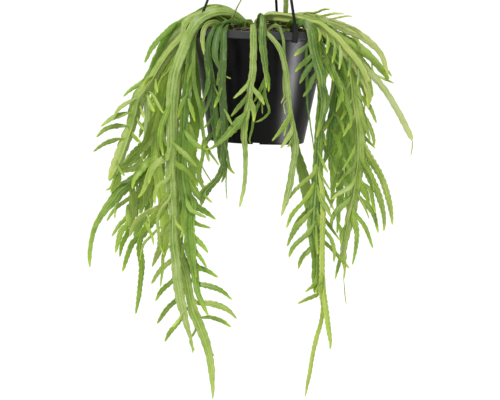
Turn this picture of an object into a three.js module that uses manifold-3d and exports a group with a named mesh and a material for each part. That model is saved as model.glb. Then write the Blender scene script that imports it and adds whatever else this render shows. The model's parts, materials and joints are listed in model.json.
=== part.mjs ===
// Lepismium bolivianum, a trailing flat-stemmed forest cactus, in a round hanging pot.
// Millimetres, +Z up, the front of the plant faces -Y. The origin is the inside top of the
// hook, the point that bears on a rail, so all of the pot and plant hangs below it.
import * as THREE from 'three';
import { mergeVertices } from 'three/addons/utils/BufferGeometryUtils.js';
import Module from 'manifold-3d';

const wasm = await Module();
wasm.setup();

// ---------------------------------------------------------------- driving dimensions
const RIM_Z = -246;            // top of the pot's rim below the hook's bearing point
const RIM_R = 75.4;            // outside radius of the rim band
const RIM_BAND = 9.2;          // height of the rim band
const BODY_R_TOP = 72.6;       // wall radius just under the band
const BODY_R_BOTTOM = 52.4;    // wall radius at the foot
const POT_H = 124;             // pot height
const WALL = 2.0;              // wall thickness
const FOOT_H = 3.0;            // foot ring height
const FLOOR_T = 2.5;           // floor thickness
const SOIL_EDGE = -5.0;        // soil surface at the wall, from the rim
const SOIL_MOUND = 9.0;        // rise of the soil at the middle
const GAP = 0.35;              // clearance between pieces that fit together
const HUB_Z = RIM_Z + 195;     // where the three arms meet
const HOOK_R = 2.6;            // radius of the hook's rod
const ARM_W = 2.6, ARM_T = 1.8;   // section of a hanger arm
const CLIP_W = 5.6;            // width of a rim clip
const ARM_AZ = { left: 208.5, back: 76, front: -60.5 };   // where the arms clip on, degrees
const ROOT_DEPTH = 9.0;        // how deep a stem stands in the soil

// ---------------------------------------------------------------- materials
const mat = (name, color, roughness, metalness = 0) => {
  const m = new THREE.MeshStandardMaterial({ color, roughness, metalness }); m.name = name; return m;
};
const M_PLASTIC = () => mat('black_plastic', 0x1c1d20, 0.42);
const M_SOIL = () => mat('potting_mix', 0x3a2b1d, 0.95);
const M_GREEN = {
  mid: () => mat('stem_green', 0x6f9440, 0.5),
  light: () => mat('stem_light_green', 0x8bab5c, 0.5),
  deep: () => mat('stem_deep_green', 0x567a33, 0.5),
};
const LIGHT = /ribbed|bright|straight|short|front_centre|upright/;
const DEEP = /back|behind|dark|inner|arch_outer|low/;

// ---------------------------------------------------------------- solids
// a geometry as a closed solid
function solid(geo) {
  const g = geo.index ? geo.toNonIndexed() : geo.clone();
  g.deleteAttribute('normal'); g.deleteAttribute('uv');
  const m = mergeVertices(g, 1e-4);
  const index = [];
  const a = m.index.array;
  for (let i = 0; i < a.length; i += 3) if (a[i] !== a[i + 1] && a[i + 1] !== a[i + 2] && a[i] !== a[i + 2]) index.push(a[i], a[i + 1], a[i + 2]);
  let s = new wasm.Manifold(new wasm.Mesh({ numProp: 3, vertProperties: new Float32Array(m.attributes.position.array), triVerts: new Uint32Array(index) }));
  if (s.volume() < 0) {
    for (let i = 0; i < index.length; i += 3) [index[i], index[i + 1]] = [index[i + 1], index[i]];
    s = new wasm.Manifold(new wasm.Mesh({ numProp: 3, vertProperties: new Float32Array(m.attributes.position.array), triVerts: new Uint32Array(index) }));
  }
  return s;
}
function geometry(s) {
  const m = s.getMesh();
  const g = new THREE.BufferGeometry();
  const p = new Float32Array(m.numVert * 3);
  for (let i = 0; i < m.numVert; i++) for (let k = 0; k < 3; k++) p[3 * i + k] = m.vertProperties[i * m.numProp + k];
  g.setAttribute('position', new THREE.BufferAttribute(p, 3));
  g.setIndex(Array.from(m.triVerts));
  g.computeVertexNormals();
  return g;
}
// lathe about Z from [radius, height] pairs
function lathe(profile, segments) {
  const g = new THREE.LatheGeometry(profile.map(([r, z]) => new THREE.Vector2(r, z)), segments);
  g.rotateX(Math.PI / 2);
  return g;
}

// ---------------------------------------------------------------- stems
// cross-sections, drawn across (x) and through (y) the stem
const SECTIONS = {
  flat: (w, t) => [[-w / 2, 0], [0, -t / 2], [w / 2, 0], [0, t / 2]],
  rib: (w, t) => [[-w / 2, -0.22 * w], [0, -0.06 * w], [w / 2, -0.22 * w], [0.12 * w, 0.03 * w], [0, 0.42 * w], [-0.12 * w, 0.03 * w]],
  side: (w, t) => [[-w / 2, -t / 3], [w / 2, -t / 3], [0, 2 * t / 3]],
};
// A stem is an extrusion with one step per station, bent so that each step's section sits
// on its station. A station is [x, y, z, width, thickness, and the direction of its width].
function strap(stations, kind) {
  const n = stations.length;
  const unit = SECTIONS[kind](1, 1);
  const k = unit.length;
  const outline = new THREE.Shape(unit.map(([x, y]) => new THREE.Vector2(x, y)));
  const g = new THREE.ExtrudeGeometry(outline, { steps: n - 1, depth: n - 1, bevelEnabled: false });
  const P = stations.map((s) => new THREE.Vector3(s[0], s[1], s[2]));
  const frames = stations.map((s, i) => {
    const T = P[Math.min(i + 1, n - 1)].clone().sub(P[Math.max(i - 1, 0)]).normalize();
    const B = new THREE.Vector3(s[5], s[6], s[7]);
    B.addScaledVector(T, -B.dot(T)).normalize();
    return { B, N: B.clone().cross(T) };
  });
  const a = g.attributes.position;
  const v = new THREE.Vector3();
  for (let i = 0; i < a.count; i++) {
    const st = Math.round(a.getZ(i));
    let best = 0, bd = 1e9;
    for (let j = 0; j < k; j++) { const d = Math.hypot(unit[j][0] - a.getX(i), unit[j][1] - a.getY(i)); if (d < bd) { bd = d; best = j; } }
    const [x, y] = SECTIONS[kind](stations[st][3], stations[st][4])[best];
    v.copy(P[st]).addScaledVector(frames[st].B, x).addScaledVector(frames[st].N, y);
    a.setXYZ(i, v.x, v.y, v.z);
  }
  return g;
}

// stations of every stem: the main stem first, then the side stems that grow from it
const STEMS = {
  stem_left_arch_outer: { kind: 'flat', main: [[-9.4,9.3,-251.3,4.2,2.6,0.6,-0.8,0],[-9.4,9.3,-239.3,2.2,1.9,0.6,-0.8,0],[-10.6,9.9,-238.5,2.2,1.8,0.15,-0.2,0.97],[-18.8,12.5,-238.9,4.8,1.8,0.2,-0.38,0.9],[-27.9,16.1,-231.3,6.4,2,0.43,-0.33,0.84],[-42.9,18.6,-226.4,6.9,2.1,0.14,-0.28,0.95],[-58.8,20.6,-225.6,6.7,2,-0.34,-0.2,0.92],[-71.7,25.8,-234.5,6.8,2,-0.5,-0.14,0.85],[-78.8,28,-237.6,6,1.8,-0.51,-0.1,0.86],[-94.8,28.6,-248.2,7.5,2.2,-0.67,0.01,0.75],[-104.9,30,-265.3,8.3,2.5,-0.9,0.1,0.43],[-114.2,30.9,-283,7,2.1,-0.88,0.16,0.44],[-121.7,31.4,-301.3,4.9,1.5,-0.84,0.2,0.5],[-129,31.8,-319.9,5.8,1.8,-0.94,0.2,0.29],[-134,32.4,-339.3,4.2,1.3,-0.96,0.16,0.22],[-139.4,33,-362.7,2.2,1,-0.97,0.07,0.23]],
    sides: [
      [[-88.4,27.8,-243.9,6.1,1.8,-0.03,0.23,0.97],[-95,26.6,-246.3,6.3,1.9,-0.69,0.18,0.7],[-113.6,22.2,-265.6,5.5,1.7,-0.82,0.18,0.55],[-126.2,18.2,-289.2,2.5,1,-0.9,0.17,0.41]],
    ] },
  stem_left_arch_back: { kind: 'flat', main: [[-31.5,30,-254.5,4.2,2.6,0.52,0.85,0],[-31.5,30,-242.5,4.2,2.6,0.52,0.85,0],[-33.3,30.7,-240.2,4.2,2.4,0.34,0.55,0.76],[-37,31.4,-241,4.4,2,-0.09,0.49,0.87],[-44.4,32.4,-240.9,5,1.7,0.34,0.3,0.89],[-55.1,33.6,-235.3,6.7,2,0.31,0.19,0.93],[-63.2,36.9,-235.3,7.3,2.2,-0.05,0.15,0.99],[-70.8,38.1,-237.5,7.6,2.3,-0.45,0.07,0.89],[-77.3,38.5,-242.1,7.7,2.3,-0.66,-0.01,0.76],[-91.3,39.4,-256.4,7.8,2.3,-0.71,-0.12,0.7],[-105.9,40.2,-270.2,7.8,2.3,-0.82,-0.14,0.55],[-113.7,41,-288.8,7.7,2.3,-0.92,-0.08,0.39],[-122.3,41.5,-307,7,2.1,-0.98,0.06,0.21],[-122.8,41.9,-327.1,7.7,2.3,-0.98,0.22,-0.01],[-122.5,43,-347.1,7.1,2.1,-0.94,0.35,-0.04],[-121.5,43.6,-367.2,6,1.8,-0.91,0.41,0.09],[-124.4,43.8,-386.9,3.5,1,-0.9,0.39,0.18],[-127.4,44,-398.5,2.3,1,-0.9,0.34,0.25]],
    sides: [
      [[-121.7,41.5,-307.1,3.9,1.3,0.49,0.38,0.79],[-123.5,40.8,-305.7,4,1.3,-0.37,0.18,0.91],[-131.2,38.8,-314,5.2,1.6,-0.62,0.1,0.78],[-148.7,35.1,-328.3,2.1,1,-0.73,0.1,0.67]],
    ] },
  stem_left_ribbed: { kind: 'rib', main: [[-22.5,-6,-252,4.2,2.6,0.88,-0.48,0],[-22.5,-6,-240,4.2,2.6,0.88,-0.48,0],[-22.8,-6.8,-237.5,4.2,3.4,0.83,-0.45,0.34],[-31,-9.1,-229.9,6.3,4.7,0.52,-0.39,0.76],[-42.6,-10.3,-227.9,9.8,5.4,0.07,-0.35,0.94],[-58.1,-13.5,-229.6,11,6.1,-0.34,-0.26,0.9],[-68.1,-16,-236.4,11.3,6.2,-0.33,-0.18,0.93],[-76.6,-20.2,-237.9,11.5,6.3,-0.47,-0.17,0.86],[-79.5,-22.7,-242,11.6,6.4,-0.8,-0.18,0.57],[-81.3,-21,-246.4,11.6,6.4,-0.97,-0.07,0.22],[-82.5,-18.8,-254.7,11.6,6.4,-0.95,-0.08,0.31],[-88.5,-18.2,-264.8,11.6,6.4,-0.77,-0.04,0.64],[-102.2,-19.3,-279.3,11.6,6.4,-0.83,0.01,0.56],[-110.5,-21,-297.3,11.6,6.4,-0.89,0,0.45],[-122.1,-22.7,-312.6,16.3,9,-0.82,-0.04,0.57],[-129.7,-23.2,-330.6,15.6,8.6,-0.96,-0.12,0.25],[-136,-23.6,-349.1,13.2,7.3,-0.96,-0.22,0.19],[-139.5,-22.7,-368.4,12.6,6.9,-0.9,-0.31,0.32],[-147.4,-23.1,-386.7,13.5,7.4,-0.88,-0.38,0.3],[-152.9,-21.9,-405.6,10.6,5.8,-0.84,-0.41,0.34],[-159.2,-22,-418.5,2.6,1.4,-0.85,-0.41,0.34]],
    sides: [
      [[-129.8,-23.4,-326.5,5.1,1.5,-0.11,0.34,0.93],[-150.4,-28.8,-337.8,4.5,1.3,-0.73,0.32,0.6],[-157,-31.4,-347.9,2.3,1,-0.85,0.3,0.43]],
      [[-134.1,-23.4,-345.6,5.4,1.6,0.44,0.5,0.74],[-144.5,-25.2,-343.8,6.2,1.9,-0.35,0.45,0.82],[-170.2,-29.8,-358.7,1.8,1,-0.63,0.45,0.64]],
      [[-136.6,-23.2,-356.8,5.1,1.5,-0.03,0.29,0.96],[-163.6,-20,-360.7,5.1,1.5,-0.41,0.28,0.87],[-175.1,-18.4,-371.1,1.9,1,-0.67,0.29,0.68]],
      [[-141.8,-22.9,-371.8,5.3,1.6,0.24,-0.4,0.89],[-164.8,-26.9,-376.6,5.5,1.6,-0.37,-0.41,0.84],[-177.4,-29.4,-386.3,2,1,-0.54,-0.42,0.73]],
      [[-113.2,-21.3,-300.4,5.2,1.5,-0.36,-0.26,0.89],[-126.2,-34.3,-312.1,2.6,1,-0.6,-0.29,0.75]],
      [[-115.1,-21.7,-303.8,5.3,1.6,-0.16,0.07,-0.99],[-112.2,-26,-307.3,5,1.5,-0.87,0.35,-0.35],[-109,-34.6,-319.1,2.6,1,-0.71,0.33,-0.62]],
      [[-125.7,-23.1,-319.7,6.1,1.8,-0.48,-0.2,-0.85],[-118.8,-28.7,-327.4,5.6,1.7,-0.96,-0.06,-0.29],[-111.5,-36,-339.8,2.4,1,-0.73,-0.1,-0.67]],
      [[-131,-23.4,-330.2,4.8,1.5,-0.77,-0.04,-0.63],[-122.1,-36.3,-347.9,2.4,1,-0.89,0.02,-0.46]],
      [[-123.3,-22.9,-316.6,3.6,1.1,-0.38,-0.16,-0.91],[-108,-33.8,-332.1,3.5,1,-0.88,-0.07,-0.47],[-101.5,-39,-341.5,1.8,1,-0.81,-0.09,-0.58]],
      [[-133.4,-23.4,-341.8,4.9,1.5,-0.95,-0.14,-0.28],[-122.5,-33.1,-360.6,2.5,1,-0.82,-0.15,-0.55]],
      [[-140.6,-22.7,-357.1,4.9,1.5,-0.84,0.21,-0.5],[-125.3,-30.9,-374.8,3.5,1,-0.58,0.19,-0.79]],
      [[-149.2,-22.5,-394.4,5.5,1.6,-0.51,-0.18,0.84],[-150.1,-25.8,-399.4,5.4,1.6,-0.9,-0.4,-0.19],[-142.3,-32.2,-411.5,2.5,1,-0.82,-0.43,-0.39]],
    ] },
  stem_left_front: { kind: 'flat', main: [[-15.9,-22,-252.4,4.2,2.6,0.99,0.17,0],[-15.9,-22,-240.4,4.2,2.6,0.99,0.17,0],[-16.3,-23.3,-238.5,4.2,2.4,0.75,0.13,0.65],[-28,-28.4,-229.5,6.9,2.4,0.3,0.28,0.91],[-42.9,-34,-228.2,9.3,2.6,-0.15,0.32,0.94],[-61.6,-40.1,-232.4,10.1,2.6,-0.58,0.33,0.75],[-67.2,-43.5,-237.5,10.4,2.6,-0.75,0.3,0.59],[-71.9,-46.1,-243.5,10.6,2.6,-0.82,0.32,0.46],[-79.3,-47.3,-262,11.2,2.6,-0.9,0.31,0.31],[-87.9,-47.6,-280.3,11.3,2.6,-0.92,0.23,0.32],[-91.4,-49.1,-300,11.1,2.6,-0.98,0.14,0.14],[-94.9,-50.1,-319.8,11,2.6,-1,0.06,0.03],[-92.8,-51.3,-339.8,10.6,2.6,-1,-0.01,-0.04],[-93.9,-51.9,-359.9,9.9,2.6,-1,-0.04,-0.04],[-91.4,-51.9,-380,9.2,2.6,-1,-0.04,0],[-93.5,-52,-400,9.5,2.6,-1,0,-0.04],[-90,-52.1,-419.6,11,2.6,-0.99,0.07,-0.13],[-89.4,-51.9,-439.7,9.2,2.6,-0.98,0.15,-0.1],[-86.3,-52.2,-459.6,8.9,2.6,-0.97,0.24,-0.03],[-87,-51.7,-479.8,9.8,2.6,-0.94,0.31,-0.11],[-82,-52.3,-499.4,10.5,2.6,-0.92,0.36,-0.14],[-81.2,-51.6,-519.5,11.5,2.6,-0.91,0.38,-0.14],[-75.4,-52.4,-538.9,11.5,2.6,-0.91,0.36,-0.21],[-71.9,-51.7,-558.6,9.2,2.6,-0.92,0.31,-0.24],[-65.2,-52.1,-577.2,5.1,1.5,-0.91,0.23,-0.34],[-60.2,-52,-600.5,1.7,1,-0.98,0.13,-0.14]],
    sides: [
      [[-94.1,-50.4,-323.8,6.1,1.8,-0.98,0.03,0.21],[-101.1,-55.5,-346.4,6.1,1.8,-0.95,0.05,0.31],[-104,-60.4,-369.5,5.1,1.5,-0.98,0.04,-0.18],[-100,-63.3,-384.6,1.8,1,-0.95,0.04,-0.31]],
      [[-92.6,-51.9,-367.9,6.1,1.8,-0.8,-0.12,-0.59],[-73.6,-58.2,-385.9,5.6,1.7,-0.68,-0.14,-0.72],[-63.2,-61.6,-396.3,1.8,1,-0.73,-0.13,-0.67]],
      [[-92.5,-52,-388,6.1,1.8,-0.25,-0.11,-0.96],[-84.7,-50.3,-395.3,6.1,1.8,-0.62,-0.16,-0.77],[-66.4,-47,-408.6,5.7,1.7,-0.84,-0.13,-0.53],[-61.6,-45.5,-418.8,2.3,1,-0.89,-0.14,-0.43]],
      [[-92.3,-51.9,-375.9,6.4,1.9,-0.88,0.32,0.34],[-98.6,-55.5,-389,8.3,2.5,-0.59,0.33,0.74],[-112.9,-60.8,-405.7,5.3,1.6,-0.92,0.33,0.19],[-114.5,-63.2,-416.7,1.9,1,-0.95,0.32,0]],
      [[-102.1,-56.5,-390.7,5.4,1.6,-0.28,0.42,0.86],[-112.9,-53.9,-401.1,6.6,2,-0.8,0.43,0.41],[-119.8,-50.1,-423.9,5.6,1.7,-0.79,0.45,0.42],[-126.3,-48.4,-433.6,2,1,-0.68,0.44,0.58]],
      [[-92.6,-52,-400,4.9,1.5,-0.94,0.03,-0.33],[-93.9,-54.5,-410.4,4.9,1.5,-0.84,0.06,0.54],[-105.4,-57.8,-420,4.6,1.4,-0.86,0.13,0.48],[-107.7,-61.6,-438.4,2,1,-0.99,0.09,-0.04]],
      [[-91,-52,-419.8,3.1,1,-0.89,-0.33,-0.32],[-91,-54.5,-430.8,3.1,1,-0.87,-0.29,0.4],[-103,-59.6,-450.9,3.6,1.1,-0.93,-0.24,0.28],[-101.4,-64.4,-474.3,3.5,1.1,-0.96,-0.26,-0.13],[-95.3,-68,-493,1.5,1,-0.88,-0.27,-0.4]],
      [[-87.8,-52,-447.6,3.8,1.2,-0.87,-0.33,0.36],[-99.5,-61.7,-473,1.9,1,-0.88,-0.31,0.36]],
      [[-87.5,-52,-451.6,5,1.5,-0.43,-0.42,-0.8],[-84.3,-55.3,-455.5,4.9,1.5,-0.95,-0.19,-0.24],[-78.7,-64.9,-474.1,1.9,1,-0.82,-0.22,0.53]],
      [[-86.2,-52,-479.7,3.3,1,-0.68,0.39,0.62],[-96.8,-48.6,-503.3,3.7,1.1,-0.92,0.39,0.03],[-98.4,-45.6,-530.2,1.6,1,-0.91,0.39,0.12]],
      [[-91,-52,-419.8,6.7,2,-0.87,-0.39,-0.3],[-93.4,-50.4,-430.5,7.3,2.2,-0.83,-0.41,0.38],[-110.5,-47.2,-446.4,7,2.1,-0.43,-0.43,0.79],[-128.7,-44.2,-461.9,5.7,1.7,-0.81,-0.43,0.39],[-134.3,-42.4,-476.8,2,1,-0.88,-0.42,0.24]],
      [[-91,-52,-419.8,4.3,1.8,-0.72,0.25,0.65],[-90.2,-51.3,-419.1,4.3,1.8,-0.97,-0.25,0.05],[-100.5,-46.6,-444.2,11,2.6,-0.87,-0.3,0.4],[-115.8,-41.8,-466.3,9.4,2.6,-0.85,-0.3,0.44],[-130.7,-37.9,-483.3,6.7,2,-0.84,-0.32,0.43],[-140.7,-32.8,-516.5,1.9,1,-0.94,-0.31,0.17]],
      [[-115.8,-41.8,-466.3,5.2,1.6,-0.56,-0.42,0.71],[-123.1,-39.7,-483.6,6.6,2,-0.91,-0.4,0.08],[-120,-36.9,-511,7,2.1,-0.92,-0.38,-0.03],[-121.7,-34.2,-538.8,5.7,1.7,-0.92,-0.38,0.04],[-124.6,-32.1,-562.3,2.2,1,-0.92,-0.38,0.09]],
      [[-97,-59,-465.3,3,1,0.42,-0.09,0.9],[-103.6,-58.2,-466.2,3,1,-0.69,-0.03,0.73],[-118.9,-55.7,-485.3,2.7,1,-0.95,-0.03,0.3],[-121.8,-54.2,-501.5,1.5,1,-0.98,-0.02,0.17]],
      [[-87.1,-52,-459.6,5.3,1.6,-0.94,-0.32,-0.11],[-90.2,-49.8,-465.1,5.7,1.7,-0.62,-0.43,0.65],[-100.8,-44.1,-479.9,6.5,2,-0.91,-0.39,-0.14],[-108.5,-35.9,-509.5,2,1,-0.88,-0.41,0.23]],
      [[-72.2,-52,-554.5,4.8,1.4,-0.89,0.42,0.18],[-83.8,-61.7,-572.2,2.1,1,-0.74,0.43,0.51]],
      [[-63,-52,-584.8,4.1,1.2,-0.8,0.47,-0.39],[-58.1,-56.9,-596.9,2.1,1,-0.59,0.45,-0.67]],
      [[-117.3,-46.1,-450.8,5,1.5,-0.66,0.13,-0.74],[-112.9,-55.9,-466.3,1.9,1,-0.95,0.22,-0.22]],
      [[-113.5,-52,-459.6,4.4,1.3,-0.34,0.7,0.63],[-116.5,-53.5,-459.6,4.3,1.3,-0.9,0.44,0.04],[-115.1,-54.9,-462.9,4.1,1.2,-0.82,0.24,-0.52],[-107.2,-63.3,-483,1.7,1,-0.93,0.24,-0.26]],
    ] },
  stem_left_middle: { kind: 'flat', main: [[-30.3,14,-253,4.2,2.6,0.88,-0.48,0],[-30.3,14,-241,4.2,2.6,0.88,-0.48,0],[-30.9,12.3,-237.1,4.3,2.3,0.81,-0.44,0.38],[-34,12.4,-234.9,4.7,1.9,0.45,-0.46,0.77],[-45.4,13.1,-231,7.1,2.4,-0.03,-0.45,0.89],[-64.5,17.8,-236.3,9.2,2.6,-0.41,-0.5,0.76],[-73.1,21.2,-238.7,9.3,2.6,-0.76,-0.37,0.54],[-75.7,26,-241.8,9.4,2.6,-0.71,-0.47,0.52],[-78,23.3,-245,9.4,2.6,-0.64,-0.49,0.59],[-81.1,22.6,-252.6,9.5,2.6,-0.72,-0.55,0.42],[-83.5,19.2,-260.2,9.5,2.6,-0.74,-0.56,0.37],[-88,16.5,-279.7,9.3,2.6,-0.76,-0.57,0.31],[-97.3,13.9,-297.3,9,2.6,-0.69,-0.52,0.5],[-105.6,13.4,-310.5,8.8,2.6,-0.82,-0.48,0.3],[-111.5,11.2,-329.6,8.6,2.6,-0.91,-0.38,0.15],[-110.3,10.3,-349.8,8.5,2.6,-0.96,-0.27,0.02],[-112.3,8.5,-369.8,8.7,2.6,-0.98,-0.18,0.01],[-109.4,7.6,-389.6,9.7,2.6,-0.98,-0.11,-0.14],[-107.7,6.4,-409.6,11.6,2.6,-0.98,-0.07,-0.19],[-101.6,5.6,-428.8,11,2.6,-0.98,-0.08,-0.21],[-100,4.5,-448.8,9.9,2.6,-0.98,-0.13,-0.12],[-95.9,3.9,-468.5,10.7,2.6,-0.97,-0.21,-0.08],[-96.7,2.5,-488.4,8.7,2.6,-0.95,-0.31,0.04],[-97.3,2,-503.6,2.7,1,-0.91,-0.39,0.11]],
    sides: [
      [[-111.4,9.2,-361.8,7,2.1,-0.91,0.3,0.28],[-125.9,0.5,-382.3,10.6,2.6,-0.66,0.32,0.68],[-143.8,-7.9,-400.9,8.1,2.4,-0.75,0.31,0.59],[-155.9,-13.2,-414.3,1.9,1,-0.77,0.31,0.56]],
      [[-131.7,-2,-386.9,4.9,1.5,-0.81,-0.05,-0.58],[-127.1,-0.7,-397.7,6.4,1.9,-0.97,-0.04,0.23],[-132,0.1,-404,7.4,2.2,-0.53,-0.06,0.85],[-157.3,2.9,-416.1,1.8,1,-0.6,-0.07,0.79]],
      [[-148.8,-10.1,-406.3,9.6,2.6,-0.89,0.46,-0.01],[-157.4,-15,-431.5,2.7,1,-0.81,0.46,0.36]],
      [[-154.1,2.5,-413.7,3.6,1.1,-0.98,-0.08,0.2],[-163.7,7.3,-431,1.6,1,-0.52,-0.09,0.85]],
      [[-111.3,8.2,-377.8,6.4,1.9,-0.92,0.31,-0.22],[-112.8,1.9,-395,8.4,2.5,-0.64,0.33,0.69],[-130.1,-6.7,-413.3,6.1,1.8,-0.82,0.38,0.43],[-133.7,-11.1,-427.2,1.9,1,-0.94,0.33,-0.03]],
      [[-110.1,11.8,-325.8,5.5,1.7,-0.91,-0.19,0.38],[-117.8,21.5,-356.8,1.8,1,-0.98,-0.18,0.03]],
      [[-111.1,10.1,-349.8,6.2,1.9,-0.82,0.47,-0.33],[-99.2,17.6,-380.1,2.1,1,-0.88,0.47,-0.1]],
      [[-110.7,7.7,-385.8,5.6,1.7,-0.23,0.41,-0.88],[-107.1,10.4,-388.9,5.4,1.6,-0.92,0.19,-0.34],[-99.1,20.7,-412.6,1.9,1,-0.96,0.18,-0.19]],
      [[-111.2,10.7,-341.8,6.1,1.8,-0.76,-0.42,0.49],[-119.2,3.4,-363.8,6.2,1.9,-0.84,-0.44,0.32],[-127,-2.2,-381.6,2,1,-0.73,-0.43,0.54]],
      [[-107.4,6.7,-405.4,5.4,1.6,-0.72,-0.51,0.46],[-108.5,8,-405.8,5.4,1.6,-0.97,-0.1,-0.2],[-99.5,16.4,-431,1.8,1,-0.96,-0.04,-0.26]],
      [[-107.9,12.4,-318.1,5.1,1.5,-0.72,0.48,0.5],[-108.8,10.2,-317.3,5,1.5,-0.64,-0.09,0.76],[-117,-0.5,-333.3,1.9,1,-0.71,-0.28,0.65]],
      [[-125.9,0.5,-382.3,4.8,1.5,-0.91,-0.07,0.41],[-146.9,-15.6,-403.9,2.4,1,-0.44,-0.05,0.9]],
      [[-115.9,5.5,-371.9,6.3,1.9,-0.9,-0.13,-0.41],[-116.8,7.4,-377.3,6.9,2.1,-0.91,-0.28,0.31],[-123.3,12,-395.8,2.5,1,-0.93,-0.27,0.23]],
    ] },
  stem_left_long: { kind: 'flat', main: [[-35.8,26,-254.6,4.2,2.6,0.99,0.11,0],[-35.8,26,-242.6,4.2,2.6,0.99,0.11,0],[-35.5,25.5,-236.8,4.4,2.1,0.74,0.11,0.66],[-42.4,25.5,-232.8,5.7,2.1,0.35,0.09,0.93],[-54.3,26.4,-231.3,8.8,2.6,-0.14,0.07,0.99],[-61.9,27.5,-234.2,8.9,2.6,-0.34,0.06,0.94],[-69.2,29.7,-237.6,9,2.6,-0.51,0.06,0.86],[-75.3,30.7,-242.9,9.1,2.6,-0.77,0.05,0.63],[-79.4,30.3,-249.8,9.1,2.6,-0.92,0.02,0.4],[-81.8,28.8,-257.3,9.2,2.6,-0.97,0.02,0.23],[-85.1,27.3,-277.1,9.4,2.6,-0.97,0.06,0.23],[-91.7,26.1,-296.1,9.6,2.6,-0.96,0.11,0.24],[-94.6,24.2,-315.9,9.9,2.6,-0.97,0.17,0.19],[-99.7,22.8,-335.4,10.2,2.6,-0.96,0.23,0.13],[-101,20.8,-355.4,10.6,2.6,-0.94,0.29,0.16],[-107.3,21.7,-374.5,11.9,2.6,-0.9,0.33,0.29],[-110.2,18.1,-389.8,15.2,2.6,-0.91,0.35,0.24],[-120.8,15.9,-406.3,13.6,2.6,-0.75,0.37,0.56],[-133.6,12.1,-421.3,13.4,2.6,-0.62,0.34,0.71],[-150.7,10.2,-432.3,14.1,2.6,-0.81,0.28,0.52],[-160.2,7.1,-449.2,9,2.6,-0.78,0.24,0.59],[-171.5,4.8,-465.4,6.5,1.9,-0.89,0.17,0.42],[-176.4,2.1,-484.6,5.1,1.5,-0.98,0.11,0.15],[-178.5,-0.5,-504.3,4.8,1.4,-1,0.06,-0.03],[-177.6,-2,-515.8,1.5,1,-0.99,0.04,-0.1]],
    sides: [
      [[-140.7,11.4,-425.2,4.3,1.3,-0.85,-0.2,-0.49],[-137.8,8.9,-438.8,4.7,1.4,-0.72,-0.18,0.67],[-161.2,3.4,-464.4,2.1,1,-0.84,-0.16,0.52]],
      [[-140.7,11.4,-425.2,4.9,1.5,-0.65,-0.17,-0.74],[-134.7,7.7,-438.9,5.4,1.6,-0.99,-0.14,-0.01],[-140.9,2,-461.5,4.8,1.4,-0.75,-0.11,0.65],[-154.9,-3,-480.7,2.3,1,-0.84,-0.11,0.53]],
      [[-147,6.9,-446,4.5,1.3,0.01,0.65,0.76],[-151.5,2.6,-446.7,3.6,1.1,-0.95,0.32,0.06],[-152.1,-6,-460.5,1.9,1,-0.96,0.27,-0.11]],
      [[-135.3,5.8,-446.8,4.9,1.5,0.02,0.27,0.96],[-138.4,4.5,-446.4,4.9,1.5,-0.75,0.14,0.65],[-138.6,3.3,-450,5.1,1.5,-1,-0.07,-0.03],[-138.6,-3.1,-467.9,6.3,1.9,-0.79,-0.07,0.6],[-147,-9.1,-483.5,5.6,1.7,-0.97,-0.07,0.23],[-149.8,-13.5,-497.9,2.1,1,-0.98,-0.07,0.2]],
      [[-115.4,17,-400.6,6.8,2,-0.89,0.45,0.06],[-115.4,24.3,-426.6,7.7,2.3,-0.86,0.45,0.23],[-119.1,29.9,-448.3,2,1,-0.85,0.45,0.27]],
      [[-125.4,14.2,-412.7,6.4,1.9,-0.93,-0.3,-0.21],[-122,22.1,-438.8,7.2,2.2,-0.95,-0.28,-0.13],[-124.2,27.1,-457.2,1.9,1,-0.95,-0.3,0.07]],
      [[-138.6,-3.1,-467.9,4.8,1.4,-0.9,-0.41,0.15],[-143.1,-19.8,-487.9,5.6,1.7,-0.82,-0.34,0.46],[-144.5,-28.8,-500.6,2.1,1,-0.86,-0.38,0.35]],
      [[-119.9,15.5,-407,4.7,1.7,-0.98,0.18,0.09],[-119.7,16.5,-407,4.7,1.7,-0.95,-0.31,0.07],[-126.1,22.5,-429.9,4.8,1.4,-0.93,-0.36,0.09],[-128,25.2,-441.6,1.9,1,-0.93,-0.35,0.07]],
      [[-131.3,13.1,-418,6.8,2,-0.9,0.43,-0.1],[-127.2,20.6,-440.7,5.9,1.8,-0.87,0.43,0.22],[-127.7,27.6,-464,2,1,-0.9,0.44,0.02]],
      [[-108.9,20.1,-382.1,6.1,1.8,-0.68,0.41,-0.61],[-107,21.2,-383.5,6.1,1.8,-0.97,0.25,-0.01],[-114.9,27.6,-405.3,6.1,1.8,-0.92,0.16,0.35],[-123.1,34.5,-431,1.8,1,-0.93,0.16,0.33]],
      [[-111.4,18.5,-389.5,6.2,1.8,-0.98,0.18,0.12],[-112.8,24.7,-412.8,7.3,2.2,-0.98,0.18,0.07],[-113.1,30.4,-436.2,6.2,1.8,-0.98,0.18,0.06],[-113.4,34.7,-455.5,1.8,1,-0.98,0.19,0.05]],
      [[-134.4,12.5,-420.5,6.1,1.8,-0.99,0.09,-0.08],[-132.4,19.3,-443.6,9,2.6,-0.99,0.09,0.04],[-135.9,28.6,-477.9,1.8,1,-0.99,0.09,0.15]],
    ] },
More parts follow.
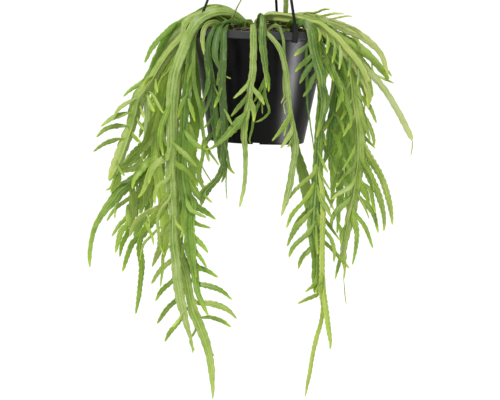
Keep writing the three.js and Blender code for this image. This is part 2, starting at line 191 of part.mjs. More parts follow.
  stem_left_longest: { kind: 'flat', main: [[-21.5,4,-251.9,4.2,2.6,0.81,0.59,0],[-21.5,4,-239.9,4.2,2.6,0.81,0.59,0],[-22.9,4.1,-237.2,4.2,2.4,0.59,0.43,0.68],[-36.5,5.1,-229.4,7.6,2.6,0.27,0.32,0.91],[-52.3,5.9,-231.1,10.2,2.6,-0.2,0.24,0.95],[-67.9,9.4,-234.9,10.1,2.6,-0.36,0.17,0.92],[-75.5,13.4,-240.4,10.1,2.6,-0.44,0.15,0.89],[-80,17.9,-242.9,10.2,2.6,-0.76,0.16,0.63],[-82,14.4,-247.2,10.2,2.6,-0.97,-0.01,0.26],[-83.1,9.2,-255.8,10.2,2.6,-1,0.03,-0.04],[-82.4,6.3,-263.5,10.2,2.6,-0.99,0.09,0.09],[-85,1.3,-282.9,10.4,2.6,-0.98,0.11,0.18],[-91,-2.6,-301.8,10.6,2.6,-0.98,0.15,0.14],[-90.2,-6.6,-321.6,10.8,2.6,-0.97,0.23,0],[-92.9,-8.9,-341.4,11.1,2.6,-0.95,0.32,-0.03],[-90.6,-11.9,-361.2,11.5,2.6,-0.91,0.41,-0.07],[-91.7,-12.9,-381.3,12,2.6,-0.88,0.48,-0.07],[-89.1,-16.4,-401,12.3,2.6,-0.85,0.51,-0.12],[-89.3,-18.1,-421.1,12.2,2.6,-0.84,0.52,-0.16],[-86,-24.2,-436.3,12,2.6,-0.85,0.48,-0.2],[-85.6,-21.8,-456.7,11.6,2.6,-0.89,0.44,-0.08],[-80.8,-22.1,-476.4,11.2,2.6,-0.92,0.37,-0.14],[-79.2,-22.3,-496.5,10.9,2.6,-0.94,0.27,-0.22],[-71.5,-23.8,-515.1,10.4,2.6,-0.93,0.19,-0.31],[-68.7,-24.7,-535.1,9.9,2.6,-0.96,0.12,-0.23],[-61.9,-26,-553.7,10.8,2.6,-0.95,0.1,-0.31],[-55.6,-27,-572.5,10.9,2.6,-0.9,0.11,-0.42],[-46.1,-28.4,-590.2,9.9,2.6,-0.92,0.16,-0.36],[-42,-29.3,-609.7,7.9,2.4,-0.95,0.24,-0.22],[-37.7,-30.8,-629.2,6.4,1.9,-0.94,0.33,-0.1],[-36.9,-32,-652.7,1.3,1,-0.9,0.43,-0.01]],
    sides: [
      [[-79.1,-22.3,-492.4,6.1,1.8,-0.47,0.52,-0.71],[-75.2,-20.1,-495.9,6.4,1.9,-0.82,0.45,-0.35],[-67,-12.7,-520.1,2,1,-0.89,0.44,-0.07]],
      [[-79.1,-22.3,-492.4,5.3,1.6,0.13,0.32,0.94],[-83.9,-20.8,-495.7,5.3,1.6,-0.78,0.4,0.47],[-98.8,-16.2,-513.7,5.7,1.7,-0.65,0.38,0.66],[-108.9,-12.7,-530.5,2.8,1,-0.78,0.39,0.48]],
      [[-75.1,-23.2,-507.9,4.9,1.5,-0.84,-0.13,0.52],[-87.8,-18.5,-527.6,5.1,1.5,-0.7,-0.13,0.7],[-103.9,-13.5,-549.1,2.1,1,-0.9,-0.13,0.41]],
      [[-69.6,-24.3,-527.1,5.1,1.5,-0.85,-0.3,0.44],[-82.4,-20,-547.8,5.7,1.7,-0.73,-0.3,0.61],[-101.1,-14.7,-573.9,2.4,1,-0.86,-0.3,0.42]],
      [[-63.9,-25.7,-550.2,4.9,1.5,-0.57,0.16,0.81],[-77.2,-21,-569.8,5.1,1.5,-0.77,0.19,0.61],[-91.9,-16,-593.5,2.1,1,-0.88,0.19,0.43]],
      [[-71.3,-23.8,-519.2,5.2,1.6,-0.55,-0.37,-0.75],[-46.6,-27,-529,6.6,2,-0.21,-0.38,-0.9],[-19.9,-30.3,-542.8,1.8,1,-0.62,-0.37,-0.69]],
      [[-67,-25,-538.7,5.1,1.5,-0.74,-0.3,-0.61],[-51.5,-27.1,-548.1,5.3,1.6,0.06,-0.32,-0.95],[-25.6,-30,-553.4,5.4,1.6,-0.48,-0.31,-0.82],[-13.9,-31.4,-563.2,1.9,1,-0.68,-0.3,-0.67]],
      [[-61.5,-26.2,-557.7,2.6,1,0.29,0.2,-0.94],[-60.6,-26.7,-557.5,2.5,0.9,-0.48,0.38,-0.79],[-51.5,-28.2,-563.6,3.4,1,0.01,0.38,-0.92],[-19.6,-32.6,-572.7,2.5,1,-0.47,0.38,-0.8]],
      [[-58.2,-26.6,-564.9,4.4,1.3,-0.96,-0.27,-0.06],[-61.7,-20.2,-598.7,2.1,1,-0.9,-0.27,-0.33]],
      [[-45.5,-28.5,-594.2,3.3,1,-0.74,-0.39,-0.56],[-36.8,-25.2,-606.4,1.6,1,-0.65,-0.38,-0.66]],
    ] },
  stem_left_inner: { kind: 'flat', main: [[-37.8,-14,-254,4.2,2.6,0.95,-0.32,0],[-37.8,-14,-242,4.2,2.6,0.95,-0.32,0],[-38.2,-15.8,-239.2,4.2,2.4,0.93,-0.32,0.17],[-39.6,-17.7,-238.8,4.4,2.1,0.68,-0.44,0.58],[-49.3,-22.4,-232.9,6.6,2.3,0.28,-0.35,0.89],[-60.4,-26.2,-236.1,9.1,2.6,-0.25,-0.28,0.92],[-67.4,-30.1,-238.3,9,2.6,-0.32,-0.21,0.92],[-74.6,-35.4,-244,9,2.6,-0.85,-0.28,0.46],[-75,-35,-249.2,9,2.6,-0.98,-0.2,0.08],[-74.3,-33.8,-257.7,9,2.6,-0.99,-0.13,-0.1],[-74.2,-33.4,-265.6,9.4,2.6,-1,-0.09,0.01],[-73.2,-33.5,-285.5,11.4,2.6,-1,0,0.06],[-77.1,-33.4,-305.2,10.4,2.6,-0.99,0.08,0.12],[-77.9,-32.9,-325.1,9.5,2.6,-0.99,0.13,0.1],[-80.4,-31.1,-344.9,9.6,2.6,-0.99,0.14,0.04],[-79.1,-29.5,-364.8,9.7,2.6,-0.99,0.11,0.02],[-80.7,-27.7,-384.7,9.8,2.6,-1,0.04,-0.01],[-78.6,-26.3,-404.4,10.7,2.6,-1,-0.04,-0.04],[-77.5,-26.4,-424.1,13.1,2.6,-0.96,-0.14,-0.23],[-70.8,-26.1,-442.7,11,2.6,-0.96,-0.22,-0.18],[-71.2,-27.3,-462.7,10.4,2.6,-0.96,-0.28,-0.01],[-68.8,-28,-482.6,10.5,2.6,-0.95,-0.31,-0.03],[-65.5,-29.9,-502,9.9,2.6,-0.91,-0.3,-0.28],[-59.9,-30.8,-521.1,8.4,2.5,-0.96,-0.26,-0.12],[-56.2,-32.5,-540.4,6.1,1.8,-0.89,-0.19,-0.41],[-44.9,-34,-561,1.7,1,-0.85,-0.07,-0.52]],
    sides: [
      [[-76.4,-26.2,-423.8,6.4,1.9,-0.66,0.3,-0.69],[-66.5,-28.9,-444.1,9.7,2.6,-0.95,0.31,-0.02],[-66.6,-31.3,-468.2,7.9,2.4,-0.94,0.31,-0.14],[-63.8,-33.6,-492.1,6.9,2.1,-0.94,0.31,-0.1],[-59.8,-36,-519.7,1.9,1,-0.93,0.31,-0.2]],
      [[-69.8,-28,-478.6,4.2,1.3,-0.64,-0.11,-0.76],[-55.7,-32.4,-498,4.1,1.2,-0.78,-0.09,-0.62],[-49,-34.5,-508.2,1.8,1,-0.87,-0.08,-0.48]],
      [[-70.1,-27.3,-466.7,4.9,1.5,-0.81,-0.14,-0.57],[-48,-33.7,-492.1,2.1,1,-0.83,-0.14,-0.54]],
      [[-67.7,-29.1,-494.4,4.9,1.5,-0.84,-0.12,-0.52],[-52.8,-26.3,-510.6,5.7,1.7,-0.25,-0.1,-0.96],[-36,-24.2,-519.3,2.3,1,-0.49,-0.11,-0.86]],
      [[-71.1,-26.4,-446.8,4.6,1.4,-0.93,0.37,0.03],[-64.1,-23.5,-459.7,5.6,1.7,-0.63,0.38,-0.68],[-45.9,-20,-465.8,2.2,1,-0.3,0.4,-0.86]],
      [[-75.4,-26.6,-427.6,4.9,1.5,-0.7,-0.17,-0.69],[-56.5,-21.9,-446.1,6.8,2,-0.46,-0.15,-0.88],[-40.9,-18.7,-456.2,1.9,1,-0.55,-0.17,-0.82]],
      [[-76.4,-26.2,-423.8,3.7,1.1,-0.96,-0.13,-0.25],[-65.4,-32.8,-447.4,4.9,1.5,-0.53,-0.12,-0.84],[-51.1,-36.1,-453,2.3,1,-0.39,-0.13,-0.91]],
      [[-79.8,-30.5,-352.9,5.1,1.5,-0.96,-0.27,0.07],[-67.4,-36.3,-371.8,5.7,1.7,-0.69,-0.31,-0.65],[-57.4,-38.3,-377.8,3.8,1.2,-0.37,-0.33,-0.87]],
      [[-79.5,-26.4,-404.5,2.7,1.1,0.08,-0.04,-1],[-78.5,-25.6,-404.4,2.9,1.2,-0.6,-0.26,-0.76],[-63.7,-19.8,-427.3,7.7,2.3,-0.75,-0.32,-0.59],[-54.1,-16.8,-438.6,1.6,1,-0.66,-0.31,-0.69]],
      [[-79.9,-28.1,-380.7,4.9,1.5,-0.84,0.17,-0.51],[-65.5,-20.3,-401.9,4.5,1.3,-0.84,0.18,-0.51],[-55.5,-15.2,-417.4,1.8,1,-0.86,0.17,-0.48]],
      [[-79.6,-31.2,-344.9,5,1.5,-0.76,-0.21,-0.61],[-67.6,-22.7,-368.5,5.6,1.7,-0.92,-0.21,-0.33],[-64.6,-18.3,-383.4,1.9,1,-0.95,-0.22,-0.24]],
      [[-78.7,-32.7,-325.1,5.2,1.6,-0.06,-0.61,-0.79],[-76.2,-34,-324.3,5.3,1.6,-0.64,-0.47,-0.61],[-67.4,-42.4,-348.7,2,1,-0.92,-0.36,-0.14]],
      [[-77.8,-33.2,-317.2,5.9,1.8,-0.87,-0.48,0.05],[-78.4,-36.8,-321.7,5.8,1.7,-0.74,-0.34,0.58],[-86,-49.3,-344.6,2,1,-0.87,-0.36,0.34]],
      [[-79.8,-30.1,-356.8,5.8,1.7,-0.84,0.33,0.44],[-87.2,-19.3,-386,1.9,1,-0.94,0.34,0.09]],
      [[-74.5,-26.5,-431.5,5.5,1.7,-0.27,0.08,0.96],[-78.9,-18.3,-436.4,5.4,1.6,-0.78,0.37,0.5],[-81.1,-14,-465.4,2.1,1,-0.88,0.47,0.04]],
      [[-69.9,-27.8,-474.7,4.9,1.5,-0.88,-0.14,0.46],[-76.1,-35.8,-498.5,1.8,1,-0.99,-0.15,0.06]],
      [[-74.2,-33.5,-285.5,5.8,1.7,-0.89,-0.33,0.3],[-82.1,-23.8,-315.3,1.9,1,-0.94,-0.33,-0.02]],
    ] },
  stem_left_thin: { kind: 'flat', main: [[-48.2,-35.8,-257.6,4.2,2.6,0.88,0.48,0],[-48.2,-35.8,-245.6,3.8,2.5,0.88,0.48,0],[-49.7,-36.2,-243.8,3.8,2.3,0.18,0.1,0.98],[-57.2,-37.1,-243.1,3.8,1.6,0.17,0.16,0.97],[-65.3,-42.7,-244,3.5,1,-0.57,0.05,0.82],[-68.1,-42.3,-247,3.4,1,-0.81,0.13,0.57],[-70.9,-42.5,-254.7,3.4,1,-0.97,0.17,0.19],[-71.6,-43.5,-262.4,3.4,1,-0.98,0.18,-0.03],[-71.5,-43.8,-282.2,4,1.2,-0.97,0.24,-0.01],[-70.3,-42.7,-302,4.6,1.4,-0.95,0.3,-0.1],[-65.9,-41.4,-321.3,4.6,1.4,-0.9,0.36,-0.25],[-61,-41,-340.6,4,1.2,-0.89,0.42,-0.19],[-57.8,-41.8,-360.2,4.4,1.3,-0.87,0.46,-0.18],[-51.8,-42.9,-379.1,4.5,1.3,-0.72,0.48,-0.5],[-39.7,-44,-394.7,1.9,1,-0.69,0.49,-0.53]],
    sides: [
      [[-55.1,-42.4,-371.8,3.8,1.1,-0.94,0.26,-0.21],[-55.3,-43.2,-372.1,4,1.2,-0.92,0.28,-0.27],[-50.1,-47.3,-391.3,2.1,1,-0.9,0.29,-0.33]],
      [[-57.1,-42,-364.1,3.6,1.1,-0.96,-0.07,0.26],[-58.1,-40.3,-388.1,3.8,1.1,-0.99,-0.07,0.12],[-60,-38.3,-411.9,5,1.5,-0.95,-0.06,-0.3],[-51.9,-37.2,-425.4,1.5,1,-0.82,-0.06,-0.57]],
      [[-58.7,-40,-392.1,2,1,-0.85,0.26,-0.46],[-59.2,-40.6,-391.6,2,1,-0.92,-0.38,0.07],[-46.4,-44.8,-414.1,1.2,1,-0.76,-0.44,-0.47]],
      [[-71.5,-43.8,-282.2,4.9,1.5,-0.95,0.12,0.3],[-77.7,-37.3,-307.9,1.8,1,-0.97,0.12,0.23]],
    ] },
  stem_left_short: { kind: 'flat', main: [[-39.8,-40,-256.8,4.2,2.6,0.97,-0.25,0],[-39.8,-40,-244.8,4.2,2.6,0.97,-0.25,0],[-40.8,-41.6,-242.3,4.2,2.4,0.76,-0.2,0.62],[-50.1,-46.6,-238.8,4.8,1.6,0.09,-0.16,0.98],[-56.6,-50.1,-240.5,5.3,1.6,-0.43,-0.16,0.89],[-60.8,-53.2,-245.8,5.5,1.7,-0.89,-0.17,0.42],[-62.4,-55.6,-253.1,5.5,1.7,-0.99,-0.1,0.12],[-62.3,-57.4,-260.7,4.9,1.5,-0.99,-0.07,-0.09],[-59,-60.1,-275.5,1.6,1,-0.97,-0.03,-0.25]],
    sides: [
    ] },
  stem_front_left_dark: { kind: 'flat', main: [[-20.2,-40,-254.7,4.2,2.6,0.99,0.16,0],[-20.2,-40,-242.7,4.2,2.6,0.99,0.16,0],[-20.9,-41.6,-240.2,4.2,2.4,0.62,0.1,0.78],[-26.6,-44.8,-238.4,4,1.6,0.28,0.2,0.94],[-33.5,-47.4,-237.2,3.7,1,-0.18,0.18,0.97],[-43.6,-50.2,-240.9,3.6,1.1,-0.5,0.12,0.86],[-49.6,-60.7,-244.4,3.9,1.2,-0.74,0,0.67],[-51.4,-61.9,-247.4,4.1,1.2,-0.89,0.02,0.46],[-55.5,-64.9,-257.2,5.1,1.5,-0.97,0.03,0.24],[-55.1,-67.4,-276.6,7.9,2.4,-0.99,-0.05,-0.1],[-53.2,-65.6,-296,8.7,2.6,-0.97,-0.11,-0.21],[-48.8,-60.9,-314.5,8.9,2.6,-0.98,-0.13,-0.16],[-48.1,-56.9,-333.9,8.2,2.5,-0.99,-0.1,-0.12],[-45,-53.3,-353.2,6.5,2,-1,-0.03,-0.09],[-44.1,-50,-372.6,2.5,1,-1,0.07,-0.06]],
    sides: [
      [[-50.6,-62.9,-307.1,5,1.5,-0.95,0.26,-0.17],[-45.5,-60.8,-334.1,6.3,1.9,-0.96,0.26,-0.14],[-41.2,-58.8,-361.3,5.9,1.8,-0.96,0.26,-0.08],[-35.3,-56.5,-395.8,1.7,1,-0.88,0.26,-0.4]],
      [[-51.8,-64.7,-299.5,4.8,1.5,-0.99,0.05,-0.09],[-53.6,-69.2,-326.9,3.7,1.1,-0.96,0.06,0.27],[-57.6,-71.1,-337.9,1.8,1,-0.94,0.05,0.35]],
      [[-47.8,-57.5,-329.9,4.3,1.3,-0.98,-0.18,-0.01],[-57.3,-65.7,-353.6,2.1,1,-0.72,-0.16,0.67]],
      [[-54,-66.8,-288.4,5.3,1.6,-0.92,0.4,-0.04],[-56.5,-72.4,-314.1,4.3,1.3,-0.9,0.41,0.15],[-59.5,-74.8,-324.7,2,1,-0.9,0.4,0.16]],
      [[-50.6,-62.9,-307.1,3.7,1.1,-0.15,-0.1,-0.98],[-42.2,-69.4,-317.8,1.8,1,-0.84,0.12,-0.52]],
      [[-45.6,-53.3,-353.3,5.2,1.6,-0.89,0.44,0.11],[-52.5,-49.6,-366.2,6.1,1.8,-0.79,0.36,0.5],[-57,-47,-377.5,2,1,-0.84,0.37,0.4]],
    ] },
  stem_front_left_short: { kind: 'flat', main: [[-38.3,-46.2,-257.6,4.2,2.6,1,-0.07,0],[-38.3,-46.2,-245.6,4.2,2.6,1,-0.07,0],[-38.6,-51.2,-242.3,4.2,2.1,0.98,-0.06,0.19],[-40.8,-56.2,-241.1,4.3,1.5,0.71,-0.4,0.57],[-43.6,-64.7,-243.9,5.5,1.7,0.96,-0.29,-0.02],[-46.7,-70.6,-252.3,7.3,2.2,0.98,-0.16,-0.13],[-47.7,-80.6,-270,7.2,2.2,0.99,-0.12,0.07],[-45.7,-82.9,-281.3,5.1,1.5,0.89,-0.08,0.45],[-37,-83.2,-294.6,2.6,1,0.65,0.01,0.76],[-29.8,-86.6,-297.5,1.3,1,0.3,0.09,0.95]],
    sides: [
    ] },
  stem_front_left_wide: { kind: 'flat', main: [[-32.3,-50.6,-257.6,4.2,2.6,1,-0.05,0],[-32.3,-50.6,-245.6,4.2,2.6,1,-0.05,0],[-33,-54,-242.6,4.2,2.2,0.9,-0.05,0.43],[-35.9,-61.5,-241.5,4.8,1.6,0.72,-0.26,0.64],[-38.2,-68.4,-243.7,5.6,1.8,0.89,-0.42,0.19],[-39.1,-75.1,-250.9,6.7,2,0.96,-0.25,0.12],[-39.4,-78,-258.9,7.4,2.2,0.96,-0.26,0.11],[-39.7,-86,-278.6,7.8,2.3,0.97,-0.22,0.1],[-38.7,-86.4,-294.7,7.8,2.3,0.99,-0.16,-0.04],[-39.8,-82.2,-306.9,7.9,2.4,0.99,-0.1,0.04],[-36.4,-77.1,-326.6,8.4,2.5,0.99,0.03,0.13],[-35.7,-73.2,-346.4,8.8,2.6,0.98,0.16,0.11],[-33.2,-69.3,-366.1,8,2.4,0.97,0.25,0.02],[-35.3,-66.4,-386,7.6,2.3,0.95,0.28,0.11],[-32.5,-63.8,-401.4,4.7,1.4,0.95,0.3,-0.06],[-35.9,-62,-412.4,1.5,1,0.92,0.26,-0.28]],
    sides: [
      [[-33.9,-69.4,-366.1,3.7,1.1,-0.96,-0.1,0.26],[-28.6,-74.1,-391.9,3.1,1,-0.97,-0.14,-0.21],[-21.4,-75.9,-401.2,1.7,1,-0.6,-0.17,-0.78]],
      [[-34.6,-66.3,-385.9,6.4,1.9,-0.93,-0.33,0.14],[-41.7,-62.8,-409.1,7,2.1,-0.79,-0.33,0.52],[-56.9,-58.2,-438.2,2.5,1,-0.94,-0.34,0.01]],
      [[-52.4,-60.6,-420.6,4.9,1.5,-0.96,0.23,0.17],[-45,-67.1,-434.2,1.6,1,-0.6,0.12,-0.79]],
      [[-33.3,-65,-393.6,2,1,-0.93,0.12,-0.36],[-30.6,-68.3,-417.8,1.1,0.9,-0.98,0.13,-0.11],[-29.2,-69.9,-429.9,1,0.8,-0.98,0.13,-0.13]],
      [[-36.6,-76.3,-330.6,4.2,1.3,-0.84,-0.05,-0.54],[-26.8,-83.8,-347.8,1.8,1,-0.9,-0.04,-0.43]],
      [[-36.1,-75.4,-334.6,5.7,1.7,-0.88,0.28,0.38],[-43.2,-67.4,-362.5,1.9,1,-0.93,0.28,0.24]],
      [[-39.1,-82.3,-306.9,5,1.5,-0.94,0.25,0.23],[-46.9,-87.2,-330,1.9,1,-0.92,0.26,0.29]],
      [[-39,-86.2,-278.6,4.3,1.3,-0.94,0.12,0.31],[-40.5,-80.6,-285.8,4.5,1.4,-0.95,0.17,0.28],[-44.7,-77.4,-306.6,1.8,1,-0.97,0.17,0.19]],
    ] },
  stem_front_centre: { kind: 'flat', main: [[-8.2,-58,-257.3,4.2,2.6,1,0.06,0],[-8.2,-58,-245.3,4.2,2.6,1,0.06,0],[-8.3,-60.8,-242.1,4.2,2.3,0.99,0.06,0.09],[-8.4,-66.9,-239.3,4.9,1.8,0.99,0.02,0.11],[-8.4,-70,-238.9,5.4,2,0.99,0.01,0.11],[-7.9,-76.2,-243.2,6.6,2.1,0.99,-0.04,0.14],[-7.5,-82,-249.7,7.3,2.2,0.99,-0.09,0.1],[-7,-82.9,-257.6,7.5,2.2,0.99,-0.12,0.04],[-6.7,-81.8,-265.6,7.7,2.3,0.99,-0.14,0.01],[-5.7,-81.5,-285.5,7.8,2.3,0.98,-0.22,0],[-9.3,-80.3,-305.1,7.9,2.4,0.95,-0.31,-0.08],[-9.5,-78.6,-324.9,7.4,2.2,0.91,-0.38,-0.18],[-14.1,-75.5,-344.1,8.7,2.6,0.88,-0.45,-0.16],[-13.1,-73.6,-363.8,7.7,2.3,0.87,-0.49,0.07],[-11.7,-70.6,-383.3,5.9,1.8,0.88,-0.48,-0.02],[-10.7,-68.4,-403.1,4.9,1.5,0.9,-0.44,-0.06],[-12.5,-65.9,-422.7,4.4,1.3,0.9,-0.37,-0.23],[-15.4,-64,-438,1.7,1,0.93,-0.3,-0.2]],
    sides: [
      [[-11.5,-77.3,-332.5,8.5,2.5,-0.84,0.04,0.55],[-27.8,-80.9,-354.9,8.4,2.5,-0.79,0.04,0.61],[-55.5,-85.4,-375.4,1.5,1,-0.15,0.06,0.99]],
      [[-8,-81.1,-297.3,4.7,1.4,-0.5,0.5,0.71],[-13.3,-83.5,-305.3,5,1.5,-0.81,0.4,0.42],[-26.3,-87.5,-318.9,2,1,-0.67,0.42,0.61]],
      [[-9.1,-79.7,-313,5,1.5,-0.37,-0.37,0.85],[-12.8,-78.2,-317.1,5.5,1.6,-0.88,-0.25,0.41],[-28.3,-73.2,-339.3,1.9,1,-0.82,-0.26,0.51]],
      [[-8.4,-80.8,-301.3,5.5,1.6,-0.96,-0.04,-0.28],[7.4,-87,-324.7,1.8,1,-0.86,-0.08,-0.5]],
      [[-9.1,-79.7,-313,5.6,1.7,-0.95,0.21,-0.25],[-3.7,-87.8,-343.4,1.9,1,-0.98,0.2,0]],
      [[-12.9,-76.3,-340.3,4,1.2,-0.8,0.37,-0.47],[-12.9,-82.8,-358.7,2,1,-0.9,0.41,0.14]],
    ] },
  stem_front_looped: { kind: 'flat', main: [[-15.9,-34,-253.6,4.2,2.6,0.92,0.4,0],[-15.9,-34,-241.6,4.2,2.6,0.92,0.4,0],[-14.6,-36.4,-239.2,4.2,2.3,0.63,0.28,-0.72],[-11.6,-39.1,-239.8,4.1,1.9,0.06,0.32,-0.95],[-3.9,-47.6,-241.2,3.6,1,0.26,-0.26,-0.93],[-1.3,-59.6,-232.5,5.4,1.6,0.91,-0.12,-0.39],[0.3,-65.7,-228.9,6.5,2,0.7,0.2,-0.68],[2.2,-68.7,-228.7,7.2,2.1,0.5,0.39,-0.77],[2.6,-71.8,-230.5,7.3,2.2,0.74,0.41,-0.54],[2.6,-77.6,-235.5,7.6,2.3,0.97,0.17,-0.18],[2.4,-81.6,-241.5,8.2,2.5,1,0.07,-0.07],[1.5,-82.4,-252,8.3,2.5,1,0.04,0.05],[3,-84,-259.8,8.3,2.5,0.99,0.06,0.14],[6.6,-85.9,-279.1,6.8,2,0.98,0.09,0.16],[8.9,-86,-306.3,1.7,1,0.98,0.18,0.05]],
    sides: [
      [[6.7,-86.1,-283,3.8,1.1,-0.88,-0.27,-0.4],[11.2,-92.5,-310.2,1.5,1,-0.96,-0.25,0.12]],
      [[8.4,-86.1,-298.5,3.3,1,-0.91,0.37,0.21],[11.1,-83.6,-324.8,3.3,1,-0.87,0.41,-0.28],[10.6,-82.6,-335.6,2.9,1,-0.71,0.39,0.58],[-2.1,-81.3,-343.8,1.6,1,-0.24,0.38,0.89]],
      [[7.7,-86.1,-290.8,4.6,1.4,-0.89,0.37,0.25],[-4,-77.6,-322.4,2,1,-0.79,0.36,0.49]],
      [[8.9,-86,-306.3,3.9,1.2,-0.78,0.35,0.51],[-0.7,-80.5,-328.4,3.9,1.2,-0.85,0.38,0.38],[-4.9,-76.1,-352.1,2.7,1,-0.9,0.37,0.22],[-6.1,-73.2,-367.8,1.6,1,-0.89,0.41,-0.21]],
      [[7.3,-85,-310,2.7,1,-0.87,0.41,0.26],[5.6,-78.6,-335,1.3,1,-0.91,0.41,-0.02]],
    ] },
  stem_front_thin: { kind: 'flat', main: [[3.7,-52,-256,4.2,2.6,0.93,0.37,0],[3.7,-52,-244,4.2,2.6,0.93,0.37,0],[4.3,-54.3,-242.5,4.2,2.4,0.93,0.37,-0.05],[7.2,-59.1,-245.2,3.8,1.7,0.44,0.61,0.66],[12.3,-63.5,-240.6,3.4,1,-0.23,0.44,0.87],[18.3,-68,-239.4,2.9,1,0.37,0.11,0.92],[21.2,-72.4,-242.4,2.9,1,0.92,0.04,0.4],[23.6,-75.5,-248.5,3.1,1,0.94,0.22,0.26],[25.5,-77.1,-256.2,3.2,1,0.96,0.25,0.09],[26.1,-78,-264.2,3.2,1,0.96,0.26,0.07],[27.7,-78.4,-284.1,3,1,0.98,0.2,-0.02],[27.5,-77.4,-304.1,2.7,1,0.99,0.11,0.06],[25.2,-76,-323,1.3,1,0.9,0.02,-0.44]],
    sides: [
    ] },
  stem_front_right: { kind: 'flat', main: [[1.5,-60,-257.6,4.2,2.6,1,0,0],[1.5,-60,-245.6,4.2,2.6,1,0,0],[1.9,-62.6,-242.4,4.2,2.3,0.97,0,-0.24],[3.5,-68.5,-240.1,4.3,1.6,0.88,0.18,-0.43],[4.4,-71.6,-239.9,4.3,1.3,0.9,0.31,-0.32],[5.5,-77,-244.2,4.4,1.3,0.97,0.24,0.1],[6.5,-78.2,-246.6,4.4,1.3,0.82,0.27,0.5],[12,-80.3,-251.3,4.7,1.4,0.74,0.18,0.65],[16.9,-81.9,-257.5,5.3,1.6,0.78,0.14,0.61],[26.4,-83.1,-274.8,5.8,1.7,0.95,0.1,0.3],[29.8,-83,-294.4,6.3,1.9,0.99,0.05,0.12],[33.2,-81,-313.8,5.9,1.8,0.99,-0.03,0.11],[35.4,-78.2,-333.3,5.2,1.6,0.97,-0.11,0.2],[40.9,-75.5,-352.3,6,1.8,0.97,-0.17,0.16],[42,-72.9,-371.9,7.8,2.3,0.98,-0.21,-0.02],[41.2,-71.3,-391.7,7.3,2.2,0.96,-0.22,-0.16],[37.6,-69.3,-411.2,7.2,2.2,0.97,-0.19,-0.17],[34.8,-67.9,-430.8,6,1.8,0.96,-0.14,-0.24],[30.3,-66,-445.6,1.9,1,0.96,-0.08,-0.28]],
    sides: [
      [[34.3,-79.3,-325.5,4.7,1.4,-0.9,-0.43,-0.09],[26.5,-83.5,-350.8,5,1.5,-0.73,-0.41,0.55],[17,-85.8,-363.3,2,1,-0.68,-0.41,0.61]],
      [[35.9,-78.2,-333.2,2.7,1,-0.47,0.09,0.88],[33.9,-76.8,-338.1,2.7,1,-0.95,0.24,0.21],[29.8,-73.4,-358.2,1.5,1,-0.94,0.24,0.23]],
      [[37.7,-77.1,-340.9,4.3,1.3,-0.98,0.18,-0.12],[26.5,-83.5,-371.2,2.1,1,-0.84,0.2,0.51]],
      [[40.4,-75.4,-352.4,3.6,1.1,-0.95,-0.3,-0.05],[34.1,-68.9,-370.8,2.2,1,-0.87,-0.33,0.37]],
      [[33.1,-80.4,-317.8,1.8,1,-0.57,-0.05,0.82],[28.2,-82.4,-323.3,1.8,1,-0.98,-0.07,0.2],[30.5,-85.3,-334.7,1.2,1,-0.97,-0.12,-0.2]],
      [[39.6,-76,-348.5,4.5,1.3,-0.93,0.31,-0.21],[46.3,-67.9,-373.2,1.9,1,-0.95,0.31,-0.09]],
    ] },
  stem_right_front_short: { kind: 'flat', main: [[37.2,-47.1,-257.6,4.2,2.6,0.97,-0.23,0],[37.2,-47.1,-245.6,4.2,2.6,0.97,-0.23,0],[38,-51.4,-241.8,4.3,2.1,0.79,-0.19,-0.58],[42.4,-58.1,-236.9,5,1.7,0.58,-0.3,-0.75],[46.9,-59.5,-233.7,5.8,1.8,-0.34,-0.17,-0.92],[49,-61.1,-235.7,7.1,2.2,-0.76,-0.16,-0.63],[55.3,-65.4,-243.6,9.8,2.6,-0.92,-0.29,-0.25],[56.3,-67.9,-250.9,10.4,2.6,-0.94,-0.32,-0.1],[59.5,-70,-270.8,9.8,2.6,-0.92,-0.3,-0.26],[67.9,-69.7,-289.4,10.6,2.6,-0.93,-0.24,-0.27],[70,-69.3,-309.5,8.9,2.6,-0.93,-0.18,-0.31],[73.6,-67.7,-324.7,9.1,2.6,-0.98,-0.17,0.11],[68.5,-65.8,-344,5.6,1.7,-0.96,-0.15,0.23],[65.3,-64,-359.4,1.7,1,-0.97,-0.16,0.19]],
    sides: [
      [[56.9,-68.6,-254.9,4.9,1.5,-0.19,0.17,0.97],[49.3,-71.2,-261,5.3,1.6,-0.65,0.08,0.76],[37.3,-74.9,-271.1,1.8,1,-0.68,0.06,0.73]],
      [[58.2,-69.4,-262.8,5.9,1.8,-0.88,-0.39,0.27],[39,-75.8,-288.4,2,1,-0.68,-0.39,0.62]],
      [[60.3,-69.8,-270.6,5.5,1.6,-0.95,0.13,0.28],[44.4,-76.2,-301.1,1.8,1,-0.92,0.12,0.38]],
      [[68.9,-69.6,-301.5,3.7,1.1,-0.94,-0.03,0.35],[70.1,-71.7,-306.4,4,1.2,-0.92,-0.23,-0.32],[73.3,-76.1,-321.7,1.9,1,-0.98,-0.21,-0.05]],
      [[65.7,-69.9,-285.8,6,1.8,-0.4,0.47,0.79],[58.8,-72.1,-294.1,6.4,1.9,-0.86,0.41,0.31],[48.7,-76.4,-315,2,1,-0.78,0.4,0.47]],
      [[56.3,-67.9,-250.9,3.7,1.1,-0.45,-0.15,0.88],[51.9,-68,-256.4,3.7,1.1,-0.96,-0.17,0.24],[51.3,-69.4,-280.5,3.6,1.1,-0.99,-0.15,-0.06],[52.7,-70.8,-304.6,3.1,1,-0.99,-0.15,-0.02],[54.6,-72.1,-328.7,1.9,1,-0.97,-0.15,-0.18],[59.1,-73.2,-352.4,1.5,1,-0.97,-0.15,-0.19],[62.4,-74.1,-372.3,1.1,0.9,-0.99,-0.15,-0.08]],
    ] },
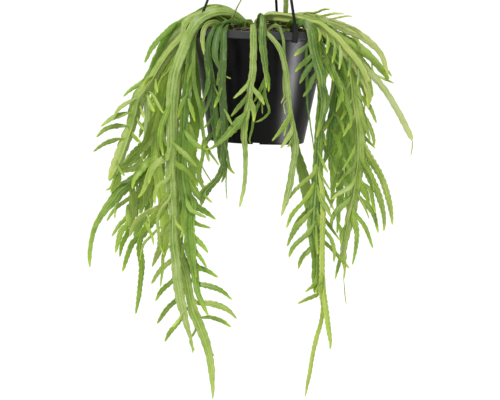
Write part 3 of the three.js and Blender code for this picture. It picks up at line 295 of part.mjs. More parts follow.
  stem_right_front_long: { kind: 'flat', main: [[29.8,-36,-255,4.2,2.6,1,0.02,0],[29.8,-36,-243,4.2,2.6,1,0.02,0],[32.4,-43.3,-236.4,4.9,1.9,0.72,0.07,-0.69],[37.7,-47.9,-234.9,6.1,2.1,0.09,0.02,-1],[45.7,-52.9,-236.4,7.8,2.4,-0.37,-0.17,-0.91],[52.5,-55.4,-238.8,8.8,2.6,-0.59,-0.25,-0.77],[57.7,-55.9,-244.6,9.4,2.6,-0.87,-0.32,-0.38],[59.6,-56.7,-252.6,9.8,2.6,-0.92,-0.38,-0.11],[60.8,-58.1,-260.5,10.1,2.6,-0.91,-0.42,-0.07],[65.2,-59.9,-280,12.9,2.6,-0.87,-0.48,-0.1],[66.5,-62.5,-299.8,11.2,2.6,-0.87,-0.48,-0.1],[69.2,-60.6,-319.6,8.8,2.6,-0.9,-0.43,0.03],[66.8,-60.8,-339.6,9.9,2.6,-0.95,-0.32,0],[68.4,-59.9,-359.6,9.9,2.6,-0.98,-0.2,0.01],[66.5,-59.7,-379.7,9.8,2.6,-1,-0.09,0.01],[68,-58.9,-399.7,10.1,2.6,-1,-0.02,0.01],[65.5,-58.2,-419.6,12.5,2.6,-1,-0.02,0.04],[66.9,-57.4,-439.6,13.8,2.6,-1,-0.08,0.04],[64.1,-56.9,-459.7,13.9,2.6,-0.98,-0.19,-0.09],[70.2,-55.6,-479.1,13,2.6,-0.93,-0.31,-0.17],[69.7,-55.6,-499.2,12,2.6,-0.91,-0.42,-0.04],[71.1,-54,-519,9.2,2.6,-0.88,-0.48,0],[70.2,-54,-529.9,2.8,1,-0.87,-0.49,0]],
    sides: [
      [[67.3,-59.5,-383.7,5,1.5,-0.94,-0.24,0.25],[55.2,-63.4,-406.4,4.5,1.3,-0.62,-0.23,0.75],[38.5,-65.3,-427,1.9,1,-0.87,-0.24,0.44]],
      [[67,-58.7,-407.7,2.7,1.2,0.24,-0.09,0.97],[65.6,-59.2,-407.4,2.8,1.2,-0.71,-0.25,0.66],[54.6,-62.3,-428.3,4.3,1.3,-0.72,-0.28,0.63],[40.2,-65.3,-447.2,4.4,1.3,-0.87,-0.28,0.4],[36.5,-66.7,-458.5,2.1,1,-0.9,-0.28,0.32]],
      [[66.4,-58.1,-423.6,5.1,1.5,-0.96,-0.14,-0.26],[65.2,-56.9,-427.9,5.2,1.5,-0.9,-0.32,0.31],[49.3,-53.1,-450.1,4.4,1.3,-0.79,-0.33,0.52],[42.9,-51.6,-459.8,1.9,1,-0.81,-0.33,0.48]],
      [[66,-57.8,-431.6,4.9,1.5,-0.93,-0.28,-0.25],[64.6,-58.9,-437.1,4.9,1.5,-0.78,-0.18,0.6],[47,-62.8,-457.8,6.7,2,-0.79,-0.17,0.59],[37.7,-65.8,-478.7,2.1,1,-0.91,-0.18,0.38]],
      [[65.3,-57.1,-447.6,5.5,1.6,-0.84,0.07,-0.53],[65.9,-58.3,-454.2,5.6,1.7,-0.93,0.12,0.36],[48.8,-62.5,-474.6,4.8,1.4,-0.72,0.15,0.67],[40.5,-65.2,-491,1.8,1,-0.96,0.13,0.23]],
      [[66.5,-56.4,-467.5,5.4,1.6,-0.78,0.53,-0.34],[66.8,-55.2,-473.3,5.7,1.7,-0.84,0.45,0.31],[54.3,-51.6,-492.9,5.3,1.6,-0.79,0.43,0.44],[51.4,-49.9,-504.2,2.3,1,-0.87,0.44,0.23]],
      [[70.8,-55,-503.2,3.9,1.2,-1,-0.03,-0.01],[68,-60.2,-520.8,4.1,1.2,-0.74,-0.04,0.67],[59.5,-63.1,-527.8,2,1,-0.64,-0.02,0.77]],
      [[70.4,-54.4,-519,5,1.5,-0.92,-0.32,-0.23],[73.1,-57.8,-530.4,4.5,1.4,-0.74,-0.37,0.57],[51.7,-64.1,-540.7,2.1,1,-0.37,-0.26,0.89]],
      [[67.4,-59.9,-371.7,3.6,1.1,-0.9,0.43,0.1],[68.4,-61.5,-376.4,3.8,1.1,-0.83,0.31,-0.46],[79.1,-66.3,-396.7,1.9,1,-0.79,0.31,-0.52]],
      [[67.2,-59.4,-387.7,2.5,1,-0.95,0.26,-0.18],[82.6,-65.8,-415.7,1.5,1,-0.75,0.24,-0.61]],
      [[67.1,-58.9,-399.7,2.9,1,-0.87,-0.04,-0.49],[78.5,-54.4,-421.3,3.4,1,-0.9,-0.04,-0.44],[87.9,-50.9,-439.3,1.3,1,-0.88,-0.04,-0.47]],
      [[67,-58.7,-407.7,5.6,1.7,-0.94,-0.25,-0.25],[77,-65,-432.2,6,1.8,-0.8,-0.26,-0.53],[84.3,-68.3,-445,1.9,1,-0.9,-0.25,-0.36]],
      [[66.4,-58.1,-423.6,3.4,1,-0.82,-0.4,-0.41],[75.7,-55.2,-445.8,4.9,1.5,-0.74,-0.4,-0.54],[95.4,-51.6,-471.3,1.4,1,-0.69,-0.4,-0.6]],
      [[65.8,-57.6,-435.6,5.2,1.6,-0.52,0.35,-0.78],[74.8,-61.2,-456,5.8,1.7,-0.75,0.39,-0.53],[88.8,-65.2,-478.5,4.6,1.4,-0.9,0.37,-0.25],[89.4,-67.2,-493.8,1.8,1,-0.93,0.38,-0.03]],
      [[65.2,-56.8,-455.6,5.1,1.5,-0.09,0.42,-0.9],[70.5,-55.8,-459.3,5,1.5,-0.88,0.32,-0.35],[84.4,-52.6,-478.5,4.4,1.3,-0.65,0.33,-0.69],[107,-48.8,-501.7,1.9,1,-0.71,0.32,-0.63]],
      [[67.2,-59.2,-391.7,3.8,1.1,-0.83,-0.32,-0.45],[73.7,-61,-416.1,5.6,1.7,-0.95,-0.31,-0.1],[75.5,-62.6,-440,6.3,1.9,-0.95,-0.31,-0.02],[75.7,-64.3,-463.9,6.1,1.8,-0.95,-0.31,0.02],[76.2,-65.9,-487.9,6.3,1.9,-0.95,-0.31,-0.01],[77.1,-67.8,-515.7,7.1,2.1,-0.95,-0.31,0.01],[79.4,-69.6,-543.1,4.9,1.5,-0.95,-0.31,0.02],[76.1,-71.1,-566.8,4.6,1.4,-0.92,-0.31,0.25],[70.2,-72.7,-594.1,4.6,1.4,-0.94,-0.31,0.16],[67.2,-74,-617.9,4.5,1.4,-0.94,-0.31,0.17],[63.7,-75.2,-641.4,1.1,0.9,-0.94,-0.31,0.14]],
      [[76.7,-66.7,-499.9,4.3,1.3,-0.9,-0.19,-0.39],[79.3,-73.9,-526,5.5,1.7,-0.98,-0.14,-0.1],[83.8,-81.1,-552.5,6,1.8,-0.98,-0.15,-0.15],[88.5,-89.2,-586.6,2,1,-0.98,-0.15,0.11]],
      [[76.8,-67,-503.9,3.1,1,-0.96,-0.28,-0.05],[69.8,-89.6,-526,1.5,1,-0.81,-0.18,0.56]],
      [[67.7,-60.5,-339.6,5.2,1.6,-0.43,-0.6,0.67],[64.5,-59.6,-340.8,5.2,1.6,-0.85,-0.51,0.15],[65.7,-58.6,-344.4,5.3,1.6,-0.82,-0.35,-0.46],[76.2,-52.4,-368.7,1.9,1,-0.86,-0.34,-0.37]],
      [[65.2,-56.8,-455.6,4.4,1.3,-0.33,-0.49,-0.81],[68.9,-59.4,-459.8,4.4,1.3,-0.96,-0.28,-0.06],[71.8,-68.1,-486.5,1.9,1,-0.96,-0.27,-0.01]],
      [[68.5,-61.4,-311.6,4.9,1.5,-0.7,-0.04,0.72],[66.9,-58.9,-317.4,4.7,1.4,-0.96,0.1,-0.25],[73.2,-51.8,-338.3,1.8,1,-0.98,0.1,-0.19]],
    ] },
  stem_right_ribbed_arch: { kind: 'rib', main: [[-5,4.8,-251.1,4.2,2.6,1,-0.09,0],[-5,4.8,-239.1,4.2,2.6,1,-0.09,0],[-4.5,2.6,-237.9,4.2,3.2,0.76,-0.07,-0.65],[0.9,-8,-236,7.4,5.7,0.29,-0.28,-0.92],[12.5,-21.7,-229.3,11.4,6.3,-0.25,-0.25,-0.94],[18.8,-27.5,-230.2,11.7,6.4,-0.21,-0.45,-0.87],[37.3,-36.2,-233.3,12.2,6.7,-0.35,-0.44,-0.83],[50.1,-43.4,-234.4,12,6.6,-0.46,-0.33,-0.82],[59.2,-48.4,-237.8,12.2,6.7,-0.25,-0.34,-0.91],[66.8,-48.9,-240.3,12.8,7,-0.61,-0.29,-0.74],[83.5,-51.8,-251.6,13.5,7.4,-0.67,-0.19,-0.72],[95.2,-53.2,-268.1,13.4,7.4,-0.72,-0.1,-0.69],[109.8,-52.9,-281.9,13.7,7.5,-0.84,-0.04,-0.55],[117.1,-51.9,-300.4,11.5,6.3,-0.94,-0.02,-0.35],[120.4,-50,-326.2,2.2,1.2,-1,-0.06,-0.03]],
    sides: [
      [[118,-51.9,-300,3.8,1.2,0.68,-0.02,-0.74],[121,-53.2,-297.2,3.8,1.2,-0.2,0.03,-0.98],[122.5,-54.5,-301,3.6,1.1,-0.89,0.3,-0.34],[124.6,-58.4,-313.2,1.5,1,-0.92,0.31,-0.25]],
      [[62.6,-48,-240,3.8,1.1,-0.98,0.11,-0.18],[63.5,-58.1,-243.5,3.8,1.1,-0.89,-0.33,-0.32],[63.8,-62.6,-255.5,1.6,1,-0.95,-0.26,0.19]],
      [[69.7,-49.6,-243.5,3.8,1.1,-0.91,-0.26,-0.33],[72.4,-65.6,-268.1,1.6,1,-0.93,-0.23,0.28]],
      [[76.4,-51.1,-247.5,4,1.2,-0.94,-0.21,-0.28],[78.7,-67,-278.1,1.6,1,-0.92,-0.21,0.34]],
      [[85.5,-52.3,-255.2,4.8,1.5,-0.97,0.05,-0.23],[86.6,-68.4,-284.7,1.6,1,-0.99,0.05,0.11]],
      [[96,-53.1,-267.2,4.9,1.5,-0.96,0.1,-0.27],[96.6,-67.6,-292,1.6,1,-0.99,0.11,0.13]],
      [[106.5,-53.1,-279.3,4.9,1.5,-0.97,0.06,-0.25],[107.2,-66,-301.4,1.6,1,-0.99,0.07,0.13]],
      [[58.9,-47.6,-238.5,6.3,1.9,-0.82,0.25,-0.51],[64.3,-49.8,-253.8,7.5,2.2,-0.96,0.26,-0.1],[76.6,-51.7,-277.9,7.6,2.3,-0.86,0.26,-0.43],[87,-54.1,-299.4,7.4,2.2,-0.81,0.26,-0.53],[99,-56.6,-324.5,6.2,1.9,-0.91,0.26,-0.33],[101.7,-58.6,-347.7,1.9,1,-0.96,0.26,0.01]],
      [[64.7,-49.2,-257.4,4.3,1.3,-0.84,0.18,0.51],[63.4,-50.6,-264.1,4.6,1.4,-0.97,0.13,-0.23],[76.8,-55.5,-287.6,3.8,1.1,-0.88,0.11,-0.46],[81.6,-57.5,-298.3,1.8,1,-0.9,0.11,-0.42]],
      [[71.3,-50.4,-267.3,3.8,1.1,-0.6,0.3,-0.74],[87.7,-57.2,-280.9,1.8,1,-0.66,0.27,-0.7]],
      [[83.1,-53.3,-292.5,5.2,1.6,-0.78,0.36,-0.51],[92.4,-61.7,-319.6,1.8,1,-0.89,0.37,-0.27]],
      [[89.3,-57.6,-305.6,5.5,1.6,-0.89,0.43,-0.16],[85.2,-66.3,-330.5,1.9,1,-0.88,0.45,0.14]],
      [[74.9,-51.3,-274.4,4.8,1.5,-0.99,-0.01,0.13],[69.5,-57.2,-302.1,1.7,1,-0.97,0,0.26]],
    ] },
  stem_right_low: { kind: 'flat', main: [[12.5,4,-251.3,4.2,2.6,0.95,-0.32,0],[12.5,4,-239.3,4.2,2.6,0.95,-0.32,0],[11.9,1.6,-237.3,4.2,2.4,0.92,-0.31,0.24],[10.6,-1,-238.4,4.2,2,0.91,-0.41,-0.08],[8.9,-6,-238.9,4.3,1.5,0.88,0.36,-0.32],[11.3,-8.1,-239,4.4,1.4,0.26,0.45,-0.85],[29.8,-15.9,-238,5.8,1.7,0.06,-0.02,-1],[48.5,-22.1,-236.5,6.5,1.9,0,0.04,-1],[59.5,-27.7,-238.6,6.6,2,-0.18,0.12,-0.98],[67.4,-33.6,-239.9,6.7,2,-0.32,0.16,-0.94],[70.6,-37,-242.7,6.7,2,-0.67,0.24,-0.7],[72.7,-35.6,-246.5,6.8,2,-0.94,0.15,-0.31],[74.4,-33,-254.8,6.8,2,-0.96,0.21,-0.16],[76.2,-32,-262.5,6.9,2.1,-0.95,0.28,-0.17],[79.9,-30.8,-281.9,5.6,1.7,-0.91,0.38,-0.18],[81.3,-30,-301.4,3.9,1.2,-0.88,0.45,0.1],[76.9,-30.4,-324.5,1.9,1,-0.86,0.49,0.14]],
    sides: [
    ] },
  stem_right_top_arch: { kind: 'flat', main: [[25.8,14,-252.6,4.2,2.6,0.92,-0.39,0],[25.8,14,-240.6,4.2,2.6,0.92,-0.39,0],[26.6,13,-237.3,4.2,2.3,0.76,-0.32,-0.57],[28.9,12,-235.4,4.5,2,0.46,-0.29,-0.84],[39.1,10.4,-231.7,7,2.5,0.06,-0.3,-0.95],[49.9,10.8,-230.5,10.8,2.6,0.11,-0.26,-0.96],[61.3,12,-233.5,8.5,2.6,-0.19,-0.21,-0.96],[69.1,14.4,-234.6,7.7,2.3,-0.17,-0.16,-0.97],[76.9,15.5,-236.4,7.9,2.4,-0.26,-0.13,-0.96],[84.3,15.9,-238.9,9.6,2.6,-0.34,-0.1,-0.93],[102.7,16.2,-245.7,10.4,2.6,-0.34,-0.04,-0.94],[119,15.9,-256.8,8.4,2.5,-0.61,-0.02,-0.8],[134.2,15.6,-269.4,5.6,1.7,-0.84,-0.03,-0.54],[141.8,15,-291.6,2.1,1,-0.95,-0.1,-0.3]],
    sides: [
      [[46.2,10.4,-231.9,2.7,1,0.93,0.37,0],[50,8.3,-226.9,2.8,1,0.25,0.45,-0.85],[75.7,2.3,-221.7,1.8,1,0.19,0.46,-0.87]],
      [[57.7,11,-231.7,2.6,1,0.58,-0.45,-0.68],[64.1,9.3,-229.5,2.8,1,-0.17,-0.33,-0.93],[91.3,4.6,-226.5,1.3,1,-0.07,-0.35,-0.93]],
      [[73,15.1,-235.4,2.2,1,0.63,-0.1,-0.77],[100.3,8.3,-229.1,1.2,1,-0.07,-0.04,-1]],
      [[91.5,16.2,-242,2.4,1,0.46,0.06,-0.88],[101.8,13.6,-241.1,2.7,1,-0.26,0.09,-0.96],[111.5,11.3,-246.2,1.5,1,-0.48,0.12,-0.87]],
    ] },
  stem_right_arch_back: { kind: 'flat', main: [[39.1,26.7,-255.1,4.2,2.6,1,-0.06,0],[39.1,26.7,-243.1,4.2,2.6,1,-0.06,0],[40.2,28.4,-240.8,4.2,2.4,0.67,-0.04,-0.74],[50.7,32.3,-237.1,6.1,2.3,0.07,-0.01,-1],[58.4,35.3,-237.8,8.2,2.5,-0.2,0,-0.98],[66.7,36.8,-239.3,9,2.6,-0.26,-0.01,-0.97],[73.5,36.9,-243.5,9.3,2.6,-0.7,-0.03,-0.71],[79.5,36.4,-248.7,9.9,2.6,-0.54,-0.06,-0.84],[97.6,35.1,-256.9,10.6,2.6,-0.45,-0.11,-0.89],[113.8,33,-268.3,9.9,2.6,-0.55,-0.11,-0.82],[129.7,31.7,-279.9,8.1,2.4,-0.7,-0.06,-0.71],[144.2,30,-297.6,2.5,1,-0.7,0.04,-0.71]],
    sides: [
      [[72.4,36.4,-245.1,4.2,1.3,0.97,-0.14,-0.22],[76.5,35.8,-241.7,4.7,1.4,0.14,-0.05,-0.99],[101.4,30.9,-250,4.4,1.3,-0.56,-0.04,-0.83],[107.3,28,-265.5,1.7,1,-0.87,0,0.49]],
      [[90,36.1,-254.3,2.9,1.1,-0.87,0,0.49],[89.3,35.4,-255.6,2.9,1.1,-0.85,-0.22,-0.47],[103.9,27.5,-264.6,1.7,1,-0.58,-0.21,-0.79]],
      [[100.7,34.5,-259.5,3.7,1.1,-0.95,0.1,-0.31],[108.6,37.5,-271.7,3.7,1.1,-0.3,0.12,-0.94],[132.6,42.5,-283,1.6,1,-0.59,0.12,-0.8]],
      [[111,33.4,-265.4,3.9,1.2,-0.7,-0.34,-0.63],[129.7,38.9,-280.6,3.4,1,-0.45,-0.33,-0.83],[139.8,41.5,-287.6,1.7,1,-0.48,-0.33,-0.81]],
      [[123.6,32.2,-274.9,3.2,1,-0.91,-0.42,-0.05],[128.5,29.2,-293,2.5,1,-0.62,-0.41,-0.67],[149.8,25.7,-301.9,1.3,1,-0.4,-0.42,-0.81]],
      [[136.8,30.8,-289.5,2.9,1,0.63,-0.11,-0.77],[146.7,25.9,-294.8,1.5,1,-0.85,0.11,-0.51]],
      [[104.3,34.1,-261.3,4.8,1.5,-0.93,0.02,-0.36],[118.7,39.9,-283,4.8,1.4,-0.72,0.03,-0.7],[126.3,42.1,-291.1,1.8,1,-0.73,0.03,-0.68]],
    ] },
  stem_right_straight: { kind: 'flat', main: [[21.3,4,-251.9,4.2,2.6,0.94,0.34,0],[21.3,4,-239.9,4.2,2.6,0.94,0.34,0],[22.7,4.1,-236.5,4.2,2.3,0.71,0.26,-0.66],[26.2,4.2,-234.6,4.4,1.9,0.37,0.25,-0.89],[37.9,4.2,-234,5.8,1.9,-0.03,0.21,-0.98],[57.7,3.6,-236.1,7.3,2.2,-0.32,0.12,-0.94],[64.8,3.6,-239.3,7.1,2.1,-0.22,0.08,-0.97],[73.4,1.8,-240.9,6.9,2.1,-0.34,-0.08,-0.93],[77.6,18.3,-245.1,6.9,2.1,-0.56,-0.16,-0.81],[80.4,14.7,-248.3,7,2.1,-0.81,0.05,-0.58],[85.2,8.9,-253.5,7.3,2.2,-0.71,-0.07,-0.7],[98.6,4.4,-267.9,7.6,2.3,-0.73,-0.13,-0.67],[112.9,3.5,-281.8,7.7,2.3,-0.7,-0.2,-0.69],[127.1,3.1,-295.8,6.9,2.1,-0.65,-0.21,-0.73],[141.1,3.5,-310.1,6.8,2,-0.79,-0.17,-0.59],[151.2,3.5,-327.4,6.8,2,-0.84,-0.1,-0.53],[162.5,3.8,-343.9,6.6,2,-0.87,0.01,-0.49],[171.5,4,-361.8,5.6,1.7,-0.88,0.11,-0.46]],
    sides: [
      [[169.6,4,-358.3,1.8,1,-0.88,0.37,-0.3],[170.5,4,-379.9,0.9,0.8,-0.92,0.37,0.12]],
    ] },
  stem_right_ribbed_long: { kind: 'rib', main: [[16.8,-26,-252.8,4.2,2.6,1,-0.02,0],[16.8,-26,-240.8,4.2,2.6,1,-0.02,0],[19.9,-19.3,-235,4.7,3.1,0.68,0.02,-0.73],[26,-20,-231.6,5.8,3.7,0.23,0.15,-0.96],[44.2,-26.7,-233.9,8.3,4.6,-0.17,0.16,-0.97],[55,-33.6,-235.5,9,5,-0.18,0.16,-0.97],[61.9,-38.6,-239.1,9.1,5,-0.17,0.19,-0.97],[69.5,-40.9,-241.5,9.3,5.1,-0.58,0.28,-0.76],[74.6,-40.9,-247.9,9.5,5.2,-0.8,0.3,-0.52],[87.2,-40.7,-263.3,10.1,5.6,-0.69,0.4,-0.61],[97.1,-40.7,-280.5,10.9,6,-0.81,0.48,-0.33],[103.9,-42.3,-299.2,12.3,6.8,-0.85,0.51,-0.16],[104.6,-41.6,-319.3,13.5,7.4,-0.86,0.49,-0.15],[111.3,-43.2,-338.1,16.3,9,-0.89,0.42,-0.18],[110.7,-42.2,-358,13,7.1,-0.95,0.32,-0.05],[113.6,-42.4,-377.8,13.5,7.4,-0.98,0.22,0],[110.2,-41.4,-397.5,12,6.6,-0.98,0.15,0.13],[110.8,-41.1,-417.6,12,6.6,-0.99,0.13,0.1],[105.8,-40.2,-437,11.2,6.2,-0.98,0.17,0.13],[104,-40,-456.6,8.8,4.8,-0.96,0.26,0.12],[99.3,-38.9,-476,7.6,4.2,-0.91,0.36,0.18],[100.7,-38.9,-495.5,6.5,3.6,-0.87,0.46,-0.19],[101.3,-38,-514.8,1.4,0.8,-0.86,0.5,0.06]],
    sides: [
      [[101.3,-38,-514.8,1.5,1,-0.95,-0.27,-0.17],[105.4,-38,-542.7,1,0.8,-0.94,-0.27,-0.2]],
      [[99,-38.9,-484,4.2,1.3,-0.7,-0.4,0.58],[91.7,-43.8,-515,1.5,1,-0.84,-0.49,0.24]],
      [[99.1,-41.3,-283.9,4.5,1.4,-0.13,0.32,-0.94],[103.9,-42.5,-287.9,5.1,1.5,-0.81,0.36,-0.45],[117.7,-47,-318.4,1.9,1,-0.92,0.36,-0.18]],
      [[103,-41.7,-299.4,5,1.5,-0.83,-0.22,-0.51],[119,-45.3,-321.5,4.9,1.5,-0.73,-0.23,-0.64],[130,-48.1,-342,2.3,1,-0.9,-0.22,-0.37]],
      [[105,-42.1,-315.2,5.1,1.5,-0.7,-0.32,-0.64],[116.5,-39.4,-335.9,5.4,1.6,-0.76,-0.33,-0.56],[127.2,-36.8,-357.3,4.2,1.3,-0.9,-0.32,-0.3],[128.1,-35.7,-368.9,1.7,1,-0.94,-0.33,0.06]],
      [[108.2,-42.4,-330.7,3.1,1.1,-0.02,-0.65,-0.76],[109.6,-43.1,-330.2,3.2,1.1,-0.65,-0.46,-0.6],[123.8,-48.9,-360.9,2.4,1,-0.87,-0.42,-0.26]],
      [[111,-42.6,-346.1,4.2,1.3,-0.9,0.28,0.32],[112.7,-41.1,-351.3,4.2,1.3,-0.79,0.37,-0.49],[130.4,-36.2,-370.3,1.8,1,-0.69,0.38,-0.62]],
      [[111.3,-42.6,-350.1,6.6,2,-0.89,0.41,-0.21],[121.5,-39.3,-375.3,9,2.6,-0.81,0.41,-0.42],[136.1,-36,-398.2,7.9,2.4,-0.81,0.42,-0.41],[146.5,-32.9,-423.4,7.3,2.2,-0.88,0.42,-0.24],[152.5,-29.8,-453.7,2,1,-0.91,0.41,-0.07]],
      [[112.1,-42.4,-365.9,6.9,2.1,-0.84,-0.52,0.17],[120.2,-40.1,-390.7,10.6,2.6,-0.77,-0.49,-0.41],[132.7,-37.8,-415.3,8.5,2.6,-0.76,-0.48,-0.43],[141.6,-35.7,-441.3,5.9,1.8,-0.85,-0.49,-0.21],[143.1,-34.4,-460.8,2.1,1,-0.87,-0.49,-0.04]],
      [[112.3,-42.2,-373.8,2.4,1,-0.78,0.56,0.28],[111.7,-42.8,-374.4,2.4,1,-0.88,0.41,-0.25],[125.1,-47.3,-397.5,4.7,1.4,-0.77,0.37,-0.52],[130.2,-50.2,-415.9,2,1,-0.89,0.39,-0.24]],
      [[111.8,-41.7,-393.7,6.4,1.9,-0.93,0.33,-0.16],[120,-38.7,-416.5,8.2,2.5,-0.83,0.34,-0.44],[126.1,-36.8,-431.1,2.4,1,-0.9,0.33,-0.29]],
      [[110,-41.1,-413.5,5.5,1.6,-0.83,-0.11,-0.55],[118.5,-43.3,-427.8,5.1,1.5,-0.69,-0.08,-0.72],[132.8,-45.9,-446.4,4.5,1.3,-0.95,-0.08,-0.29],[136.8,-47.5,-461.8,1.8,1,-0.97,-0.08,-0.24]],
      [[109.8,-41,-417.5,2.7,1,-0.8,0.05,-0.59],[126.3,-50.6,-446.8,1,0.8,-0.92,0.05,-0.38]],
      [[107.7,-40.6,-429.2,5.3,1.6,-0.96,-0.25,-0.14],[117.8,-43.5,-450.1,4.7,1.4,-0.74,-0.27,-0.61],[131.6,-47,-478.9,1.9,1,-0.91,-0.26,-0.32]],
      [[107.3,-40.5,-433.2,5.7,1.7,-0.93,0.32,-0.17],[113,-44.6,-459.2,6.3,1.9,-0.92,0.3,-0.25],[112.2,-48.6,-486,3.3,1,-0.94,0.31,0.11],[110.1,-50.1,-497.4,1.7,1,-0.94,0.32,0.12]],
      [[114.4,-40.1,-405.6,4,1.2,-0.6,-0.42,-0.68],[128.2,-44.7,-422.2,4.9,1.5,-0.91,-0.41,-0.1],[132.9,-48.2,-440.4,2.2,1,-0.89,-0.41,-0.18]],
      [[112,-42.5,-361.9,4,1.2,-0.49,0.39,0.78],[108.1,-44.5,-367,4,1.2,-0.94,0.27,0.19],[94.5,-52.1,-395.3,1.8,1,-0.87,0.28,0.41]],
      [[112.4,-42.1,-377.8,4,1.2,-0.76,-0.26,0.6],[107.6,-44.9,-391.7,4.3,1.3,-0.77,-0.31,0.56],[88.1,-50.1,-414.2,1.8,1,-0.76,-0.27,0.58]],
      [[111.3,-41.5,-397.6,5.4,1.6,-0.87,0.43,0.25],[96.3,-46.8,-418.2,5.4,1.6,-0.49,0.44,0.75],[84.2,-49.6,-427,2,1,-0.65,0.43,0.63]],
      [[109.8,-41,-417.5,6.1,1.8,-0.79,0.03,0.62],[94.5,-45.1,-435.9,7,2.1,-0.69,0.05,0.73],[83.7,-49,-456.6,1.8,1,-0.95,0.03,0.32]],
      [[108.2,-42.4,-330.7,5.5,1.6,-0.85,0.45,0.28],[94.1,-52.1,-358.2,2.1,1,-0.85,0.45,0.28]],
      [[105,-42.1,-315.2,4.9,1.5,-0.67,0.27,0.69],[102,-44.6,-318.8,5,1.5,-0.86,0.19,0.47],[91.2,-51.8,-339.8,1.9,1,-0.92,0.19,0.35]],
      [[102.2,-41.6,-295.5,4.9,1.5,-0.88,0.19,0.43],[89.4,-49.7,-321.5,1.9,1,-0.93,0.19,0.32]],
      [[103.7,-39.9,-452.6,5,1.5,-0.76,-0.2,0.62],[96.5,-48,-476.1,1.9,1,-0.97,-0.22,0.08]],
    ] },
  stem_right_behind: { kind: 'flat', main: [[12.6,16,-251.8,4.2,2.6,0.96,-0.28,0],[12.6,16,-239.8,4.2,2.6,0.96,-0.28,0],[13.5,16.3,-236.1,4.2,2.3,0.85,-0.25,-0.46],[16.1,16.5,-233.5,4.7,2,0.43,-0.26,-0.86],[28,16.9,-232.9,6.8,2.3,0.04,-0.16,-0.99],[47.9,15.1,-232.9,9.2,2.6,-0.2,-0.09,-0.98],[63,18.8,-238.9,9.9,2.6,-0.17,-0.05,-0.98],[72.7,23.6,-238.4,10.1,2.6,-0.27,-0.1,-0.96],[76.8,27.1,-241.8,10.2,2.6,-0.7,-0.15,-0.7],[78.9,25.3,-246,10.3,2.6,-0.95,-0.06,-0.31],[80.8,24,-254.2,10.5,2.6,-0.94,-0.1,-0.33],[86.1,23,-273.3,11.1,2.6,-0.96,-0.17,-0.23],[94.2,22.4,-291.9,11.5,2.6,-0.92,-0.27,-0.29],[97.7,20.6,-311.7,12,2.6,-0.89,-0.38,-0.26],[103.8,20.5,-330.9,12.6,2.6,-0.88,-0.46,-0.05],[102.7,18.2,-351,13,2.6,-0.85,-0.52,0.03],[104.6,18.4,-371.1,13,2.6,-0.84,-0.55,0.01],[103.6,16.1,-391.1,11.3,2.6,-0.85,-0.53,0],[104.8,15.9,-411.1,9.8,2.6,-0.88,-0.47,0.09],[102.2,14,-438.5,3.5,1.1,-0.94,-0.34,0.08]],
    sides: [
      [[101.9,20.4,-323,5.5,1.6,-0.51,0.15,-0.84],[110.8,25.9,-336.6,5.1,1.5,-0.91,0.05,-0.41],[116.3,30.1,-350.5,1.8,1,-0.94,0.05,-0.35]],
      [[103.7,18.8,-351,6.1,1.8,-0.26,0.58,-0.77],[105.3,19.9,-350.7,6.1,1.8,-0.69,0.47,-0.55],[119.6,28.5,-379.1,2,1,-0.87,0.43,-0.21]],
      [[103.7,17.5,-375.1,6.3,1.9,-0.77,-0.5,-0.39],[118,27.2,-405.7,2.1,1,-0.79,-0.48,-0.39]],
      [[103.5,17.9,-367.1,5.9,1.8,-0.54,-0.47,0.7],[100.3,20,-370.7,5.9,1.8,-0.86,-0.39,0.32],[92.5,26,-394.4,2,1,-0.91,-0.39,0.15]],
      [[96.5,21.5,-303.7,6,1.8,-0.65,-0.4,-0.65],[112.1,31.2,-328.6,2,1,-0.74,-0.4,-0.54]],
    ] },
  stem_right_dark: { kind: 'flat', main: [[38.7,-10,-253.9,4.2,2.6,1,-0.06,0],[38.7,-10,-241.9,4.2,2.6,1,-0.06,0],[39.2,-10.2,-238.4,4.2,2.3,0.84,-0.05,-0.53],[42,-10.4,-236.8,4.5,2,0.26,-0.06,-0.96],[53.6,-9.7,-237.6,6.4,2.2,-0.16,-0.07,-0.99],[61.3,-7.2,-239,8.1,2.4,-0.22,-0.07,-0.97],[70,-3,-240.1,8.5,2.6,-0.2,-0.01,-0.98],[73.6,-30.4,-242.2,8.7,2.6,-0.26,0.1,-0.96],[76.6,-27.9,-245.1,8.8,2.6,-0.78,-0.23,-0.59],[80,-22.2,-253.2,8.9,2.6,-0.91,-0.17,-0.37],[82,-21,-260.9,8.9,2.6,-0.92,-0.15,-0.35],[85.4,-21.7,-280.1,9,2.6,-0.98,-0.21,-0.03],[86.4,-22.6,-299.9,9.4,2.6,-0.96,-0.28,0.07],[83,-24.8,-319.3,11.8,2.6,-0.93,-0.35,0.13],[82.2,-25.8,-339,9.8,2.6,-0.9,-0.41,0.14],[79.1,-28.2,-358.4,9.9,2.6,-0.9,-0.44,0.07],[78.3,-29.3,-378,6.3,1.9,-0.87,-0.44,0.23],[73.2,-31,-392.7,3.2,1,-0.89,-0.43,0.15],[73.8,-32,-404.5,2.4,1,-0.91,-0.4,-0.04]],
    sides: [
      [[84.7,-23.8,-311.6,5.9,1.8,-0.66,0.37,-0.66],[96.9,-30.2,-335.4,2,1,-0.87,0.37,-0.31]],
      [[82.4,-25.4,-331.1,5.8,1.7,-0.83,0.35,-0.42],[92.8,-29.6,-345.7,5,1.5,-0.85,0.31,-0.42],[95.5,-31.9,-356.2,1.9,1,-0.9,0.33,-0.29]],
      [[80.3,-27.1,-350.7,5.9,1.8,-0.85,-0.36,-0.38],[93.1,-33.6,-379.2,2,1,-0.92,-0.36,-0.15]],
      [[85.1,-23.5,-307.7,5.4,1.6,-0.89,0.02,0.45],[73.8,-30.1,-333.1,1.8,1,-0.95,0.01,0.33]],
      [[82.4,-25.4,-331.1,5.8,1.7,-0.91,0.25,-0.34],[81.4,-27.3,-337.7,5.5,1.6,-0.84,0.33,0.43],[73.6,-31.9,-354.8,1.9,1,-0.92,0.32,0.24]],
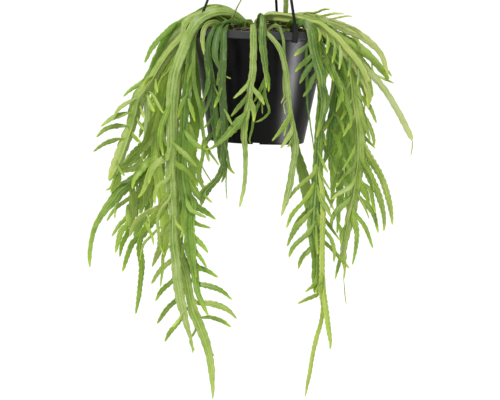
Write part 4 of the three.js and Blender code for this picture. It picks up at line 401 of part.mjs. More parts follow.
      [[78.5,-29.2,-374,5.5,1.7,-0.9,-0.18,-0.39],[88.4,-35.7,-400,1.8,1,-0.96,-0.17,-0.22]],
      [[79.8,-28.2,-362.3,5,1.5,-0.82,0.24,0.51],[68.6,-21.7,-388.2,1.9,1,-0.95,0.24,0.2]],
      [[86.2,-22,-288,4.8,1.5,-1,0.05,0.01],[93.1,-28.2,-304.1,4.7,1.4,-0.95,-0.04,-0.32],[96,-31.7,-314.6,1.8,1,-0.97,-0.03,-0.25]],
    ] },
  stem_right_inner: { kind: 'flat', main: [[27.9,0,-252.4,4.2,2.6,0.97,0.22,0],[27.9,0,-240.4,4.2,2.6,0.97,0.22,0],[29.1,0.2,-236.9,4.2,2.3,0.76,0.18,-0.62],[32.3,0.4,-234.9,4.5,1.9,0.37,0.17,-0.91],[48.1,0.1,-234.3,6.1,1.9,-0.03,0.1,-0.99],[63.9,0.1,-236,6.6,2,-0.31,0.03,-0.95],[71.4,-0.7,-239.2,6.6,2,-0.4,0.01,-0.92],[75.6,-2.5,-241.4,6.6,2,-0.5,0.06,-0.86],[78.5,-14.9,-245,6.6,2,-0.76,0.13,-0.64],[80.6,-11.3,-249.1,6.6,2,-0.95,-0.1,-0.3],[82.4,-6.3,-256.9,6.6,2,-0.95,-0.07,-0.3],[88.1,-5.3,-275.9,6.6,2,-0.95,-0.11,-0.29],[94.3,-5.9,-295,6.7,2,-0.97,-0.13,-0.2],[95.9,-6.9,-315,6.6,2,-0.99,-0.11,-0.04],[96.5,-7.7,-335,6.3,1.9,-1,-0.07,0.02],[95.2,-8.7,-355,6,1.8,-1,0,0.01],[96.1,-9.7,-375,5.8,1.7,-1,0.08,0.02],[94.5,-10.5,-395,5.7,1.7,-0.99,0.16,0.02],[95.1,-11.7,-415,7.1,2.1,-0.97,0.24,0.02],[92.7,-12.3,-434.9,5.6,1.7,-0.96,0.29,0.02],[93.3,-13.4,-454.8,4.2,1.3,-0.95,0.32,0.02],[92.6,-14,-466.6,1.8,1,-0.95,0.32,0.04]],
    sides: [
      [[95.8,-8.3,-347,6.3,1.9,-0.8,-0.5,0.34],[84.5,-16.4,-375.2,2.1,1,-0.77,-0.48,0.42]],
      [[95.7,-9.3,-367,6.1,1.8,-0.77,-0.43,0.47],[85.3,-17.3,-397.1,2,1,-0.85,-0.43,0.31]],
      [[96.4,-7.2,-323,5,1.5,-0.95,0.28,-0.15],[103.2,-11.9,-336.6,4.8,1.5,-0.88,0.2,-0.43],[106.4,-15.3,-348,1.9,1,-0.93,0.22,-0.3]],
      [[95.9,-8.1,-343,4.8,1.5,-0.83,-0.02,-0.56],[106.1,-16.2,-367.8,1.8,1,-0.99,-0.02,-0.16]],
      [[95.7,-9.1,-363,4.9,1.5,-0.84,-0.14,-0.53],[105.8,-17.2,-387.5,1.8,1,-0.98,-0.13,-0.13]],
      [[95.3,-10,-383,4.8,1.5,-0.83,-0.04,-0.56],[106.5,-18.1,-407.2,1.8,1,-0.97,-0.04,-0.24]],
      [[94.8,-11,-403,4.9,1.5,-0.82,0.1,-0.56],[104,-19.1,-427,1.8,1,-0.97,0.1,-0.2]],
      [[94,-11.9,-423,5.1,1.5,-0.78,-0.3,-0.55],[103.3,-20,-446.3,1.9,1,-0.96,-0.29,0.05]],
      [[96,-7.7,-335,5.2,1.6,0.11,-0.2,0.97],[91.8,-9.8,-337.9,5.3,1.6,-0.71,-0.35,0.61],[82.7,-15.8,-357.7,2,1,-0.84,-0.37,0.4]],
      [[95.7,-8.9,-359,5.1,1.5,-0.4,0.43,0.81],[91.6,-10.9,-362.7,5.2,1.6,-0.84,0.33,0.42],[82.6,-16.9,-384,1.9,1,-0.92,0.32,0.22]],
      [[95.5,-9.8,-379,5.2,1.6,-0.46,0.46,0.76],[92.1,-11.9,-382.5,5.3,1.6,-0.84,0.37,0.39],[82.4,-17.9,-403.7,2,1,-0.9,0.36,0.25]],
      [[94.9,-10.8,-399,4.3,1.4,-0.47,0.55,0.69],[94.2,-11.8,-398.7,4.3,1.4,-0.81,0.39,0.44],[84.5,-18.9,-423.7,2,1,-0.91,0.38,0.13]],
      [[94.5,-11.5,-415,5.5,1.7,-0.81,-0.52,0.27],[86.7,-16.3,-427.6,5,1.5,-0.74,-0.43,0.51],[84.5,-19.6,-438.9,1.9,1,-0.85,-0.46,0.25]],
      [[93.1,-12.5,-434.9,5.4,1.6,-0.84,-0.54,-0.07],[91.7,-14.6,-441.3,5.1,1.5,-0.65,-0.41,0.64],[86.4,-20.6,-463.4,2,1,-0.9,-0.43,0.05]],
      [[93.3,-13.4,-454.8,4.4,1.3,-0.82,0.26,-0.5],[100,-21.5,-477.9,1.9,1,-0.95,0.27,-0.18]],
    ] },
  stem_right_thin: { kind: 'flat', main: [[47.9,24,-256.3,4.2,2.6,0.87,0.49,0],[47.9,24,-244.3,4.2,2.6,0.87,0.49,0],[49.7,26,-237,4.2,1.9,0.67,0.43,-0.6],[52.4,27.1,-234.5,4,1.5,0.17,0.37,-0.91],[60.3,30,-235,4,1.2,-0.24,0.35,-0.9],[67.9,32.3,-237.1,4.2,1.3,-0.45,0.35,-0.82],[74.4,32.7,-241.5,4.3,1.3,-0.61,0.32,-0.73],[80.2,32.7,-246.9,4.5,1.3,-0.69,0.27,-0.68],[92.3,29.6,-262.2,4.1,1.2,-0.76,0.1,-0.65],[104.9,27,-277.3,3.4,1,-0.86,-0.01,-0.51],[112.9,25.3,-295.2,2.9,1,-0.95,-0.05,-0.32],[117.2,23.8,-314.4,2.4,1,-0.99,0,-0.12],[118,22,-338,1.1,0.9,-0.99,0.15,0.02]],
    sides: [
    ] },
  stem_upright: { kind: 'flat', main: [[27.8,-8,-252.5,4.2,2.6,1,-0.09,0],[27.8,-8,-240.5,4.2,2.6,1,-0.09,0],[27.2,-10.5,-233.5,4.4,1.9,0.99,-0.1,0.09],[27.2,-15.6,-214.5,5.6,1.7,0.99,-0.16,0.02],[23.8,-18.7,-195,5.5,1.6,0.96,-0.23,0.14],[20.2,-21.4,-175.6,4.7,1.4,0.95,-0.29,0.15],[17.1,-24,-152.1,1.8,1,0.94,-0.34,0.04]],
    sides: [
    ] },
  stem_upright_thin: { kind: 'flat', main: [[-34.4,-26,-254.4,4.2,2.6,0.96,0.28,0],[-34.4,-26,-242.4,4.2,2.6,0.96,0.28,0],[-34.1,-28,-239.7,4.2,2.4,0.96,0.28,0.09],[-33.5,-30.1,-239.7,4,2.1,0.93,0.36,-0.03],[-32.6,-31.9,-239,3.6,1.9,0.9,0.4,-0.16],[-28.5,-35.4,-227.7,2.2,1,0.86,0.46,-0.22],[-20.7,-38.5,-209,1.4,1,0.83,0.52,-0.2],[-16.5,-40.1,-197.6,1.1,0.8,0.81,0.54,-0.24]],
    sides: [
    ] },
  stem_back_right_long: { kind: 'flat', main: [[30.3,52.9,-257.8,4.2,2.6,0.97,-0.25,0],[30.3,52.9,-245.8,4.2,2.6,0.97,-0.25,0],[30.3,51.9,-240.9,0.2,0.7,0.97,-0.25,0],[30,51.7,-240.8,0.1,0.7,0.5,0.31,-0.81],[29.7,52.2,-241.1,2.8,1.7,0.71,-0.14,-0.69],[29.8,56,-242,4.6,1.7,0.67,-0.22,-0.71],[34,61.8,-240.1,6.1,2.2,0.47,-0.21,-0.86],[38.5,70.2,-242.9,6.8,2.3,-0.48,-0.47,-0.74],[39.9,71.1,-245.6,7.1,2.3,-0.9,-0.38,-0.22],[41.6,72.7,-256,8.8,2.6,-0.99,-0.09,-0.11],[40.5,76.4,-274.4,8.8,2.6,-1,0,0.04],[41.1,76.8,-294.3,9.4,2.6,-1,0.02,0.04],[38.7,76.6,-314.1,9.5,2.6,-1,0,0.03],[40.3,75.9,-334,9.7,2.6,-1,-0.06,-0.02],[39.4,73.8,-353.8,10,2.6,-0.99,-0.14,-0.05],[43,70.4,-373,9.8,2.6,-0.97,-0.23,-0.09],[46.2,65.5,-392,11.5,2.6,-0.92,-0.29,-0.28],[54.8,61.3,-409.5,12.2,2.6,-0.94,-0.31,-0.14],[56.7,55.5,-428.5,11.9,2.6,-0.95,-0.31,-0.11],[62.3,51.1,-446.7,8,2.4,-0.94,-0.27,-0.19],[64.7,48,-456.5,1.7,1,-0.94,-0.23,-0.25]],
    sides: [
    ] },
  stem_back_middle: { kind: 'flat', main: [[8.3,42,-254.4,4.2,2.6,0.99,0.17,0],[8.3,42,-242.4,4.2,2.6,0.99,0.17,0],[8,45,-240.2,4.2,2.3,0.98,0.17,-0.12],[7.4,48.1,-240.9,4.4,2,0.98,0.14,-0.16],[6.5,57.9,-243.7,5.3,1.8,0.98,0,-0.22],[7.3,63.9,-241.7,6.3,1.9,0.92,-0.26,-0.29],[7.8,77.6,-245.2,6.9,2.1,0.94,-0.19,-0.29],[8.9,78.7,-247.6,7.2,2.2,0.93,-0.36,0.02],[10.8,80.5,-256.8,8.4,2.5,0.91,-0.4,0.07],[11.3,81.7,-264.7,8.9,2.6,0.91,-0.41,0.11],[13.5,83.1,-284.4,9.6,2.6,0.91,-0.4,0.09],[16.8,82.6,-304,9.4,2.6,0.93,-0.37,0.07],[15.8,81.7,-323.8,8.6,2.6,0.95,-0.32,0.02],[17,79.1,-343.4,6.8,2.1,0.96,-0.26,0.04],[17,76,-370.6,1.7,1,0.98,-0.17,0.06]],
    sides: [
      [[13.8,82.6,-280.3,6.2,1.9,0.36,-0.43,-0.83],[20.4,84,-281.2,6.1,1.8,-0.6,-0.44,-0.67],[29.6,89,-306,2.1,1,-0.83,-0.46,-0.31]],
      [[16.3,82.7,-308,5.7,1.7,-0.45,0.21,0.86],[18,83.5,-307.2,5.7,1.7,-0.9,0.34,0.28],[8.3,89.2,-333.7,1.9,1,-0.93,0.3,0.22]],
      [[16.5,81,-327.7,5.4,1.6,-0.62,0.03,-0.79],[29.3,87.5,-355.2,1.8,1,-0.97,-0.01,-0.26]],
    ] },
  stem_back_left: { kind: 'flat', main: [[-24.9,54,-257.5,4.2,2.6,1,0.08,0],[-24.9,54,-245.5,4.2,2.6,1,0.08,0],[-25.6,53.2,-241.3,3.1,1.9,0.84,0.07,0.53],[-27.1,53.7,-241.9,3.1,1.8,-0.17,0.65,0.74],[-30.1,55.3,-243.8,4.6,1.6,-0.24,0.18,0.95],[-31.6,56.8,-244.2,4.8,1.7,0.21,-0.02,0.98],[-35.3,61.7,-241.5,5.5,1.8,0.5,0.03,0.86],[-39.6,68.3,-242.3,6.6,2,-0.35,0.45,0.82],[-41.7,71.6,-248.1,7.3,2.2,-0.87,0.36,0.34],[-43.1,73.3,-256.1,8,2.4,-0.95,0.27,0.13],[-44.6,75.3,-276,8.9,2.6,-0.96,0.27,0],[-42.7,75.1,-295.8,9.2,2.6,-0.96,0.29,-0.03],[-43.2,74.4,-315.7,9,2.6,-0.95,0.29,-0.11],[-39.5,71.9,-335,7.5,2.3,-0.95,0.28,-0.16],[-37.1,69.8,-354.4,4.4,1.3,-0.95,0.24,-0.19],[-34.9,68,-369.8,1.7,1,-0.97,0.21,-0.16]],
    sides: [
      [[-43.8,75.3,-280,5.4,1.6,-0.91,0,0.41],[-51.8,81.7,-308.7,1.8,1,-0.99,0.01,0.1]],
      [[-43,74.8,-307.7,6,1.8,-0.71,-0.41,-0.57],[-30.7,81.2,-334.7,2,1,-0.86,-0.42,-0.31]],
      [[-40.7,72.5,-331.3,6.1,1.8,-0.77,0.45,0.46],[-47.7,79,-357.6,2,1,-0.87,0.45,0.19]],
    ] },
  stem_back_left_outer: { kind: 'flat', main: [[-34.9,44,-256.8,4.2,2.6,0.72,-0.69,0],[-34.9,44,-244.8,4.2,2.6,0.72,-0.69,0],[-36.6,44.3,-242.6,4.2,2.4,0.28,-0.27,0.92],[-40.5,44.5,-242.9,4.4,2,-0.1,-0.28,0.95],[-50.5,43.8,-241,5.9,2.1,0.26,-0.29,0.92],[-56.7,50.6,-240.6,8.3,2.5,-0.38,-0.11,0.92],[-60.1,52.8,-242.1,8.8,2.6,-0.76,-0.13,0.63],[-63.8,55.9,-249.1,9.7,2.6,-0.94,-0.27,0.21],[-68.1,62,-268,10.1,2.6,-0.89,-0.46,0.07],[-68.6,64.8,-287.9,10.6,2.6,-0.86,-0.51,0],[-69.9,64.5,-307.7,12.5,2.6,-0.84,-0.53,-0.04],[-68.4,65.7,-327.6,12.9,2.6,-0.85,-0.52,0.07],[-70.9,63.2,-347.2,12.8,2.6,-0.88,-0.47,0.02],[-68.9,62.3,-367.1,13,2.6,-0.91,-0.4,0.14],[-73.4,59.7,-386.3,9.3,2.6,-0.95,-0.32,0.04],[-69.4,58.1,-405.8,8.5,2.5,-0.96,-0.23,-0.15],[-66.1,56,-424.4,2.2,1,-0.97,-0.16,-0.2]],
    sides: [
      [[-69.4,64.5,-291.8,5.5,1.7,-0.9,0.19,-0.39],[-61.2,72.6,-322.2,1.8,1,-0.98,0.19,-0.03]],
      [[-69.1,65.2,-323.5,5.5,1.6,-0.86,-0.12,0.5],[-77.9,73.2,-354,1.8,1,-0.99,-0.1,0.08]],
      [[-70,64,-343.3,6.1,1.8,-0.84,0.43,-0.34],[-58.3,72.1,-371.4,2,1,-0.9,0.43,-0.13]],
      [[-69.8,63.4,-351.2,6.1,1.8,-0.94,0.17,0.31],[-74.6,69.1,-376.3,5.1,1.5,-0.99,0.17,-0.01],[-73.8,71.4,-387.2,1.8,1,-0.99,0.17,-0.02]],
      [[-69.6,62.3,-363,4.5,1.6,-0.08,0.07,-0.99],[-67,63.1,-363.2,4.6,1.6,-0.86,-0.08,-0.5],[-68.6,67.2,-383.1,6.5,2,-0.98,-0.18,-0.07],[-67.2,70.3,-398.7,1.9,1,-0.98,-0.17,-0.12]],
      [[-69,65.2,-319.6,6.3,1.9,-0.89,0.29,-0.36],[-59.6,73.3,-351.1,1.9,1,-0.96,0.29,-0.04]],
      [[-71.1,61.1,-374.7,6.2,1.9,-0.92,-0.23,0.3],[-78.1,69.2,-405.1,2.5,1,-0.97,-0.23,0.02]],
      [[-72.4,59.5,-390.3,6.9,2.1,-0.12,0.65,-0.75],[-68,61.4,-393.2,7.4,2.2,-0.81,0.49,-0.32],[-61.2,67.6,-419,2.8,1,-0.88,0.47,0]],
      [[-70.2,57.9,-405.9,6.8,2,-0.66,-0.52,0.54],[-71.1,59,-406.1,7,2.1,-0.86,-0.46,0.24],[-73.7,66.1,-433.8,2.7,1,-0.88,-0.44,-0.17]],
    ] },
  stem_back_right: { kind: 'flat', main: [[41.3,32.9,-256.1,4.2,2.6,1,-0.07,0],[41.3,32.9,-244.1,4.2,2.6,1,-0.07,0],[41.5,33.9,-240.8,4.2,2.3,0.99,-0.07,-0.09],[41.8,35.3,-240.2,4.3,2.2,0.94,-0.25,-0.23],[44.6,39.1,-239.4,4.7,1.7,0.47,-0.33,-0.82],[50.8,43.1,-237.9,5.6,1.9,0.23,-0.23,-0.95],[57.2,47.1,-239,6.9,2.1,-0.22,-0.27,-0.94],[62.7,50.7,-243.3,7.6,2.3,-0.75,-0.36,-0.56],[63.7,52.2,-250.3,8.1,2.4,-0.94,-0.34,-0.11],[63.8,54.4,-261.7,8.8,2.6,-0.94,-0.32,-0.14],[66,59,-281.8,9.5,2.6,-0.92,-0.38,-0.1],[67.4,59.2,-301.9,8.2,2.5,-0.91,-0.4,-0.14],[70.4,59.7,-321.8,8.1,2.4,-0.93,-0.37,-0.03],[69.4,57.8,-341.8,8.5,2.5,-0.95,-0.31,0.05],[70.3,55.7,-361.7,8.9,2.6,-0.97,-0.22,0.04],[69.1,52.6,-381.6,8.2,2.5,-0.99,-0.12,-0.01],[70.8,49.8,-401.4,6.5,1.9,-1,-0.03,-0.01],[70.6,46.9,-421.2,3.9,1.2,-1,0.04,-0.04],[71.3,44,-441,1.7,1,-1,0.07,-0.05]],
    sides: [
      [[68.1,59.5,-301.8,5,1.5,-0.96,0.22,0.18],[74.5,67.6,-329.9,1.9,1,-0.96,0.26,-0.07]],
      [[70,59.1,-329.8,4.8,1.5,-0.86,-0.08,0.51],[69.7,61.1,-335.8,5,1.5,-0.93,0.04,-0.38],[76.1,67.2,-356.6,1.8,1,-0.98,0.04,-0.19]],
      [[69.6,56.1,-357.7,5.9,1.8,-0.82,-0.37,-0.44],[77.8,64.2,-386.1,2,1,-0.89,-0.38,-0.26]],
      [[69.8,52.7,-381.6,5.7,1.7,-0.95,-0.26,0.19],[64.7,60.8,-409.5,1.7,1,-0.97,-0.26,0.02]],
    ] },
  stem_back_far_left: { kind: 'flat', main: [[-31.5,36,-255.2,4.2,2.6,0.92,0.38,0],[-31.5,36,-243.2,4.2,2.6,0.92,0.38,0],[-33.5,36.2,-241,4.2,2.4,0.22,0.09,0.97],[-37.4,36.4,-241.9,4.3,2,-0.25,0.11,0.96],[-48.9,36.7,-243.3,5.4,1.8,0.18,0.17,0.97],[-57,36.3,-240.7,7.3,2.2,0.37,0.2,0.91],[-61.6,41.5,-240,8,2.4,0.16,0.28,0.95],[-65.7,45.4,-241.9,8.4,2.5,-0.42,0.44,0.79],[-68.5,45,-245.5,8.9,2.6,-0.8,0.37,0.47],[-72.5,44.4,-252.8,9.3,2.6,-0.82,0.34,0.46],[-79.7,47,-271,9.4,2.6,-0.85,0.35,0.39],[-86.5,51.1,-289.3,9.2,2.6,-0.92,0.3,0.23],[-87.7,53.3,-309.2,8.9,2.6,-0.98,0.18,0.1],[-90.2,54.3,-329.2,8.8,2.6,-1,0.03,0.05],[-89.7,54.9,-349.4,8.9,2.6,-0.99,-0.12,0.04],[-91.4,55,-369.5,9,2.6,-0.98,-0.21,-0.03],[-88.7,55.5,-389.4,9,2.6,-0.97,-0.23,-0.09],[-87.9,54.7,-409.5,8.9,2.6,-0.98,-0.16,-0.12],[-83.8,52.6,-429.1,8.4,2.5,-0.99,-0.03,-0.13],[-82.1,49.9,-448.9,8,2.4,-0.97,0.13,-0.19],[-78.4,46.8,-468.4,6.3,1.9,-0.96,0.27,-0.12],[-78,44,-488,2.4,1,-0.94,0.34,-0.08]],
    sides: [
      [[-88.8,53.6,-313.2,5.8,1.7,-0.84,-0.33,0.44],[-101.6,63.3,-340.9,1.9,1,-0.94,-0.32,0.14]],
      [[-90.1,54.6,-341.3,5.7,1.7,-0.45,-0.07,-0.89],[-84.3,59.1,-351.7,5.5,1.7,-0.86,-0.25,-0.45],[-79.4,64.2,-369.1,1.9,1,-0.92,-0.26,-0.29]],
      [[-90.7,55.1,-365.4,5.6,1.7,-0.9,-0.21,0.37],[-99.7,64.8,-393.3,1.9,1,-0.97,-0.21,0.1]],
      [[-89.8,55.3,-385.5,5.8,1.7,-0.8,-0.34,-0.49],[-77.7,66.1,-416.1,1.9,1,-0.85,-0.34,-0.4]],
      [[-87.1,54.8,-409.4,5.5,1.7,-0.99,-0.14,-0.05],[-93.7,61.3,-429.4,4.5,1.3,-0.98,-0.19,0.08],[-94.6,64.4,-440.1,1.8,1,-0.98,-0.18,0.04]],
      [[-85.8,50.9,-289.5,6.2,1.9,-0.15,-0.04,-0.99],[-82.1,52.8,-293.4,6.6,2,-0.92,-0.18,-0.35],[-77.2,60.5,-322,1.9,1,-0.97,-0.19,-0.16]],
    ] },
  stem_back_far_right: { kind: 'flat', main: [[21.5,48,-256.1,4.2,2.6,0.59,0.81,0],[21.5,48,-244.1,4.2,2.6,0.59,0.81,0],[23.6,48.3,-241.8,4.2,2.4,0.2,0.28,-0.94],[27.4,48.4,-242.7,4.4,2,-0.22,0.24,-0.95],[35.2,48.8,-243.5,5,1.7,0.08,0.2,-0.98],[42.9,51.5,-241.5,6.3,2,0.21,0.13,-0.97],[51.3,54.3,-240.2,7.2,2.2,-0.09,0.02,-1],[58.9,56.9,-243.8,7.9,2.4,-0.63,-0.06,-0.77],[65.1,58.3,-249.5,8.4,2.5,-0.65,-0.07,-0.75],[78.2,57.3,-264.4,9,2.6,-0.79,-0.19,-0.58],[89.8,57.3,-280.8,9.2,2.6,-0.88,-0.28,-0.39],[94.6,55.6,-300.4,9.3,2.6,-0.93,-0.31,-0.19],[99.7,54.6,-319.9,9.1,2.6,-0.96,-0.27,-0.11],[100.3,52.5,-340,8.8,2.6,-0.98,-0.18,-0.08],[103.4,50.1,-359.8,8.3,2.5,-1,-0.04,-0.03],[101.9,46,-379.3,6.3,1.9,-0.99,0.1,0.01],[101.3,41.4,-398.8,4.2,1.3,-0.98,0.21,0.02],[100.3,37.7,-418.2,1.7,1,-0.96,0.28,0.01]],
    sides: [
      [[95.4,55.8,-300.2,5.6,1.7,-0.81,-0.23,-0.54],[106.1,65.5,-327.4,1.9,1,-0.92,-0.23,-0.31]],
      [[98.9,54.4,-320,5.6,1.7,-0.94,0.23,0.27],[89.1,64.1,-350.3,1.9,1,-0.96,0.2,0.2]],
      [[101.9,51.8,-347.9,5.8,1.7,-0.86,0.33,-0.4],[113.5,61.5,-376,1.9,1,-0.94,0.33,-0.13]],
      [[102.7,47.6,-371.5,5.6,1.7,-0.16,-0.47,0.87],[98.8,49.8,-374.5,5.6,1.7,-0.89,-0.27,0.37],[92.1,57.3,-398.8,1.9,1,-0.96,-0.26,0.07]],
    ] },
  stem_back_left_arch: { kind: 'flat', main: [[-18.3,50,-256.2,4.2,2.6,0.94,-0.33,0],[-18.3,50,-244.2,4.2,2.6,0.94,-0.33,0],[-20.1,50.1,-241.5,4.2,2.4,0.46,-0.16,0.88],[-24.1,50.1,-241.2,4.4,1.9,0.03,-0.18,0.98],[-35.8,51.8,-240,5.4,1.8,0.14,-0.23,0.96],[-43.3,54.2,-238.4,6.7,2,0.16,-0.25,0.95],[-51,56.3,-237.3,7.6,2.3,-0.03,-0.26,0.97],[-58.7,58.5,-237.6,8.2,2.5,-0.23,-0.28,0.93],[-68.8,61.7,-242.9,9,2.6,-0.61,-0.32,0.73],[-83.5,63.1,-256.3,9.5,2.6,-0.78,-0.37,0.5],[-92.8,66.1,-273.8,9.4,2.6,-0.81,-0.36,0.46],[-103.7,66.4,-290.6,9.3,2.6,-0.86,-0.32,0.4],[-109.3,66,-309.8,9,2.6,-0.92,-0.25,0.3],[-115.8,64.4,-328.8,8.6,2.6,-0.96,-0.15,0.22],[-117.7,63,-348.7,7.3,2.2,-0.99,-0.05,0.14],[-121.1,60.6,-368.3,5.4,1.6,-0.99,0.04,0.1],[-123.6,56.1,-387.4,3.6,1.1,-0.98,0.11,0.16],[-127.6,50,-410.1,1.7,1,-0.98,0.13,0.13]],
    sides: [
      [[-107.5,66.2,-302,5.8,1.7,-0.79,0.3,0.53],[-118.1,75.9,-324.4,1.9,1,-0.86,0.32,0.4]],
      [[-115.1,64.5,-328.9,6,1.8,-0.87,-0.43,-0.25],[-106.7,74.2,-359.6,2,1,-0.88,-0.41,-0.26]],
      [[-118.4,62.9,-348.6,5.5,1.6,-0.92,-0.08,0.38],[-130.6,72.6,-376.1,1.6,1,-0.96,-0.1,0.26]],
    ] },
  stem_back_right_inner: { kind: 'flat', main: [[48.8,9,-255.5,4.2,2.6,0.99,0.12,0],[48.8,9,-243.5,4.2,2.6,0.99,0.12,0],[46.5,18.7,-238.4,4.7,1.6,0.99,-0.1,-0.13],[48.9,20,-237,5,1.7,0.49,-0.35,-0.8],[62.9,25,-235.6,7.3,2.2,-0.06,-0.19,-0.98],[69.8,28.5,-237.3,7.9,2.4,-0.43,-0.22,-0.88],[75,29.1,-242,8.4,2.5,-0.78,-0.21,-0.59],[80.5,29.3,-251.9,9.1,2.6,-0.94,-0.22,-0.26],[81.6,28.5,-259.5,9.5,2.6,-0.94,-0.22,-0.26],[83.5,34.2,-275,10.2,2.6,-0.95,-0.23,-0.2],[87.8,36.5,-294.4,10.6,2.6,-0.97,-0.21,-0.1],[87.4,36,-314.4,10.5,2.6,-0.99,-0.15,-0.05],[90.2,35.5,-334.2,10.5,2.6,-1,-0.07,-0.03],[88.4,34.5,-354,10.4,2.6,-1,0.03,0.02],[89.3,32.8,-373.9,10.7,2.6,-0.99,0.12,0.06],[86.6,30.4,-393.4,10,2.6,-0.98,0.19,-0.01],[87.7,26.6,-412.8,7.3,2.2,-0.97,0.22,0],[85.9,22,-439.8,2.3,1,-0.98,0.21,0]],
    sides: [
      [[88.7,35.9,-322.3,4,1.4,-0.9,-0.27,-0.34],[88.5,36.8,-322.5,4.1,1.5,-0.89,0.15,-0.44],[99.8,44,-348.7,1.8,1,-0.97,0.17,-0.19]],
      [[89.3,35.3,-338.2,6.1,1.8,-0.31,-0.6,0.74],[88.2,36.3,-337.8,6.1,1.8,-0.78,-0.46,0.44],[80.9,43.4,-361.6,2,1,-0.9,-0.43,0.02]],
      [[89.2,34.2,-358,5.8,1.7,-0.32,0.51,-0.8],[90.1,35.1,-357.8,5.9,1.8,-0.76,0.37,-0.53],[101.3,41.2,-385.1,1.9,1,-0.92,0.35,-0.17]],
      [[88.3,32.9,-373.8,5.4,1.6,-0.93,-0.02,0.37],[82.3,40.9,-401.9,1.6,1,-1,-0.01,0.05]],
      [[87.5,30.2,-393.4,6,1.8,0.03,0.62,-0.78],[89.3,31,-392.7,6.1,1.8,-0.58,0.47,-0.66],[100.3,35.1,-419.1,2,1,-0.89,0.41,-0.19]],
      [[86.8,26.1,-416.6,6.2,1.8,-0.17,-0.37,-0.91],[93.5,29.3,-424.6,8.4,2.5,-0.76,-0.44,-0.49],[98.3,34.2,-443.3,2.1,1,-0.85,-0.45,-0.25]],
    ] },
  stem_back_left_inner: { kind: 'flat', main: [[-55.6,22.6,-257.6,4.2,2.6,0.99,0.15,0],[-55.6,22.6,-245.6,4.2,2.6,0.99,0.15,0],[-56.4,26.3,-242.1,4.3,2.2,0.95,0.15,0.28],[-62,31.8,-238,5,1.7,0.39,0.25,0.89],[-69.7,33.8,-237.7,6.4,2,-0.26,0.22,0.94],[-76.1,34.3,-242.2,7.4,2.2,-0.74,0.18,0.65],[-80.2,34.5,-248.8,8,2.4,-0.9,0.16,0.4],[-87.2,33.2,-267.4,9,2.6,-0.94,0.15,0.3],[-91.6,33.4,-286.9,9.8,2.6,-0.95,0.09,0.29],[-98.8,34.4,-305.7,10.3,2.6,-0.97,0,0.26],[-101.6,35.5,-325.6,10.5,2.6,-0.98,-0.11,0.19],[-106.9,36.2,-345,10.7,2.6,-0.97,-0.21,0.14],[-107.9,37.6,-365.1,10.9,2.6,-0.95,-0.28,0.11],[-112,37.5,-384.8,10.9,2.6,-0.95,-0.31,0.09],[-111.9,38.2,-404.9,10.5,2.6,-0.95,-0.29,0.07],[-115.2,37.8,-424.8,9.7,2.6,-0.97,-0.22,0.09],[-115.5,38.1,-444.9,9.2,2.6,-0.99,-0.12,0.11],[-118.8,38,-464.3,4.9,1.5,-0.99,-0.01,0.13],[-120.6,38,-480,2.2,1,-0.99,0.07,0.11]],
    sides: [
      [[-101.7,35.2,-321.5,5.5,1.6,-0.86,-0.07,-0.51],[-90.8,43.3,-350.4,1.8,1,-0.97,-0.08,-0.23]],
      [[-106,36.4,-345.1,5.7,1.7,-0.83,-0.31,0.46],[-117.7,42.7,-372.5,1.9,1,-0.94,-0.31,0.17]],
      [[-109.3,37.4,-368.9,5.6,1.7,-0.87,0.22,-0.43],[-98,45.5,-398.6,1.9,1,-0.96,0.22,-0.16]],
      [[-111.8,37.9,-392.8,5.7,1.7,0.01,-0.57,0.82],[-113.7,38.8,-392.2,5.9,1.8,-0.65,-0.38,0.66],[-123.8,46,-420.8,1.9,1,-0.94,-0.3,0.14]],
      [[-113.4,38,-412.8,3.3,1.3,-0.26,0.34,-0.9],[-112.8,38.9,-412.7,3.4,1.3,-0.73,-0.16,-0.67],[-103,46,-442.3,1.9,1,-0.96,-0.21,-0.18]],
      [[-115.1,38,-432.8,5.5,1.7,-0.19,-0.37,0.91],[-118.8,40.1,-436.3,5.9,1.8,-0.89,-0.16,0.42],[-126.3,46.1,-458.8,1.8,1,-0.97,-0.15,0.18]],
      [[-116.8,38,-448.7,6.1,1.8,-0.66,-0.43,-0.61],[-104.8,46.1,-476.8,2,1,-0.86,-0.44,-0.26]],
      [[-118.3,38,-460.4,5.5,1.6,-0.79,0.06,0.61],[-131.2,46.1,-487.6,1.8,1,-0.96,0.07,0.25]],
      [[-110.7,37.8,-380.9,6.1,1.8,-0.85,0.43,-0.31],[-102,42.1,-403.5,5.5,1.7,-0.9,0.44,-0.09],[-100.1,44.2,-415.3,2,1,-0.9,0.43,-0.08]],
    ] },
};

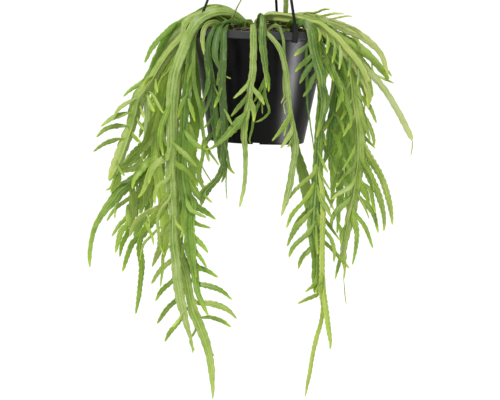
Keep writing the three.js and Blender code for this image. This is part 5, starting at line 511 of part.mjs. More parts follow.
// ---------------------------------------------------------------- pot
const FOOT_Z = RIM_Z - POT_H;
function buildPot() {
  const F = FOOT_Z;
  let pot = solid(lathe([
    [0, F + FOOT_H], [47.6, F + FOOT_H], [48.6, F], [51.8, F], [BODY_R_BOTTOM, F + 1],
    [BODY_R_TOP, RIM_Z - RIM_BAND], [RIM_R - 0.5, RIM_Z - RIM_BAND], [RIM_R, RIM_Z - RIM_BAND + 0.8],
    [RIM_R, RIM_Z - 1.2], [RIM_R - 0.8, RIM_Z], [RIM_R - 2.8, RIM_Z], [RIM_R - 3.5, RIM_Z - 0.8],
    [BODY_R_TOP - WALL, RIM_Z - RIM_BAND - 1], [BODY_R_BOTTOM - WALL, F + 9], [48.4, F + FOOT_H + FLOOR_T],
    [0, F + FOOT_H + FLOOR_T]], 48));
  // notches through the foot ring
  for (let i = 0; i < 3; i++) {
    const b = new THREE.BoxGeometry(130, 7, 3.2);
    b.rotateZ((i * 60 + 30) * Math.PI / 180); b.translate(0, 0, F);
    pot = pot.subtract(solid(b));
  }
  // drain holes
  for (let i = 0; i < 6; i++) {
    const c = new THREE.CylinderGeometry(4, 4, 8, 12);
    c.rotateX(Math.PI / 2);
    const a = i * 60 * Math.PI / 180, r = i === 6 ? 0 : 30;
    c.translate(r * Math.cos(a), r * Math.sin(a), F + FOOT_H + FLOOR_T / 2);
    pot = pot.subtract(solid(c));
  }
  return pot;
}

// ---------------------------------------------------------------- soil
const soilZ = (r) => RIM_Z + SOIL_EDGE + SOIL_MOUND * Math.max(0, 1 - (r / 70) ** 2);
function buildSoil() {
  const F = FOOT_Z + FOOT_H + FLOOR_T + GAP;
  const slope = (BODY_R_TOP - BODY_R_BOTTOM) / (POT_H - RIM_BAND - 9);
  const wallR = (z) => BODY_R_BOTTOM - WALL + slope * (z - FOOT_Z - 9) - 0.65;
  const prof = [[0, F], [47.6, F], [BODY_R_BOTTOM - WALL - 0.65, FOOT_Z + 9.2], [wallR(RIM_Z - 14) , RIM_Z - 14], [69.6, soilZ(69.6)]];
  for (const r of [56, 40, 22]) prof.push([r, soilZ(r)]);
  prof.push([0, soilZ(0)]);
  let soil = solid(lathe(prof, 40));
  // a socket for the foot of each stem
  for (const name of Object.keys(STEMS)) {
    const [x, y, z, w, t, bx, by] = STEMS[name].main[0];
    const outline = STEMS[name].kind === 'rib'
      ? [[-w / 2 - GAP, 0.22 * w + GAP], [-w / 2 - GAP, -0.42 * w - GAP], [w / 2 + GAP, -0.42 * w - GAP], [w / 2 + GAP, 0.22 * w + GAP]]
      : SECTIONS.flat(w + 3 * GAP, t + 3 * GAP);
    const s = new THREE.Shape(outline.map(([u, v]) => new THREE.Vector2(u, v)));
    const g = new THREE.ExtrudeGeometry(s, { depth: ROOT_DEPTH + 8, steps: 1, bevelEnabled: false });
    g.rotateZ(Math.atan2(by, bx)); g.translate(x, y, z - GAP);
    soil = soil.subtract(solid(g));
  }
  return soil;
}

// ---------------------------------------------------------------- hanger
// an arm: a clip that straddles the rim, and a strip from the clip to the hub
function buildArm(azimuth, grow = 0) {
  const a = azimuth * Math.PI / 180;
  const z0 = RIM_Z + 6.6, r0 = RIM_R + 0.6, z1 = HUB_Z - 3.0, r1 = 3.7;
  const from = new THREE.Vector3(r0, 0, z0), to = new THREE.Vector3(r1, 0, z1);
  const len = from.distanceTo(to);
  const w = ARM_W + 2 * grow, t = ARM_T + 2 * grow;
  const strip = new THREE.BoxGeometry(t, w, len + 2 * grow);
  strip.translate(0, 0, len / 2);
  strip.rotateY(Math.atan2(to.x - from.x, to.z - from.z));
  strip.translate(from.x, 0, from.z);
  strip.rotateZ(a);
  const rod = solid(strip);
  if (grow) return rod;
  const R = RIM_R;
  const clip = new THREE.Shape([
    [R + 2.1, -11.4], [R + 2.1, 3.2], [R + 1.4, 9.0], [R - 0.2, 9.0], [R - 1.2, 2.8], [R - 5.4, 2.8], [R - 5.6, -3.2], [R - 4.1, -3.2],
    [R - 3.95, 0.5], [R + 0.45, 0.5], [R + 0.45, -RIM_BAND - 0.4], [R - 1.6, -RIM_BAND - 0.4], [R - 1.2, -11.2]].map(([x, z]) => new THREE.Vector2(x, z)));
  const g = new THREE.ExtrudeGeometry(clip, { depth: CLIP_W, steps: 1, bevelEnabled: false });
  g.rotateX(Math.PI / 2); g.translate(0, CLIP_W / 2, RIM_Z); g.rotateZ(a);
  return rod.add(solid(g));
}
function buildHook() {
  const hub = lathe([[0, HUB_Z - 8], [5.5, HUB_Z - 8], [8.2, HUB_Z - 6], [8.2, HUB_Z - 1], [6, HUB_Z + 2], [3.4, HUB_Z + 5], [0, HUB_Z + 5]], 20);
  let s = solid(hub);
  for (const az of Object.values(ARM_AZ)) s = s.subtract(buildArm(az, GAP));
  const path = new THREE.CatmullRomCurve3([[0, 0, HUB_Z + 1], [0, 0, -42], [1.2, 0, -37], [5.6, 0, -31], [11.6, 0, -23], [14.6, 0, -13.5], [12.8, 0, -4.6], [7.2, 0, 0.9], [0, 0, 2.6],
    [-7.2, 0, 0.9], [-12.6, 0, -4.6], [-14.6, 0, -12], [-14.0, 0, -18.5]].map((p) => new THREE.Vector3(...p)));
  const ring = new THREE.Shape(); ring.absarc(0, 0, HOOK_R, 0, 2 * Math.PI);
  const rod = new THREE.ExtrudeGeometry(ring, { steps: 22, curveSegments: 5, extrudePath: path, bevelEnabled: false });
  return s.add(solid(rod));
}

// ---------------------------------------------------------------- assembly
const plant = new THREE.Group();
function addMesh(name, s, material) {
  const parts = s.decompose().filter((p) => p.volume() > 1);   // drop slivers a join leaves
  if (parts.length === 1) s = parts[0];
  const mesh = new THREE.Mesh(geometry(s), material);
  mesh.name = name; plant.add(mesh);
}
addMesh('pot', buildPot(), M_PLASTIC());
addMesh('soil', buildSoil(), M_SOIL());
addMesh('hanger_hook', buildHook(), M_PLASTIC());
for (const [side, az] of Object.entries(ARM_AZ)) addMesh(`hanger_arm_${side}`, buildArm(az), M_PLASTIC());

for (const [name, stem] of Object.entries(STEMS)) {
  let s = solid(strap(stem.main, stem.kind));
  for (const st of stem.sides) s = s.add(solid(strap(st, 'side')));
  addMesh(name, s, M_GREEN[LIGHT.test(name) ? 'light' : DEEP.test(name) ? 'deep' : 'mid']());
}
export default plant;
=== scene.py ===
# Lepismium bolivianum in a round black hanging pot: the looks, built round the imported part.
# Metres, +Z up, the front of the plant faces -Y, and the origin is the inside top of the hook.
import bpy
import bmesh
import json
import math
import numpy as np
from mathutils import Matrix, Vector, noise


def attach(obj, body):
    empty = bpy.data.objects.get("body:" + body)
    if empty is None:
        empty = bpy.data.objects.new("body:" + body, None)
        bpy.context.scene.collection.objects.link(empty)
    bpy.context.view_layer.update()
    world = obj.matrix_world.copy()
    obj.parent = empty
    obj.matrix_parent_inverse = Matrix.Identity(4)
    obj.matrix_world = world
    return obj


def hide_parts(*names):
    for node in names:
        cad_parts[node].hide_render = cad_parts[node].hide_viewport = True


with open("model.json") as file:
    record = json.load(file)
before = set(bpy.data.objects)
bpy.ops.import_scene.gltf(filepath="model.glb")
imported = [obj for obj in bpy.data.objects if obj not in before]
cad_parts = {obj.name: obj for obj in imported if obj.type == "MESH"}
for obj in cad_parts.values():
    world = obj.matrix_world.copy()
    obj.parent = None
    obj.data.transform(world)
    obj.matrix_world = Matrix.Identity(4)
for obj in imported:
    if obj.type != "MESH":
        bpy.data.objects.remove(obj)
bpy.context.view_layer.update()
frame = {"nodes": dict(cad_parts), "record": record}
MM = 0.001
scene = bpy.context.scene
rng = np.random.default_rng(20417)

# ------------------------------------------------------------------ driving dimensions, as in the part (mm)
RIM_Z, RIM_R, RIM_BAND = -246.0, 75.4, 9.2
BODY_R_TOP, BODY_R_BOTTOM, POT_H, WALL = 72.6, 52.4, 124.0, 2.0
FOOT_H, FLOOR_T = 3.0, 2.5
FOOT_Z = RIM_Z - POT_H
HUB_Z = RIM_Z + 195.0
HOOK_R = 2.6


def soil_z(r):
    return RIM_Z - 5.0 + 9.0 * max(0.0, 1 - (r / 70.0) ** 2)


# ------------------------------------------------------------------ node helpers
def new_material(name):
    m = bpy.data.materials.new(name)
    m.use_nodes = True
    nt = m.node_tree
    nt.nodes.clear()
    out = nt.nodes.new("ShaderNodeOutputMaterial")
    p = nt.nodes.new("ShaderNodeBsdfPrincipled")
    nt.links.new(p.outputs["BSDF"], out.inputs["Surface"])
    return m, nt, p


class Tree:
    """Short calls for the few kinds of node used here."""

    def __init__(self, nt):
        self.nt = nt

    def put(self, value, socket):
        if hasattr(value, "is_output"):
            self.nt.links.new(value, socket)
        else:
            socket.default_value = value

    def noise(self, vector, scale, detail=3.0, rough=0.55, dims="3D"):
        n = self.nt.nodes.new("ShaderNodeTexNoise")
        n.noise_dimensions = dims
        self.put(vector, n.inputs["Vector"])
        n.inputs["Scale"].default_value = scale
        n.inputs["Detail"].default_value = detail
        n.inputs["Roughness"].default_value = rough
        return n.outputs["Fac"]

    def voronoi(self, vector, scale, feature="F1", out="Distance"):
        n = self.nt.nodes.new("ShaderNodeTexVoronoi")
        n.feature = feature
        self.put(vector, n.inputs["Vector"])
        n.inputs["Scale"].default_value = scale
        return n.outputs[out]

    def math(self, op, a, b=0.0, c=None, clamp=False):
        n = self.nt.nodes.new("ShaderNodeMath")
        n.operation = op
        n.use_clamp = clamp
        self.put(a, n.inputs[0])
        self.put(b, n.inputs[1])
        if c is not None:
            self.put(c, n.inputs[2])
        return n.outputs[0]

    def remap(self, value, a, b, c=0.0, d=1.0, smooth=False):
        n = self.nt.nodes.new("ShaderNodeMapRange")
        n.interpolation_type = "SMOOTHSTEP" if smooth else "LINEAR"
        self.put(value, n.inputs["Value"])
        for k, x in zip(("From Min", "From Max", "To Min", "To Max"), (a, b, c, d)):
            n.inputs[k].default_value = x
        return n.outputs["Result"]

    def mix(self, fac, a, b, blend="MIX"):
        n = self.nt.nodes.new("ShaderNodeMix")
        n.data_type = "RGBA"
        n.blend_type = blend
        n.clamp_factor = True
        self.put(fac, n.inputs[0])
        self.put(a if hasattr(a, "is_output") else (*a, 1.0), n.inputs[6])
        self.put(b if hasattr(b, "is_output") else (*b, 1.0), n.inputs[7])
        return n.outputs[2]

    def attribute(self, name, out="Fac"):
        n = self.nt.nodes.new("ShaderNodeAttribute")
        n.attribute_name = name
        return n.outputs[out]

    def split(self, vector):
        n = self.nt.nodes.new("ShaderNodeSeparateXYZ")
        self.put(vector, n.inputs[0])
        return n.outputs

    def join(self, x, y, z):
        n = self.nt.nodes.new("ShaderNodeCombineXYZ")
        for v, s in zip((x, y, z), n.inputs):
            self.put(v, s)
        return n.outputs[0]

    def place(self):
        return self.nt.nodes.new("ShaderNodeTexCoord").outputs["Object"]

    def bump(self, height, strength, distance, normal=None):
        n = self.nt.nodes.new("ShaderNodeBump")
        n.inputs["Strength"].default_value = strength
        n.inputs["Distance"].default_value = distance
        self.put(height, n.inputs["Height"])
        if normal is not None:
            self.put(normal, n.inputs["Normal"])
        return n.outputs[0]


# ------------------------------------------------------------------ materials
def plastic(name, base=0.0075, rough=0.34, dust=0.0, spec=0.3, band=None):
    """Moulded black plastic: satin, with a fine grain, faint flow marks and some dust; above the height band a paler
    grey is painted on, a painted highlight for the light the rim band catches.
    """
    m, nt, p = new_material(name)
    t = Tree(nt)
    at = t.place()
    grain = t.noise(at, 900.0, 2.0)
    flow = t.noise(at, 26.0, 3.0, 0.6)
    x, y, z = t.split(at)
    dark = (base * 0.90, base * 0.88, base)
    pale = (base * 1.6, base * 1.5, base * 1.75)
    colour = t.mix(t.remap(flow, 0.3, 0.75), dark, pale)
    if band is not None:
        # painted highlight: the rim band above this height is painted a paler grey in place of the light that falls on
        # it
        painted_rim_highlight = t.math("MULTIPLY", t.remap(z, band - 0.0004, band + 0.0006), t.remap(flow, 0.2, 0.8, 0.75, 1.0))
        colour = t.mix(painted_rim_highlight, colour, (0.047, 0.047, 0.049))
    speck = t.remap(t.noise(at, 420.0, 4.0, 0.7), 0.62, 0.78)
    up = t.split(nt.nodes.new("ShaderNodeNewGeometry").outputs["Normal"])[2]
    lie = t.math("MULTIPLY", t.remap(up, -0.1, 0.9, 0.12, 1.0), speck)
    colour = t.mix(t.math("MULTIPLY", lie, dust), colour, (0.085, 0.075, 0.06))
    t.put(colour, p.inputs["Base Color"])
    t.put(t.remap(t.math("ADD", t.math("MULTIPLY", flow, 0.7), t.math("MULTIPLY", grain, 0.3)), 0.3, 0.7, rough - 0.04, rough + 0.07), p.inputs["Roughness"])
    p.inputs["Specular IOR Level"].default_value = spec
    t.put(t.bump(grain, 0.08, 0.0002, t.bump(flow, 0.05, 0.0008)), p.inputs["Normal"])
    return m


def stem_skin(name, deep, mid, pale, young):
    """Living skin with a wax coat. 'growth' holds (youth towards the tip, tone of this stem, the grey wax coat, or
    below zero a lusher green that is painted shade colour for stems in shade), 'lay' holds (along, across, chance).
    """
    m, nt, p = new_material(name)
    t = Tree(nt)
    at = t.place()
    youth, tone, bloom_and_shade_green = t.split(t.attribute("growth", "Vector"))
    along, across, chance = t.split(t.attribute("lay", "Vector"))
    edge = t.math("ABSOLUTE", across)
    # long veins that run with the stem, and soft blotches
    vein = t.noise(t.join(t.math("MULTIPLY", along, 0.35), t.math("MULTIPLY", across, 3.2), chance), 1.0, 3.0, 0.6)
    blotch = t.noise(at, 70.0, 4.0, 0.6)
    fine = t.noise(at, 650.0, 3.0, 0.6)
    level = t.math("ADD", tone, t.remap(vein, 0.25, 0.75, -0.26, 0.26))
    level = t.math("ADD", level, t.remap(blotch, 0.3, 0.7, -0.14, 0.14))
    level = t.math("ADD", level, t.remap(fine, 0.3, 0.7, -0.10, 0.10))
    # painted light and shade: the midrib is painted lighter and the margins lighter still (painted highlights), and the
    # strips either side of the midrib darker (painted shade of the fold)
    rib = t.remap(edge, 0.0, 0.15, 1.0, 0.0, True)
    groove_painted_shade = t.math("MULTIPLY", t.remap(edge, 0.10, 0.26, 0.0, 1.0, True), t.remap(edge, 0.26, 0.5, 1.0, 0.0, True))
    level = t.math("ADD", level, t.math("MULTIPLY", rib, 0.24))
    level = t.math("SUBTRACT", level, t.math("MULTIPLY", groove_painted_shade, 0.16))
    margin_painted_highlight = t.remap(edge, 0.84, 1.0, 0.0, 1.0, True)
    level = t.math("ADD", level, t.math("MULTIPLY", margin_painted_highlight, 0.30))
    low = t.mix(t.remap(level, 0.0, 0.5), deep, mid)
    colour = t.mix(t.remap(level, 0.45, 1.1), low, pale)
    colour = t.mix(t.math("MULTIPLY", t.math("POWER", youth, 1.5), 0.8, clamp=True), colour, young)
    notch = t.attribute("notch")
    colour = t.mix(t.math("MULTIPLY", notch, 0.55), colour, (0.30, 0.25, 0.09))
    own = t.math("FRACT", t.math("MULTIPLY", chance, 0.731))
    fresh = t.mix(1.0, colour, (0.90, 1.02, 0.44), blend="MULTIPLY")
    colour = t.mix(t.math("MULTIPLY", own, 0.95), colour, fresh)
    haze = t.math("MULTIPLY", bloom_and_shade_green, t.remap(level, 0.2, 0.95, 0.1, 1.0))
    colour = t.mix(t.math("MULTIPLY", haze, t.remap(blotch, 0.3, 0.7, 0.14, 0.26)), colour, (0.345, 0.39, 0.26))
    # painted shade colour: below zero, the third growth channel mixes in a lusher green in place of the saturated shade
    # of stems at the back
    painted_shade_green = t.mix(1.0, colour, (0.83, 1.04, 0.80), blend="MULTIPLY")
    colour = t.mix(t.math("MULTIPLY", bloom_and_shade_green, -1.0, clamp=True), colour, painted_shade_green)
    t.put(colour, p.inputs["Base Color"])
    t.put(t.remap(blotch, 0.3, 0.75, 0.42, 0.58), p.inputs["Roughness"])
    p.inputs["Specular IOR Level"].default_value = 0.38
    p.inputs["Sheen Weight"].default_value = 0.0
    t.put(t.bump(fine, 0.12, 0.00025, t.bump(vein, 0.16, 0.0005)), p.inputs["Normal"])
    return m


def earth(name):
    """Potting mix: peat, bark crumbs and a few pale bits."""
    m, nt, p = new_material(name)
    t = Tree(nt)
    at = t.place()
    big = t.noise(at, 160.0, 5.0, 0.65)
    cell = t.voronoi(at, 520.0, out="Color")
    crumbs = t.split(cell)[0]
    colour = t.mix(t.remap(big, 0.3, 0.7), (0.007, 0.005, 0.0035), (0.026, 0.017, 0.010))
    colour = t.mix(t.remap(crumbs, 0.80, 0.97), colour, (0.085, 0.058, 0.034))
    colour = t.mix(t.remap(crumbs, 0.97, 0.99), colour, (0.42, 0.38, 0.30))
    t.put(colour, p.inputs["Base Color"])
    t.put(t.remap(big, 0.3, 0.7, 0.82, 0.96), p.inputs["Roughness"])
    p.inputs["Specular IOR Level"].default_value = 0.2
    t.put(t.bump(big, 0.5, 0.0012), p.inputs["Normal"])
    return m


def fibre(name, a, b):
    """Root threads and moss."""
    m, nt, p = new_material(name)
    t = Tree(nt)
    at = t.place()
    n = t.noise(at, 240.0, 3.0)
    t.put(t.mix(t.remap(n, 0.3, 0.7), a, b), p.inputs["Base Color"])
    t.put(t.remap(n, 0.3, 0.7, 0.65, 0.85), p.inputs["Roughness"])
    return m


POT = plastic("black_plastic_pot", base=0.0014, rough=0.30, dust=0.2, spec=0.08, band=(RIM_Z - RIM_BAND + 0.6) * MM)
HANGER = plastic("black_plastic_hanger", base=0.006, rough=0.4, dust=0.15, spec=0.3)
# The deep green skin goes to the stems at the back and the dark ones; its darker, more saturated greens are partly
# their own colour and partly painted shade.
SKIN = {
    "stem_green": stem_skin("skin_green", (0.036, 0.080, 0.0060), (0.151, 0.238, 0.027), (0.366, 0.405, 0.112), (0.44, 0.52, 0.040)),
    "stem_light_green": stem_skin("skin_light_green", (0.045, 0.100, 0.010), (0.198, 0.278, 0.045), (0.396, 0.427, 0.144), (0.47, 0.54, 0.048)),
    "stem_deep_green": stem_skin("skin_deep_green_and_shade", (0.026, 0.062, 0.0045), (0.099, 0.198, 0.016), (0.275, 0.380, 0.072), (0.40, 0.49, 0.032)),
}
SLOT_OF = {r["node"]: r["material_slot"] for r in frame["record"]["subparts"]}


# ------------------------------------------------------------------ mesh helpers
def add_object(name, verts, faces, materials, smooth=True, sharp=None, attributes=(), face_material=None):
    me = bpy.data.meshes.new(name)
    me.from_pydata([tuple(v) for v in verts], [], [tuple(f) for f in faces])
    for m in materials:
        me.materials.append(m)
    if face_material is not None:
        me.polygons.foreach_set("material_index", np.asarray(face_material, np.int32))
    if smooth:
        me.polygons.foreach_set("use_smooth", np.ones(len(me.polygons), bool))
    for key, kind, data in attributes:
        a = me.attributes.new(key, kind, "POINT")
        a.data.foreach_set("vector" if kind == "FLOAT_VECTOR" else "value", np.asarray(data, np.float32).ravel())
    me.update()
    if sharp is not None:
        me.set_sharp_from_angle(angle=math.radians(sharp))
    me.validate()
    o = bpy.data.objects.new(name, me)
    scene.collection.objects.link(o)
    return o


def unit(v):
    return v / (np.linalg.norm(v, axis=-1, keepdims=True) + 1e-12)


def along_curve(P, s, at):
    """Values of a smooth curve through P, known at s, at the lengths at."""
    m = np.zeros_like(P)
    d = (P[1:] - P[:-1]) / (s[1:] - s[:-1])[:, None]
    h = s[1:] - s[:-1]
    m[0], m[-1] = d[0], d[-1]
    if len(P) > 2:
        w = (h[1:] / (h[1:] + h[:-1]))[:, None]
        m[1:-1] = d[:-1] * w + d[1:] * (1 - w)
    k = np.clip(np.searchsorted(s, at, side="right") - 1, 0, len(s) - 2)
    hh = h[k][:, None]
    u = ((at - s[k]) / h[k])[:, None]
    return ((2 * u**3 - 3 * u**2 + 1) * P[k] + (u**3 - 2 * u**2 + u) * hh * m[k] + (-2 * u**3 + 3 * u**2) * P[k + 1] + (u**3 - u**2) * hh * m[k + 1])


def smoothstep(x, a, b):
    u = np.clip((x - a) / (b - a), 0, 1)
    return u * u * (3 - 2 * u)


def wander(seed, s, step):
    """A smooth random line along s, about -1 to 1."""
    g = np.random.default_rng(seed)
    n = int(s[-1] / step) + 4
    v = g.uniform(-1, 1, n)
    return np.interp(s / step + 0.5, np.arange(n), v)
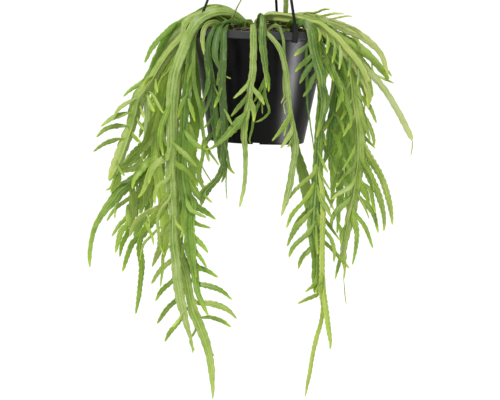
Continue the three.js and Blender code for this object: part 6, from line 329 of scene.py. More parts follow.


# ------------------------------------------------------------------ stems
# Each stem is (kind, tone, [side of the parent], rows, notches on one margin, on the other).
# A row is x, y, z, width and the direction of the width, in mm.
# Each stem's tone is partly its own shade of green and partly painted light: stems in shade at the back carry raised
# tones, above 1 on several, so that they read lighter than their shade.
STEMS = {
    "stem_left_arch_outer": (0.55, [
        ("flat", 1, 0, [(-9.4,9.3,-251.3,4.2,.6,-.8,0), (-9.4,9.3,-243.3,4.2,.6,-.8,0), (-9.4,9.3,-239.3,4.2,.6,-.8,0), (-10.6,9.9,-238.5,4.2,.15,-.2,.97), (-12.6,10.6,-238.5,4.25,-.11,-.25,.96), (-18.8,12.5,-238.9,4.84,.2,-.38,.9), (-21.8,13.5,-236.5,5.28,.47,-.41,.78), (-28.2,16.3,-231.7,6.35,.43,-.33,.84), (-35.2,17.3,-228,6.87,.32,-.31,.89), (-42.8,18.4,-225.8,6.87,.14,-.28,.95), (-50.7,19.6,-225,6.8,-.04,-.25,.97), (-58.6,20.7,-226.2,6.75,-.34,-.2,.92), (-62.3,21.8,-227.7,6.78,-.53,-.16,.83), (-68.5,24.4,-232.1,7.24,-.55,-.15,.82), (-75.4,27.3,-235.7,6.28,-.5,-.12,.86), (-78.8,28,-237.6,6.03,-.51,-.1,.86), (-85.3,27.7,-241.7,6.41,-.56,-.06,.83), (-94.4,28.6,-248.7,7.48,-.67,.01,.75), (-99.7,29.4,-254.4,8.3,-.79,.05,.61), (-103.8,29.9,-261.3,8.32,-.89,.08,.45), (-107.3,30.3,-268.6,8,-.91,.11,.4), (-111.9,30.7,-279.6,6.79,-.89,.15,.42), (-115.4,30.9,-286.9,7.21,-.9,.18,.41), (-119.6,31.3,-297.8,5.01,-.86,.2,.46), (-123.6,31.5,-304.8,4.78,-.87,.2,.44), (-126.8,31.7,-312.2,5.33,-.91,.21,.36), (-129.5,31.9,-319.7,5.84,-.94,.2,.29), (-131.5,32.1,-327.5,5.18,-.96,.19,.22), (-133.1,32.3,-335.4,4.51,-.96,.17,.22), (-134.9,32.5,-343.2,3.85,-.96,.15,.22), (-136.7,32.7,-351,3.19,-.97,.12,.23), (-138.5,32.9,-358.8,2.53,-.97,.09,.23), (-139.4,33,-362.7,2.2,-.97,.07,.23)],
         [28.9, 39.8, 49.9, 60.6, 70.6, 80.8, 91.9, 102.6, 113.9, 125.1, 135.2, 145.3, 156.8, 167.7, 177.9, 188, 198.8, 209.7, 221.1], [28.3, 39, 49.7, 60.2, 70.2, 81.1, 92.5, 102.7, 114.2, 124.1, 134.4, 145.6, 155.6, 165.4, 175.7, 186.1, 197.3, 207, 217.5, 228.3], 0),
        ("flat", 0, .05, [(-88.4,27.8,-243.9,6.14,-.03,.23,.97), (-92,27.2,-243.8,6.18,-.37,.22,.9), (-95,26.6,-246.3,6.34,-.69,.18,.7), (-100.2,25.3,-252,6.66,-.75,.17,.64), (-105.6,24.1,-257.4,6.43,-.68,.18,.71), (-111.2,22.8,-262.6,5,-.76,.18,.63), (-115.7,21.6,-268.8,6.05,-.83,.18,.53), (-120.1,20.4,-275.1,5.03,-.86,.18,.47), (-123,19.3,-282.2,3.75,-.93,.17,.33), (-126.2,18.2,-289.2,2.46,-.9,.17,.41)],
         [12.4, 19.3, 25.4, 31.7, 37.9, 44.5, 50.9, 57.5], [14.9, 21, 27.6, 33.9, 40, 46.3, 52.3, 58.5], 2.8),
    ]),
    "stem_left_arch_back": (1.0, [
        ("flat", 1, 0, [(-31.5,30,-254.5,4.2,.52,.85,0), (-31.5,30,-246.5,4.2,.52,.85,0), (-31.5,30,-242.5,4.2,.52,.85,0), (-33.3,30.7,-240.2,4.2,.34,.55,.76), (-37,31.4,-241,4.4,-.09,.49,.87), (-40.7,32,-241.7,4.7,.07,.37,.93), (-44.4,32.4,-240.9,5.04,.34,.3,.89), (-51.5,32.4,-237.3,6.16,.41,.21,.89), (-55.3,33.5,-235.9,6.72,.31,.19,.93), (-59.2,34.8,-235.2,7.03,.15,.17,.97), (-63.2,36.9,-235.3,7.35,-.05,.15,.99), (-67.1,37.9,-236,7.55,-.27,.11,.96), (-70.8,38.1,-237.5,7.64,-.45,.07,.89), (-77.3,38.5,-242.1,7.71,-.66,-.01,.76), (-86,38.8,-250.3,7.75,-.69,-.09,.72), (-91.7,39.3,-255.9,7.77,-.71,-.12,.7), (-97.4,39.8,-261.6,7.79,-.71,-.14,.69), (-102.9,40.1,-267.4,7.79,-.77,-.15,.63), (-107.4,40.4,-274,7.77,-.86,-.14,.48), (-111,40.7,-281.2,7.74,-.9,-.11,.42), (-114.3,40.9,-288.5,7.71,-.92,-.08,.39), (-117.5,41.2,-295.9,7.56,-.91,-.03,.42), (-120.7,41.4,-303.2,7.07,-.95,.03,.31), (-122.4,41.6,-311.1,7.14,-.98,.09,.15), (-123.2,41.9,-319,7.44,-.99,.15,.07), (-123.5,42.1,-327.1,7.7,-.98,.22,-.01), (-122.9,42.3,-335.1,7.48,-.96,.28,-.09), (-122.1,42.6,-343,7.25,-.94,.33,-.06), (-121.7,42.9,-351.1,7.03,-.93,.37,-.02), (-121.5,43.4,-359.1,6.77,-.92,.39,.05), (-122,43.8,-367.1,5.99,-.91,.41,.09), (-123.2,43.8,-379,4.55,-.91,.41,.1), (-125.2,43.9,-390.8,3.08,-.9,.38,.23), (-127.4,44,-398.5,2.33,-.9,.34,.25)],
         [33.8, 44.1, 55.4, 65.2, 75.3, 86.1, 96, 106, 116, 125.9, 137.4, 148.5, 158.7, 169.3, 179.4, 189.7, 201.1, 210.9, 221], [33, 43.7, 55.8, 66.5, 76.6, 87.2, 97.9, 109.8, 119.9, 131.5, 143.6, 154.3, 164.1, 174.4, 184.3, 194.2, 204.4, 214.8, 225.8], 0),
        ("flat", 0, .1, [(-121.7,41.5,-307.1,4.87,.49,.38,.79), (-123.5,40.8,-305.7,4.94,-.37,.18,.91), (-126,40.2,-308.5,5.15,-.77,.09,.63), (-131.2,38.8,-314,5.25,-.62,.1,.78), (-137.6,37.5,-318.1,4.41,-.59,.12,.8), (-143.4,36.3,-322.9,3.29,-.7,.11,.71), (-148.7,35.1,-328.3,2.06,-.73,.1,.67)],
         [10.3, 16.8, 23.2, 29.1], [14.2, 20.3, 25.9, 31.8], 2.9),
    ]),
    "stem_left_ribbed": (0.48, [
        ("rib", 1, 0, [(-22.5,-6,-252,4.2,.88,-.48,0), (-22.5,-6,-244,4.2,.88,-.48,0), (-22.8,-6.8,-237.5,4.2,.83,-.45,.34), (-25.3,-7.6,-235.3,4.64,.67,-.45,.59), (-31.3,-8.9,-230.3,6.32,.52,-.39,.76), (-34.8,-9.4,-228.6,7.38,.38,-.38,.84), (-38.6,-10,-227.5,8.59,.23,-.36,.9), (-42.5,-10.6,-227.1,9.8,.07,-.35,.94), (-50.3,-11.8,-227.9,10.82,-.16,-.3,.94), (-57.7,-13.2,-230.5,11.01,-.34,-.26,.9), (-64.9,-15,-233.8,11.18,-.36,-.21,.91), (-72.1,-17.8,-237,11.37,-.33,-.15,.93), (-76.1,-20,-238.8,11.48,-.47,-.17,.86), (-79.5,-22.7,-242,11.58,-.8,-.18,.57), (-81.3,-21,-246.4,11.6,-.97,-.07,.22), (-82.5,-18.8,-254.7,11.57,-.95,-.08,.31), (-84.3,-18.4,-258.1,11.56,-.84,-.07,.54), (-91.8,-18.4,-267.2,11.55,-.77,-.03,.64), (-99.1,-19,-276.6,11.55,-.82,0,.58), (-105.7,-20,-286.5,11.55,-.85,.01,.53), (-111.5,-21,-296.9,11.55,-.89,0,.45), (-116.9,-22,-307.1,13.53,-.86,-.02,.51), (-123.3,-22.9,-316.6,16.08,-.79,-.05,.62), (-129.8,-23.4,-326.5,15.37,-.92,-.1,.37), (-131.8,-23.4,-334.1,15.91,-.97,-.14,.2), (-134.1,-23.4,-345.6,14.31,-.96,-.2,.18), (-136.6,-23.2,-356.8,11.19,-.93,-.26,.27), (-140.5,-23,-368,12.59,-.9,-.31,.32), (-144.1,-22.8,-379.4,13.36,-.9,-.35,.24), (-147.7,-22.6,-390.8,13.15,-.86,-.39,.33), (-152.2,-22.4,-401.7,11.84,-.85,-.41,.34), (-156.6,-22.1,-412.3,7.82,-.84,-.41,.34), (-159.2,-22,-418.5,2.64,-.85,-.41,.34)],
         [32.9, 43.5, 55.5, 66.3, 76.9, 88.9, 99.6, 111.4, 121.6, 131.9, 143, 153.6, 168.9, 184.7, 196.6, 207.4, 218.4, 229.9, 240.5, 251.6, 261.5], [32, 43.9, 55.4, 65.8, 76, 86.4, 96.3, 107.5, 117.6, 127.5, 138.2, 149.7, 159.6, 170, 180.8, 190.3, 200.4, 211.9, 227.8, 238.6, 249.4, 259.3, 269.6], 0),
        ("flat", 0, .02, [(-129.8,-23.4,-326.5,5.08,-.11,.34,.93), (-133.7,-24.2,-326.6,5.15,-.32,.34,.89), (-137.3,-25.1,-328.5,5.3,-.53,.31,.79), (-144.1,-27,-332.9,5.46,-.59,.32,.74), (-150.4,-28.8,-337.8,4.48,-.73,.32,.6), (-155,-30.5,-344.4,3.04,-.85,.3,.43), (-157,-31.4,-347.9,2.29,-.85,.3,.43)],
         [9.6, 15.8, 22.4, 28.2], [13.3, 19.5, 26, 31.8], 6.5),
        ("flat", 0, .02, [(-134.1,-23.4,-345.6,5.43,.44,.5,.74), (-137.2,-23.9,-343.3,5.43,.25,.51,.82), (-140.9,-24.6,-342.8,5.69,-.14,.47,.87), (-144.5,-25.2,-343.8,6.21,-.35,.45,.82), (-151.6,-26.4,-346.3,6.46,-.37,.46,.81), (-158.5,-27.6,-349.4,5.51,-.52,.46,.72), (-164.5,-28.7,-353.9,4.06,-.61,.45,.65), (-170.2,-29.8,-358.7,1.83,-.63,.45,.64)],
         [9, 14.8, 21.4, 27.9, 34.4], [14.6, 20.8, 26.9, 33.1], 6),
        ("flat", 0, .02, [(-136.6,-23.2,-356.8,5.07,-.03,.29,.96), (-144.5,-22.3,-357.2,5.46,0,.29,.96), (-152.3,-21.4,-357.7,6.1,-.08,.28,.96), (-160,-20.5,-359.3,5.08,-.26,.28,.92), (-166.9,-19.6,-362.8,4.78,-.57,.29,.77), (-172.4,-18.8,-368.3,2.87,-.67,.29,.68), (-175.1,-18.4,-371.1,1.91,-.67,.29,.68)],
         [12.2, 18.9, 25.1, 31.6, 37.8], [12.5, 19.1, 25.1, 31.5, 37.2], 4.7),
        ("flat", 0, .02, [(-141.8,-22.9,-371.8,5.34,.24,-.4,.89), (-149.7,-24.3,-371.5,6.3,-.11,-.41,.91), (-157.3,-25.6,-373.6,6.79,-.21,-.4,.89), (-164.8,-26.9,-376.6,5.49,-.37,-.41,.84), (-171.4,-28.2,-381.1,3.93,-.52,-.41,.74), (-177.4,-29.4,-386.3,2,-.54,-.42,.73)],
         [9.3, 15.9, 22, 28, 34.1], [15.5, 22.3, 28.2, 34.5], 5.5),
        ("flat", 0, .02, [(-113.2,-21.3,-300.4,5.16,-.36,-.26,.89), (-119,-26.6,-304.3,5.04,-.44,-.24,.86), (-123.9,-31.7,-309.3,3.62,-.59,-.28,.76), (-126.2,-34.3,-312.1,2.58,-.6,-.29,.75)],
         [11, 17.2], [15.1], 4.9),
        ("flat", 0, .02, [(-115.1,-21.7,-303.8,5.27,-.16,.07,-.99), (-112.6,-23.9,-304.4,5.19,-.66,.16,-.73), (-112.2,-26,-307.3,4.97,-.87,.35,-.35), (-111.6,-30.4,-313.4,4.52,-.8,.37,-.47), (-109,-34.6,-319.1,2.63,-.71,.33,-.62)],
         [11.7, 18.7], [14.9], 5.1),
        ("flat", 0, .02, [(-125.7,-23.1,-319.7,6.09,-.48,-.2,-.85), (-122.3,-25,-321.2,6.09,-.67,-.2,-.72), (-120,-26.8,-324,5.9,-.89,-.12,-.44), (-117.7,-30.6,-330.9,5.26,-.95,-.04,-.32), (-114.1,-34.2,-337.2,3.75,-.77,-.08,-.63), (-111.5,-36,-339.8,2.43,-.73,-.1,-.67)],
         [9.9, 16.7, 23.1], [14.1, 21.1], 6.6),
        ("flat", 0, .02, [(-131,-23.4,-330.2,4.84,-.77,-.04,-.63), (-127.8,-27.7,-335.8,4.86,-.93,.04,-.37), (-125.2,-32.1,-341.8,4.03,-.89,.02,-.46), (-122.1,-36.3,-347.9,2.42,-.89,.02,-.46)],
         [10.8, 17.9], [13.2, 20.2], 6.6),
        ("flat", 0, .02, [(-123.3,-22.9,-316.6,3.65,-.38,-.16,-.91), (-116.7,-26.5,-320,3.65,-.71,-.13,-.69), (-112,-30.2,-325.8,3.65,-.84,-.1,-.54), (-108,-33.8,-332.1,3.49,-.88,-.07,-.47), (-103.9,-37.3,-338.4,2.57,-.82,-.09,-.57), (-101.5,-39,-341.5,1.82,-.81,-.09,-.58)],
         [11.9, 17.9, 23.7, 30.1], [14.4, 21.3, 27, 33.3], 6.8),
        ("flat", 0, .02, [(-133.4,-23.4,-341.8,4.91,-.95,-.14,-.28), (-130.8,-26.7,-348.6,5.37,-.92,-.12,-.37), (-127,-29.9,-354.8,4.25,-.83,-.15,-.53), (-122.5,-33.1,-360.6,2.45,-.82,-.15,-.55)],
         [10, 16.3], [15.5], 6.5),
        ("flat", 0, .02, [(-140.6,-22.7,-357.1,4.94,-.84,.21,-.5), (-136.9,-25.5,-364.1,4.97,-.76,.23,-.61), (-131.5,-28.2,-369.8,4.32,-.58,.19,-.79), (-125.3,-30.9,-374.8,3.47,-.58,.19,-.79)],
         [12.2, 19], [15.2, 21.7], 2.1),
        ("flat", 0, .02, [(-149.2,-22.5,-394.4,5.47,-.51,-.18,.84), (-151.3,-24.2,-396.1,5.44,-.9,-.27,.33), (-150.1,-25.8,-399.4,5.38,-.9,-.4,-.19), (-146.7,-29.1,-405.7,4.71,-.85,-.41,-.33), (-142.3,-32.2,-411.5,2.46,-.82,-.43,-.39)],
         [9, 15.4], [13.6], 5.4),
    ]),
    "stem_left_front": (0.5, [
        ("flat", 1, 0, [(-15.9,-22,-252.4,4.2,.99,.17,0), (-15.9,-22,-244.4,4.2,.99,.17,0), (-15.9,-22,-240.4,4.2,.99,.17,0), (-16.3,-23.3,-238.5,4.2,.75,.13,.65), (-18.8,-24.7,-236.5,4.58,.57,.18,.8), (-24.8,-27.3,-231.9,5.99,.42,.26,.87), (-31.7,-29.9,-228.8,7.83,.18,.29,.94), (-39.2,-32.4,-227.5,8.99,-.04,.31,.95), (-46.8,-35,-227.8,9.46,-.26,.32,.91), (-54.2,-37.7,-229.8,9.82,-.43,.33,.84), (-61.1,-40.4,-233,10.13,-.58,.33,.75), (-67.2,-43.5,-237.5,10.39,-.75,.3,.59), (-71.9,-46.1,-243.5,10.63,-.82,.32,.46), (-75.8,-46.7,-250.5,10.86,-.86,.33,.39), (-78.9,-47.1,-257.9,11.07,-.89,.32,.32), (-81.5,-47.1,-265.5,11.26,-.9,.29,.31), (-84.2,-47.4,-273,11.3,-.91,.26,.31), (-86.9,-47.8,-280.6,11.26,-.92,.23,.32), (-89.5,-48.2,-288.2,11.18,-.94,.2,.28), (-91.6,-48.7,-295.9,11.12,-.97,.16,.2), (-92.8,-49.2,-303.8,11.06,-.99,.12,.09), (-93.5,-49.7,-311.8,11.03,-.99,.09,.07), (-93.9,-50.2,-319.8,11.01,-1,.06,.03), (-94.1,-50.7,-327.8,10.96,-1,.03,0), (-93.9,-51.1,-335.9,10.76,-1,0,-.04), (-93.6,-51.5,-343.9,10.47,-1,-.02,-.04), (-93.3,-51.7,-351.9,10.18,-1,-.03,-.04), (-93,-51.8,-359.9,9.9,-1,-.04,-.04), (-92.6,-51.9,-367.9,9.61,-1,-.04,-.05), (-92.3,-51.9,-375.9,9.31,-1,-.04,-.03), (-92.3,-52,-384,9.07,-1,-.03,.03), (-92.7,-52,-392,8.86,-1,-.02,.03), (-92.4,-52,-403.9,10.22,-1,.01,-.06), (-91.4,-52,-415.8,11.42,-.99,.05,-.11), (-89.9,-52,-427.7,10.06,-.99,.1,-.13), (-88.6,-52,-439.6,9.19,-.98,.15,-.1), (-87.8,-52,-447.6,8.97,-.98,.19,-.08), (-87.3,-52,-455.6,8.77,-.97,.22,-.06), (-87,-52,-463.7,9.1,-.97,.26,-.02), (-86.8,-52,-471.7,9.46,-.96,.29,-.04), (-86.2,-52,-479.7,9.81,-.94,.31,-.11), (-85,-52,-487.6,10.1,-.93,.34,-.16), (-83.5,-52,-495.5,10.37,-.92,.35,-.16), (-82.3,-52,-503.5,10.7,-.92,.37,-.12), (-81.3,-52,-511.4,11.09,-.92,.38,-.12), (-80.2,-52,-519.4,11.45,-.91,.38,-.14), (-78.8,-52,-527.3,11.52,-.91,.37,-.17), (-77.2,-52,-535.2,11.49,-.91,.37,-.19), (-75.5,-52,-543,11.43,-.91,.35,-.23), (-72.2,-52,-554.5,9.94,-.91,.32,-.26), (-69.3,-52,-566,7.47,-.93,.28,-.24), (-65.6,-52,-577.3,5.11,-.91,.23,-.34), (-62,-52,-588.7,3.08,-.96,.18,-.2), (-60.2,-52,-600.5,1.67,-.98,.13,-.14)],
         [34.5, 45.2, 56.2, 66.9, 77.1, 89, 99.2, 110.2, 121.7, 132.7, 144.4, 154.5, 166, 178, 188.1, 199.9, 210.9, 220.5, 231, 241.3, 252.3, 263.2, 273.9, 284.5, 294.9, 306, 317.7, 329.5, 340.5, 351.2, 362.4, 374.5, 386.1, 396.8, 407.7, 419.6, 430.9], [33.7, 45.1, 55.9, 66.5, 78.6, 88.5, 100.6, 110.6, 122.6, 134, 144.3, 154.8, 166.8, 176.7, 187.8, 197.7, 208.8, 218.9, 231.1, 243, 252.7, 262.9, 271.9, 281.3, 290.9, 302.9, 313.1, 323, 333.5, 345.4, 355.6, 366, 377.8, 388.9, 399.2, 410.3, 420.3, 430.6, 441.4], 0),
        ("flat", 0, .1, [(-94.1,-50.4,-323.8,6.05,-.98,.03,.21), (-96,-52.1,-331.5,6.05,-.96,.03,.27), (-98.3,-53.8,-339,6.05,-.95,.04,.32), (-101.1,-55.5,-346.4,6.05,-.95,.05,.31), (-103.2,-57.2,-353.9,5.96,-.97,.05,.22), (-104.5,-58.8,-361.7,5.82,-1,.06,.06), (-104,-60.4,-369.5,5.06,-.98,.04,-.18), (-102.3,-61.8,-377.1,3.72,-.96,.04,-.28), (-100,-63.3,-384.6,1.82,-.95,.04,-.31)],
         [12, 18.5, 24.6, 30.2, 36.2, 42.1, 48.3, 54.4, 60], [12.5, 19.3, 25.5, 32.1, 38.5, 44.7, 50.4, 56.5], 4.6),
        ("flat", 0, .1, [(-92.6,-51.9,-367.9,6.11,-.8,-.12,-.59), (-87.9,-53.7,-373.8,6.11,-.75,-.12,-.65), (-82.4,-55.5,-378.8,5.92,-.65,-.13,-.75), (-76.5,-57.3,-383.4,5.68,-.65,-.14,-.75), (-70.9,-59.1,-388.4,4.68,-.71,-.13,-.69), (-65.8,-60.7,-393.7,2.78,-.73,-.13,-.67), (-63.2,-61.6,-396.3,1.83,-.73,-.13,-.67)],
         [12.5, 18.8, 25.1, 31.5, 38], [13.4, 19.8, 25.9, 32.1, 38], 4),
        ("flat", 0, .1, [(-92.5,-52,-388,6.11,-.25,-.11,-.96), (-89,-51.4,-389,6.11,-.6,-.13,-.79), (-87.1,-50.8,-392.3,6.11,-.8,-.17,-.58), (-84.7,-50.3,-395.3,6.11,-.62,-.16,-.77), (-81.3,-49.7,-397.1,6.11,-.41,-.13,-.9), (-74.3,-48.6,-400.5,6.14,-.52,-.12,-.84), (-68.5,-47.5,-405.5,6.4,-.75,-.13,-.65), (-64.7,-46.5,-411.9,4.54,-.89,-.14,-.44), (-61.6,-45.5,-418.8,2.3,-.89,-.14,-.43)],
         [10.5, 16.6, 22.5, 28.5, 34.9, 41.5], [12.2, 19.1, 25.6, 31.5, 38.1], 3.8),
        ("flat", 0, .1, [(-92.3,-51.9,-375.9,6.4,-.88,.32,.34), (-94.7,-53.7,-383,7.63,-.94,.27,.19), (-95.9,-54.6,-386.5,8.44,-.84,.29,.47), (-98.6,-55.5,-389,8.28,-.59,.33,.74), (-105.1,-57.4,-392.9,7.54,-.67,.35,.66), (-110.1,-59.1,-398.7,6.96,-.85,.34,.41), (-112.9,-60.8,-405.7,5.29,-.92,.33,.19), (-114.3,-62.4,-413,3.18,-.95,.32,.03), (-114.5,-63.2,-416.7,1.92,-.95,.32,0)],
         [9.1, 15.5, 21.9, 28.1, 34.7, 40.7, 46.8], [12.5, 19.3, 25.3, 31.9, 37.8, 44], 3.9),
        ("flat", 0, .1, [(-102.1,-56.5,-390.7,5.4,-.28,.42,.86), (-109.1,-55.2,-394.2,6.39,-.58,.42,.7), (-111.3,-54.5,-397.5,6.51,-.75,.43,.5), (-114.3,-53.2,-404.8,6.75,-.82,.43,.36), (-116.6,-51.9,-412.5,6.75,-.85,.44,.3), (-118.6,-50.7,-420.2,6.05,-.83,.46,.31), (-121.7,-49.5,-427.3,4.48,-.72,.44,.54), (-126.3,-48.4,-433.6,2.02,-.68,.44,.58)],
         [10.7, 17, 22.9, 29.2, 35.9, 42.3, 48], [14.1, 20.4, 26.3, 32.9, 39.1, 44.9], 3.3),
        ("flat", 0, .1, [(-92.6,-52,-400,4.86,-.94,.03,-.33), (-91.5,-52.8,-403.3,4.86,-1,.03,-.04), (-92.4,-53.7,-407,4.86,-.95,.05,.31), (-93.9,-54.5,-410.4,4.86,-.84,.06,.54), (-96.5,-55.3,-413.1,4.8,-.64,.1,.76), (-102.9,-57,-417.1,4.64,-.67,.15,.73), (-105.4,-57.8,-420,4.59,-.86,.13,.48), (-106.8,-58.6,-423.5,4.61,-.96,.11,.25), (-107.9,-60.2,-431,4.02,-.99,.1,.03), (-107.7,-61.6,-438.4,2.04,-.99,.09,-.04)],
         [12.7, 19.6, 25.8, 31.6, 37.4], [15.9, 23, 29.5, 35.5, 41.9], 4),
        ("flat", 0, .1, [(-91,-52,-419.8,3.14,-.89,-.33,-.32), (-89.5,-52.8,-423,3.14,-.94,-.32,-.06), (-90,-53.7,-427,3.14,-.92,-.3,.25), (-92.8,-55.4,-434.2,3.16,-.78,-.27,.57), (-97.7,-57.1,-440.4,3.21,-.75,-.25,.61), (-101.7,-58.8,-447.1,3.58,-.87,-.24,.44), (-103.6,-60.4,-454.8,3.48,-.96,-.25,.13), (-103.3,-62.1,-462.6,3.41,-.96,-.26,-.05), (-102.1,-63.7,-470.4,3.5,-.96,-.26,-.11), (-100.7,-65.2,-478.2,3.41,-.96,-.26,-.14), (-98.8,-66.6,-485.9,2.24,-.92,-.26,-.29), (-95.3,-68,-493,1.51,-.88,-.27,-.4)],
         [11.3, 17.4, 23.3, 29.2, 35.4, 41.5, 47.3, 53, 58.7, 65.2, 71.7], [15.5, 21.4, 27, 33.2, 39.2, 44.9, 50.8, 57, 63.1, 69, 75], 4.6),
        ("flat", 0, .1, [(-87.8,-52,-447.6,3.84,-.87,-.33,.36), (-90.3,-54.8,-455.3,3.84,-.79,-.32,.51), (-94.9,-57.7,-461.8,3.76,-.73,-.27,.62), (-98.3,-60.4,-469.1,2.73,-.87,-.3,.39), (-99.5,-61.7,-473,1.92,-.88,-.31,.36)],
         [11.4, 18.2, 24.2], [8.5, 15.5, 21.3], 3.8),
        ("flat", 0, .1, [(-87.5,-52,-451.6,4.98,-.43,-.42,-.8), (-85.4,-53.6,-451.9,4.97,-.84,-.27,-.47), (-84.3,-55.3,-455.5,4.93,-.95,-.19,-.24), (-83,-57,-458.9,4.9,-.88,-.23,-.41), (-80.6,-58.6,-461.7,4.47,-.75,-.34,-.57), (-75.8,-61.8,-467.2,3.39,-.94,-.33,.06), (-76.9,-63.4,-470.7,2.63,-.85,-.23,.47), (-78.7,-64.9,-474.1,1.87,-.82,-.22,.53)],
         [12.6, 18.8, 25.4], [14.4, 20.3, 26.9], 3.7),
        ("flat", 0, .1, [(-86.2,-52,-479.7,3.29,-.68,.39,.62), (-91.1,-51,-485.6,3.59,-.68,.38,.62), (-95.4,-50.1,-492,3.89,-.83,.38,.41), (-96.5,-49.6,-495.6,3.86,-.9,.38,.22), (-96.8,-48.6,-503.3,3.7,-.92,.39,.03), (-96.8,-47.7,-511,3.48,-.91,.39,.1), (-97.4,-46.8,-518.7,2.72,-.91,.39,.12), (-98.1,-46,-526.4,1.96,-.91,.39,.12), (-98.4,-45.6,-530.2,1.58,-.91,.39,.12)],
         [9.9, 15.9, 21.6, 27.3, 33.2, 39.2, 45.2, 51.3], [14.9, 21.5, 27.8, 34.5, 40.9, 47.1], 4.1),
        ("flat", 0, .1, [(-91,-52,-419.8,6.67,-.87,-.39,-.3), (-90,-51.5,-423.1,6.81,-.92,-.4,.02), (-91.5,-50.9,-426.9,7.07,-.85,-.41,.33), (-95.4,-49.9,-434.1,7.59,-.81,-.41,.43), (-100.1,-48.8,-440.7,8.11,-.71,-.4,.58), (-103.1,-48.2,-443.3,7.92,-.55,-.41,.73), (-106.8,-47.7,-445,7.44,-.4,-.43,.81), (-114,-46.6,-448.4,7.02,-.54,-.42,.73), (-120.4,-45.6,-453.4,8.33,-.61,-.43,.67), (-126.5,-44.6,-458.6,6.4,-.71,-.44,.55), (-128.7,-44.2,-461.9,5.71,-.81,-.43,.39), (-131.8,-43.2,-469.4,4.85,-.87,-.42,.27), (-134.3,-42.4,-476.8,2.01,-.88,-.42,.24)],
         [11.4, 17.8, 24.5, 31.3, 37.3, 44.4, 50.7, 57.2, 63.1, 69.8], [14.2, 20.9, 27.1, 33.4, 39.8, 45.9, 51.6, 58.2, 63.8, 70.3], 4.6),
        ("flat", 0, .1, [(-91,-52,-419.8,8.91,-.72,.25,.65), (-90.2,-51.3,-419.1,9.02,-.97,-.25,.05), (-91.5,-50.7,-422.8,9.3,-.91,-.3,.28), (-94.2,-49.3,-430,9.85,-.9,-.3,.3), (-97.2,-47.9,-437.2,10.41,-.9,-.3,.33), (-100.5,-46.6,-444.2,10.96,-.87,-.3,.4), (-104.6,-45.2,-450.7,11.03,-.77,-.31,.56), (-109.8,-43.8,-456.5,10.85,-.78,-.32,.54), (-113.9,-42.4,-462.9,9.96,-.85,-.3,.43), (-117.8,-41.1,-469.6,9.14,-.84,-.3,.45), (-122.1,-39.8,-476,8.98,-.72,-.31,.63), (-125.1,-39.1,-478.3,8.25,-.58,-.34,.74), (-130.7,-37.9,-483.3,6.74,-.84,-.32,.43), (-133.6,-36.7,-490.5,5.83,-.91,-.31,.28), (-136,-35.5,-497.9,5.47,-.92,-.31,.22), (-138,-34.4,-505.4,4.63,-.93,-.31,.19), (-139.8,-33.3,-512.9,3.12,-.93,-.31,.18), (-140.7,-32.8,-516.5,1.91,-.94,-.31,.17)],
         [10.5, 16.3, 22.3, 28.8, 35.2, 41.4, 47.9, 54, 60.7, 66.9, 73.4, 79.6, 86.2, 92.2, 98.3, 104.6, 110.9], [11.1, 17.2, 23.5, 30.3, 36.3, 42.6, 49.5, 56.1, 62.6, 68.6, 75.2, 80.9, 87.4, 93.4, 99.7, 106.4], 4.6),
        ("flat", 0, .1, [(-115.8,-41.8,-466.3,5.25,-.56,-.42,.71), (-118.7,-41.4,-468.4,5.4,-.75,-.41,.52), (-120.2,-41,-472.1,5.69,-.88,-.39,.27), (-122.4,-40.2,-479.7,6.27,-.9,-.39,.16), (-123.4,-39.3,-487.5,6.96,-.92,-.39,-.06), (-122.2,-38.5,-495.3,7.94,-.9,-.38,-.21), (-120.6,-37.7,-503.1,7.5,-.9,-.38,-.2), (-120,-36.9,-511,6.96,-.92,-.38,-.03), (-120.4,-36.1,-518.9,6.45,-.92,-.38,.02), (-120.9,-35.3,-526.9,6.02,-.92,-.38,.02), (-121.4,-34.5,-534.8,5.78,-.92,-.38,.03), (-122,-33.8,-542.7,5.51,-.92,-.38,.06), (-123,-33.1,-550.6,4.2,-.92,-.38,.09), (-124.1,-32.5,-558.4,2.88,-.92,-.38,.1), (-124.6,-32.1,-562.3,2.22,-.92,-.38,.09)],
         [12.5, 18.2, 24.5, 30.7, 36.7, 43.1, 49.4, 55.9, 61.8, 68.4, 74.2, 80.4, 86.1, 92.4], [14.3, 20.8, 27.1, 33.7, 39.8, 45.6, 52.3, 58.4, 65, 70.9, 76.9, 83.2, 89.4, 95.4], 4),
        ("flat", 0, .1, [(-97,-59,-465.3,3.03,.42,-.09,.9), (-100.4,-58.6,-463.7,3.02,-.14,-.08,.99), (-103.6,-58.2,-466.2,3,-.69,-.03,.73), (-109,-57.3,-472.4,2.96,-.76,-.03,.65), (-114.7,-56.5,-478.3,2.94,-.73,-.04,.69), (-117.3,-56.1,-481.5,2.94,-.86,-.04,.52), (-118.9,-55.7,-485.3,2.69,-.95,-.03,.3), (-120.5,-54.9,-493.3,2.07,-.99,-.02,.15), (-121.8,-54.2,-501.5,1.45,-.98,-.02,.17)],
         [12, 18, 24.2, 30.1, 35.9, 42.4], [15.7, 22.3, 28.4, 34.9, 41.4], 1.5),
        ("flat", 0, .1, [(-87.1,-52,-459.6,5.34,-.94,-.32,-.11), (-87.1,-50.9,-462.8,5.47,-.86,-.36,.35), (-90.2,-49.8,-465.1,5.75,-.62,-.43,.65), (-96.5,-47.5,-469.7,6.3,-.68,-.48,.56), (-99.3,-46.4,-472.5,6.57,-.8,-.48,.37), (-100.8,-45.2,-476,6.62,-.9,-.43,.05), (-100.8,-44.1,-479.9,6.54,-.91,-.39,-.14), (-101,-41.9,-487.6,6.82,-.92,-.39,.06), (-103.1,-39.8,-495.1,7.24,-.9,-.4,.19), (-105.8,-37.9,-502.3,4.64,-.88,-.41,.23), (-108.5,-35.9,-509.5,2.02,-.88,-.41,.23)],
         [12.7, 18.7, 24.6, 31.1, 37.4, 43.9, 49.5, 55.5], [13.5, 19.5, 25.7, 32.1, 38.7, 45.4, 51.8], 3.7),
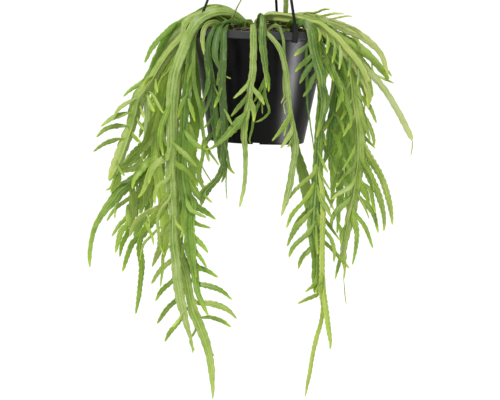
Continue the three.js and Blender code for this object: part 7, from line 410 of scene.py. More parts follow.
        ("flat", 0, .1, [(-72.2,-52,-554.5,4.8,-.89,.42,.18), (-75,-55.3,-561,4.04,-.89,.4,.21), (-78.6,-58.6,-567.1,3.2,-.8,.41,.43), (-83.8,-61.7,-572.2,2.06,-.74,.43,.51)],
         [9.8, 15.9], [13.4, 19.3], 4.2),
        ("flat", 0, .1, [(-63,-52,-584.8,4.14,-.8,.47,-.39), (-61.3,-54.5,-591.2,3.34,-.75,.5,-.44), (-60.1,-55.7,-594.3,2.89,-.66,.47,-.58), (-58.1,-56.9,-596.9,2.07,-.59,.45,-.67)],
         [10.9], [13.8], 1.5),
        ("flat", 0, .1, [(-117.3,-46.1,-450.8,5.01,-.66,.13,-.74), (-115,-48.1,-453.2,4.39,-.8,.14,-.58), (-114,-50.1,-456.3,3.78,-.92,.19,-.33), (-113.3,-54,-462.9,2.53,-.95,.22,-.21), (-112.9,-55.9,-466.3,1.88,-.95,.22,-.22)],
         [10.2], [11.5], 3.2),
        ("flat", 0, .1, [(-113.5,-52,-459.6,4.39,-.34,.7,.63), (-116.5,-53.5,-459.6,4.34,-.9,.44,.04), (-115.1,-54.9,-462.9,4.06,-.82,.24,-.52), (-111.5,-57.8,-469.1,3.5,-.81,.21,-.54), (-108.6,-60.6,-475.7,2.77,-.91,.23,-.34), (-107.2,-63.3,-483,1.69,-.93,.24,-.26)],
         [12.8, 19.8, 26.3], [13.5, 19.6, 25.8], 1.3),
    ]),
    "stem_left_middle": (0.95, [
        ("flat", 1, 0, [(-30.3,14,-253,4.2,.88,-.48,0), (-30.3,14,-245,4.2,.88,-.48,0), (-30.3,14,-241,4.2,.88,-.48,0), (-30.9,12.3,-237.1,4.28,.81,-.44,.38), (-34,12.4,-234.9,4.71,.45,-.46,.77), (-37.6,12.6,-233.1,5.32,.31,-.44,.84), (-41.4,13,-231.9,6.13,.13,-.44,.89), (-45.4,13.4,-231.6,7.15,-.03,-.45,.89), (-53.3,14.5,-232.2,8.92,-.25,-.47,.85), (-61,16.4,-234.4,9.09,-.38,-.49,.78), (-68.7,18.6,-237.2,9.23,-.56,-.47,.69), (-72.4,21.5,-239.1,9.3,-.76,-.37,.54), (-75.7,26,-241.8,9.36,-.71,-.47,.52), (-78,23.3,-245,9.4,-.64,-.49,.59), (-79.7,22.9,-248.8,9.44,-.75,-.55,.36), (-81.1,22.6,-252.6,9.47,-.72,-.55,.42), (-83.5,19.2,-260.2,9.49,-.74,-.56,.37), (-85.3,17.5,-267.9,9.46,-.76,-.57,.29), (-87.4,16.4,-275.6,9.39,-.77,-.57,.29), (-89.9,15.6,-283.2,9.27,-.76,-.56,.34), (-93,14.9,-290.6,9.13,-.74,-.54,.39), (-96.7,14.3,-297.7,8.97,-.69,-.52,.5), (-102,13.6,-303.7,8.87,-.59,-.49,.64), (-104.7,13.3,-306.6,8.82,-.71,-.49,.5), (-106.2,13,-310.3,8.78,-.82,-.48,.3), (-107.9,12.4,-318.1,8.69,-.87,-.44,.25), (-110.1,11.8,-325.8,8.62,-.89,-.39,.24), (-111.1,11.2,-333.8,8.56,-.93,-.36,.07), (-111.2,10.7,-341.8,8.52,-.95,-.31,.01), (-111.1,10.1,-349.8,8.5,-.96,-.27,.02), (-111.3,9.5,-357.8,8.55,-.97,-.23,.05), (-111.5,8.9,-365.8,8.62,-.98,-.19,.02), (-111.5,8.4,-373.8,8.71,-.99,-.16,-.01), (-111.1,7.9,-381.8,8.82,-.99,-.13,-.07), (-109.6,7.3,-393.6,10.33,-.98,-.1,-.16), (-107.4,6.7,-405.4,11.52,-.98,-.08,-.19), (-105.8,6.3,-413.3,11.63,-.98,-.07,-.2), (-104.2,5.9,-421.1,11.74,-.98,-.07,-.2), (-101.7,5.4,-432.9,10.49,-.98,-.09,-.2), (-99.7,4.8,-444.7,9.85,-.98,-.11,-.14), (-98.6,4.4,-452.6,9.99,-.98,-.14,-.12), (-97.7,4,-460.6,10.3,-.98,-.17,-.1), (-96.8,3.7,-468.6,10.71,-.97,-.21,-.08), (-96.1,3.1,-480.5,9.78,-.96,-.27,-.03), (-96.2,2.5,-492.2,7.26,-.94,-.33,.08), (-97.3,2,-503.6,2.7,-.91,-.39,.11)],
         [32.2, 43.8, 55.9, 66.5, 77.5, 87.5, 97.8, 109.1, 120.9, 131.4, 142.5, 152.7, 164.4, 175.7, 186.4, 195.1, 204.7, 214.5, 222.5, 232, 242.5, 254.6, 265.7, 276.8, 287.4, 297.8, 307.6, 317.4, 328.5], [32.4, 43.9, 55.7, 65.7, 76.5, 87.2, 98.4, 110.1, 122, 132.3, 143.9, 154.3, 162.3, 178.4, 188.3, 198.5, 209.5, 219.8, 230.5, 241.3, 251.9, 263, 273.8, 284.5, 295.5, 306.6, 317, 327.3], 0),
        ("flat", 0, -.25, [(-111.4,9.2,-361.8,7.03,-.91,.3,.28), (-114.3,6.8,-368.6,8.21,-.91,.27,.31), (-117.9,4.3,-374.9,9.54,-.81,.28,.52), (-123.1,1.8,-380,11.25,-.7,.3,.65), (-128.9,-.7,-384.5,9.85,-.67,.33,.66), (-134.1,-3.2,-389.7,9.2,-.79,.3,.53), (-138.7,-5.6,-395.5,9.2,-.78,.3,.55), (-143.8,-7.9,-400.9,8.06,-.75,.31,.59), (-148.8,-10.1,-406.3,6.28,-.76,.31,.57), (-153.6,-12.2,-411.7,3.38,-.77,.31,.56), (-155.9,-13.2,-414.3,1.92,-.77,.31,.56)],
         [11.7, 19.6, 27.1, 34.8, 42, 48.1, 55, 62, 68.2], [14.8, 21.5, 28.1, 33.8, 39.8, 46.1, 52.6, 58.7, 65.1], 3.6),
        ("flat", 0, -.25, [(-131.7,-2,-386.9,4.85,-.81,-.05,-.58), (-127.1,-1.1,-393.7,5.76,-.96,-.03,-.28), (-127.1,-.7,-397.7,6.38,-.97,-.04,.23), (-129,-.3,-401.3,7.12,-.79,-.05,.61), (-132,.1,-404,7.43,-.53,-.06,.85), (-135.8,.6,-405.5,6.91,-.31,-.07,.95), (-143.8,1.4,-407.4,5.86,-.33,-.08,.94), (-150.9,2.1,-411.3,4.04,-.58,-.07,.81), (-157.3,2.9,-416.1,1.82,-.6,-.07,.79)],
         [12.7, 19.4, 25.8, 32.6, 38.6, 44.9], [14.1, 20.5, 26.3, 32.7, 39, 45.6], 3.9),
        ("flat", 0, -.25, [(-148.8,-10.1,-406.3,9.56,-.89,.46,-.01), (-149.5,-11.5,-414.4,11.84,-.88,.46,.06), (-151.9,-13,-421.8,9.92,-.83,.48,.3), (-155.5,-14.3,-428.3,5.13,-.81,.47,.37), (-157.4,-15,-431.5,2.73,-.81,.46,.36)],
         [12.5, 18.5], [15.9, 22.8], 2.6),
        ("flat", 0, -.25, [(-154.1,2.5,-413.7,3.65,-.98,-.08,.2), (-155.9,4.4,-421.9,3.02,-.97,-.04,.26), (-157.2,5.4,-425.8,2.7,-.86,-.04,.5), (-160,6.4,-428.9,2.21,-.64,-.08,.77), (-163.7,7.3,-431,1.64,-.52,-.09,.85)],
         [12.4, 18.3], [13.9], 1.2),
        ("flat", 0, -.25, [(-111.3,8.2,-377.8,6.44,-.92,.31,-.22), (-110.3,5.7,-385.2,7.07,-.94,.26,-.22), (-110.4,3.1,-392.5,7.7,-.91,.26,.33), (-112.8,1.9,-395,8.35,-.64,.33,.69), (-119.2,-.7,-398.6,9.65,-.71,.36,.61), (-121.5,-1.9,-401.4,8.95,-.81,.33,.48), (-125.6,-4.3,-407.5,7.54,-.83,.34,.45), (-130.1,-6.7,-413.3,6.11,-.82,.38,.43), (-132.1,-7.8,-416.5,5.4,-.89,.37,.27), (-133.1,-8.9,-420,4.31,-.94,.34,.07), (-133.7,-11.1,-427.2,1.93,-.94,.33,-.03)],
         [12.5, 19.5, 25.5, 31.7, 38, 44.1, 50.3, 56.9], [14.4, 21, 27, 33.7, 40.2, 46.3, 53], 3.7),
        ("flat", 0, -.25, [(-110.1,11.8,-325.8,5.54,-.91,-.19,.38), (-113.4,14.3,-333.2,5.54,-.93,-.19,.3), (-116,16.8,-340.8,5.54,-.97,-.19,.17), (-117.1,19.2,-348.7,3.72,-.98,-.18,.04), (-117.8,21.5,-356.8,1.85,-.98,-.18,.03)],
         [12.4, 18.9, 25], [13.5, 19.7, 25.5], 3.6),
        ("flat", 0, -.25, [(-111.1,10.1,-349.8,6.21,-.82,.47,-.33), (-107.4,12.4,-356.1,6.16,-.84,.47,-.27), (-104.2,14.6,-362.7,6.09,-.85,.48,-.24), (-101.8,16,-369.5,5.01,-.86,.48,-.18), (-100,16.7,-376.5,3.06,-.87,.47,-.13), (-99.2,17.6,-380.1,2.07,-.88,.47,-.1)],
         [10.6, 16.8, 22.7, 29.3], [14.7, 21.7, 28.3], 3.6),
        ("flat", 0, -.25, [(-110.7,7.7,-385.8,5.55,-.23,.41,-.88), (-108.7,9.1,-385.7,5.5,-.73,.27,-.62), (-107.1,10.4,-388.9,5.39,-.92,.19,-.34), (-104.5,12.8,-395.5,5.17,-.94,.18,-.28), (-102,16.2,-402.2,4.47,-.96,.17,-.23), (-100.1,19.2,-409.1,2.73,-.97,.18,-.19), (-99.1,20.7,-412.6,1.85,-.96,.18,-.19)],
         [11.6, 17.8, 24.3], [13, 19.8, 26.3], 3.8),
        ("flat", 0, -.25, [(-111.2,10.7,-341.8,6.07,-.76,-.42,.49), (-114.5,8.2,-348.9,6.4,-.77,-.41,.49), (-117.5,5.8,-356.2,6.68,-.82,-.42,.39), (-119.2,3.4,-363.8,6.22,-.84,-.44,.32), (-121.5,1.1,-371.3,5.32,-.77,-.44,.47), (-125.1,-1.1,-378.1,3.13,-.73,-.43,.54), (-127,-2.2,-381.6,2.02,-.73,-.43,.54)],
         [10.5, 16.3, 22, 28.3, 34.3, 40.8], [12.3, 18.5, 24.7, 30.7, 36.9], 3.6),
        ("flat", 0, -.25, [(-107.4,6.7,-405.4,5.45,-.72,-.51,.46), (-108.5,8,-405.8,5.44,-.97,-.1,-.2), (-106.9,9.2,-409.3,5.42,-.9,-.03,-.44), (-103.7,11.7,-416.3,5.37,-.93,-.02,-.38), (-101.4,14.1,-423.5,3.77,-.96,-.04,-.27), (-99.5,16.4,-431,1.82,-.96,-.04,-.26)],
         [12.2, 18.8, 24.5], [12.5, 18.4, 24.5], 4.8),
        ("flat", 0, -.25, [(-107.9,12.4,-318.1,5.11,-.72,.48,.5), (-108.8,10.2,-317.3,5.02,-.64,-.09,.76), (-110.2,8,-320.6,4.81,-.8,-.29,.53), (-113.1,3.7,-327.2,4.3,-.75,-.29,.6), (-117,-.5,-333.3,1.92,-.71,-.28,.65)],
         [12.2, 18.9], [14.6], 3.7),
        ("flat", 0, -.25, [(-125.9,.5,-382.3,4.85,-.91,-.07,.41), (-128.5,-3.2,-388.7,6.44,-.87,-.11,.47), (-132.3,-6.8,-394.4,6.88,-.68,-.08,.73), (-137.7,-10.4,-398.7,5.39,-.54,-.07,.84), (-143.8,-13.9,-402.3,3.46,-.45,-.05,.89), (-146.9,-15.6,-403.9,2.42,-.44,-.05,.9)],
         [12.7, 18.9, 24.9, 30.9], [13, 18.9, 24.7, 30.8], 4.4),
        ("flat", 0, -.25, [(-115.9,5.5,-371.9,6.3,-.9,-.13,-.41), (-115.3,6.5,-373.5,6.55,-.97,-.23,.09), (-116.8,7.4,-377.3,6.95,-.91,-.28,.31), (-119.7,9.3,-384.7,7,-.93,-.27,.25), (-122.1,11.1,-392,4.02,-.93,-.27,.23), (-123.3,12,-395.8,2.52,-.93,-.27,.23)],
         [9.3, 15.7, 22.1], [12.3, 18.3], 3.7),
    ]),
    "stem_left_long": (0.5, [
        ("flat", 1, 0, [(-35.8,26,-254.6,4.2,.99,.11,0), (-35.8,26,-246.6,4.2,.99,.11,0), (-34.8,25.7,-239.2,4.22,.99,.11,-.05), (-35.5,25.5,-236.8,4.43,.74,.11,.66), (-38.8,25.5,-234.6,4.93,.5,.1,.86), (-42.4,25.5,-232.8,5.65,.35,.09,.93), (-46.2,25.7,-231.9,6.61,.14,.09,.99), (-54.2,26.4,-232.1,8.82,-.14,.07,.99), (-61.9,27.5,-234.2,8.9,-.34,.06,.94), (-69.2,29.7,-237.6,8.98,-.51,.06,.86), (-72.5,30.4,-240,9.02,-.65,.06,.76), (-75.3,30.7,-242.9,9.06,-.77,.05,.63), (-77.6,30.6,-246.2,9.1,-.86,.04,.5), (-79.4,30.3,-249.8,9.14,-.92,.02,.4), (-81.8,28.8,-257.3,9.22,-.97,.02,.23), (-83.3,28.1,-265.2,9.3,-.98,.04,.19), (-85,27.6,-273,9.39,-.97,.05,.22), (-86.9,27.1,-280.8,9.46,-.97,.07,.23), (-88.8,26.5,-288.6,9.55,-.97,.09,.24), (-90.9,26,-296.3,9.63,-.96,.11,.24), (-92.8,25.4,-304.1,9.73,-.97,.13,.22), (-94.7,24.7,-311.9,9.84,-.97,.15,.2), (-96.3,24,-319.7,9.96,-.97,.18,.16), (-97.6,23.3,-327.6,10.08,-.97,.2,.13), (-98.8,22.6,-335.5,10.21,-.96,.23,.13), (-100,21.9,-343.4,10.37,-.96,.26,.13), (-101.2,21.3,-351.3,10.53,-.95,.28,.14), (-102.7,21,-359.2,10.68,-.94,.3,.17), (-104.3,21.1,-367.1,10.83,-.92,.32,.22), (-107.6,21.3,-378.5,13.02,-.91,.33,.26), (-110.2,19.2,-385.8,15.31,-.91,.34,.24), (-113.8,17.8,-397,13.82,-.89,.36,.29), (-117.4,16.2,-403.9,13.17,-.8,.37,.47), (-122.6,14.8,-409.9,14.09,-.71,.36,.6), (-128.2,13.6,-415.5,14.39,-.66,.35,.66), (-134.4,12.5,-420.5,13.44,-.62,.34,.71), (-144,10.9,-427.5,13.91,-.6,.31,.74), (-149.6,9.8,-432.9,14.08,-.81,.28,.52), (-153.4,8.8,-439.8,12.41,-.83,.27,.49), (-160.8,7.3,-448.7,9.03,-.78,.24,.59), (-167.2,5.7,-458.6,7.07,-.87,.19,.46), (-171,4.7,-465.6,6.46,-.89,.17,.42), (-174.1,3.6,-472.9,5.9,-.95,.14,.29), (-176,2.6,-480.6,5.29,-.97,.12,.19), (-177.4,1.6,-488.5,4.95,-.99,.09,.12), (-178.2,.6,-496.4,4.91,-.99,.08,.07), (-178.5,-.5,-504.3,4.81,-1,.06,-.03), (-177.6,-2,-515.8,1.49,-.99,.04,-.1)],
         [28.6, 40.6, 51.5, 62.5, 73.9, 84.1, 96.1, 106.8, 118.2, 129.2, 139.5, 151.5, 163.3, 174.6, 185.1, 197.1, 207.1, 215.1, 227, 235, 243, 251, 263, 273.3, 284.5, 295.7, 306.3, 316.1, 327.3, 338.5, 348.3, 359.6], [37.7, 48, 59.5, 70.1, 80.8, 91.2, 101.8, 113, 122.8, 133.3, 144.3, 155.6, 165.5, 175.4, 185.8, 196.1, 207.3, 217.7, 227.9, 238, 248, 259, 269.5, 279.4, 289.9, 299.7, 309.5, 320, 330.5, 341.4, 351.4], 0),
        ("flat", 0, .2, [(-140.7,11.4,-425.2,4.29,-.85,-.2,-.49), (-136.6,10.2,-431.9,4.29,-.9,-.27,-.34), (-135.6,9.5,-435.6,4.33,-.95,-.24,.21), (-137.8,8.9,-438.8,4.7,-.72,-.18,.67), (-143.9,7.6,-443.6,4.47,-.57,-.15,.81), (-150,6.3,-448.5,4.14,-.64,-.15,.75), (-155.2,5.1,-454.3,3.59,-.8,-.16,.58), (-159.2,4,-461,2.57,-.84,-.16,.52), (-161.2,3.4,-464.4,2.06,-.84,-.16,.52)],
         [12.1, 18.9, 25.6, 31.9, 38.4, 44.1], [8.7, 15.3, 21.2, 27.6, 33.7, 40, 45.8], 5.7),
        ("flat", 0, .2, [(-140.7,11.4,-425.2,4.87,-.65,-.17,-.74), (-137.9,10.5,-427.5,5,-.81,-.17,-.56), (-136.3,9.6,-431.1,5.2,-.94,-.14,-.3), (-134.7,7.7,-438.9,5.35,-.99,-.14,-.01), (-135.3,5.8,-446.8,5.05,-.97,-.14,.19), (-137.2,3.9,-454.5,4.89,-.92,-.14,.37), (-140.9,2,-461.5,4.82,-.75,-.11,.65), (-146.5,.3,-467.2,4.5,-.77,-.1,.63), (-150.8,-1.4,-473.9,3.4,-.84,-.11,.53), (-154.9,-3,-480.7,2.29,-.84,-.11,.53)],
         [10.8, 17.1, 22.8, 29, 35.5, 41.6, 47.7, 54.1, 60.7], [11.7, 17.7, 24.2, 30.4, 36.3, 42.9, 49, 55.1, 61.2], 5.7),
        ("flat", 0, .2, [(-147,6.9,-446,4.47,.01,.65,.76), (-149.9,4.8,-444.1,4.06,-.62,.55,.56), (-151.5,2.6,-446.7,3.64,-.95,.32,.06), (-151.8,.4,-450,3.22,-.95,.27,-.12), (-151.9,-3.9,-456.9,2.36,-.95,.27,-.13), (-152.1,-6,-460.5,1.91,-.96,.27,-.11)],
         [11.1, 18], [15.3], 1.8),
        ("flat", 0, .2, [(-135.3,5.8,-446.8,4.86,.02,.27,.96), (-138.4,4.5,-446.4,4.88,-.75,.14,.65), (-138.6,3.3,-450,5.12,-1,-.07,-.03), (-137.5,.7,-457.3,5.58,-.99,-.13,-.08), (-137.2,-1.8,-464.6,6.05,-.96,-.15,.25), (-138.6,-3.1,-467.9,6.29,-.79,-.07,.6), (-143.8,-5.6,-472.9,6.79,-.83,-.03,.56), (-145.3,-6.8,-476.3,6.4,-.94,-.06,.34), (-147,-9.1,-483.5,5.58,-.97,-.07,.23), (-148.5,-11.4,-490.7,3.98,-.98,-.07,.21), (-149.8,-13.5,-497.9,2.05,-.98,-.07,.2)],
         [7.4, 13.9, 20.7, 26.6, 33.4, 39.3, 45.5, 51.6, 58.1], [13.8, 20.9, 27.2, 33.3, 39.1, 44.8, 50.7, 56.9], 2.1),
        ("flat", 0, .2, [(-115.4,17,-400.6,6.83,-.89,.45,.06), (-114.8,19.1,-408,7.43,-.89,.46,.06), (-114.5,21.2,-415.4,8.03,-.88,.46,.13), (-114.9,23.2,-422.9,7.88,-.87,.45,.22), (-115.9,25.2,-430.3,7.61,-.86,.45,.24), (-117.1,27.2,-437.5,5.77,-.85,.45,.27), (-118.4,29,-444.7,3.29,-.85,.45,.27), (-119.1,29.9,-448.3,2.05,-.85,.45,.27)],
         [11.5, 17.7, 24.1, 29.8, 36.5, 42.9], [15.7, 22.5, 29.2, 35.4, 41.5], 5.5),
        ("flat", 0, .2, [(-125.4,14.2,-412.7,6.37,-.93,-.3,-.21), (-124.5,16.5,-420.2,7,-.93,-.3,-.2), (-123.6,18.8,-427.7,7.63,-.93,-.29,-.21), (-122.4,21,-435.1,7.35,-.94,-.28,-.21), (-122,23.1,-442.6,6.66,-.96,-.29,-.04), (-123,25.2,-449.9,4.3,-.95,-.3,.08), (-124.2,27.1,-457.2,1.91,-.95,-.3,.07)],
         [9.2, 15.7, 21.4, 27.9, 34.5, 40.9], [13.4, 20, 26.3, 32.5, 38.5], 6.1),
        ("flat", 0, .2, [(-138.6,-3.1,-467.9,4.78,-.9,-.41,.15), (-137.6,-7.8,-473.9,6.37,-.82,-.44,.37), (-138.1,-10.3,-476.9,6.62,-.73,-.39,.56), (-140.8,-15.1,-482.3,6.27,-.7,-.32,.64), (-143.1,-19.8,-487.9,5.61,-.82,-.34,.46), (-143.9,-24.4,-494.1,3.87,-.86,-.38,.35), (-144.5,-28.8,-500.6,2.06,-.86,-.38,.35)],
         [9, 15.2, 21.9, 28.2, 33.9], [15.4, 22.2, 28.7, 34.4], 2.6),
        ("flat", 0, .2, [(-119.9,15.5,-407,6.49,-.98,.18,.09), (-119.7,16.5,-407,6.43,-.95,-.31,.07), (-120.9,17.6,-410.8,6.32,-.92,-.35,.19), (-123.2,19.6,-418.4,6.08,-.92,-.36,.18), (-125.3,21.5,-426.1,5.76,-.93,-.36,.13), (-126.8,23.4,-433.8,3.86,-.93,-.35,.07), (-128,25.2,-441.6,1.95,-.93,-.35,.07)],
         [11.8, 18.5, 24.8, 30.8], [14, 20.9, 26.6, 33.3], 5.7),
        ("flat", 0, .2, [(-131.3,13.1,-418,6.79,-.9,.43,-.1), (-129.1,15.6,-425.5,6.69,-.89,.45,-.1), (-127.3,18.1,-433,6.59,-.89,.46,.02), (-127.2,20.6,-440.7,5.93,-.87,.43,.22), (-128.3,23,-448.4,5,-.88,.42,.24), (-128.6,25.3,-456.2,3.72,-.9,.43,.06), (-127.7,27.6,-464,2.04,-.9,.44,.02)],
         [11.7, 17.7, 24.3, 30, 35.8, 42.3], [12.9, 18.9, 24.7, 30.6, 36.9, 43.2], 5.8),
        ("flat", 0, .2, [(-108.9,20.1,-382.1,6.14,-.68,.41,-.61), (-107,21.2,-383.5,6.14,-.97,.25,-.01), (-108.3,22.3,-387.2,6.14,-.91,.16,.38), (-111.1,24.4,-394.4,6.14,-.91,.16,.39), (-113.7,26.6,-401.7,6.1,-.92,.16,.36), (-116.1,28.7,-409,6.05,-.92,.16,.35), (-118.5,30.7,-416.4,5.65,-.93,.16,.34), (-120.8,32.6,-423.7,3.75,-.93,.16,.33), (-123.1,34.5,-431,1.84,-.93,.16,.33)],
         [10.7, 16.8, 22.5, 28.8, 34.9, 41.2, 47.8], [15.6, 21.5, 27.7, 34.2, 40.8, 46.8], 5.9),
        ("flat", 0, .2, [(-111.4,18.5,-389.5,6.16,-.98,.18,.12), (-112,20.7,-397.3,6.62,-.98,.18,.12), (-112.5,22.7,-405,7.07,-.98,.18,.1), (-112.8,24.7,-412.8,7.27,-.98,.18,.07), (-112.9,26.7,-420.6,7.32,-.98,.18,.06), (-113,28.6,-428.4,7.38,-.98,.18,.06), (-113.1,30.4,-436.2,6.16,-.98,.18,.06), (-113.2,32.2,-443.9,4.44,-.98,.18,.05), (-113.3,33.9,-451.6,2.71,-.98,.19,.05), (-113.4,34.7,-455.5,1.85,-.98,.19,.05)],
         [12.6, 18.7, 25.4, 31.7, 37.7, 43.7, 49.6, 56.1, 61.8], [15.1, 21.6, 27.3, 33.1, 39.2, 45.4, 51.5, 58.1, 64], 6.4),
        ("flat", 0, .2, [(-134.4,12.5,-420.5,6.07,-.99,.09,-.08), (-133.5,14.8,-428.2,7.18,-.99,.09,-.09), (-132.6,17,-435.8,8.28,-.99,.1,-.05), (-132.4,19.3,-443.6,8.97,-.99,.09,.04), (-132.8,21.5,-451.3,8.57,-.99,.09,.11), (-133.6,23.7,-459.1,8.17,-.99,.09,.13), (-134.4,25.7,-466.6,5.75,-.99,.09,.15), (-135.4,27.6,-474.1,3.14,-.98,.09,.15), (-135.9,28.6,-477.9,1.82,-.99,.09,.15)],
         [10.3, 16.5, 22.7, 29.3, 35.4, 41.6, 47.4, 54], [14.6, 20.8, 26.6, 32.9, 39.3, 45, 51.6], 5.6),
    ]),
    "stem_left_longest": (0.55, [
        ("flat", 1, 0, [(-21.5,4,-251.9,4.2,.81,.59,0), (-21.5,4,-243.9,4.2,.81,.59,0), (-21.5,4,-239.9,4.2,.81,.59,0), (-22.9,4.1,-237.2,4.21,.59,.43,.68), (-26.4,4.3,-235.7,4.73,.46,.39,.8), (-33,4.6,-231.4,6.42,.43,.33,.84), (-36.7,4.8,-230,7.56,.27,.32,.91), (-40.6,5.1,-229.3,8.89,.12,.3,.95), (-48.6,5.7,-229.5,10.18,-.11,.26,.96), (-56.4,6.7,-231.3,10.15,-.26,.22,.94), (-63.9,8.1,-234.1,10.14,-.34,.19,.92), (-71.4,10.8,-237.5,10.14,-.35,.14,.92), (-75.9,13.5,-239.6,10.15,-.44,.15,.89), (-80,17.9,-242.9,10.16,-.76,.16,.63), (-82,14.4,-247.2,10.17,-.97,-.01,.26), (-82.3,11.4,-251.7,10.19,-1,-.01,.02), (-82.1,7.6,-259.6,10.23,-1,.07,.01), (-83,5.2,-267.3,10.27,-.98,.1,.15), (-84.5,3.2,-275,10.32,-.98,.1,.16), (-85.9,1.4,-282.8,10.37,-.98,.11,.18), (-87.7,-.3,-290.4,10.44,-.97,.12,.2), (-89.4,-2,-298.1,10.51,-.98,.14,.16), (-90.7,-3.5,-305.8,10.61,-.98,.16,.09), (-91,-5,-313.7,10.69,-.98,.18,-.04), (-91.1,-6.4,-321.6,10.78,-.97,.23,0), (-91.5,-7.7,-329.5,10.9,-.96,.26,.01), (-91.9,-8.7,-337.4,11.03,-.95,.3,-.02), (-91.9,-9.7,-345.4,11.19,-.94,.34,-.05), (-91.8,-10.6,-353.4,11.36,-.93,.37,-.06), (-91.6,-11.5,-361.3,11.54,-.91,.41,-.07), (-91.3,-12.3,-369.3,11.73,-.9,.44,-.08), (-90.9,-13.1,-377.3,11.9,-.88,.46,-.08), (-90.6,-13.8,-385.2,12.05,-.87,.49,-.07), (-90.4,-14.7,-393.2,12.17,-.86,.5,-.11), (-90,-15.8,-401.1,12.25,-.85,.51,-.12), (-89.5,-16.9,-409.1,12.29,-.84,.52,-.14), (-88.7,-18.1,-417,12.27,-.84,.52,-.16), (-88,-19.4,-424.9,12.2,-.84,.51,-.17), (-87.3,-21.7,-432.7,12.09,-.84,.46,-.29), (-86.9,-23.7,-436.6,12.02,-.85,.48,-.2), (-86.6,-23.7,-440.6,11.94,-.87,.48,-.07), (-85.8,-23.2,-448.6,11.77,-.88,.47,-.06), (-84.7,-22.2,-456.6,11.59,-.89,.44,-.08), (-83.4,-21.7,-464.6,11.41,-.9,.42,-.13), (-82.3,-21.6,-472.6,11.25,-.91,.38,-.13), (-81.2,-21.8,-480.5,11.13,-.93,.35,-.15), (-79.8,-22.2,-488.4,11.01,-.93,.31,-.19), (-78.2,-22.5,-496.3,10.85,-.94,.27,-.22), (-76.3,-23,-504.1,10.71,-.93,.24,-.28), (-73.7,-23.4,-511.6,10.53,-.92,.2,-.34), (-71.3,-23.8,-519.2,10.37,-.95,.18,-.26), (-69.6,-24.3,-527.1,10.22,-.97,.15,-.2), (-67.9,-24.8,-534.9,9.86,-.96,.12,-.23), (-64.9,-25.5,-546.4,9.04,-.96,.1,-.27), (-61.5,-26.2,-557.7,11.62,-.93,.09,-.36), (-56.4,-26.9,-568.5,11.14,-.89,.1,-.44), (-53.1,-27.3,-575.8,10.69,-.91,.12,-.41), (-49.9,-27.8,-583.1,10.34,-.91,.14,-.4), (-45.5,-28.5,-594.2,9.45,-.92,.17,-.35), (-42.1,-29.2,-605.7,8.25,-.95,.22,-.23), (-40.4,-29.7,-613.5,7.88,-.94,.26,-.22), (-39,-30.1,-621.3,7.86,-.94,.29,-.15), (-37.9,-30.8,-633.1,5.75,-.93,.35,-.12), (-36.8,-31.5,-644.9,3.75,-.91,.4,-.04), (-36.9,-32,-652.7,1.34,-.9,.43,-.01)],
         [30.2, 40.5, 51.5, 62.8, 74.4, 84.7, 96.7, 106.8, 117, 127.1, 137.6, 148.6, 159.6, 171.4, 183, 193.2, 205.3, 216.4, 228.2, 239, 249, 260.6, 271.5, 281.6, 293.2, 305, 316, 327.4, 338.1, 347.2, 356.9, 366.1, 375.9, 386.1, 395.7, 405.9, 416.3, 425.7, 435.8, 445.9, 456.5, 466.6, 476.7, 486.6, 497], [31.1, 41.8, 52.1, 63.8, 74.2, 84.5, 95.6, 107.1, 117.3, 127.8, 139.8, 150.4, 162.5, 172.8, 182.8, 194.2, 206, 217.2, 229.1, 239.5, 250.5, 261.1, 272.4, 283.8, 295.4, 306.2, 316.8, 327.3, 338.1, 354.1, 364.5, 374.1, 386.1, 398, 413.9, 425.3, 435.9, 446.5, 456.5, 467.7, 477.4, 488.7, 499.9], 0),
        ("flat", 0, 0, [(-79.1,-22.3,-492.4,6.12,-.47,.52,-.71), (-77.3,-21.2,-492.7,6.22,-.73,.47,-.5), (-75.2,-20.1,-495.9,6.38,-.82,.45,-.35), (-71.7,-17.9,-502.4,6.7,-.85,.46,-.25), (-69.2,-15.7,-509.3,5.29,-.89,.44,-.1), (-67.7,-13.7,-516.5,3.13,-.9,.44,-.06), (-67,-12.7,-520.1,2.04,-.89,.44,-.07)],
         [9.8, 15.7, 22, 28.4], [12.6, 19.6, 26], 4.6),
        ("flat", 0, 0, [(-79.1,-22.3,-492.4,5.27,.13,.32,.94), (-82.1,-21.6,-492.2,5.28,-.45,.35,.82), (-83.9,-20.8,-495.7,5.31,-.78,.4,.47), (-87.7,-19.3,-502.6,5.41,-.67,.4,.63), (-93.3,-17.7,-508.1,5.8,-.58,.38,.72), (-98.8,-16.2,-513.7,5.67,-.65,.38,.66), (-103.4,-14.7,-520.1,4.9,-.76,.38,.53), (-107.1,-13.4,-527,3.49,-.79,.39,.48), (-108.9,-12.7,-530.5,2.78,-.78,.39,.48)],
         [10.7, 16.8, 22.5, 29.2, 35.5, 41.6, 48], [14.7, 20.5, 26.6, 32.3, 38.4, 44.6], 4.6),
        ("flat", 0, 0, [(-75.1,-23.2,-507.9,4.88,-.84,-.13,.52), (-79.1,-21.6,-514.6,4.9,-.89,-.12,.45), (-82.9,-20.1,-521.5,4.93,-.86,-.11,.5), (-87.8,-18.5,-527.6,5.1,-.7,-.13,.7), (-93.6,-17,-532.8,5.38,-.71,-.15,.69), (-98.7,-15.6,-538.8,5.12,-.85,-.14,.51), (-102.2,-14.2,-545.7,3.08,-.9,-.13,.41), (-103.9,-13.5,-549.1,2.05,-.9,-.13,.41)],
         [10.9, 17.8, 24.1, 30.5, 37.1, 43.6], [14.6, 21.4, 27, 32.8, 38.9, 44.7], 4.5),
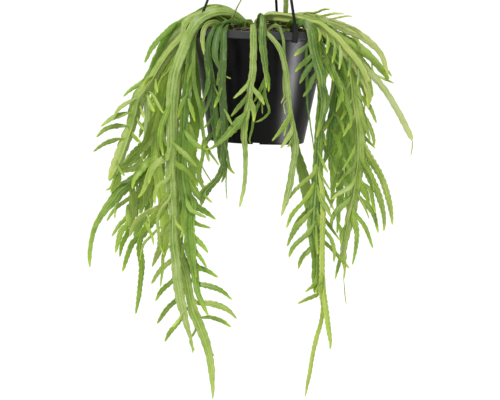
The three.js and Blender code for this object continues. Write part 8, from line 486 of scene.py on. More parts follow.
        ("flat", 0, 0, [(-69.6,-24.3,-527.1,5.08,-.85,-.3,.44), (-73.6,-22.9,-534.2,5.28,-.86,-.3,.41), (-77.6,-21.4,-541.2,5.56,-.84,-.29,.45), (-82.4,-20,-547.8,5.67,-.73,-.3,.61), (-88.2,-18.6,-553.5,5.55,-.74,-.31,.6), (-93.1,-17.2,-559.9,5.74,-.82,-.31,.49), (-97.2,-15.9,-566.9,4.19,-.86,-.3,.42), (-101.1,-14.7,-573.9,2.43,-.86,-.3,.42)],
         [9.1, 15.6, 22, 28.2, 34.1, 40.7, 47.1, 52.8], [15.7, 22.2, 28.7, 34.9, 41.1, 47.7, 53.4], 4.3),
        ("flat", 0, 0, [(-63.9,-25.7,-550.2,4.93,-.57,.16,.81), (-67,-24.9,-552.5,4.94,-.71,.17,.68), (-69,-24.2,-556,4.96,-.84,.19,.51), (-72.9,-22.6,-563.1,4.98,-.83,.2,.52), (-77.2,-21,-569.8,5.12,-.77,.19,.61), (-82.1,-19.5,-576.3,5.3,-.75,.18,.63), (-86.9,-18.1,-582.8,5.05,-.83,.18,.53), (-90.3,-16.7,-589.9,3.07,-.88,.19,.43), (-91.9,-16,-593.5,2.07,-.88,.19,.43)],
         [9.7, 16.4, 22, 27.9, 34.1, 40, 46], [14.6, 21.3, 27.9, 33.6, 39.5, 45.2], 4.2),
        ("flat", 0, 0, [(-71.3,-23.8,-519.2,5.21,-.55,-.37,-.75), (-64.9,-24.7,-523.6,5.26,-.55,-.36,-.76), (-58.1,-25.6,-527.2,5.37,-.33,-.36,-.87), (-50.5,-26.5,-528.4,6.3,-.16,-.38,-.91), (-42.9,-27.4,-529.8,6.57,-.26,-.38,-.89), (-35.4,-28.3,-532,6.01,-.36,-.38,-.85), (-28.7,-29.1,-535.5,4.58,-.57,-.37,-.73), (-22.8,-29.9,-540.4,2.7,-.63,-.37,-.69), (-19.9,-30.3,-542.8,1.76,-.62,-.37,-.69)],
         [12.3, 19.1, 25.7, 31.9, 38.1, 44.5, 51.1], [14.1, 20.7, 27, 32.7, 38.4, 44.2, 50.4], 4.4),
        ("flat", 0, 0, [(-67,-25,-538.7,5.08,-.74,-.3,-.61), (-61.8,-25.8,-544.5,4.85,-.69,-.29,-.66), (-58.9,-26.3,-547,4.71,-.53,-.29,-.8), (-55.3,-26.7,-548.5,4.82,-.18,-.3,-.94), (-51.5,-27.1,-548.1,5.28,.06,-.32,-.95), (-43.9,-28,-548,6.31,-.16,-.31,-.94), (-36.4,-28.8,-549.5,6.97,-.25,-.31,-.92), (-29,-29.6,-551.8,6.11,-.4,-.32,-.86), (-22.3,-30.3,-555.5,4.63,-.58,-.31,-.75), (-16.7,-31.1,-560.5,2.81,-.68,-.3,-.67), (-13.9,-31.4,-563.2,1.91,-.68,-.3,-.67)],
         [11, 17.8, 23.8, 29.9, 35.7, 41.9, 47.7, 53.4], [14.9, 21.1, 27.2, 33.8, 40.5, 47.2, 53.4], 4),
        ("flat", 0, 0, [(-61.5,-26.2,-557.7,3.92,.29,.2,-.94), (-60.6,-26.7,-557.5,3.75,-.48,.38,-.79), (-55.1,-27.7,-562.8,3.1,-.35,.42,-.84), (-51.5,-28.2,-563.6,3.44,.01,.38,-.92), (-43.9,-29.3,-562.8,4.67,.01,.36,-.93), (-36.4,-30.3,-564.3,5.66,-.17,.37,-.92), (-29.2,-31.2,-566.6,4.84,-.37,.37,-.85), (-22.7,-32.1,-570.6,3.27,-.48,.38,-.8), (-19.6,-32.6,-572.7,2.48,-.47,.38,-.8)],
         [9.8, 16.3, 22.1, 28.7, 34.9, 40.6], [15.2, 21.4, 27.4, 33.9, 40.5], 4.9),
        ("flat", 0, 0, [(-58.2,-26.6,-564.9,4.41,-.96,-.27,-.06), (-58,-25.2,-572.8,3.46,-.97,-.25,-.03), (-59.4,-23.7,-580.4,2.81,-.9,-.29,.33), (-63.3,-22.2,-587.2,2.76,-.91,-.33,.25), (-63.8,-21.5,-591.1,2.63,-.95,-.29,-.1), (-62.9,-20.9,-594.9,2.37,-.91,-.27,-.3), (-61.7,-20.2,-598.7,2.12,-.9,-.27,-.33)],
         [9.2, 15.8, 22.2, 28.4], [12.5, 18.5, 25.2, 31.8], 4.8),
        ("flat", 0, 0, [(-45.5,-28.5,-594.2,3.29,-.74,-.39,-.56), (-41.5,-26.9,-600.6,3.04,-.7,-.39,-.59), (-36.8,-25.2,-606.4,1.58,-.65,-.38,-.66)],
         [11.4], [13.7], 4),
    ]),
    "stem_left_inner": (0.6, [
        ("flat", 1, 0, [(-37.8,-14,-254,4.2,.95,-.32,0), (-37.8,-14,-246,4.2,.95,-.32,0), (-37.8,-14,-242,4.2,.95,-.32,0), (-38.2,-15.8,-239.2,4.21,.93,-.32,.17), (-39.6,-17.7,-238.8,4.39,.68,-.44,.58), (-42.6,-19.4,-236.8,4.84,.64,-.37,.68), (-49.4,-22.2,-233.4,6.59,.28,-.35,.89), (-53.3,-23.6,-233.4,7.85,.05,-.34,.94), (-57,-24.9,-234,9.08,-.13,-.31,.94), (-64,-28,-236.9,9.05,-.27,-.24,.93), (-71,-32.7,-240.4,9.03,-.55,-.25,.8), (-73.9,-35.2,-244.4,9.03,-.85,-.28,.46), (-75,-35,-249.2,9.02,-.98,-.2,.08), (-74.8,-34.4,-253.6,9.02,-.98,-.15,-.11), (-74.1,-33.5,-261.6,9.03,-.99,-.11,-.02), (-74.1,-33.4,-273.5,10.29,-1,-.05,-.02), (-74.2,-33.5,-285.5,11.37,-1,0,.06), (-75.3,-33.5,-297.4,10.79,-.99,.05,.11), (-76.7,-33.5,-309.3,10.23,-.99,.09,.13), (-78.3,-33,-321.1,9.65,-.98,.12,.12), (-79.2,-32.2,-333,9.49,-.99,.14,.05), (-79.6,-31.2,-344.9,9.56,-.99,.14,.04), (-79.8,-30.1,-356.8,9.62,-.99,.12,.03), (-79.9,-29.1,-368.8,9.67,-1,.1,.01), (-79.9,-28.1,-380.7,9.76,-1,.06,-.01), (-79.7,-27.1,-392.6,9.91,-1,.01,-.02), (-79.5,-26.4,-404.5,10.67,-1,-.04,-.04), (-78.2,-26,-416.2,11.88,-.98,-.1,-.2), (-75.4,-26.6,-427.6,13.77,-.96,-.15,-.23), (-72.6,-26.3,-439.1,11.95,-.95,-.21,-.23), (-70.7,-26.5,-450.7,10.28,-.97,-.25,-.06), (-70.3,-27.1,-462.7,10.41,-.96,-.28,-.01), (-69.9,-27.8,-474.7,10.47,-.95,-.3,0), (-69.4,-28.5,-486.6,10.44,-.95,-.31,-.09), (-67.7,-29.1,-494.4,10.23,-.9,-.32,-.29), (-63.7,-29.9,-505.6,9.67,-.93,-.29,-.22), (-61.3,-30.7,-517.3,9.04,-.95,-.27,-.15), (-59.5,-31.5,-529,7.12,-.96,-.23,-.16), (-57.4,-32.1,-536.6,6.27,-.91,-.21,-.35), (-52.3,-32.9,-547.4,5.5,-.9,-.15,-.4), (-46.9,-33.7,-557.7,2.83,-.85,-.09,-.51), (-44.9,-34,-561,1.65,-.85,-.07,-.52)],
         [30.5, 41.7, 53.5, 65.5, 76.6, 88.3, 99.3, 111, 121, 131.7, 142, 151.4, 161.9, 169.9, 179.6, 188.7, 197.8, 209.4, 221.7, 231.7, 241.4, 253.7, 264.9, 274.9, 284.9, 296.9, 312.9, 324.6, 334.9, 345.8, 356.6, 367.7, 378.1], [25.9, 36.4, 47.2, 58.5, 68.6, 79.3, 90.6, 102.1, 113.2, 123.7, 134.1, 143.5, 153.5, 163.9, 173.9, 184.7, 196.2, 207.2, 219.4, 230.5, 241.4, 249.3, 260.8, 271.3, 282.6, 292.9, 303.6, 314, 325.2, 336, 346, 356.9, 367.8, 377.9], 0),
        ("flat", 0, .15, [(-76.4,-26.2,-423.8,6.37,-.66,.3,-.69), (-70.9,-27.3,-429.4,8.78,-.69,.29,-.66), (-68.6,-27.7,-432.5,9.99,-.82,.3,-.49), (-67.2,-28.1,-436.1,10.57,-.92,.3,-.27), (-66.5,-28.9,-444.1,9.72,-.95,.31,-.02), (-66.9,-29.7,-452.1,8.87,-.95,.31,.03), (-67.2,-30.5,-460.1,8.02,-.95,.31,-.05), (-66.6,-31.3,-468.2,7.9,-.94,.31,-.14), (-65.6,-32.1,-476.2,8.04,-.94,.31,-.16), (-64.5,-32.9,-484.2,8.16,-.94,.31,-.13), (-63.8,-33.6,-492.1,6.87,-.94,.31,-.1), (-63.2,-34.4,-500.1,5.58,-.94,.31,-.13), (-62,-35.1,-508,4.15,-.93,.31,-.19), (-60.5,-35.7,-515.8,2.66,-.93,.31,-.21), (-59.8,-36,-519.7,1.91,-.93,.31,-.2)],
         [11.9, 17.9, 24, 30.3, 37, 43.4, 50.1, 56.7, 63.2, 69.7, 76, 82.5, 88.6, 95.1], [13.1, 20.1, 26.5, 33, 38.7, 45.4, 51.8, 57.6, 63.4, 70, 75.7, 81.9, 87.8, 94.4], 5.5),
        ("flat", 0, .15, [(-69.8,-28,-478.6,4.25,-.64,-.11,-.76), (-66.8,-28.7,-481,4.34,-.79,-.09,-.6), (-65,-29.5,-484.7,4.49,-.9,-.06,-.43), (-60.9,-31,-491.8,4.55,-.81,-.07,-.58), (-55.7,-32.4,-498,4.06,-.78,-.09,-.62), (-51,-33.8,-504.7,2.83,-.86,-.08,-.5), (-49,-34.5,-508.2,1.83,-.87,-.08,-.48)],
         [11.7, 17.7, 24, 30.6], [15.3, 21.5, 27.7], 4.4),
        ("flat", 0, .15, [(-70.1,-27.3,-466.7,4.89,-.81,-.14,-.57), (-65.6,-28.8,-472.8,5.97,-.8,-.13,-.58), (-60.7,-30.3,-478.5,6.39,-.71,-.14,-.69), (-55,-31.7,-483.4,5,-.69,-.16,-.71), (-50.1,-33.1,-489,3.16,-.81,-.14,-.56), (-48,-33.7,-492.1,2.05,-.83,-.14,-.54)],
         [10.6, 16.6, 22.9, 29.3], [12.2, 18.7, 24.5, 30.8], 4.4),
        ("flat", 0, .15, [(-67.7,-29.1,-494.4,4.87,-.84,-.12,-.52), (-63.8,-28.1,-501,5.35,-.85,-.13,-.51), (-59.6,-27.2,-507.4,5.83,-.7,-.14,-.7), (-56.6,-26.8,-509.7,5.88,-.42,-.12,-.9), (-52.8,-26.3,-510.6,5.69,-.25,-.1,-.96), (-45.8,-25.5,-513.5,4.63,-.47,-.11,-.88), (-39.3,-24.6,-517.4,3.07,-.5,-.11,-.86), (-36,-24.2,-519.3,2.29,-.49,-.11,-.86)],
         [10.6, 16.4, 22.9, 28.6, 34.8], [15.1, 21.7, 27.6, 33.8], 4.3),
        ("flat", 0, .15, [(-71.1,-26.4,-446.8,4.64,-.93,.37,.03), (-70.9,-25.7,-450.4,4.78,-.91,.37,-.19), (-69,-25,-453.8,5.05,-.82,.38,-.44), (-64.1,-23.5,-459.7,5.59,-.63,.38,-.68), (-60.8,-22.8,-461.6,5.05,-.43,.39,-.81), (-53.4,-21.4,-463.7,3.81,-.32,.4,-.86), (-45.9,-20,-465.8,2.23,-.3,.4,-.86)],
         [10.8, 17.2, 22.9, 29.3], [12.7, 19.3, 25.8, 31.5], 4.3),
        ("flat", 0, .15, [(-75.4,-26.6,-427.6,4.91,-.7,-.17,-.69), (-70.3,-25.4,-433.2,5.68,-.71,-.17,-.68), (-65.2,-24.1,-438.8,6.45,-.7,-.16,-.7), (-59.7,-22.6,-444.1,7.22,-.58,-.15,-.8), (-53.1,-21.3,-447.8,6.16,-.45,-.16,-.88), (-47,-19.9,-451.9,4.05,-.55,-.17,-.82), (-40.9,-18.7,-456.2,1.85,-.55,-.17,-.82)],
         [12.2, 18.6, 24.9, 31.2, 37.5], [12.3, 18.4, 24.8, 31.1, 37.2], 5.8),
        ("flat", 0, .15, [(-76.4,-26.2,-423.8,3.67,-.96,-.13,-.25), (-74.4,-28.3,-431.2,4.34,-.97,-.12,-.21), (-72.3,-30.2,-438.6,5.02,-.94,-.09,-.33), (-70.8,-31.1,-442.1,5.35,-.87,-.09,-.49), (-68.5,-32,-445.2,5.52,-.71,-.1,-.69), (-65.4,-32.8,-447.4,4.88,-.53,-.12,-.84), (-58.3,-34.5,-450.4,3.59,-.35,-.14,-.92), (-51.1,-36.1,-453,2.3,-.39,-.13,-.91)],
         [11.2, 18, 24.3, 30.3, 36.6], [14.1, 20.2, 26.6, 32.3, 38.3], 5.5),
        ("flat", 0, .15, [(-79.8,-30.5,-352.9,5.13,-.96,-.27,.07), (-79.7,-31.5,-356.5,5.27,-.94,-.28,-.2), (-77.7,-32.5,-359.8,5.5,-.83,-.31,-.46), (-72.9,-34.5,-366.1,5.72,-.77,-.31,-.56), (-67.4,-36.3,-371.8,5.71,-.69,-.31,-.65), (-61,-37.8,-376.4,4.92,-.45,-.32,-.83), (-57.4,-38.3,-377.8,3.85,-.37,-.33,-.87)],
         [12.7, 19.6, 25.9, 32.1], [14.9, 21.7, 27.5], 4),
        ("flat", 0, .15, [(-79.5,-26.4,-404.5,5.09,.08,-.04,-1), (-78.5,-25.6,-404.4,5.49,-.6,-.26,-.76), (-76.2,-24.8,-407.6,6.19,-.75,-.3,-.59), (-72,-23.1,-414.1,7.59,-.76,-.3,-.57), (-67.8,-21.4,-420.7,7.9,-.77,-.31,-.55), (-63.7,-19.8,-427.3,7.67,-.75,-.32,-.59), (-59.1,-18.2,-433.2,5.26,-.67,-.31,-.68), (-54.1,-16.8,-438.6,1.55,-.66,-.31,-.69)],
         [9.5, 15.9, 22.4, 28.9, 35.3, 41.2], [13.6, 19.9, 26.1, 32.6, 38.5], 4.5),
        ("flat", 0, .15, [(-79.9,-28.1,-380.7,4.92,-.84,.17,-.51), (-75.8,-25.9,-386.8,5.26,-.84,.17,-.51), (-71.7,-23.6,-392.8,5.4,-.84,.17,-.51), (-67.5,-21.4,-398.9,4.79,-.84,.17,-.51), (-63.4,-19.3,-404.9,4.17,-.85,.18,-.5), (-59.5,-17.2,-411.1,3.01,-.86,.17,-.48), (-55.5,-15.2,-417.4,1.84,-.86,.17,-.48)],
         [9.8, 16, 21.6, 28, 34.7, 41.3], [12.5, 19.4, 25.6, 32.1, 37.9], 4.1),
        ("flat", 0, .15, [(-79.6,-31.2,-344.9,4.97,-.76,-.21,-.61), (-75.2,-28.7,-351.2,5.31,-.78,-.2,-.6), (-71.4,-26.3,-357.8,5.57,-.86,-.2,-.47), (-68.7,-23.9,-364.9,5.59,-.91,-.21,-.36), (-66.6,-21.6,-372.2,4.9,-.94,-.21,-.28), (-65.2,-19.4,-379.6,2.88,-.95,-.22,-.23), (-64.6,-18.3,-383.4,1.86,-.95,-.22,-.24)],
         [12.5, 19, 25.6, 32.1, 38.7], [15.5, 21.8, 28.3, 34.2, 40.4], 4),
        ("flat", 0, .15, [(-78.7,-32.7,-325.1,5.22,-.06,-.61,-.79), (-76.2,-34,-324.3,5.28,-.64,-.47,-.61), (-74.5,-35.2,-327.7,5.43,-.89,-.37,-.28), (-71.8,-37.7,-334.6,5.72,-.91,-.36,-.21), (-69.4,-40.1,-341.5,4.09,-.92,-.36,-.15), (-67.4,-42.4,-348.7,1.96,-.92,-.36,-.14)],
         [11.5, 17.5, 23.4], [12.4, 18.4, 24.9], 4),
        ("flat", 0, .15, [(-77.8,-33.2,-317.2,5.94,-.87,-.48,.05), (-76.9,-35,-318.6,5.89,-.82,-.38,.42), (-78.4,-36.8,-321.7,5.79,-.74,-.34,.58), (-81.6,-40.5,-327.8,5.6,-.77,-.33,.55), (-84,-44.1,-334.3,4.79,-.85,-.34,.41), (-85.3,-47.6,-341.1,2.93,-.87,-.36,.33), (-86,-49.3,-344.6,1.98,-.87,-.36,.34)],
         [10.4, 16.1, 21.8, 27.6], [14.7, 21.4, 27.4], 4.1),
        ("flat", 0, .15, [(-79.8,-30.1,-356.8,5.81,-.84,.33,.44), (-82.9,-27.1,-363.9,5.73,-.79,.3,.53), (-86,-24.1,-370.8,5.62,-.87,.29,.4), (-87.1,-21.4,-378.3,4.03,-.93,.33,.14), (-87.2,-19.3,-386,1.94,-.94,.34,.09)],
         [11.7, 18.6, 24.3], [13.4, 20.3, 26.5], 4),
        ("flat", 0, .15, [(-74.5,-26.5,-431.5,5.5,-.27,.08,.96), (-77.5,-22.5,-432.7,5.48,-.58,.16,.8), (-78.9,-18.3,-436.4,5.42,-.78,.37,.5), (-79.8,-17.7,-439.9,5.36,-.84,.47,.26), (-81.2,-17,-447,5.24,-.86,.48,.18), (-81.8,-16.2,-454.2,4.29,-.88,.48,.07), (-81.3,-14.8,-461.6,2.81,-.88,.47,.03), (-81.1,-14,-465.4,2.06,-.88,.47,.04)],
         [10, 16.5, 22.9, 28.6, 34.7], [15.6, 22.3, 28.8, 34.6], 5.8),
        ("flat", 0, .15, [(-69.9,-27.8,-474.7,4.9,-.88,-.14,.46), (-73,-30.1,-481.1,4.68,-.88,-.12,.45), (-75.5,-32.5,-487.8,4.44,-.96,-.12,.26), (-76.1,-34.7,-494.9,2.71,-.99,-.15,.07), (-76.1,-35.8,-498.5,1.84,-.99,-.15,.06)],
         [9.4, 16.4, 22.5], [15.2, 21.5], 4.4),
        ("flat", 0, .15, [(-74.2,-33.5,-285.5,5.8,-.89,-.33,.3), (-77.6,-31,-292.6,6.12,-.89,-.35,.29), (-80.4,-28.5,-299.9,6.37,-.93,-.35,.13), (-81.5,-26.1,-307.5,4.17,-.94,-.33,-.02), (-82.1,-23.8,-315.3,1.93,-.94,-.33,-.02)],
         [9, 15, 20.7, 26.5], [15.3, 21.5, 27.2], 4.8),
    ]),
    "stem_left_thin": (0.3, [
        ("flat", 1, 0, [(-48.2,-35.8,-257.6,4.2,.88,.48,0), (-48.2,-35.8,-249.6,4.2,.88,.48,0), (-48.2,-35.8,-245.6,4.2,.88,.48,0), (-49.7,-36.2,-243.8,4.2,.18,.1,.98), (-57.2,-37.1,-243.1,3.8,.17,.16,.97), (-61.4,-40,-242.6,3.6,-.15,.06,.99), (-65.3,-42.7,-244,3.46,-.57,.05,.82), (-68.1,-42.3,-247,3.37,-.81,.13,.57), (-69.9,-42.3,-250.8,3.36,-.93,.15,.34), (-70.9,-42.5,-254.7,3.36,-.97,.17,.19), (-71.6,-43.5,-262.4,3.45,-.98,.18,-.03), (-71.5,-44.1,-274.3,3.72,-.98,.22,.02), (-71.4,-43.7,-286.2,4.11,-.97,.25,-.02), (-70.7,-42.9,-298,4.48,-.96,.29,-.07), (-68.9,-42.1,-309.8,4.68,-.93,.33,-.19), (-65.9,-41.4,-321.3,4.55,-.9,.36,-.25), (-62.7,-40.9,-332.8,4.2,-.89,.39,-.21), (-60.2,-41.1,-344.5,3.86,-.89,.43,-.17), (-58.5,-41.6,-356.3,4.15,-.88,.45,-.16), (-56.3,-42.2,-368,4.87,-.85,.47,-.25), (-53.7,-42.7,-375.6,4.72,-.79,.48,-.39), (-49.5,-43.1,-382.2,3.76,-.66,.48,-.57), (-42,-43.8,-391.4,2.2,-.69,.49,-.53), (-39.7,-44,-394.7,1.91,-.69,.49,-.53)],
         [33.2, 43.5, 53.8, 64.6, 75.1, 85, 95.8, 107.5, 119.6, 131.7, 142, 153.7, 164, 175.8, 186.3], [30.7, 40.7, 51.1, 61.8, 72.5, 82.8, 93.1, 103.5, 114.7, 125, 135.4, 145.3, 156, 166.5, 176.8], 0),
        ("flat", 0, .15, [(-55.1,-42.4,-371.8,3.8,-.94,.26,-.21), (-55.3,-43.2,-372.1,4,-.92,.28,-.27), (-53.5,-44.9,-379.9,4.72,-.91,.29,-.3), (-51.3,-46.5,-387.5,3,-.9,.29,-.33), (-50.1,-47.3,-391.3,2.14,-.9,.29,-.33)],
         [12.7], [12.4], 2.1),
        ("flat", 0, .15, [(-57.1,-42,-364.1,3.64,-.96,-.07,.26), (-58,-41.6,-372,3.95,-1,-.07,-.07), (-57.5,-41.2,-380,4.37,-1,-.07,0), (-58.1,-40.3,-388.1,3.77,-.99,-.07,.12), (-59.8,-39.6,-396,4.36,-.97,-.07,.25), (-61.1,-38.9,-403.9,5.36,-1,-.06,.01), (-60,-38.3,-411.9,4.99,-.95,-.06,-.3), (-56.4,-37.8,-418.9,3.36,-.83,-.06,-.55), (-51.9,-37.2,-425.4,1.47,-.82,-.06,-.57)],
         [9.9, 15.9, 22, 28.3, 34.3, 40, 46.1, 52.5, 59.1], [15.3, 21.5, 27.4, 33.6, 39.7, 45.4, 51.7, 57.7], 1.9),
        ("flat", 0, .15, [(-58.7,-40,-392.1,2.03,-.85,.26,-.46), (-59.2,-40.6,-391.6,2.04,-.92,-.38,.07), (-58.4,-41.2,-395.3,2.08,-.88,-.43,-.2), (-55,-42.4,-401.8,1.67,-.79,-.44,-.42), (-50.8,-43.6,-408,1.4,-.77,-.44,-.46), (-46.4,-44.8,-414.1,1.23,-.76,-.44,-.47)],
         [9.4, 14.6, 20.1], [13.2, 18.8], 1.5),
        ("flat", 0, .15, [(-71.5,-43.8,-282.2,4.88,-.95,.12,.3), (-73.6,-41.8,-289.5,4.86,-.95,.12,.29), (-75.5,-40,-296.8,4.32,-.96,.12,.25), (-77,-38.2,-304.2,2.66,-.97,.12,.23), (-77.7,-37.3,-307.9,1.83,-.97,.12,.23)],
         [12.7, 19.2], [12.4, 18.5], 1.7),
    ]),
    "stem_left_short": (0.5, [
        ("flat", 1, 0, [(-39.8,-40,-256.8,4.2,.97,-.25,0), (-39.8,-40,-248.8,4.2,.97,-.25,0), (-39.8,-40,-244.8,4.2,.97,-.25,0), (-40.8,-41.6,-242.3,4.2,.76,-.2,.62), (-43.8,-43.2,-241,4.28,.52,-.19,.83), (-50.1,-46.6,-238.8,4.79,.09,-.16,.98), (-53.4,-48.4,-239.3,5.04,-.17,-.16,.97), (-56.6,-50.1,-240.5,5.31,-.43,-.16,.89), (-59.2,-51.8,-242.7,5.51,-.73,-.18,.66), (-60.8,-53.2,-245.8,5.51,-.89,-.17,.42), (-62.4,-55.6,-253.1,5.5,-.99,-.1,.12), (-62.3,-57.4,-260.7,4.87,-.99,-.07,-.09), (-60,-59.5,-271.9,2.55,-.97,-.04,-.24), (-59,-60.1,-275.5,1.65,-.97,-.03,-.25)],
         [30.1, 40.1, 50.3, 61.5], [38.9, 48.9, 58.8], 0),
    ]),
    "stem_front_left_dark": (0.0, [
        ("flat", 1, 0, [(-20.2,-40,-254.7,4.2,.99,.16,0), (-20.2,-40,-246.7,4.2,.99,.16,0), (-20.2,-40,-242.7,4.2,.99,.16,0), (-20.9,-41.6,-240.2,4.2,.62,.1,.78), (-23.4,-43.3,-239.8,4.1,.25,.1,.96), (-30,-46.2,-237.2,3.82,.09,.2,.98), (-33.5,-47.4,-237.2,3.69,-.18,.18,.97), (-37,-48.2,-238.1,3.56,-.35,.19,.92), (-43.6,-50.2,-240.9,3.58,-.5,.12,.86), (-46.9,-55.7,-242.4,3.69,-.57,.05,.82), (-49.6,-60.7,-244.4,3.89,-.74,0,.67), (-51.4,-61.9,-247.4,4.14,-.89,.02,.46), (-55.1,-64.9,-257.3,5.12,-.97,.03,.24), (-56.3,-66.4,-264.9,6.09,-1,0,.06), (-55.8,-67.4,-276.7,7.93,-.99,-.05,-.1), (-54,-66.8,-288.4,8.56,-.98,-.08,-.21), (-51.8,-64.7,-299.5,8.83,-.97,-.11,-.2), (-50.1,-62,-310.8,8.88,-.98,-.13,-.16), (-48.7,-59.2,-322.2,8.86,-.98,-.12,-.14), (-47.4,-56.8,-333.8,8.18,-.99,-.1,-.12), (-46.3,-54.7,-345.5,7.45,-.99,-.06,-.1), (-45.2,-52.6,-357.1,5.73,-1,-.01,-.08), (-44.4,-50.6,-368.7,3.31,-1,.05,-.07), (-44.1,-50,-372.6,2.5,-1,.07,-.06)],
         [28.5, 39.7, 50.5, 62, 73.8, 85.8, 97.7, 108.8, 118.9, 130.3, 140.4, 151.7, 161.5, 173], [35.1, 45.1, 55.2, 67.1, 79.1, 89.4, 99.5, 111.1, 122.1, 132.4, 142.6, 153.9, 166.4, 177.2], 0),
        ("flat", 0, .1, [(-50.6,-62.9,-307.1,5.01,-.95,.26,-.17), (-49,-62.3,-314.8,5.62,-.95,.26,-.17), (-47.5,-61.7,-322.5,6.23,-.95,.26,-.16), (-46.2,-61.1,-330.2,6.26,-.96,.26,-.14), (-44.9,-60.5,-338,6.26,-.96,.26,-.14), (-43.5,-59.9,-345.7,6.26,-.95,.26,-.15), (-42.2,-59.4,-353.5,6.26,-.96,.26,-.12), (-41.2,-58.8,-361.3,5.88,-.96,.26,-.08), (-40.5,-58.2,-369.1,5.38,-.96,.26,-.07), (-39.8,-57.7,-377,4.59,-.97,.25,-.05), (-39.1,-57.2,-384.8,3.65,-.96,.25,-.13), (-37,-56.7,-392.2,2.41,-.9,.25,-.36), (-35.3,-56.5,-395.8,1.69,-.88,.26,-.4)],
         [9.8, 16.3, 22.7, 28.8, 34.5, 40.5, 46.6, 53.1, 59.5, 66.1, 71.9, 77.7, 84.1], [13.2, 19.3, 26, 32.5, 38.6, 44.7, 50.4, 57, 63.2, 69.1, 75.4, 81.4], 3.7),
        ("flat", 0, .1, [(-51.8,-64.7,-299.5,4.84,-.99,.05,-.09), (-51.5,-65.9,-307.4,4.67,-1,.05,.01), (-51.8,-67.2,-315.2,4.46,-1,.05,.06), (-52.7,-68.6,-323.1,4.25,-.98,.05,.17), (-54.8,-69.9,-330.6,3.08,-.94,.06,.33), (-57.6,-71.1,-337.9,1.82,-.94,.05,.35)],
         [12.1, 17.9, 24.2, 30.4, 36.3], [14.6, 20.5, 26.6, 32.6], 3.7),
        ("flat", 0, .1, [(-47.8,-57.5,-329.9,4.29,-.98,-.18,-.01), (-47.3,-60,-337.6,4.29,-.97,-.22,.12), (-47.9,-61.2,-341.4,4.28,-.9,-.2,.38), (-49.8,-62.3,-344.8,3.73,-.79,-.17,.59), (-54.8,-64.6,-350.7,2.62,-.71,-.16,.69), (-57.3,-65.7,-353.6,2.06,-.72,-.16,.67)],
         [12.4, 18.3, 24], [12.6, 18.8, 24.6], 3.5),
        ("flat", 0, .1, [(-54,-66.8,-288.4,5.29,-.92,.4,-.04), (-54.2,-68.2,-295.8,5.59,-.92,.4,-.07), (-54.5,-69.9,-303.2,5.88,-.92,.4,-.01), (-55.6,-71.6,-310.5,5.1,-.91,.41,.11), (-57.5,-73.2,-317.6,3.54,-.9,.4,.16), (-59.5,-74.8,-324.7,1.99,-.9,.4,.16)],
         [10.8, 17.2, 23.8, 30.3], [15.3, 21.5, 27.9, 34.3], 3.6),
        ("flat", 0, .1, [(-50.6,-62.9,-307.1,3.66,-.15,-.1,-.98), (-48.6,-64.5,-307.2,3.5,-.63,.04,-.78), (-46.4,-66.2,-310.7,3.23,-.82,.11,-.57), (-42.2,-69.4,-317.8,1.83,-.84,.12,-.52)],
         [9.8], [14.8], 3.7),
        ("flat", 0, .1, [(-45.6,-53.3,-353.3,5.22,-.89,.44,.11), (-45.4,-52.4,-356.1,5.47,-.81,.39,.44), (-48,-51.4,-359.4,5.87,-.69,.35,.63), (-52.5,-49.6,-366.2,6.1,-.79,.36,.5), (-55.6,-47.9,-373.7,3.34,-.84,.37,.4), (-57,-47,-377.5,1.96,-.84,.37,.4)],
         [11.4, 17.8, 23.5], [14, 20.7], 2.7),
    ]),
    "stem_front_left_short": (-0.22, [
        ("flat", 1, 0, [(-38.3,-46.2,-257.6,4.2,1,-.07,0), (-38.3,-46.2,-249.6,4.2,1,-.07,0), (-38.3,-46.2,-245.6,4.2,1,-.07,0), (-38.6,-51.2,-242.3,4.23,.98,-.06,.19), (-39.6,-53.7,-241.1,4.26,.87,-.27,.4), (-40.8,-56.2,-241.1,4.35,.71,-.4,.57), (-42.1,-59,-241.8,4.62,.82,-.46,.33), (-44.1,-64.6,-243.9,5.46,.96,-.29,-.02), (-44.7,-66.5,-246.5,6.26,.97,-.22,-.08), (-46.9,-72.6,-255.8,7.54,.98,-.15,-.13), (-48,-76.8,-262.9,7.68,.99,-.12,-.02), (-48.3,-80.5,-270.1,7.21,.99,-.12,.07), (-48,-81.7,-273.8,6.75,.97,-.1,.21), (-46.9,-82.5,-277.6,5.96,.93,-.09,.37), (-43.5,-83.5,-284.6,4.26,.87,-.07,.48), (-37,-83.2,-294.6,2.58,.65,.01,.76), (-33.6,-84.7,-296.4,1.99,.4,.09,.91), (-29.8,-86.6,-297.5,1.32,.3,.09,.95)],
         [32, 42.4, 52.2, 62.1, 72.5, 83, 94.5], [39, 49.8, 60.4, 71.3, 81, 92.2], 0),
    ]),
    "stem_front_left_wide": (-0.15, [
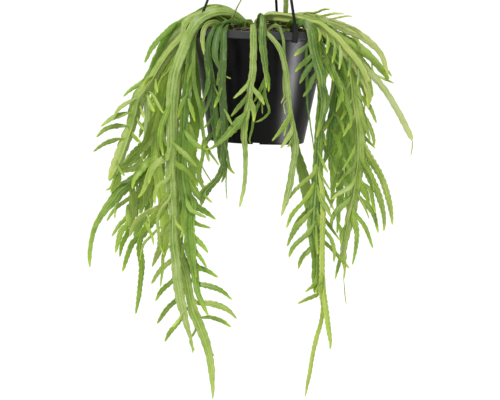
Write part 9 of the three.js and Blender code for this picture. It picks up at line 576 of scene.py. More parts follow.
        ("flat", 1, 0, [(-32.3,-50.6,-257.6,4.2,1,-.05,0), (-32.3,-50.6,-249.6,4.2,1,-.05,0), (-32.3,-50.6,-245.6,4.2,1,-.05,0), (-33,-54,-242.6,4.24,.9,-.05,.43), (-34.4,-57.6,-241.8,4.44,.79,-.23,.57), (-37.3,-65.4,-241.8,5.16,.79,-.41,.46), (-38.2,-68.4,-243.7,5.59,.89,-.42,.19), (-39.5,-73,-248,6.45,.96,-.26,.08), (-39.6,-74.9,-251,6.71,.96,-.25,.12), (-39.4,-78,-258.9,7.37,.96,-.26,.11), (-39.2,-80,-266.8,7.69,.96,-.25,.1), (-39.1,-83.5,-274.7,7.78,.97,-.21,.15), (-39,-86.2,-278.6,7.82,.97,-.22,.1), (-39,-86.6,-282.6,7.85,.98,-.21,0), (-39.2,-86.4,-290.6,7.81,.98,-.18,-.05), (-39.4,-85.8,-298.7,7.75,.99,-.14,-.04), (-39.1,-82.3,-306.9,7.92,.99,-.1,.04), (-38.4,-80,-314.9,8.13,1,-.05,.08), (-37.6,-78,-322.8,8.32,.99,.01,.12), (-36.6,-76.3,-330.6,8.54,.99,.06,.14), (-35.7,-74.6,-338.5,8.77,.99,.11,.13), (-34.9,-73.1,-346.3,8.8,.98,.16,.11), (-34.3,-71.5,-354.2,8.47,.97,.2,.1), (-33.9,-70.1,-362.1,8.14,.97,.23,.07), (-34.1,-68.8,-370,7.72,.96,.26,-.02), (-34.6,-67.5,-378,7.38,.96,.27,.01), (-34.6,-66.3,-385.9,7.62,.95,.28,.11), (-32.5,-64.4,-397.5,5.58,.95,.29,.14), (-32.5,-63.8,-401.4,4.72,.95,.3,-.06), (-33.3,-63.2,-405.1,3.65,.93,.3,-.22), (-35.9,-62,-412.4,1.53,.92,.26,-.28)],
         [37.6, 49.1, 60.5, 72.6, 82.1, 92.4, 101.8, 111, 121.3, 130.4, 140.9, 151.5, 161.9, 171.8, 182.7, 190.7, 201.3], [39, 49.5, 60.5, 71.8, 83.2, 94.9, 105.1, 115.8, 126.4, 139, 150.5, 162.6, 173.2, 183.5, 194.9, 204.9], 0),
        ("flat", 0, .4, [(-33.9,-69.4,-366.1,3.68,-.96,-.1,.26), (-34.3,-70.1,-368,3.82,-.98,-.15,-.11), (-31.9,-71.5,-375.8,3.82,-.96,-.17,-.22), (-30,-72.8,-383.8,2.62,-.97,-.16,-.18), (-28.6,-74.1,-391.9,3.1,-.97,-.14,-.21), (-27.4,-74.7,-395.8,3.42,-.87,-.14,-.47), (-24.7,-75.3,-398.8,2.6,-.68,-.16,-.72), (-21.4,-75.9,-401.2,1.66,-.6,-.17,-.78)],
         [9.2, 15.4, 22.2, 27.8, 33.9], [13.5, 19.8, 25.5, 31.5], 3.3),
        ("flat", 0, .4, [(-34.6,-66.3,-385.9,6.43,-.93,-.33,.14), (-36.1,-65.1,-393.9,6.64,-.94,-.33,.13), (-37.9,-64,-401.9,6.84,-.91,-.32,.26), (-41.7,-62.8,-409.1,6.97,-.79,-.33,.52), (-47.1,-61.7,-415.2,7.19,-.72,-.34,.61), (-52.4,-60.6,-420.6,10.79,-.75,-.37,.55), (-54.5,-60.1,-423.8,10.86,-.85,-.36,.38), (-55.8,-59.6,-427.4,9.22,-.92,-.35,.2), (-56.7,-58.7,-434.6,4.76,-.94,-.34,.01), (-56.9,-58.2,-438.2,2.46,-.94,-.34,.01)],
         [8, 13.9, 20.5, 27.3, 34.3, 40.6, 47.5, 53.3], [15.8, 22.7, 29.2, 35.7, 42.3, 48.6, 54.6], 3.2),
        ("flat", 0, .4, [(-52.4,-60.6,-420.6,4.88,-.96,.23,.17), (-53.4,-61.9,-424,4.88,-.96,.26,-.05), (-52.8,-63.3,-427.3,4.58,-.84,.19,-.51), (-50.5,-64.6,-429.8,3.61,-.63,.13,-.76), (-45,-67.1,-434.2,1.65,-.6,.12,-.79)],
         [10.9], [13.8], 4.5),
        ("flat", 0, .4, [(-33.3,-65,-393.6,1.95,-.93,.12,-.36), (-31.1,-66.1,-401.5,1.84,-.98,.13,-.12), (-31,-67.2,-409.6,1.38,-.99,.14,-.02), (-30.6,-68.3,-417.8,1.1,-.98,.13,-.11), (-29.7,-69.4,-425.9,1.02,-.98,.13,-.13), (-29.2,-69.9,-429.9,.98,-.98,.13,-.13)],
         [11.2, 16.9, 22.5, 28.5], [13.1, 18.5, 23.6, 29], 2.7),
        ("flat", 0, .4, [(-36.6,-76.3,-330.6,4.24,-.84,-.05,-.54), (-32.3,-79.3,-337.3,4.24,-.87,-.05,-.5), (-28.6,-82.4,-344.2,2.74,-.9,-.04,-.43), (-26.8,-83.8,-347.8,1.82,-.9,-.04,-.43)],
         [12.7], [15], 3.6),
        ("flat", 0, .4, [(-36.1,-75.4,-334.6,5.7,-.88,.28,.38), (-38.5,-73.4,-341.4,5.7,-.89,.27,.37), (-40.5,-71.3,-348.4,5.6,-.91,.28,.31), (-42,-69.3,-355.4,3.76,-.93,.28,.24), (-43.2,-67.4,-362.5,1.9,-.93,.28,.24)],
         [9.5, 16.1, 22.3], [14.7, 21.6], 3.6),
        ("flat", 0, .4, [(-39.1,-82.3,-306.9,5.01,-.94,.25,.23), (-41.6,-84.1,-314.7,4.86,-.94,.25,.24), (-44.2,-85.7,-322.4,3.9,-.93,.26,.28), (-46.9,-87.2,-330,1.88,-.92,.26,.29)],
         [11, 17.9], [13.2, 19.7], 3.3),
        ("flat", 0, .4, [(-39,-86.2,-278.6,4.3,-.94,.12,.31), (-39.6,-81.5,-282.3,4.39,-.94,.14,.31), (-40.5,-80.6,-285.8,4.55,-.95,.17,.28), (-42.2,-80.1,-292.6,4.86,-.96,.18,.24), (-43.5,-78.8,-299.6,3.47,-.96,.18,.19), (-44.7,-77.4,-306.6,1.84,-.97,.17,.19)],
         [11.5, 18.4, 24.2], [14.6, 21.5, 27.7], 3.3),
    ]),
    "stem_front_centre": (0.48, [
        ("flat", 1, 0, [(-8.2,-58,-257.3,4.2,1,.06,0), (-8.2,-58,-249.3,4.2,1,.06,0), (-8.2,-58,-245.3,4.2,1,.06,0), (-8.3,-60.8,-242.1,4.24,.99,.06,.09), (-8.3,-63.8,-240.4,4.48,.99,.03,.11), (-8.4,-66.9,-239.3,4.88,.99,.02,.11), (-8.4,-70,-238.9,5.43,.99,.01,.11), (-8.2,-73.1,-240.7,5.94,.99,-.02,.13), (-7.7,-79.2,-245.8,7.27,.99,-.07,.13), (-7.5,-82,-249.7,7.35,.99,-.09,.1), (-7.3,-82.8,-253.6,7.42,.99,-.11,.07), (-7,-82.9,-257.6,7.5,.99,-.12,.04), (-6.7,-81.8,-265.6,7.67,.99,-.14,.01), (-6.8,-81.4,-277.5,7.49,.98,-.18,.01), (-6.6,-81.3,-289.5,7.94,.97,-.23,-.11), (-8.4,-80.8,-301.3,7.98,.95,-.29,-.1), (-9.1,-79.7,-313,7.64,.94,-.34,-.09), (-10.1,-78.4,-324.8,7.38,.91,-.38,-.18), (-12.2,-76.8,-336.4,8.31,.88,-.43,-.21), (-13.8,-75.3,-348.1,8.63,.88,-.46,-.14), (-14.1,-73.8,-359.9,8.22,.87,-.49,.01), (-12.3,-72.3,-371.6,6.61,.87,-.49,.07), (-11.2,-70.8,-383.3,5.86,.88,-.48,-.02), (-10.8,-69.4,-395.2,5.36,.89,-.46,-.03), (-10.7,-67.9,-407,4.75,.9,-.43,-.08), (-11.7,-66.4,-418.8,4.61,.9,-.38,-.2), (-14,-65,-430.4,3.59,.92,-.34,-.21), (-15.4,-64,-438,1.75,.93,-.3,-.2)],
         [36.3, 46.7, 58.1, 69, 80.4, 90.5, 106.3, 116.6, 126.1, 137.3, 148.4, 159.1, 169.7, 179.5, 191.1, 202.1, 213.3, 224.6], [26.7, 38.5, 48.8, 60, 71.3, 83, 94.4, 106.3, 115.7, 124.4, 134.1, 145.6, 156.8, 167.4, 178.1, 188, 197.8, 207.9, 218.8], 0),
        ("flat", 0, -.05, [(-11.5,-77.3,-332.5,8.48,-.84,.04,.55), (-15.9,-78.3,-339.1,9.64,-.83,.04,.55), (-20.5,-79.3,-345.6,10.22,-.79,.04,.61), (-25.5,-80.3,-351.8,9.49,-.79,.04,.61), (-30.3,-81.5,-357.9,7.26,-.75,.05,.66), (-35.8,-82.5,-363.3,5.42,-.7,.05,.71), (-41.5,-83.5,-368.8,4.14,-.66,.05,.75), (-47.8,-84.5,-373.5,2.53,-.45,.06,.89), (-51.6,-84.9,-374.8,1.94,-.24,.07,.97), (-55.5,-85.4,-375.4,1.45,-.15,.06,.99)],
         [9.4, 15.3, 21.4, 27.6, 33.5, 39.6, 46.3, 52.4, 58.5], [15.9, 22.9, 29.4, 35.6, 41.4, 47.7, 54.4], 3.4),
        ("flat", 0, -.05, [(-8,-81.1,-297.3,4.68,-.5,.5,.71), (-10.2,-81.9,-298.3,4.83,-.8,.43,.43), (-11.4,-82.7,-302,5.08,-.87,.4,.29), (-15.5,-84.3,-308.4,4.98,-.77,.4,.49), (-20.7,-85.9,-313.8,3.64,-.68,.41,.6), (-26.3,-87.5,-318.9,2,-.67,.42,.61)],
         [9.6, 16.5, 22.9], [13.2, 19.9, 26.1], 3.4),
        ("flat", 0, -.05, [(-9.1,-79.7,-313,5.01,-.37,-.37,.85), (-11.1,-78.9,-313.6,5.19,-.76,-.28,.59), (-12.8,-78.2,-317.1,5.47,-.88,-.25,.41), (-16.8,-76.7,-323.8,5.2,-.82,-.25,.51), (-21.6,-75.3,-329.9,4.63,-.79,-.26,.56), (-26.1,-73.9,-336.2,2.97,-.82,-.26,.51), (-28.3,-73.2,-339.3,1.88,-.82,-.26,.51)],
         [9.1, 15.2, 21.5, 27.9], [14.5, 21.2, 27.9], 3.2),
        ("flat", 0, -.05, [(-8.4,-80.8,-301.3,5.46,-.96,-.04,-.28), (-4.8,-83.3,-308.5,5.99,-.78,-.08,-.62), (.8,-86,-314.5,5.54,-.78,-.09,-.62), (5.4,-86.6,-321.2,3.23,-.86,-.08,-.51), (7.4,-87,-324.7,1.82,-.86,-.08,-.5)],
         [12.1, 18, 23.8], [12.3, 18.6, 24.7], 3.4),
        ("flat", 0, -.05, [(-9.1,-79.7,-313,5.57,-.95,.21,-.25), (-7.4,-81.8,-320.8,6.01,-.93,.2,-.31), (-4.9,-83.9,-328.2,5.76,-.92,.18,-.35), (-3.4,-85.9,-335.8,4.53,-.98,.19,-.08), (-3.7,-87.8,-343.4,1.86,-.98,.2,0)],
         [11.8, 18.6, 25.1], [14.7, 21, 26.7], 3.2),
        ("flat", 0, -.05, [(-12.9,-76.3,-340.3,4.02,-.8,.37,-.47), (-10.7,-79,-347.6,4.02,-.91,.37,-.21), (-10.8,-80.3,-351.4,3.64,-.92,.39,0), (-12.9,-82.8,-358.7,2.01,-.9,.41,.14)],
         [10.6], [13.5], 3.6),
    ]),
    "stem_front_looped": (0.15, [
        ("flat", 1, 0, [(-15.9,-34,-253.6,4.2,.92,.4,0), (-15.9,-34,-245.6,4.2,.92,.4,0), (-15.9,-34,-241.6,4.2,.92,.4,0), (-14.6,-36.4,-239.2,4.2,.63,.28,-.72), (-11.6,-39.1,-239.8,4.14,.06,.32,-.95), (-6.1,-44.7,-241.4,3.75,-.07,.02,-1), (-3.9,-47.6,-241.2,3.57,.26,-.26,-.93), (-3.3,-50.6,-239,3.85,.62,-.38,-.68), (-2.2,-56.5,-234.6,4.81,.88,-.19,-.44), (-1.1,-62.6,-230.3,5.89,.87,.02,-.5), (.3,-65.7,-228.9,6.52,.7,.2,-.68), (2.2,-68.7,-228.7,7.16,.5,.39,-.77), (2.6,-71.8,-230.5,7.29,.74,.41,-.54), (2.6,-74.8,-232.6,7.43,.9,.28,-.34), (2.5,-80.3,-238.4,7.91,.99,.1,-.1), (2.4,-81.6,-241.5,8.21,1,.07,-.07), (2.2,-82.2,-244.5,8.25,1,.05,-.05), (2.2,-82.4,-252,8.26,1,.04,.05), (3,-84,-259.8,8.26,.99,.06,.14), (4.9,-85.6,-271.4,7.67,.99,.07,.13), (6.7,-86.1,-283,6.31,.98,.1,.15), (8.1,-86.1,-294.6,4.07,.99,.14,.09), (8.9,-86,-306.3,1.68,.98,.18,.05)],
         [35.4, 46.7, 58.5, 68.9, 79.9, 92, 103.9, 115.1, 125.9, 133.7], [29.4, 41.4, 52.4, 62.7, 73.9, 85, 95.6, 106.6, 118.1, 129], 0),
        ("flat", 0, .1, [(6.7,-86.1,-283,3.77,-.88,-.27,-.4), (9.6,-87.9,-290.4,3.66,-.96,-.24,-.16), (10.9,-89.8,-298.3,3.43,-.97,-.25,-.07), (11.4,-91.6,-306.2,2.46,-.96,-.25,.08), (11.2,-92.5,-310.2,1.51,-.96,-.25,.12)],
         [10.5, 16.6, 22.3], [14, 20.4], 2.6),
        ("flat", 0, .1, [(8.4,-86.1,-298.5,3.27,-.91,.37,.21), (7.3,-85.4,-306.1,3.27,-.92,.37,.09), (7.6,-84.7,-313.8,3.27,-.92,.37,-.09), (9.6,-83.9,-321.3,3.27,-.87,.39,-.3), (12.3,-83.2,-328.5,3.2,-.89,.43,-.13), (12.6,-82.9,-332.3,3.06,-.88,.42,.25), (10.6,-82.6,-335.6,2.89,-.71,.39,.58), (4.9,-81.9,-340.8,2.46,-.48,.39,.79), (1.5,-81.6,-342.6,2.08,-.32,.38,.87), (-2.1,-81.3,-343.8,1.57,-.24,.38,.89)],
         [11.3, 17.8, 23.8, 30.1, 36.5, 42.8, 48.6], [11.6, 18.6, 25.2, 30.9, 36.5, 42.9, 49.5], 1.4),
        ("flat", 0, .1, [(7.7,-86.1,-290.8,4.57,-.89,.37,.25), (6.4,-84.2,-298.2,4.57,-.87,.38,.31), (4,-82.2,-305.4,4.57,-.82,.37,.43), (1,-80.3,-312.3,4.11,-.8,.36,.47), (-2.3,-78.5,-319,2.68,-.79,.36,.49), (-4,-77.6,-322.4,1.96,-.79,.36,.49)],
         [12.6, 18.6, 25.2, 30.9], [15.1, 21.4, 28.1], 2),
        ("flat", 0, .1, [(8.9,-86,-306.3,3.92,-.78,.35,.51), (5.5,-83,-313.7,3.92,-.82,.36,.45), (2.4,-81.9,-321,3.92,-.83,.37,.42), (-.7,-80.5,-328.4,3.92,-.85,.38,.38), (-2.8,-79,-336.1,3.75,-.89,.38,.24), (-4,-77.5,-344.1,3.29,-.91,.38,.18), (-4.9,-76.1,-352.1,2.68,-.9,.37,.22), (-6.7,-74.6,-359.9,2.2,-.9,.37,.25), (-7.3,-73.9,-363.9,1.98,-.92,.4,0), (-6.1,-73.2,-367.8,1.57,-.89,.41,-.21)],
         [11.2, 18, 24.5, 30.5, 37.1, 43, 49.2, 55.4, 61.4], [13, 19.8, 26, 31.7, 37.8, 44.2, 50.1, 56.2], .7),
        ("flat", 0, .1, [(7.3,-85,-310,2.67,-.87,.41,.26), (6,-83.1,-317.1,2.51,-.88,.4,.27), (4.9,-81.3,-324.2,2.35,-.9,.39,.18), (5.2,-79.5,-331.4,1.73,-.91,.41,-.01), (5.6,-78.6,-335,1.34,-.91,.41,-.02)],
         [10.4, 16.6, 22.3], [12.1, 18.3], 1.4),
    ]),
    "stem_front_thin": (0.2, [
        ("flat", 1, 0, [(3.7,-52,-256,4.2,.93,.37,0), (3.7,-52,-248,4.2,.93,.37,0), (3.7,-52,-244,4.2,.93,.37,0), (4.3,-54.3,-242.5,4.2,.93,.37,-.05), (5.5,-56.7,-244.6,4.08,.88,.41,.23), (7.2,-59.1,-245.2,3.83,.44,.61,.66), (9.6,-61.3,-243,3.6,-.15,.63,.76), (15.6,-65.7,-239.2,3.11,0,.26,.96), (18.3,-68,-239.4,2.9,.37,.11,.92), (20.1,-70.3,-240.5,2.91,.72,.01,.7), (21.2,-72.4,-242.4,2.93,.92,.04,.4), (22.2,-74.2,-244.8,2.96,.94,.15,.3), (23.6,-75.5,-248.5,3.06,.94,.22,.26), (25.5,-77.1,-256.2,3.21,.96,.25,.09), (26.1,-78,-264.2,3.19,.96,.26,.07), (27.2,-78.5,-272.1,3.16,.96,.24,.12), (27.7,-78.4,-284.1,3.01,.98,.2,-.02), (27.4,-78.1,-292.1,2.84,.99,.16,-.02), (27.4,-77.7,-300.1,2.71,.99,.13,.03), (27.9,-77.1,-308.1,2.62,.98,.08,.19), (28.6,-76.6,-315.8,2.06,.96,.07,-.26), (26.9,-76.3,-319.4,1.69,.9,.05,-.42), (25.2,-76,-323,1.32,.9,.02,-.44)],
         [30.8, 42.1, 52, 61.7, 71.7, 82, 93, 103.3, 113.5], [34.8, 46.3, 57.3, 68.2, 79, 89, 100.2, 111.4], 0),
    ]),
    "stem_front_right": (0.5, [
        ("flat", 1, 0, [(1.5,-60,-257.6,4.2,1,0,0), (1.5,-60,-249.6,4.2,1,0,0), (1.5,-60,-245.6,4.2,1,0,0), (1.9,-62.6,-242.4,4.21,.97,0,-.24), (2.7,-65.5,-241,4.25,.92,.12,-.38), (3.5,-68.5,-240.1,4.28,.88,.18,-.43), (4.4,-71.6,-239.9,4.32,.9,.31,-.32), (5,-74.5,-241.7,4.36,.95,.28,-.11), (5.5,-77,-244.2,4.4,.97,.24,.1), (6.5,-78.2,-246.6,4.43,.82,.27,.5), (9,-79.1,-248.8,4.49,.68,.24,.69), (14.5,-81.2,-254.4,5.02,.79,.15,.6), (19.5,-82.3,-260.5,5.42,.79,.13,.6), (23.4,-82.9,-267.4,5.62,.93,.12,.36), (27.1,-83.2,-278.7,6,.95,.09,.29), (29.8,-83.1,-290.3,6.35,.99,.06,.14), (31.3,-82.3,-302.1,6.23,.99,.02,.12), (32.7,-80.9,-313.8,5.95,.99,-.03,.11), (34.3,-79.3,-325.5,5.59,.98,-.08,.17), (36.8,-77.6,-337.1,5.16,.97,-.12,.22), (39.6,-76,-348.5,5.5,.97,-.16,.19), (41.6,-74.4,-360.1,7.02,.98,-.19,.11), (42.6,-73.1,-371.9,7.78,.98,-.21,-.02), (41.7,-71.9,-383.8,7.12,.97,-.22,-.14), (40,-70.8,-395.6,7.32,.97,-.22,-.15), (38.8,-69.7,-407.4,7.27,.97,-.2,-.13), (36.7,-68.8,-419.1,7.25,.96,-.17,-.21), (34.3,-67.8,-430.7,6.03,.96,-.14,-.24), (31.3,-66.4,-441.9,2.97,.96,-.1,-.28), (30.3,-66,-445.6,1.86,.96,-.08,-.28)],
         [27, 38.2, 50.1, 61.1, 71.9, 83.1, 93.8, 104.6, 115, 123, 130.9, 138.9, 150.8, 162.3, 172.6, 182.3, 193.4, 204.1, 215.5, 226.8, 237.5], [36.2, 47.3, 59.4, 71.1, 81.8, 91.9, 102.3, 112.3, 123.9, 135.9, 146.8, 157.2, 167, 178.3, 189.3, 200.5, 211.9, 223.1, 233.4], 0),
        ("flat", 0, .1, [(34.3,-79.3,-325.5,4.65,-.9,-.43,-.09), (35.5,-80.5,-333.4,5.04,-.89,-.45,.12), (34.5,-81.1,-337.2,5.18,-.81,-.42,.41), (30.5,-82.4,-344,5.25,-.76,-.41,.5), (26.5,-83.5,-350.8,4.97,-.73,-.41,.55), (21.9,-84.7,-357.2,3.52,-.68,-.41,.6), (17,-85.8,-363.3,1.99,-.68,-.41,.61)],
         [11.8, 18.3, 24.4, 31, 36.9], [12.9, 19.6, 25.6, 32, 38.4], 2.3),
        ("flat", 0, .1, [(35.9,-78.2,-333.2,2.74,-.47,.09,.88), (34.6,-77.5,-334,2.74,-.88,.21,.43), (33.9,-76.8,-338.1,2.74,-.95,.24,.21), (32.3,-75.4,-346.1,2.58,-.94,.24,.23), (30.7,-74,-354.2,1.95,-.94,.24,.23), (29.8,-73.4,-358.2,1.5,-.94,.24,.23)],
         [9.5, 15, 20.1], [13.1, 18.9], 2.2),
        ("flat", 0, .1, [(37.7,-77.1,-340.9,4.32,-.98,.18,-.12), (38.3,-78.6,-348.4,4.68,-.99,.17,.03), (37.6,-79.3,-352.1,5.04,-.95,.18,.24), (34.5,-80.8,-358.8,5.5,-.88,.19,.44), (30.6,-82.2,-365.1,3.8,-.84,.2,.51), (26.5,-83.5,-371.2,2.09,-.84,.2,.51)],
         [9.6, 16.5, 22.7, 28.7], [12.7, 19.6, 25.5], 2.2),
        ("flat", 0, .1, [(40.4,-75.4,-352.4,3.6,-.95,-.3,-.05), (39.6,-72.8,-360.2,3.58,-.94,-.3,.17), (36.1,-70.2,-367.3,2.64,-.87,-.33,.37), (34.1,-68.9,-370.8,2.16,-.87,-.33,.37)],
         [10.7, 16.9], [15.8], 2.5),
        ("flat", 0, .1, [(33.1,-80.4,-317.8,1.83,-.57,-.05,.82), (30,-81.4,-320,1.83,-.74,-.03,.67), (28.2,-82.4,-323.3,1.77,-.98,-.07,.2), (28.6,-83.4,-327.1,1.59,-.98,-.12,-.15), (30.5,-85.3,-334.7,1.22,-.97,-.12,-.2)],
         [10.1, 15.8], [11.8], 2.5),
        ("flat", 0, .1, [(39.6,-76,-348.5,4.47,-.93,.31,-.21), (42,-73.6,-355.5,4.36,-.93,.31,-.2), (44.2,-71.3,-362.5,4.18,-.94,.31,-.14), (45.7,-69,-369.6,2.68,-.95,.31,-.08), (46.3,-67.9,-373.2,1.92,-.95,.31,-.09)],
         [12.1, 18.8], [14.9, 21.2], 2.3),
    ]),
    "stem_right_front_short": (0.15, [
        ("flat", 1, 0, [(37.2,-47.1,-257.6,4.2,.97,-.23,0), (37.2,-47.1,-249.6,4.2,.97,-.23,0), (37.2,-47.1,-245.6,4.2,.97,-.23,0), (38,-51.4,-241.8,4.32,.79,-.19,-.58), (40,-56.1,-238.9,4.69,.64,-.19,-.74), (42.1,-58,-236.5,5.04,.58,-.3,-.75), (44.5,-58.2,-234.6,5.42,.4,-.34,-.85), (46.9,-59.5,-233.7,5.82,-.34,-.17,-.92), (49,-61.1,-235.7,7.13,-.76,-.16,-.63), (52.9,-64.2,-240.7,9.02,-.89,-.28,-.37), (55.6,-66.9,-247.3,10.16,-.94,-.31,-.15), (56.9,-68.6,-254.9,10.52,-.94,-.33,-.08), (58.2,-69.4,-262.8,10.21,-.93,-.32,-.19), (60.3,-69.8,-270.6,9.8,-.92,-.3,-.26), (62.8,-69.9,-278.3,9.76,-.91,-.27,-.32), (65.7,-69.9,-285.8,10.28,-.91,-.25,-.34), (67.9,-69.8,-293.5,10.1,-.96,-.23,-.18), (68.9,-69.6,-301.5,8.67,-.97,-.21,-.16), (70.8,-69.2,-309.2,8.91,-.93,-.18,-.31), (72.9,-68.5,-316.8,10.39,-.97,-.18,-.15), (73.1,-68.2,-320.7,9.91,-.98,-.18,.01), (71.5,-67,-332.5,7.45,-.98,-.16,.16), (69.9,-66.2,-340.3,6.35,-.97,-.15,.21), (66.9,-64.9,-351.7,3.72,-.97,-.15,.21), (65.3,-64,-359.4,1.67,-.97,-.16,.19)],
         [39.8, 50.7, 60.7, 71.9, 84, 95.7, 107.6, 118.5, 128.8, 138.8, 149, 160.4], [32.9, 44.6, 55.2, 67.3, 75.4, 91.6, 102.9, 112.7, 122.5, 132.7, 144, 154.2], 0),
        ("flat", 0, -.2, [(56.9,-68.6,-254.9,4.85,-.19,.17,.97), (54.7,-69.4,-255.2,5.01,-.63,.09,.77), (49.3,-71.2,-261,5.27,-.65,.08,.76), (43,-73.1,-266.1,5.03,-.66,.07,.75), (37.3,-74.9,-271.1,1.82,-.68,.06,.73)],
         [11.7, 18.3], [14.8, 21.6], 4.4),
        ("flat", 0, -.2, [(58.2,-69.4,-262.8,5.92,-.88,-.39,.27), (55.4,-70.9,-270.5,6.48,-.74,-.36,.57), (49.9,-72.5,-276.6,6.43,-.57,-.36,.73), (43.9,-74.2,-282.1,5.21,-.64,-.39,.67), (39,-75.8,-288.4,1.97,-.68,-.39,.62)],
         [9.2, 15.7, 21.5, 27.5], [12.7, 19.5, 26.2], 4.3),
        ("flat", 0, -.2, [(60.3,-69.8,-270.6,5.49,-.95,.13,.28), (57.6,-71.1,-277.9,5.99,-.89,.14,.43), (53.4,-72.6,-284.5,6.05,-.83,.14,.54), (49.1,-74.1,-290.9,5.66,-.87,.12,.48), (45.9,-75.5,-297.7,3.15,-.92,.12,.38), (44.4,-76.2,-301.1,1.83,-.92,.12,.38)],
         [12.3, 18.8, 25.2, 31.3], [15.2, 22.1, 27.9], 4.1),
        ("flat", 0, -.2, [(68.9,-69.6,-301.5,3.72,-.94,-.03,.35), (68.4,-70.7,-302.8,3.84,-.97,-.18,-.15), (70.1,-71.7,-306.4,4.03,-.92,-.23,-.32), (72.4,-73.9,-313.9,3.63,-.97,-.22,-.11), (73.3,-76.1,-321.7,1.86,-.98,-.21,-.05)],
         [9.5, 16.3], [13.7], 3.6),
        ("flat", 0, -.2, [(65.7,-69.9,-285.8,5.97,-.4,.47,.79), (62.5,-70.6,-287,6.06,-.66,.45,.6), (60.5,-71.4,-290.5,6.25,-.84,.41,.35), (57.2,-72.9,-297.7,6.41,-.88,.4,.26), (54.7,-74.3,-305.2,5.56,-.88,.39,.27), (50.9,-75.7,-311.9,3.36,-.79,.4,.46), (48.7,-76.4,-315,1.99,-.78,.4,.47)],
         [11.7, 18.5, 24.5, 30.6], [15.2, 21.8, 27.7], 4.3),
        ("flat", 0, -.2, [(56.3,-67.9,-250.9,3.67,-.45,-.15,.88), (53.1,-67.9,-252.5,3.67,-.77,-.16,.62), (51.9,-68,-256.4,3.67,-.96,-.17,.24), (50.6,-68.4,-264.4,3.67,-.98,-.16,.09), (50.7,-68.9,-272.4,3.67,-.99,-.15,-.06), (51.3,-69.4,-280.5,3.63,-.99,-.15,-.06), (51.8,-69.8,-288.5,3.54,-.99,-.15,-.06), (52.3,-70.3,-296.6,3.44,-.99,-.15,-.04), (52.7,-70.8,-304.6,3.08,-.99,-.15,-.02), (52.9,-71.2,-312.7,2.72,-.99,-.15,-.04), (53.5,-71.7,-320.7,2.29,-.98,-.15,-.09), (54.6,-72.1,-328.7,1.85,-.97,-.15,-.18), (56.4,-72.5,-336.5,1.58,-.97,-.15,-.2), (57.8,-72.9,-344.5,1.57,-.98,-.15,-.15), (59.1,-73.2,-352.4,1.54,-.97,-.15,-.19), (60.9,-73.6,-360.3,1.34,-.97,-.15,-.18), (62,-74,-368.3,1.17,-.99,-.15,-.09), (62.4,-74.1,-372.3,1.1,-.99,-.15,-.08)],
         [11.7, 18.2, 24.4, 30.5, 36.1, 41.9, 48.6, 55.1, 61, 67.6, 73.5, 80, 86.5, 92.2, 98, 104.7, 110.6, 116.3], [12.6, 19, 25.1, 31.3, 37.3, 43.1, 49.7, 55.6, 61.8, 68.4, 74.8, 80.7, 86.5, 92.5, 98.9, 104.5, 110.9, 117.4], 4.4),
    ]),
    "stem_right_front_long": (0.3, [
        ("flat", 1, 0, [(29.8,-36,-255,4.2,1,.02,0), (29.8,-36,-247,4.2,1,.02,0), (29.8,-36,-243,4.2,1,.02,0), (30.5,-40.2,-239.2,4.31,.94,.02,-.35), (32.4,-43.3,-236.4,4.9,.72,.07,-.69), (35,-45.6,-235.1,5.49,.34,.1,-.93), (37.7,-47.9,-234.9,6.06,.09,.02,-1), (43.2,-51.9,-235,7.38,-.23,-.12,-.97), (46,-52.8,-235.7,7.84,-.37,-.17,-.91), (52.5,-55.4,-238.8,8.79,-.59,-.25,-.77), (55.5,-55.9,-241.2,9.09,-.72,-.29,-.63), (57.7,-55.9,-244.6,9.39,-.87,-.32,-.38), (59,-56.6,-248.5,9.7,-.92,-.35,-.19), (60.2,-57.3,-256.6,9.99,-.92,-.4,-.07), (61.5,-58.8,-264.5,10.26,-.9,-.44,-.09), (63.5,-60.2,-276.2,12.25,-.87,-.47,-.1), (65.5,-61,-287.9,12.9,-.86,-.49,-.11), (67.4,-62,-299.7,11.15,-.87,-.48,-.1), (68.5,-61.4,-311.6,9.16,-.89,-.46,-.08), (68.2,-60.8,-323.6,9.31,-.91,-.41,.06), (67.7,-60.5,-335.6,9.97,-.94,-.35,.01), (67.7,-60.4,-343.6,9.91,-.95,-.3,0), (67.6,-60.2,-351.6,9.88,-.97,-.25,0), (67.5,-60.1,-359.6,9.88,-.98,-.2,.01), (67.5,-60,-367.7,9.91,-.99,-.15,.01), (67.4,-59.8,-375.7,9.87,-.99,-.11,.01), (67.3,-59.5,-383.7,9.67,-1,-.07,.01), (67.2,-59.2,-391.7,9.48,-1,-.04,.01), (67,-58.8,-403.7,10.6,-1,-.01,.01), (66.8,-58.4,-415.6,12.19,-1,-.01,.03), (66.4,-58.1,-423.6,12.77,-1,-.02,.05), (66,-57.8,-431.6,13.29,-1,-.05,.05), (65.6,-57.5,-439.6,13.76,-1,-.08,.04), (65.3,-57.1,-447.6,13.8,-.99,-.12,.03), (65.2,-56.8,-455.6,13.88,-.99,-.16,-.03), (65.8,-56.5,-463.6,13.79,-.97,-.21,-.15), (67.4,-56.2,-471.4,13.41,-.94,-.26,-.23), (69.1,-55.9,-479.3,13.05,-.93,-.31,-.17), (70.1,-55.6,-487.2,12.66,-.93,-.36,-.09), (70.6,-55.3,-495.2,12.25,-.91,-.4,-.05), (70.8,-55,-503.2,11.79,-.9,-.44,-.03), (70.5,-54.6,-515.1,10.37,-.88,-.47,.01), (70.3,-54.1,-526.3,4.95,-.87,-.49,0), (70.2,-54,-529.9,2.83,-.87,-.49,0)],
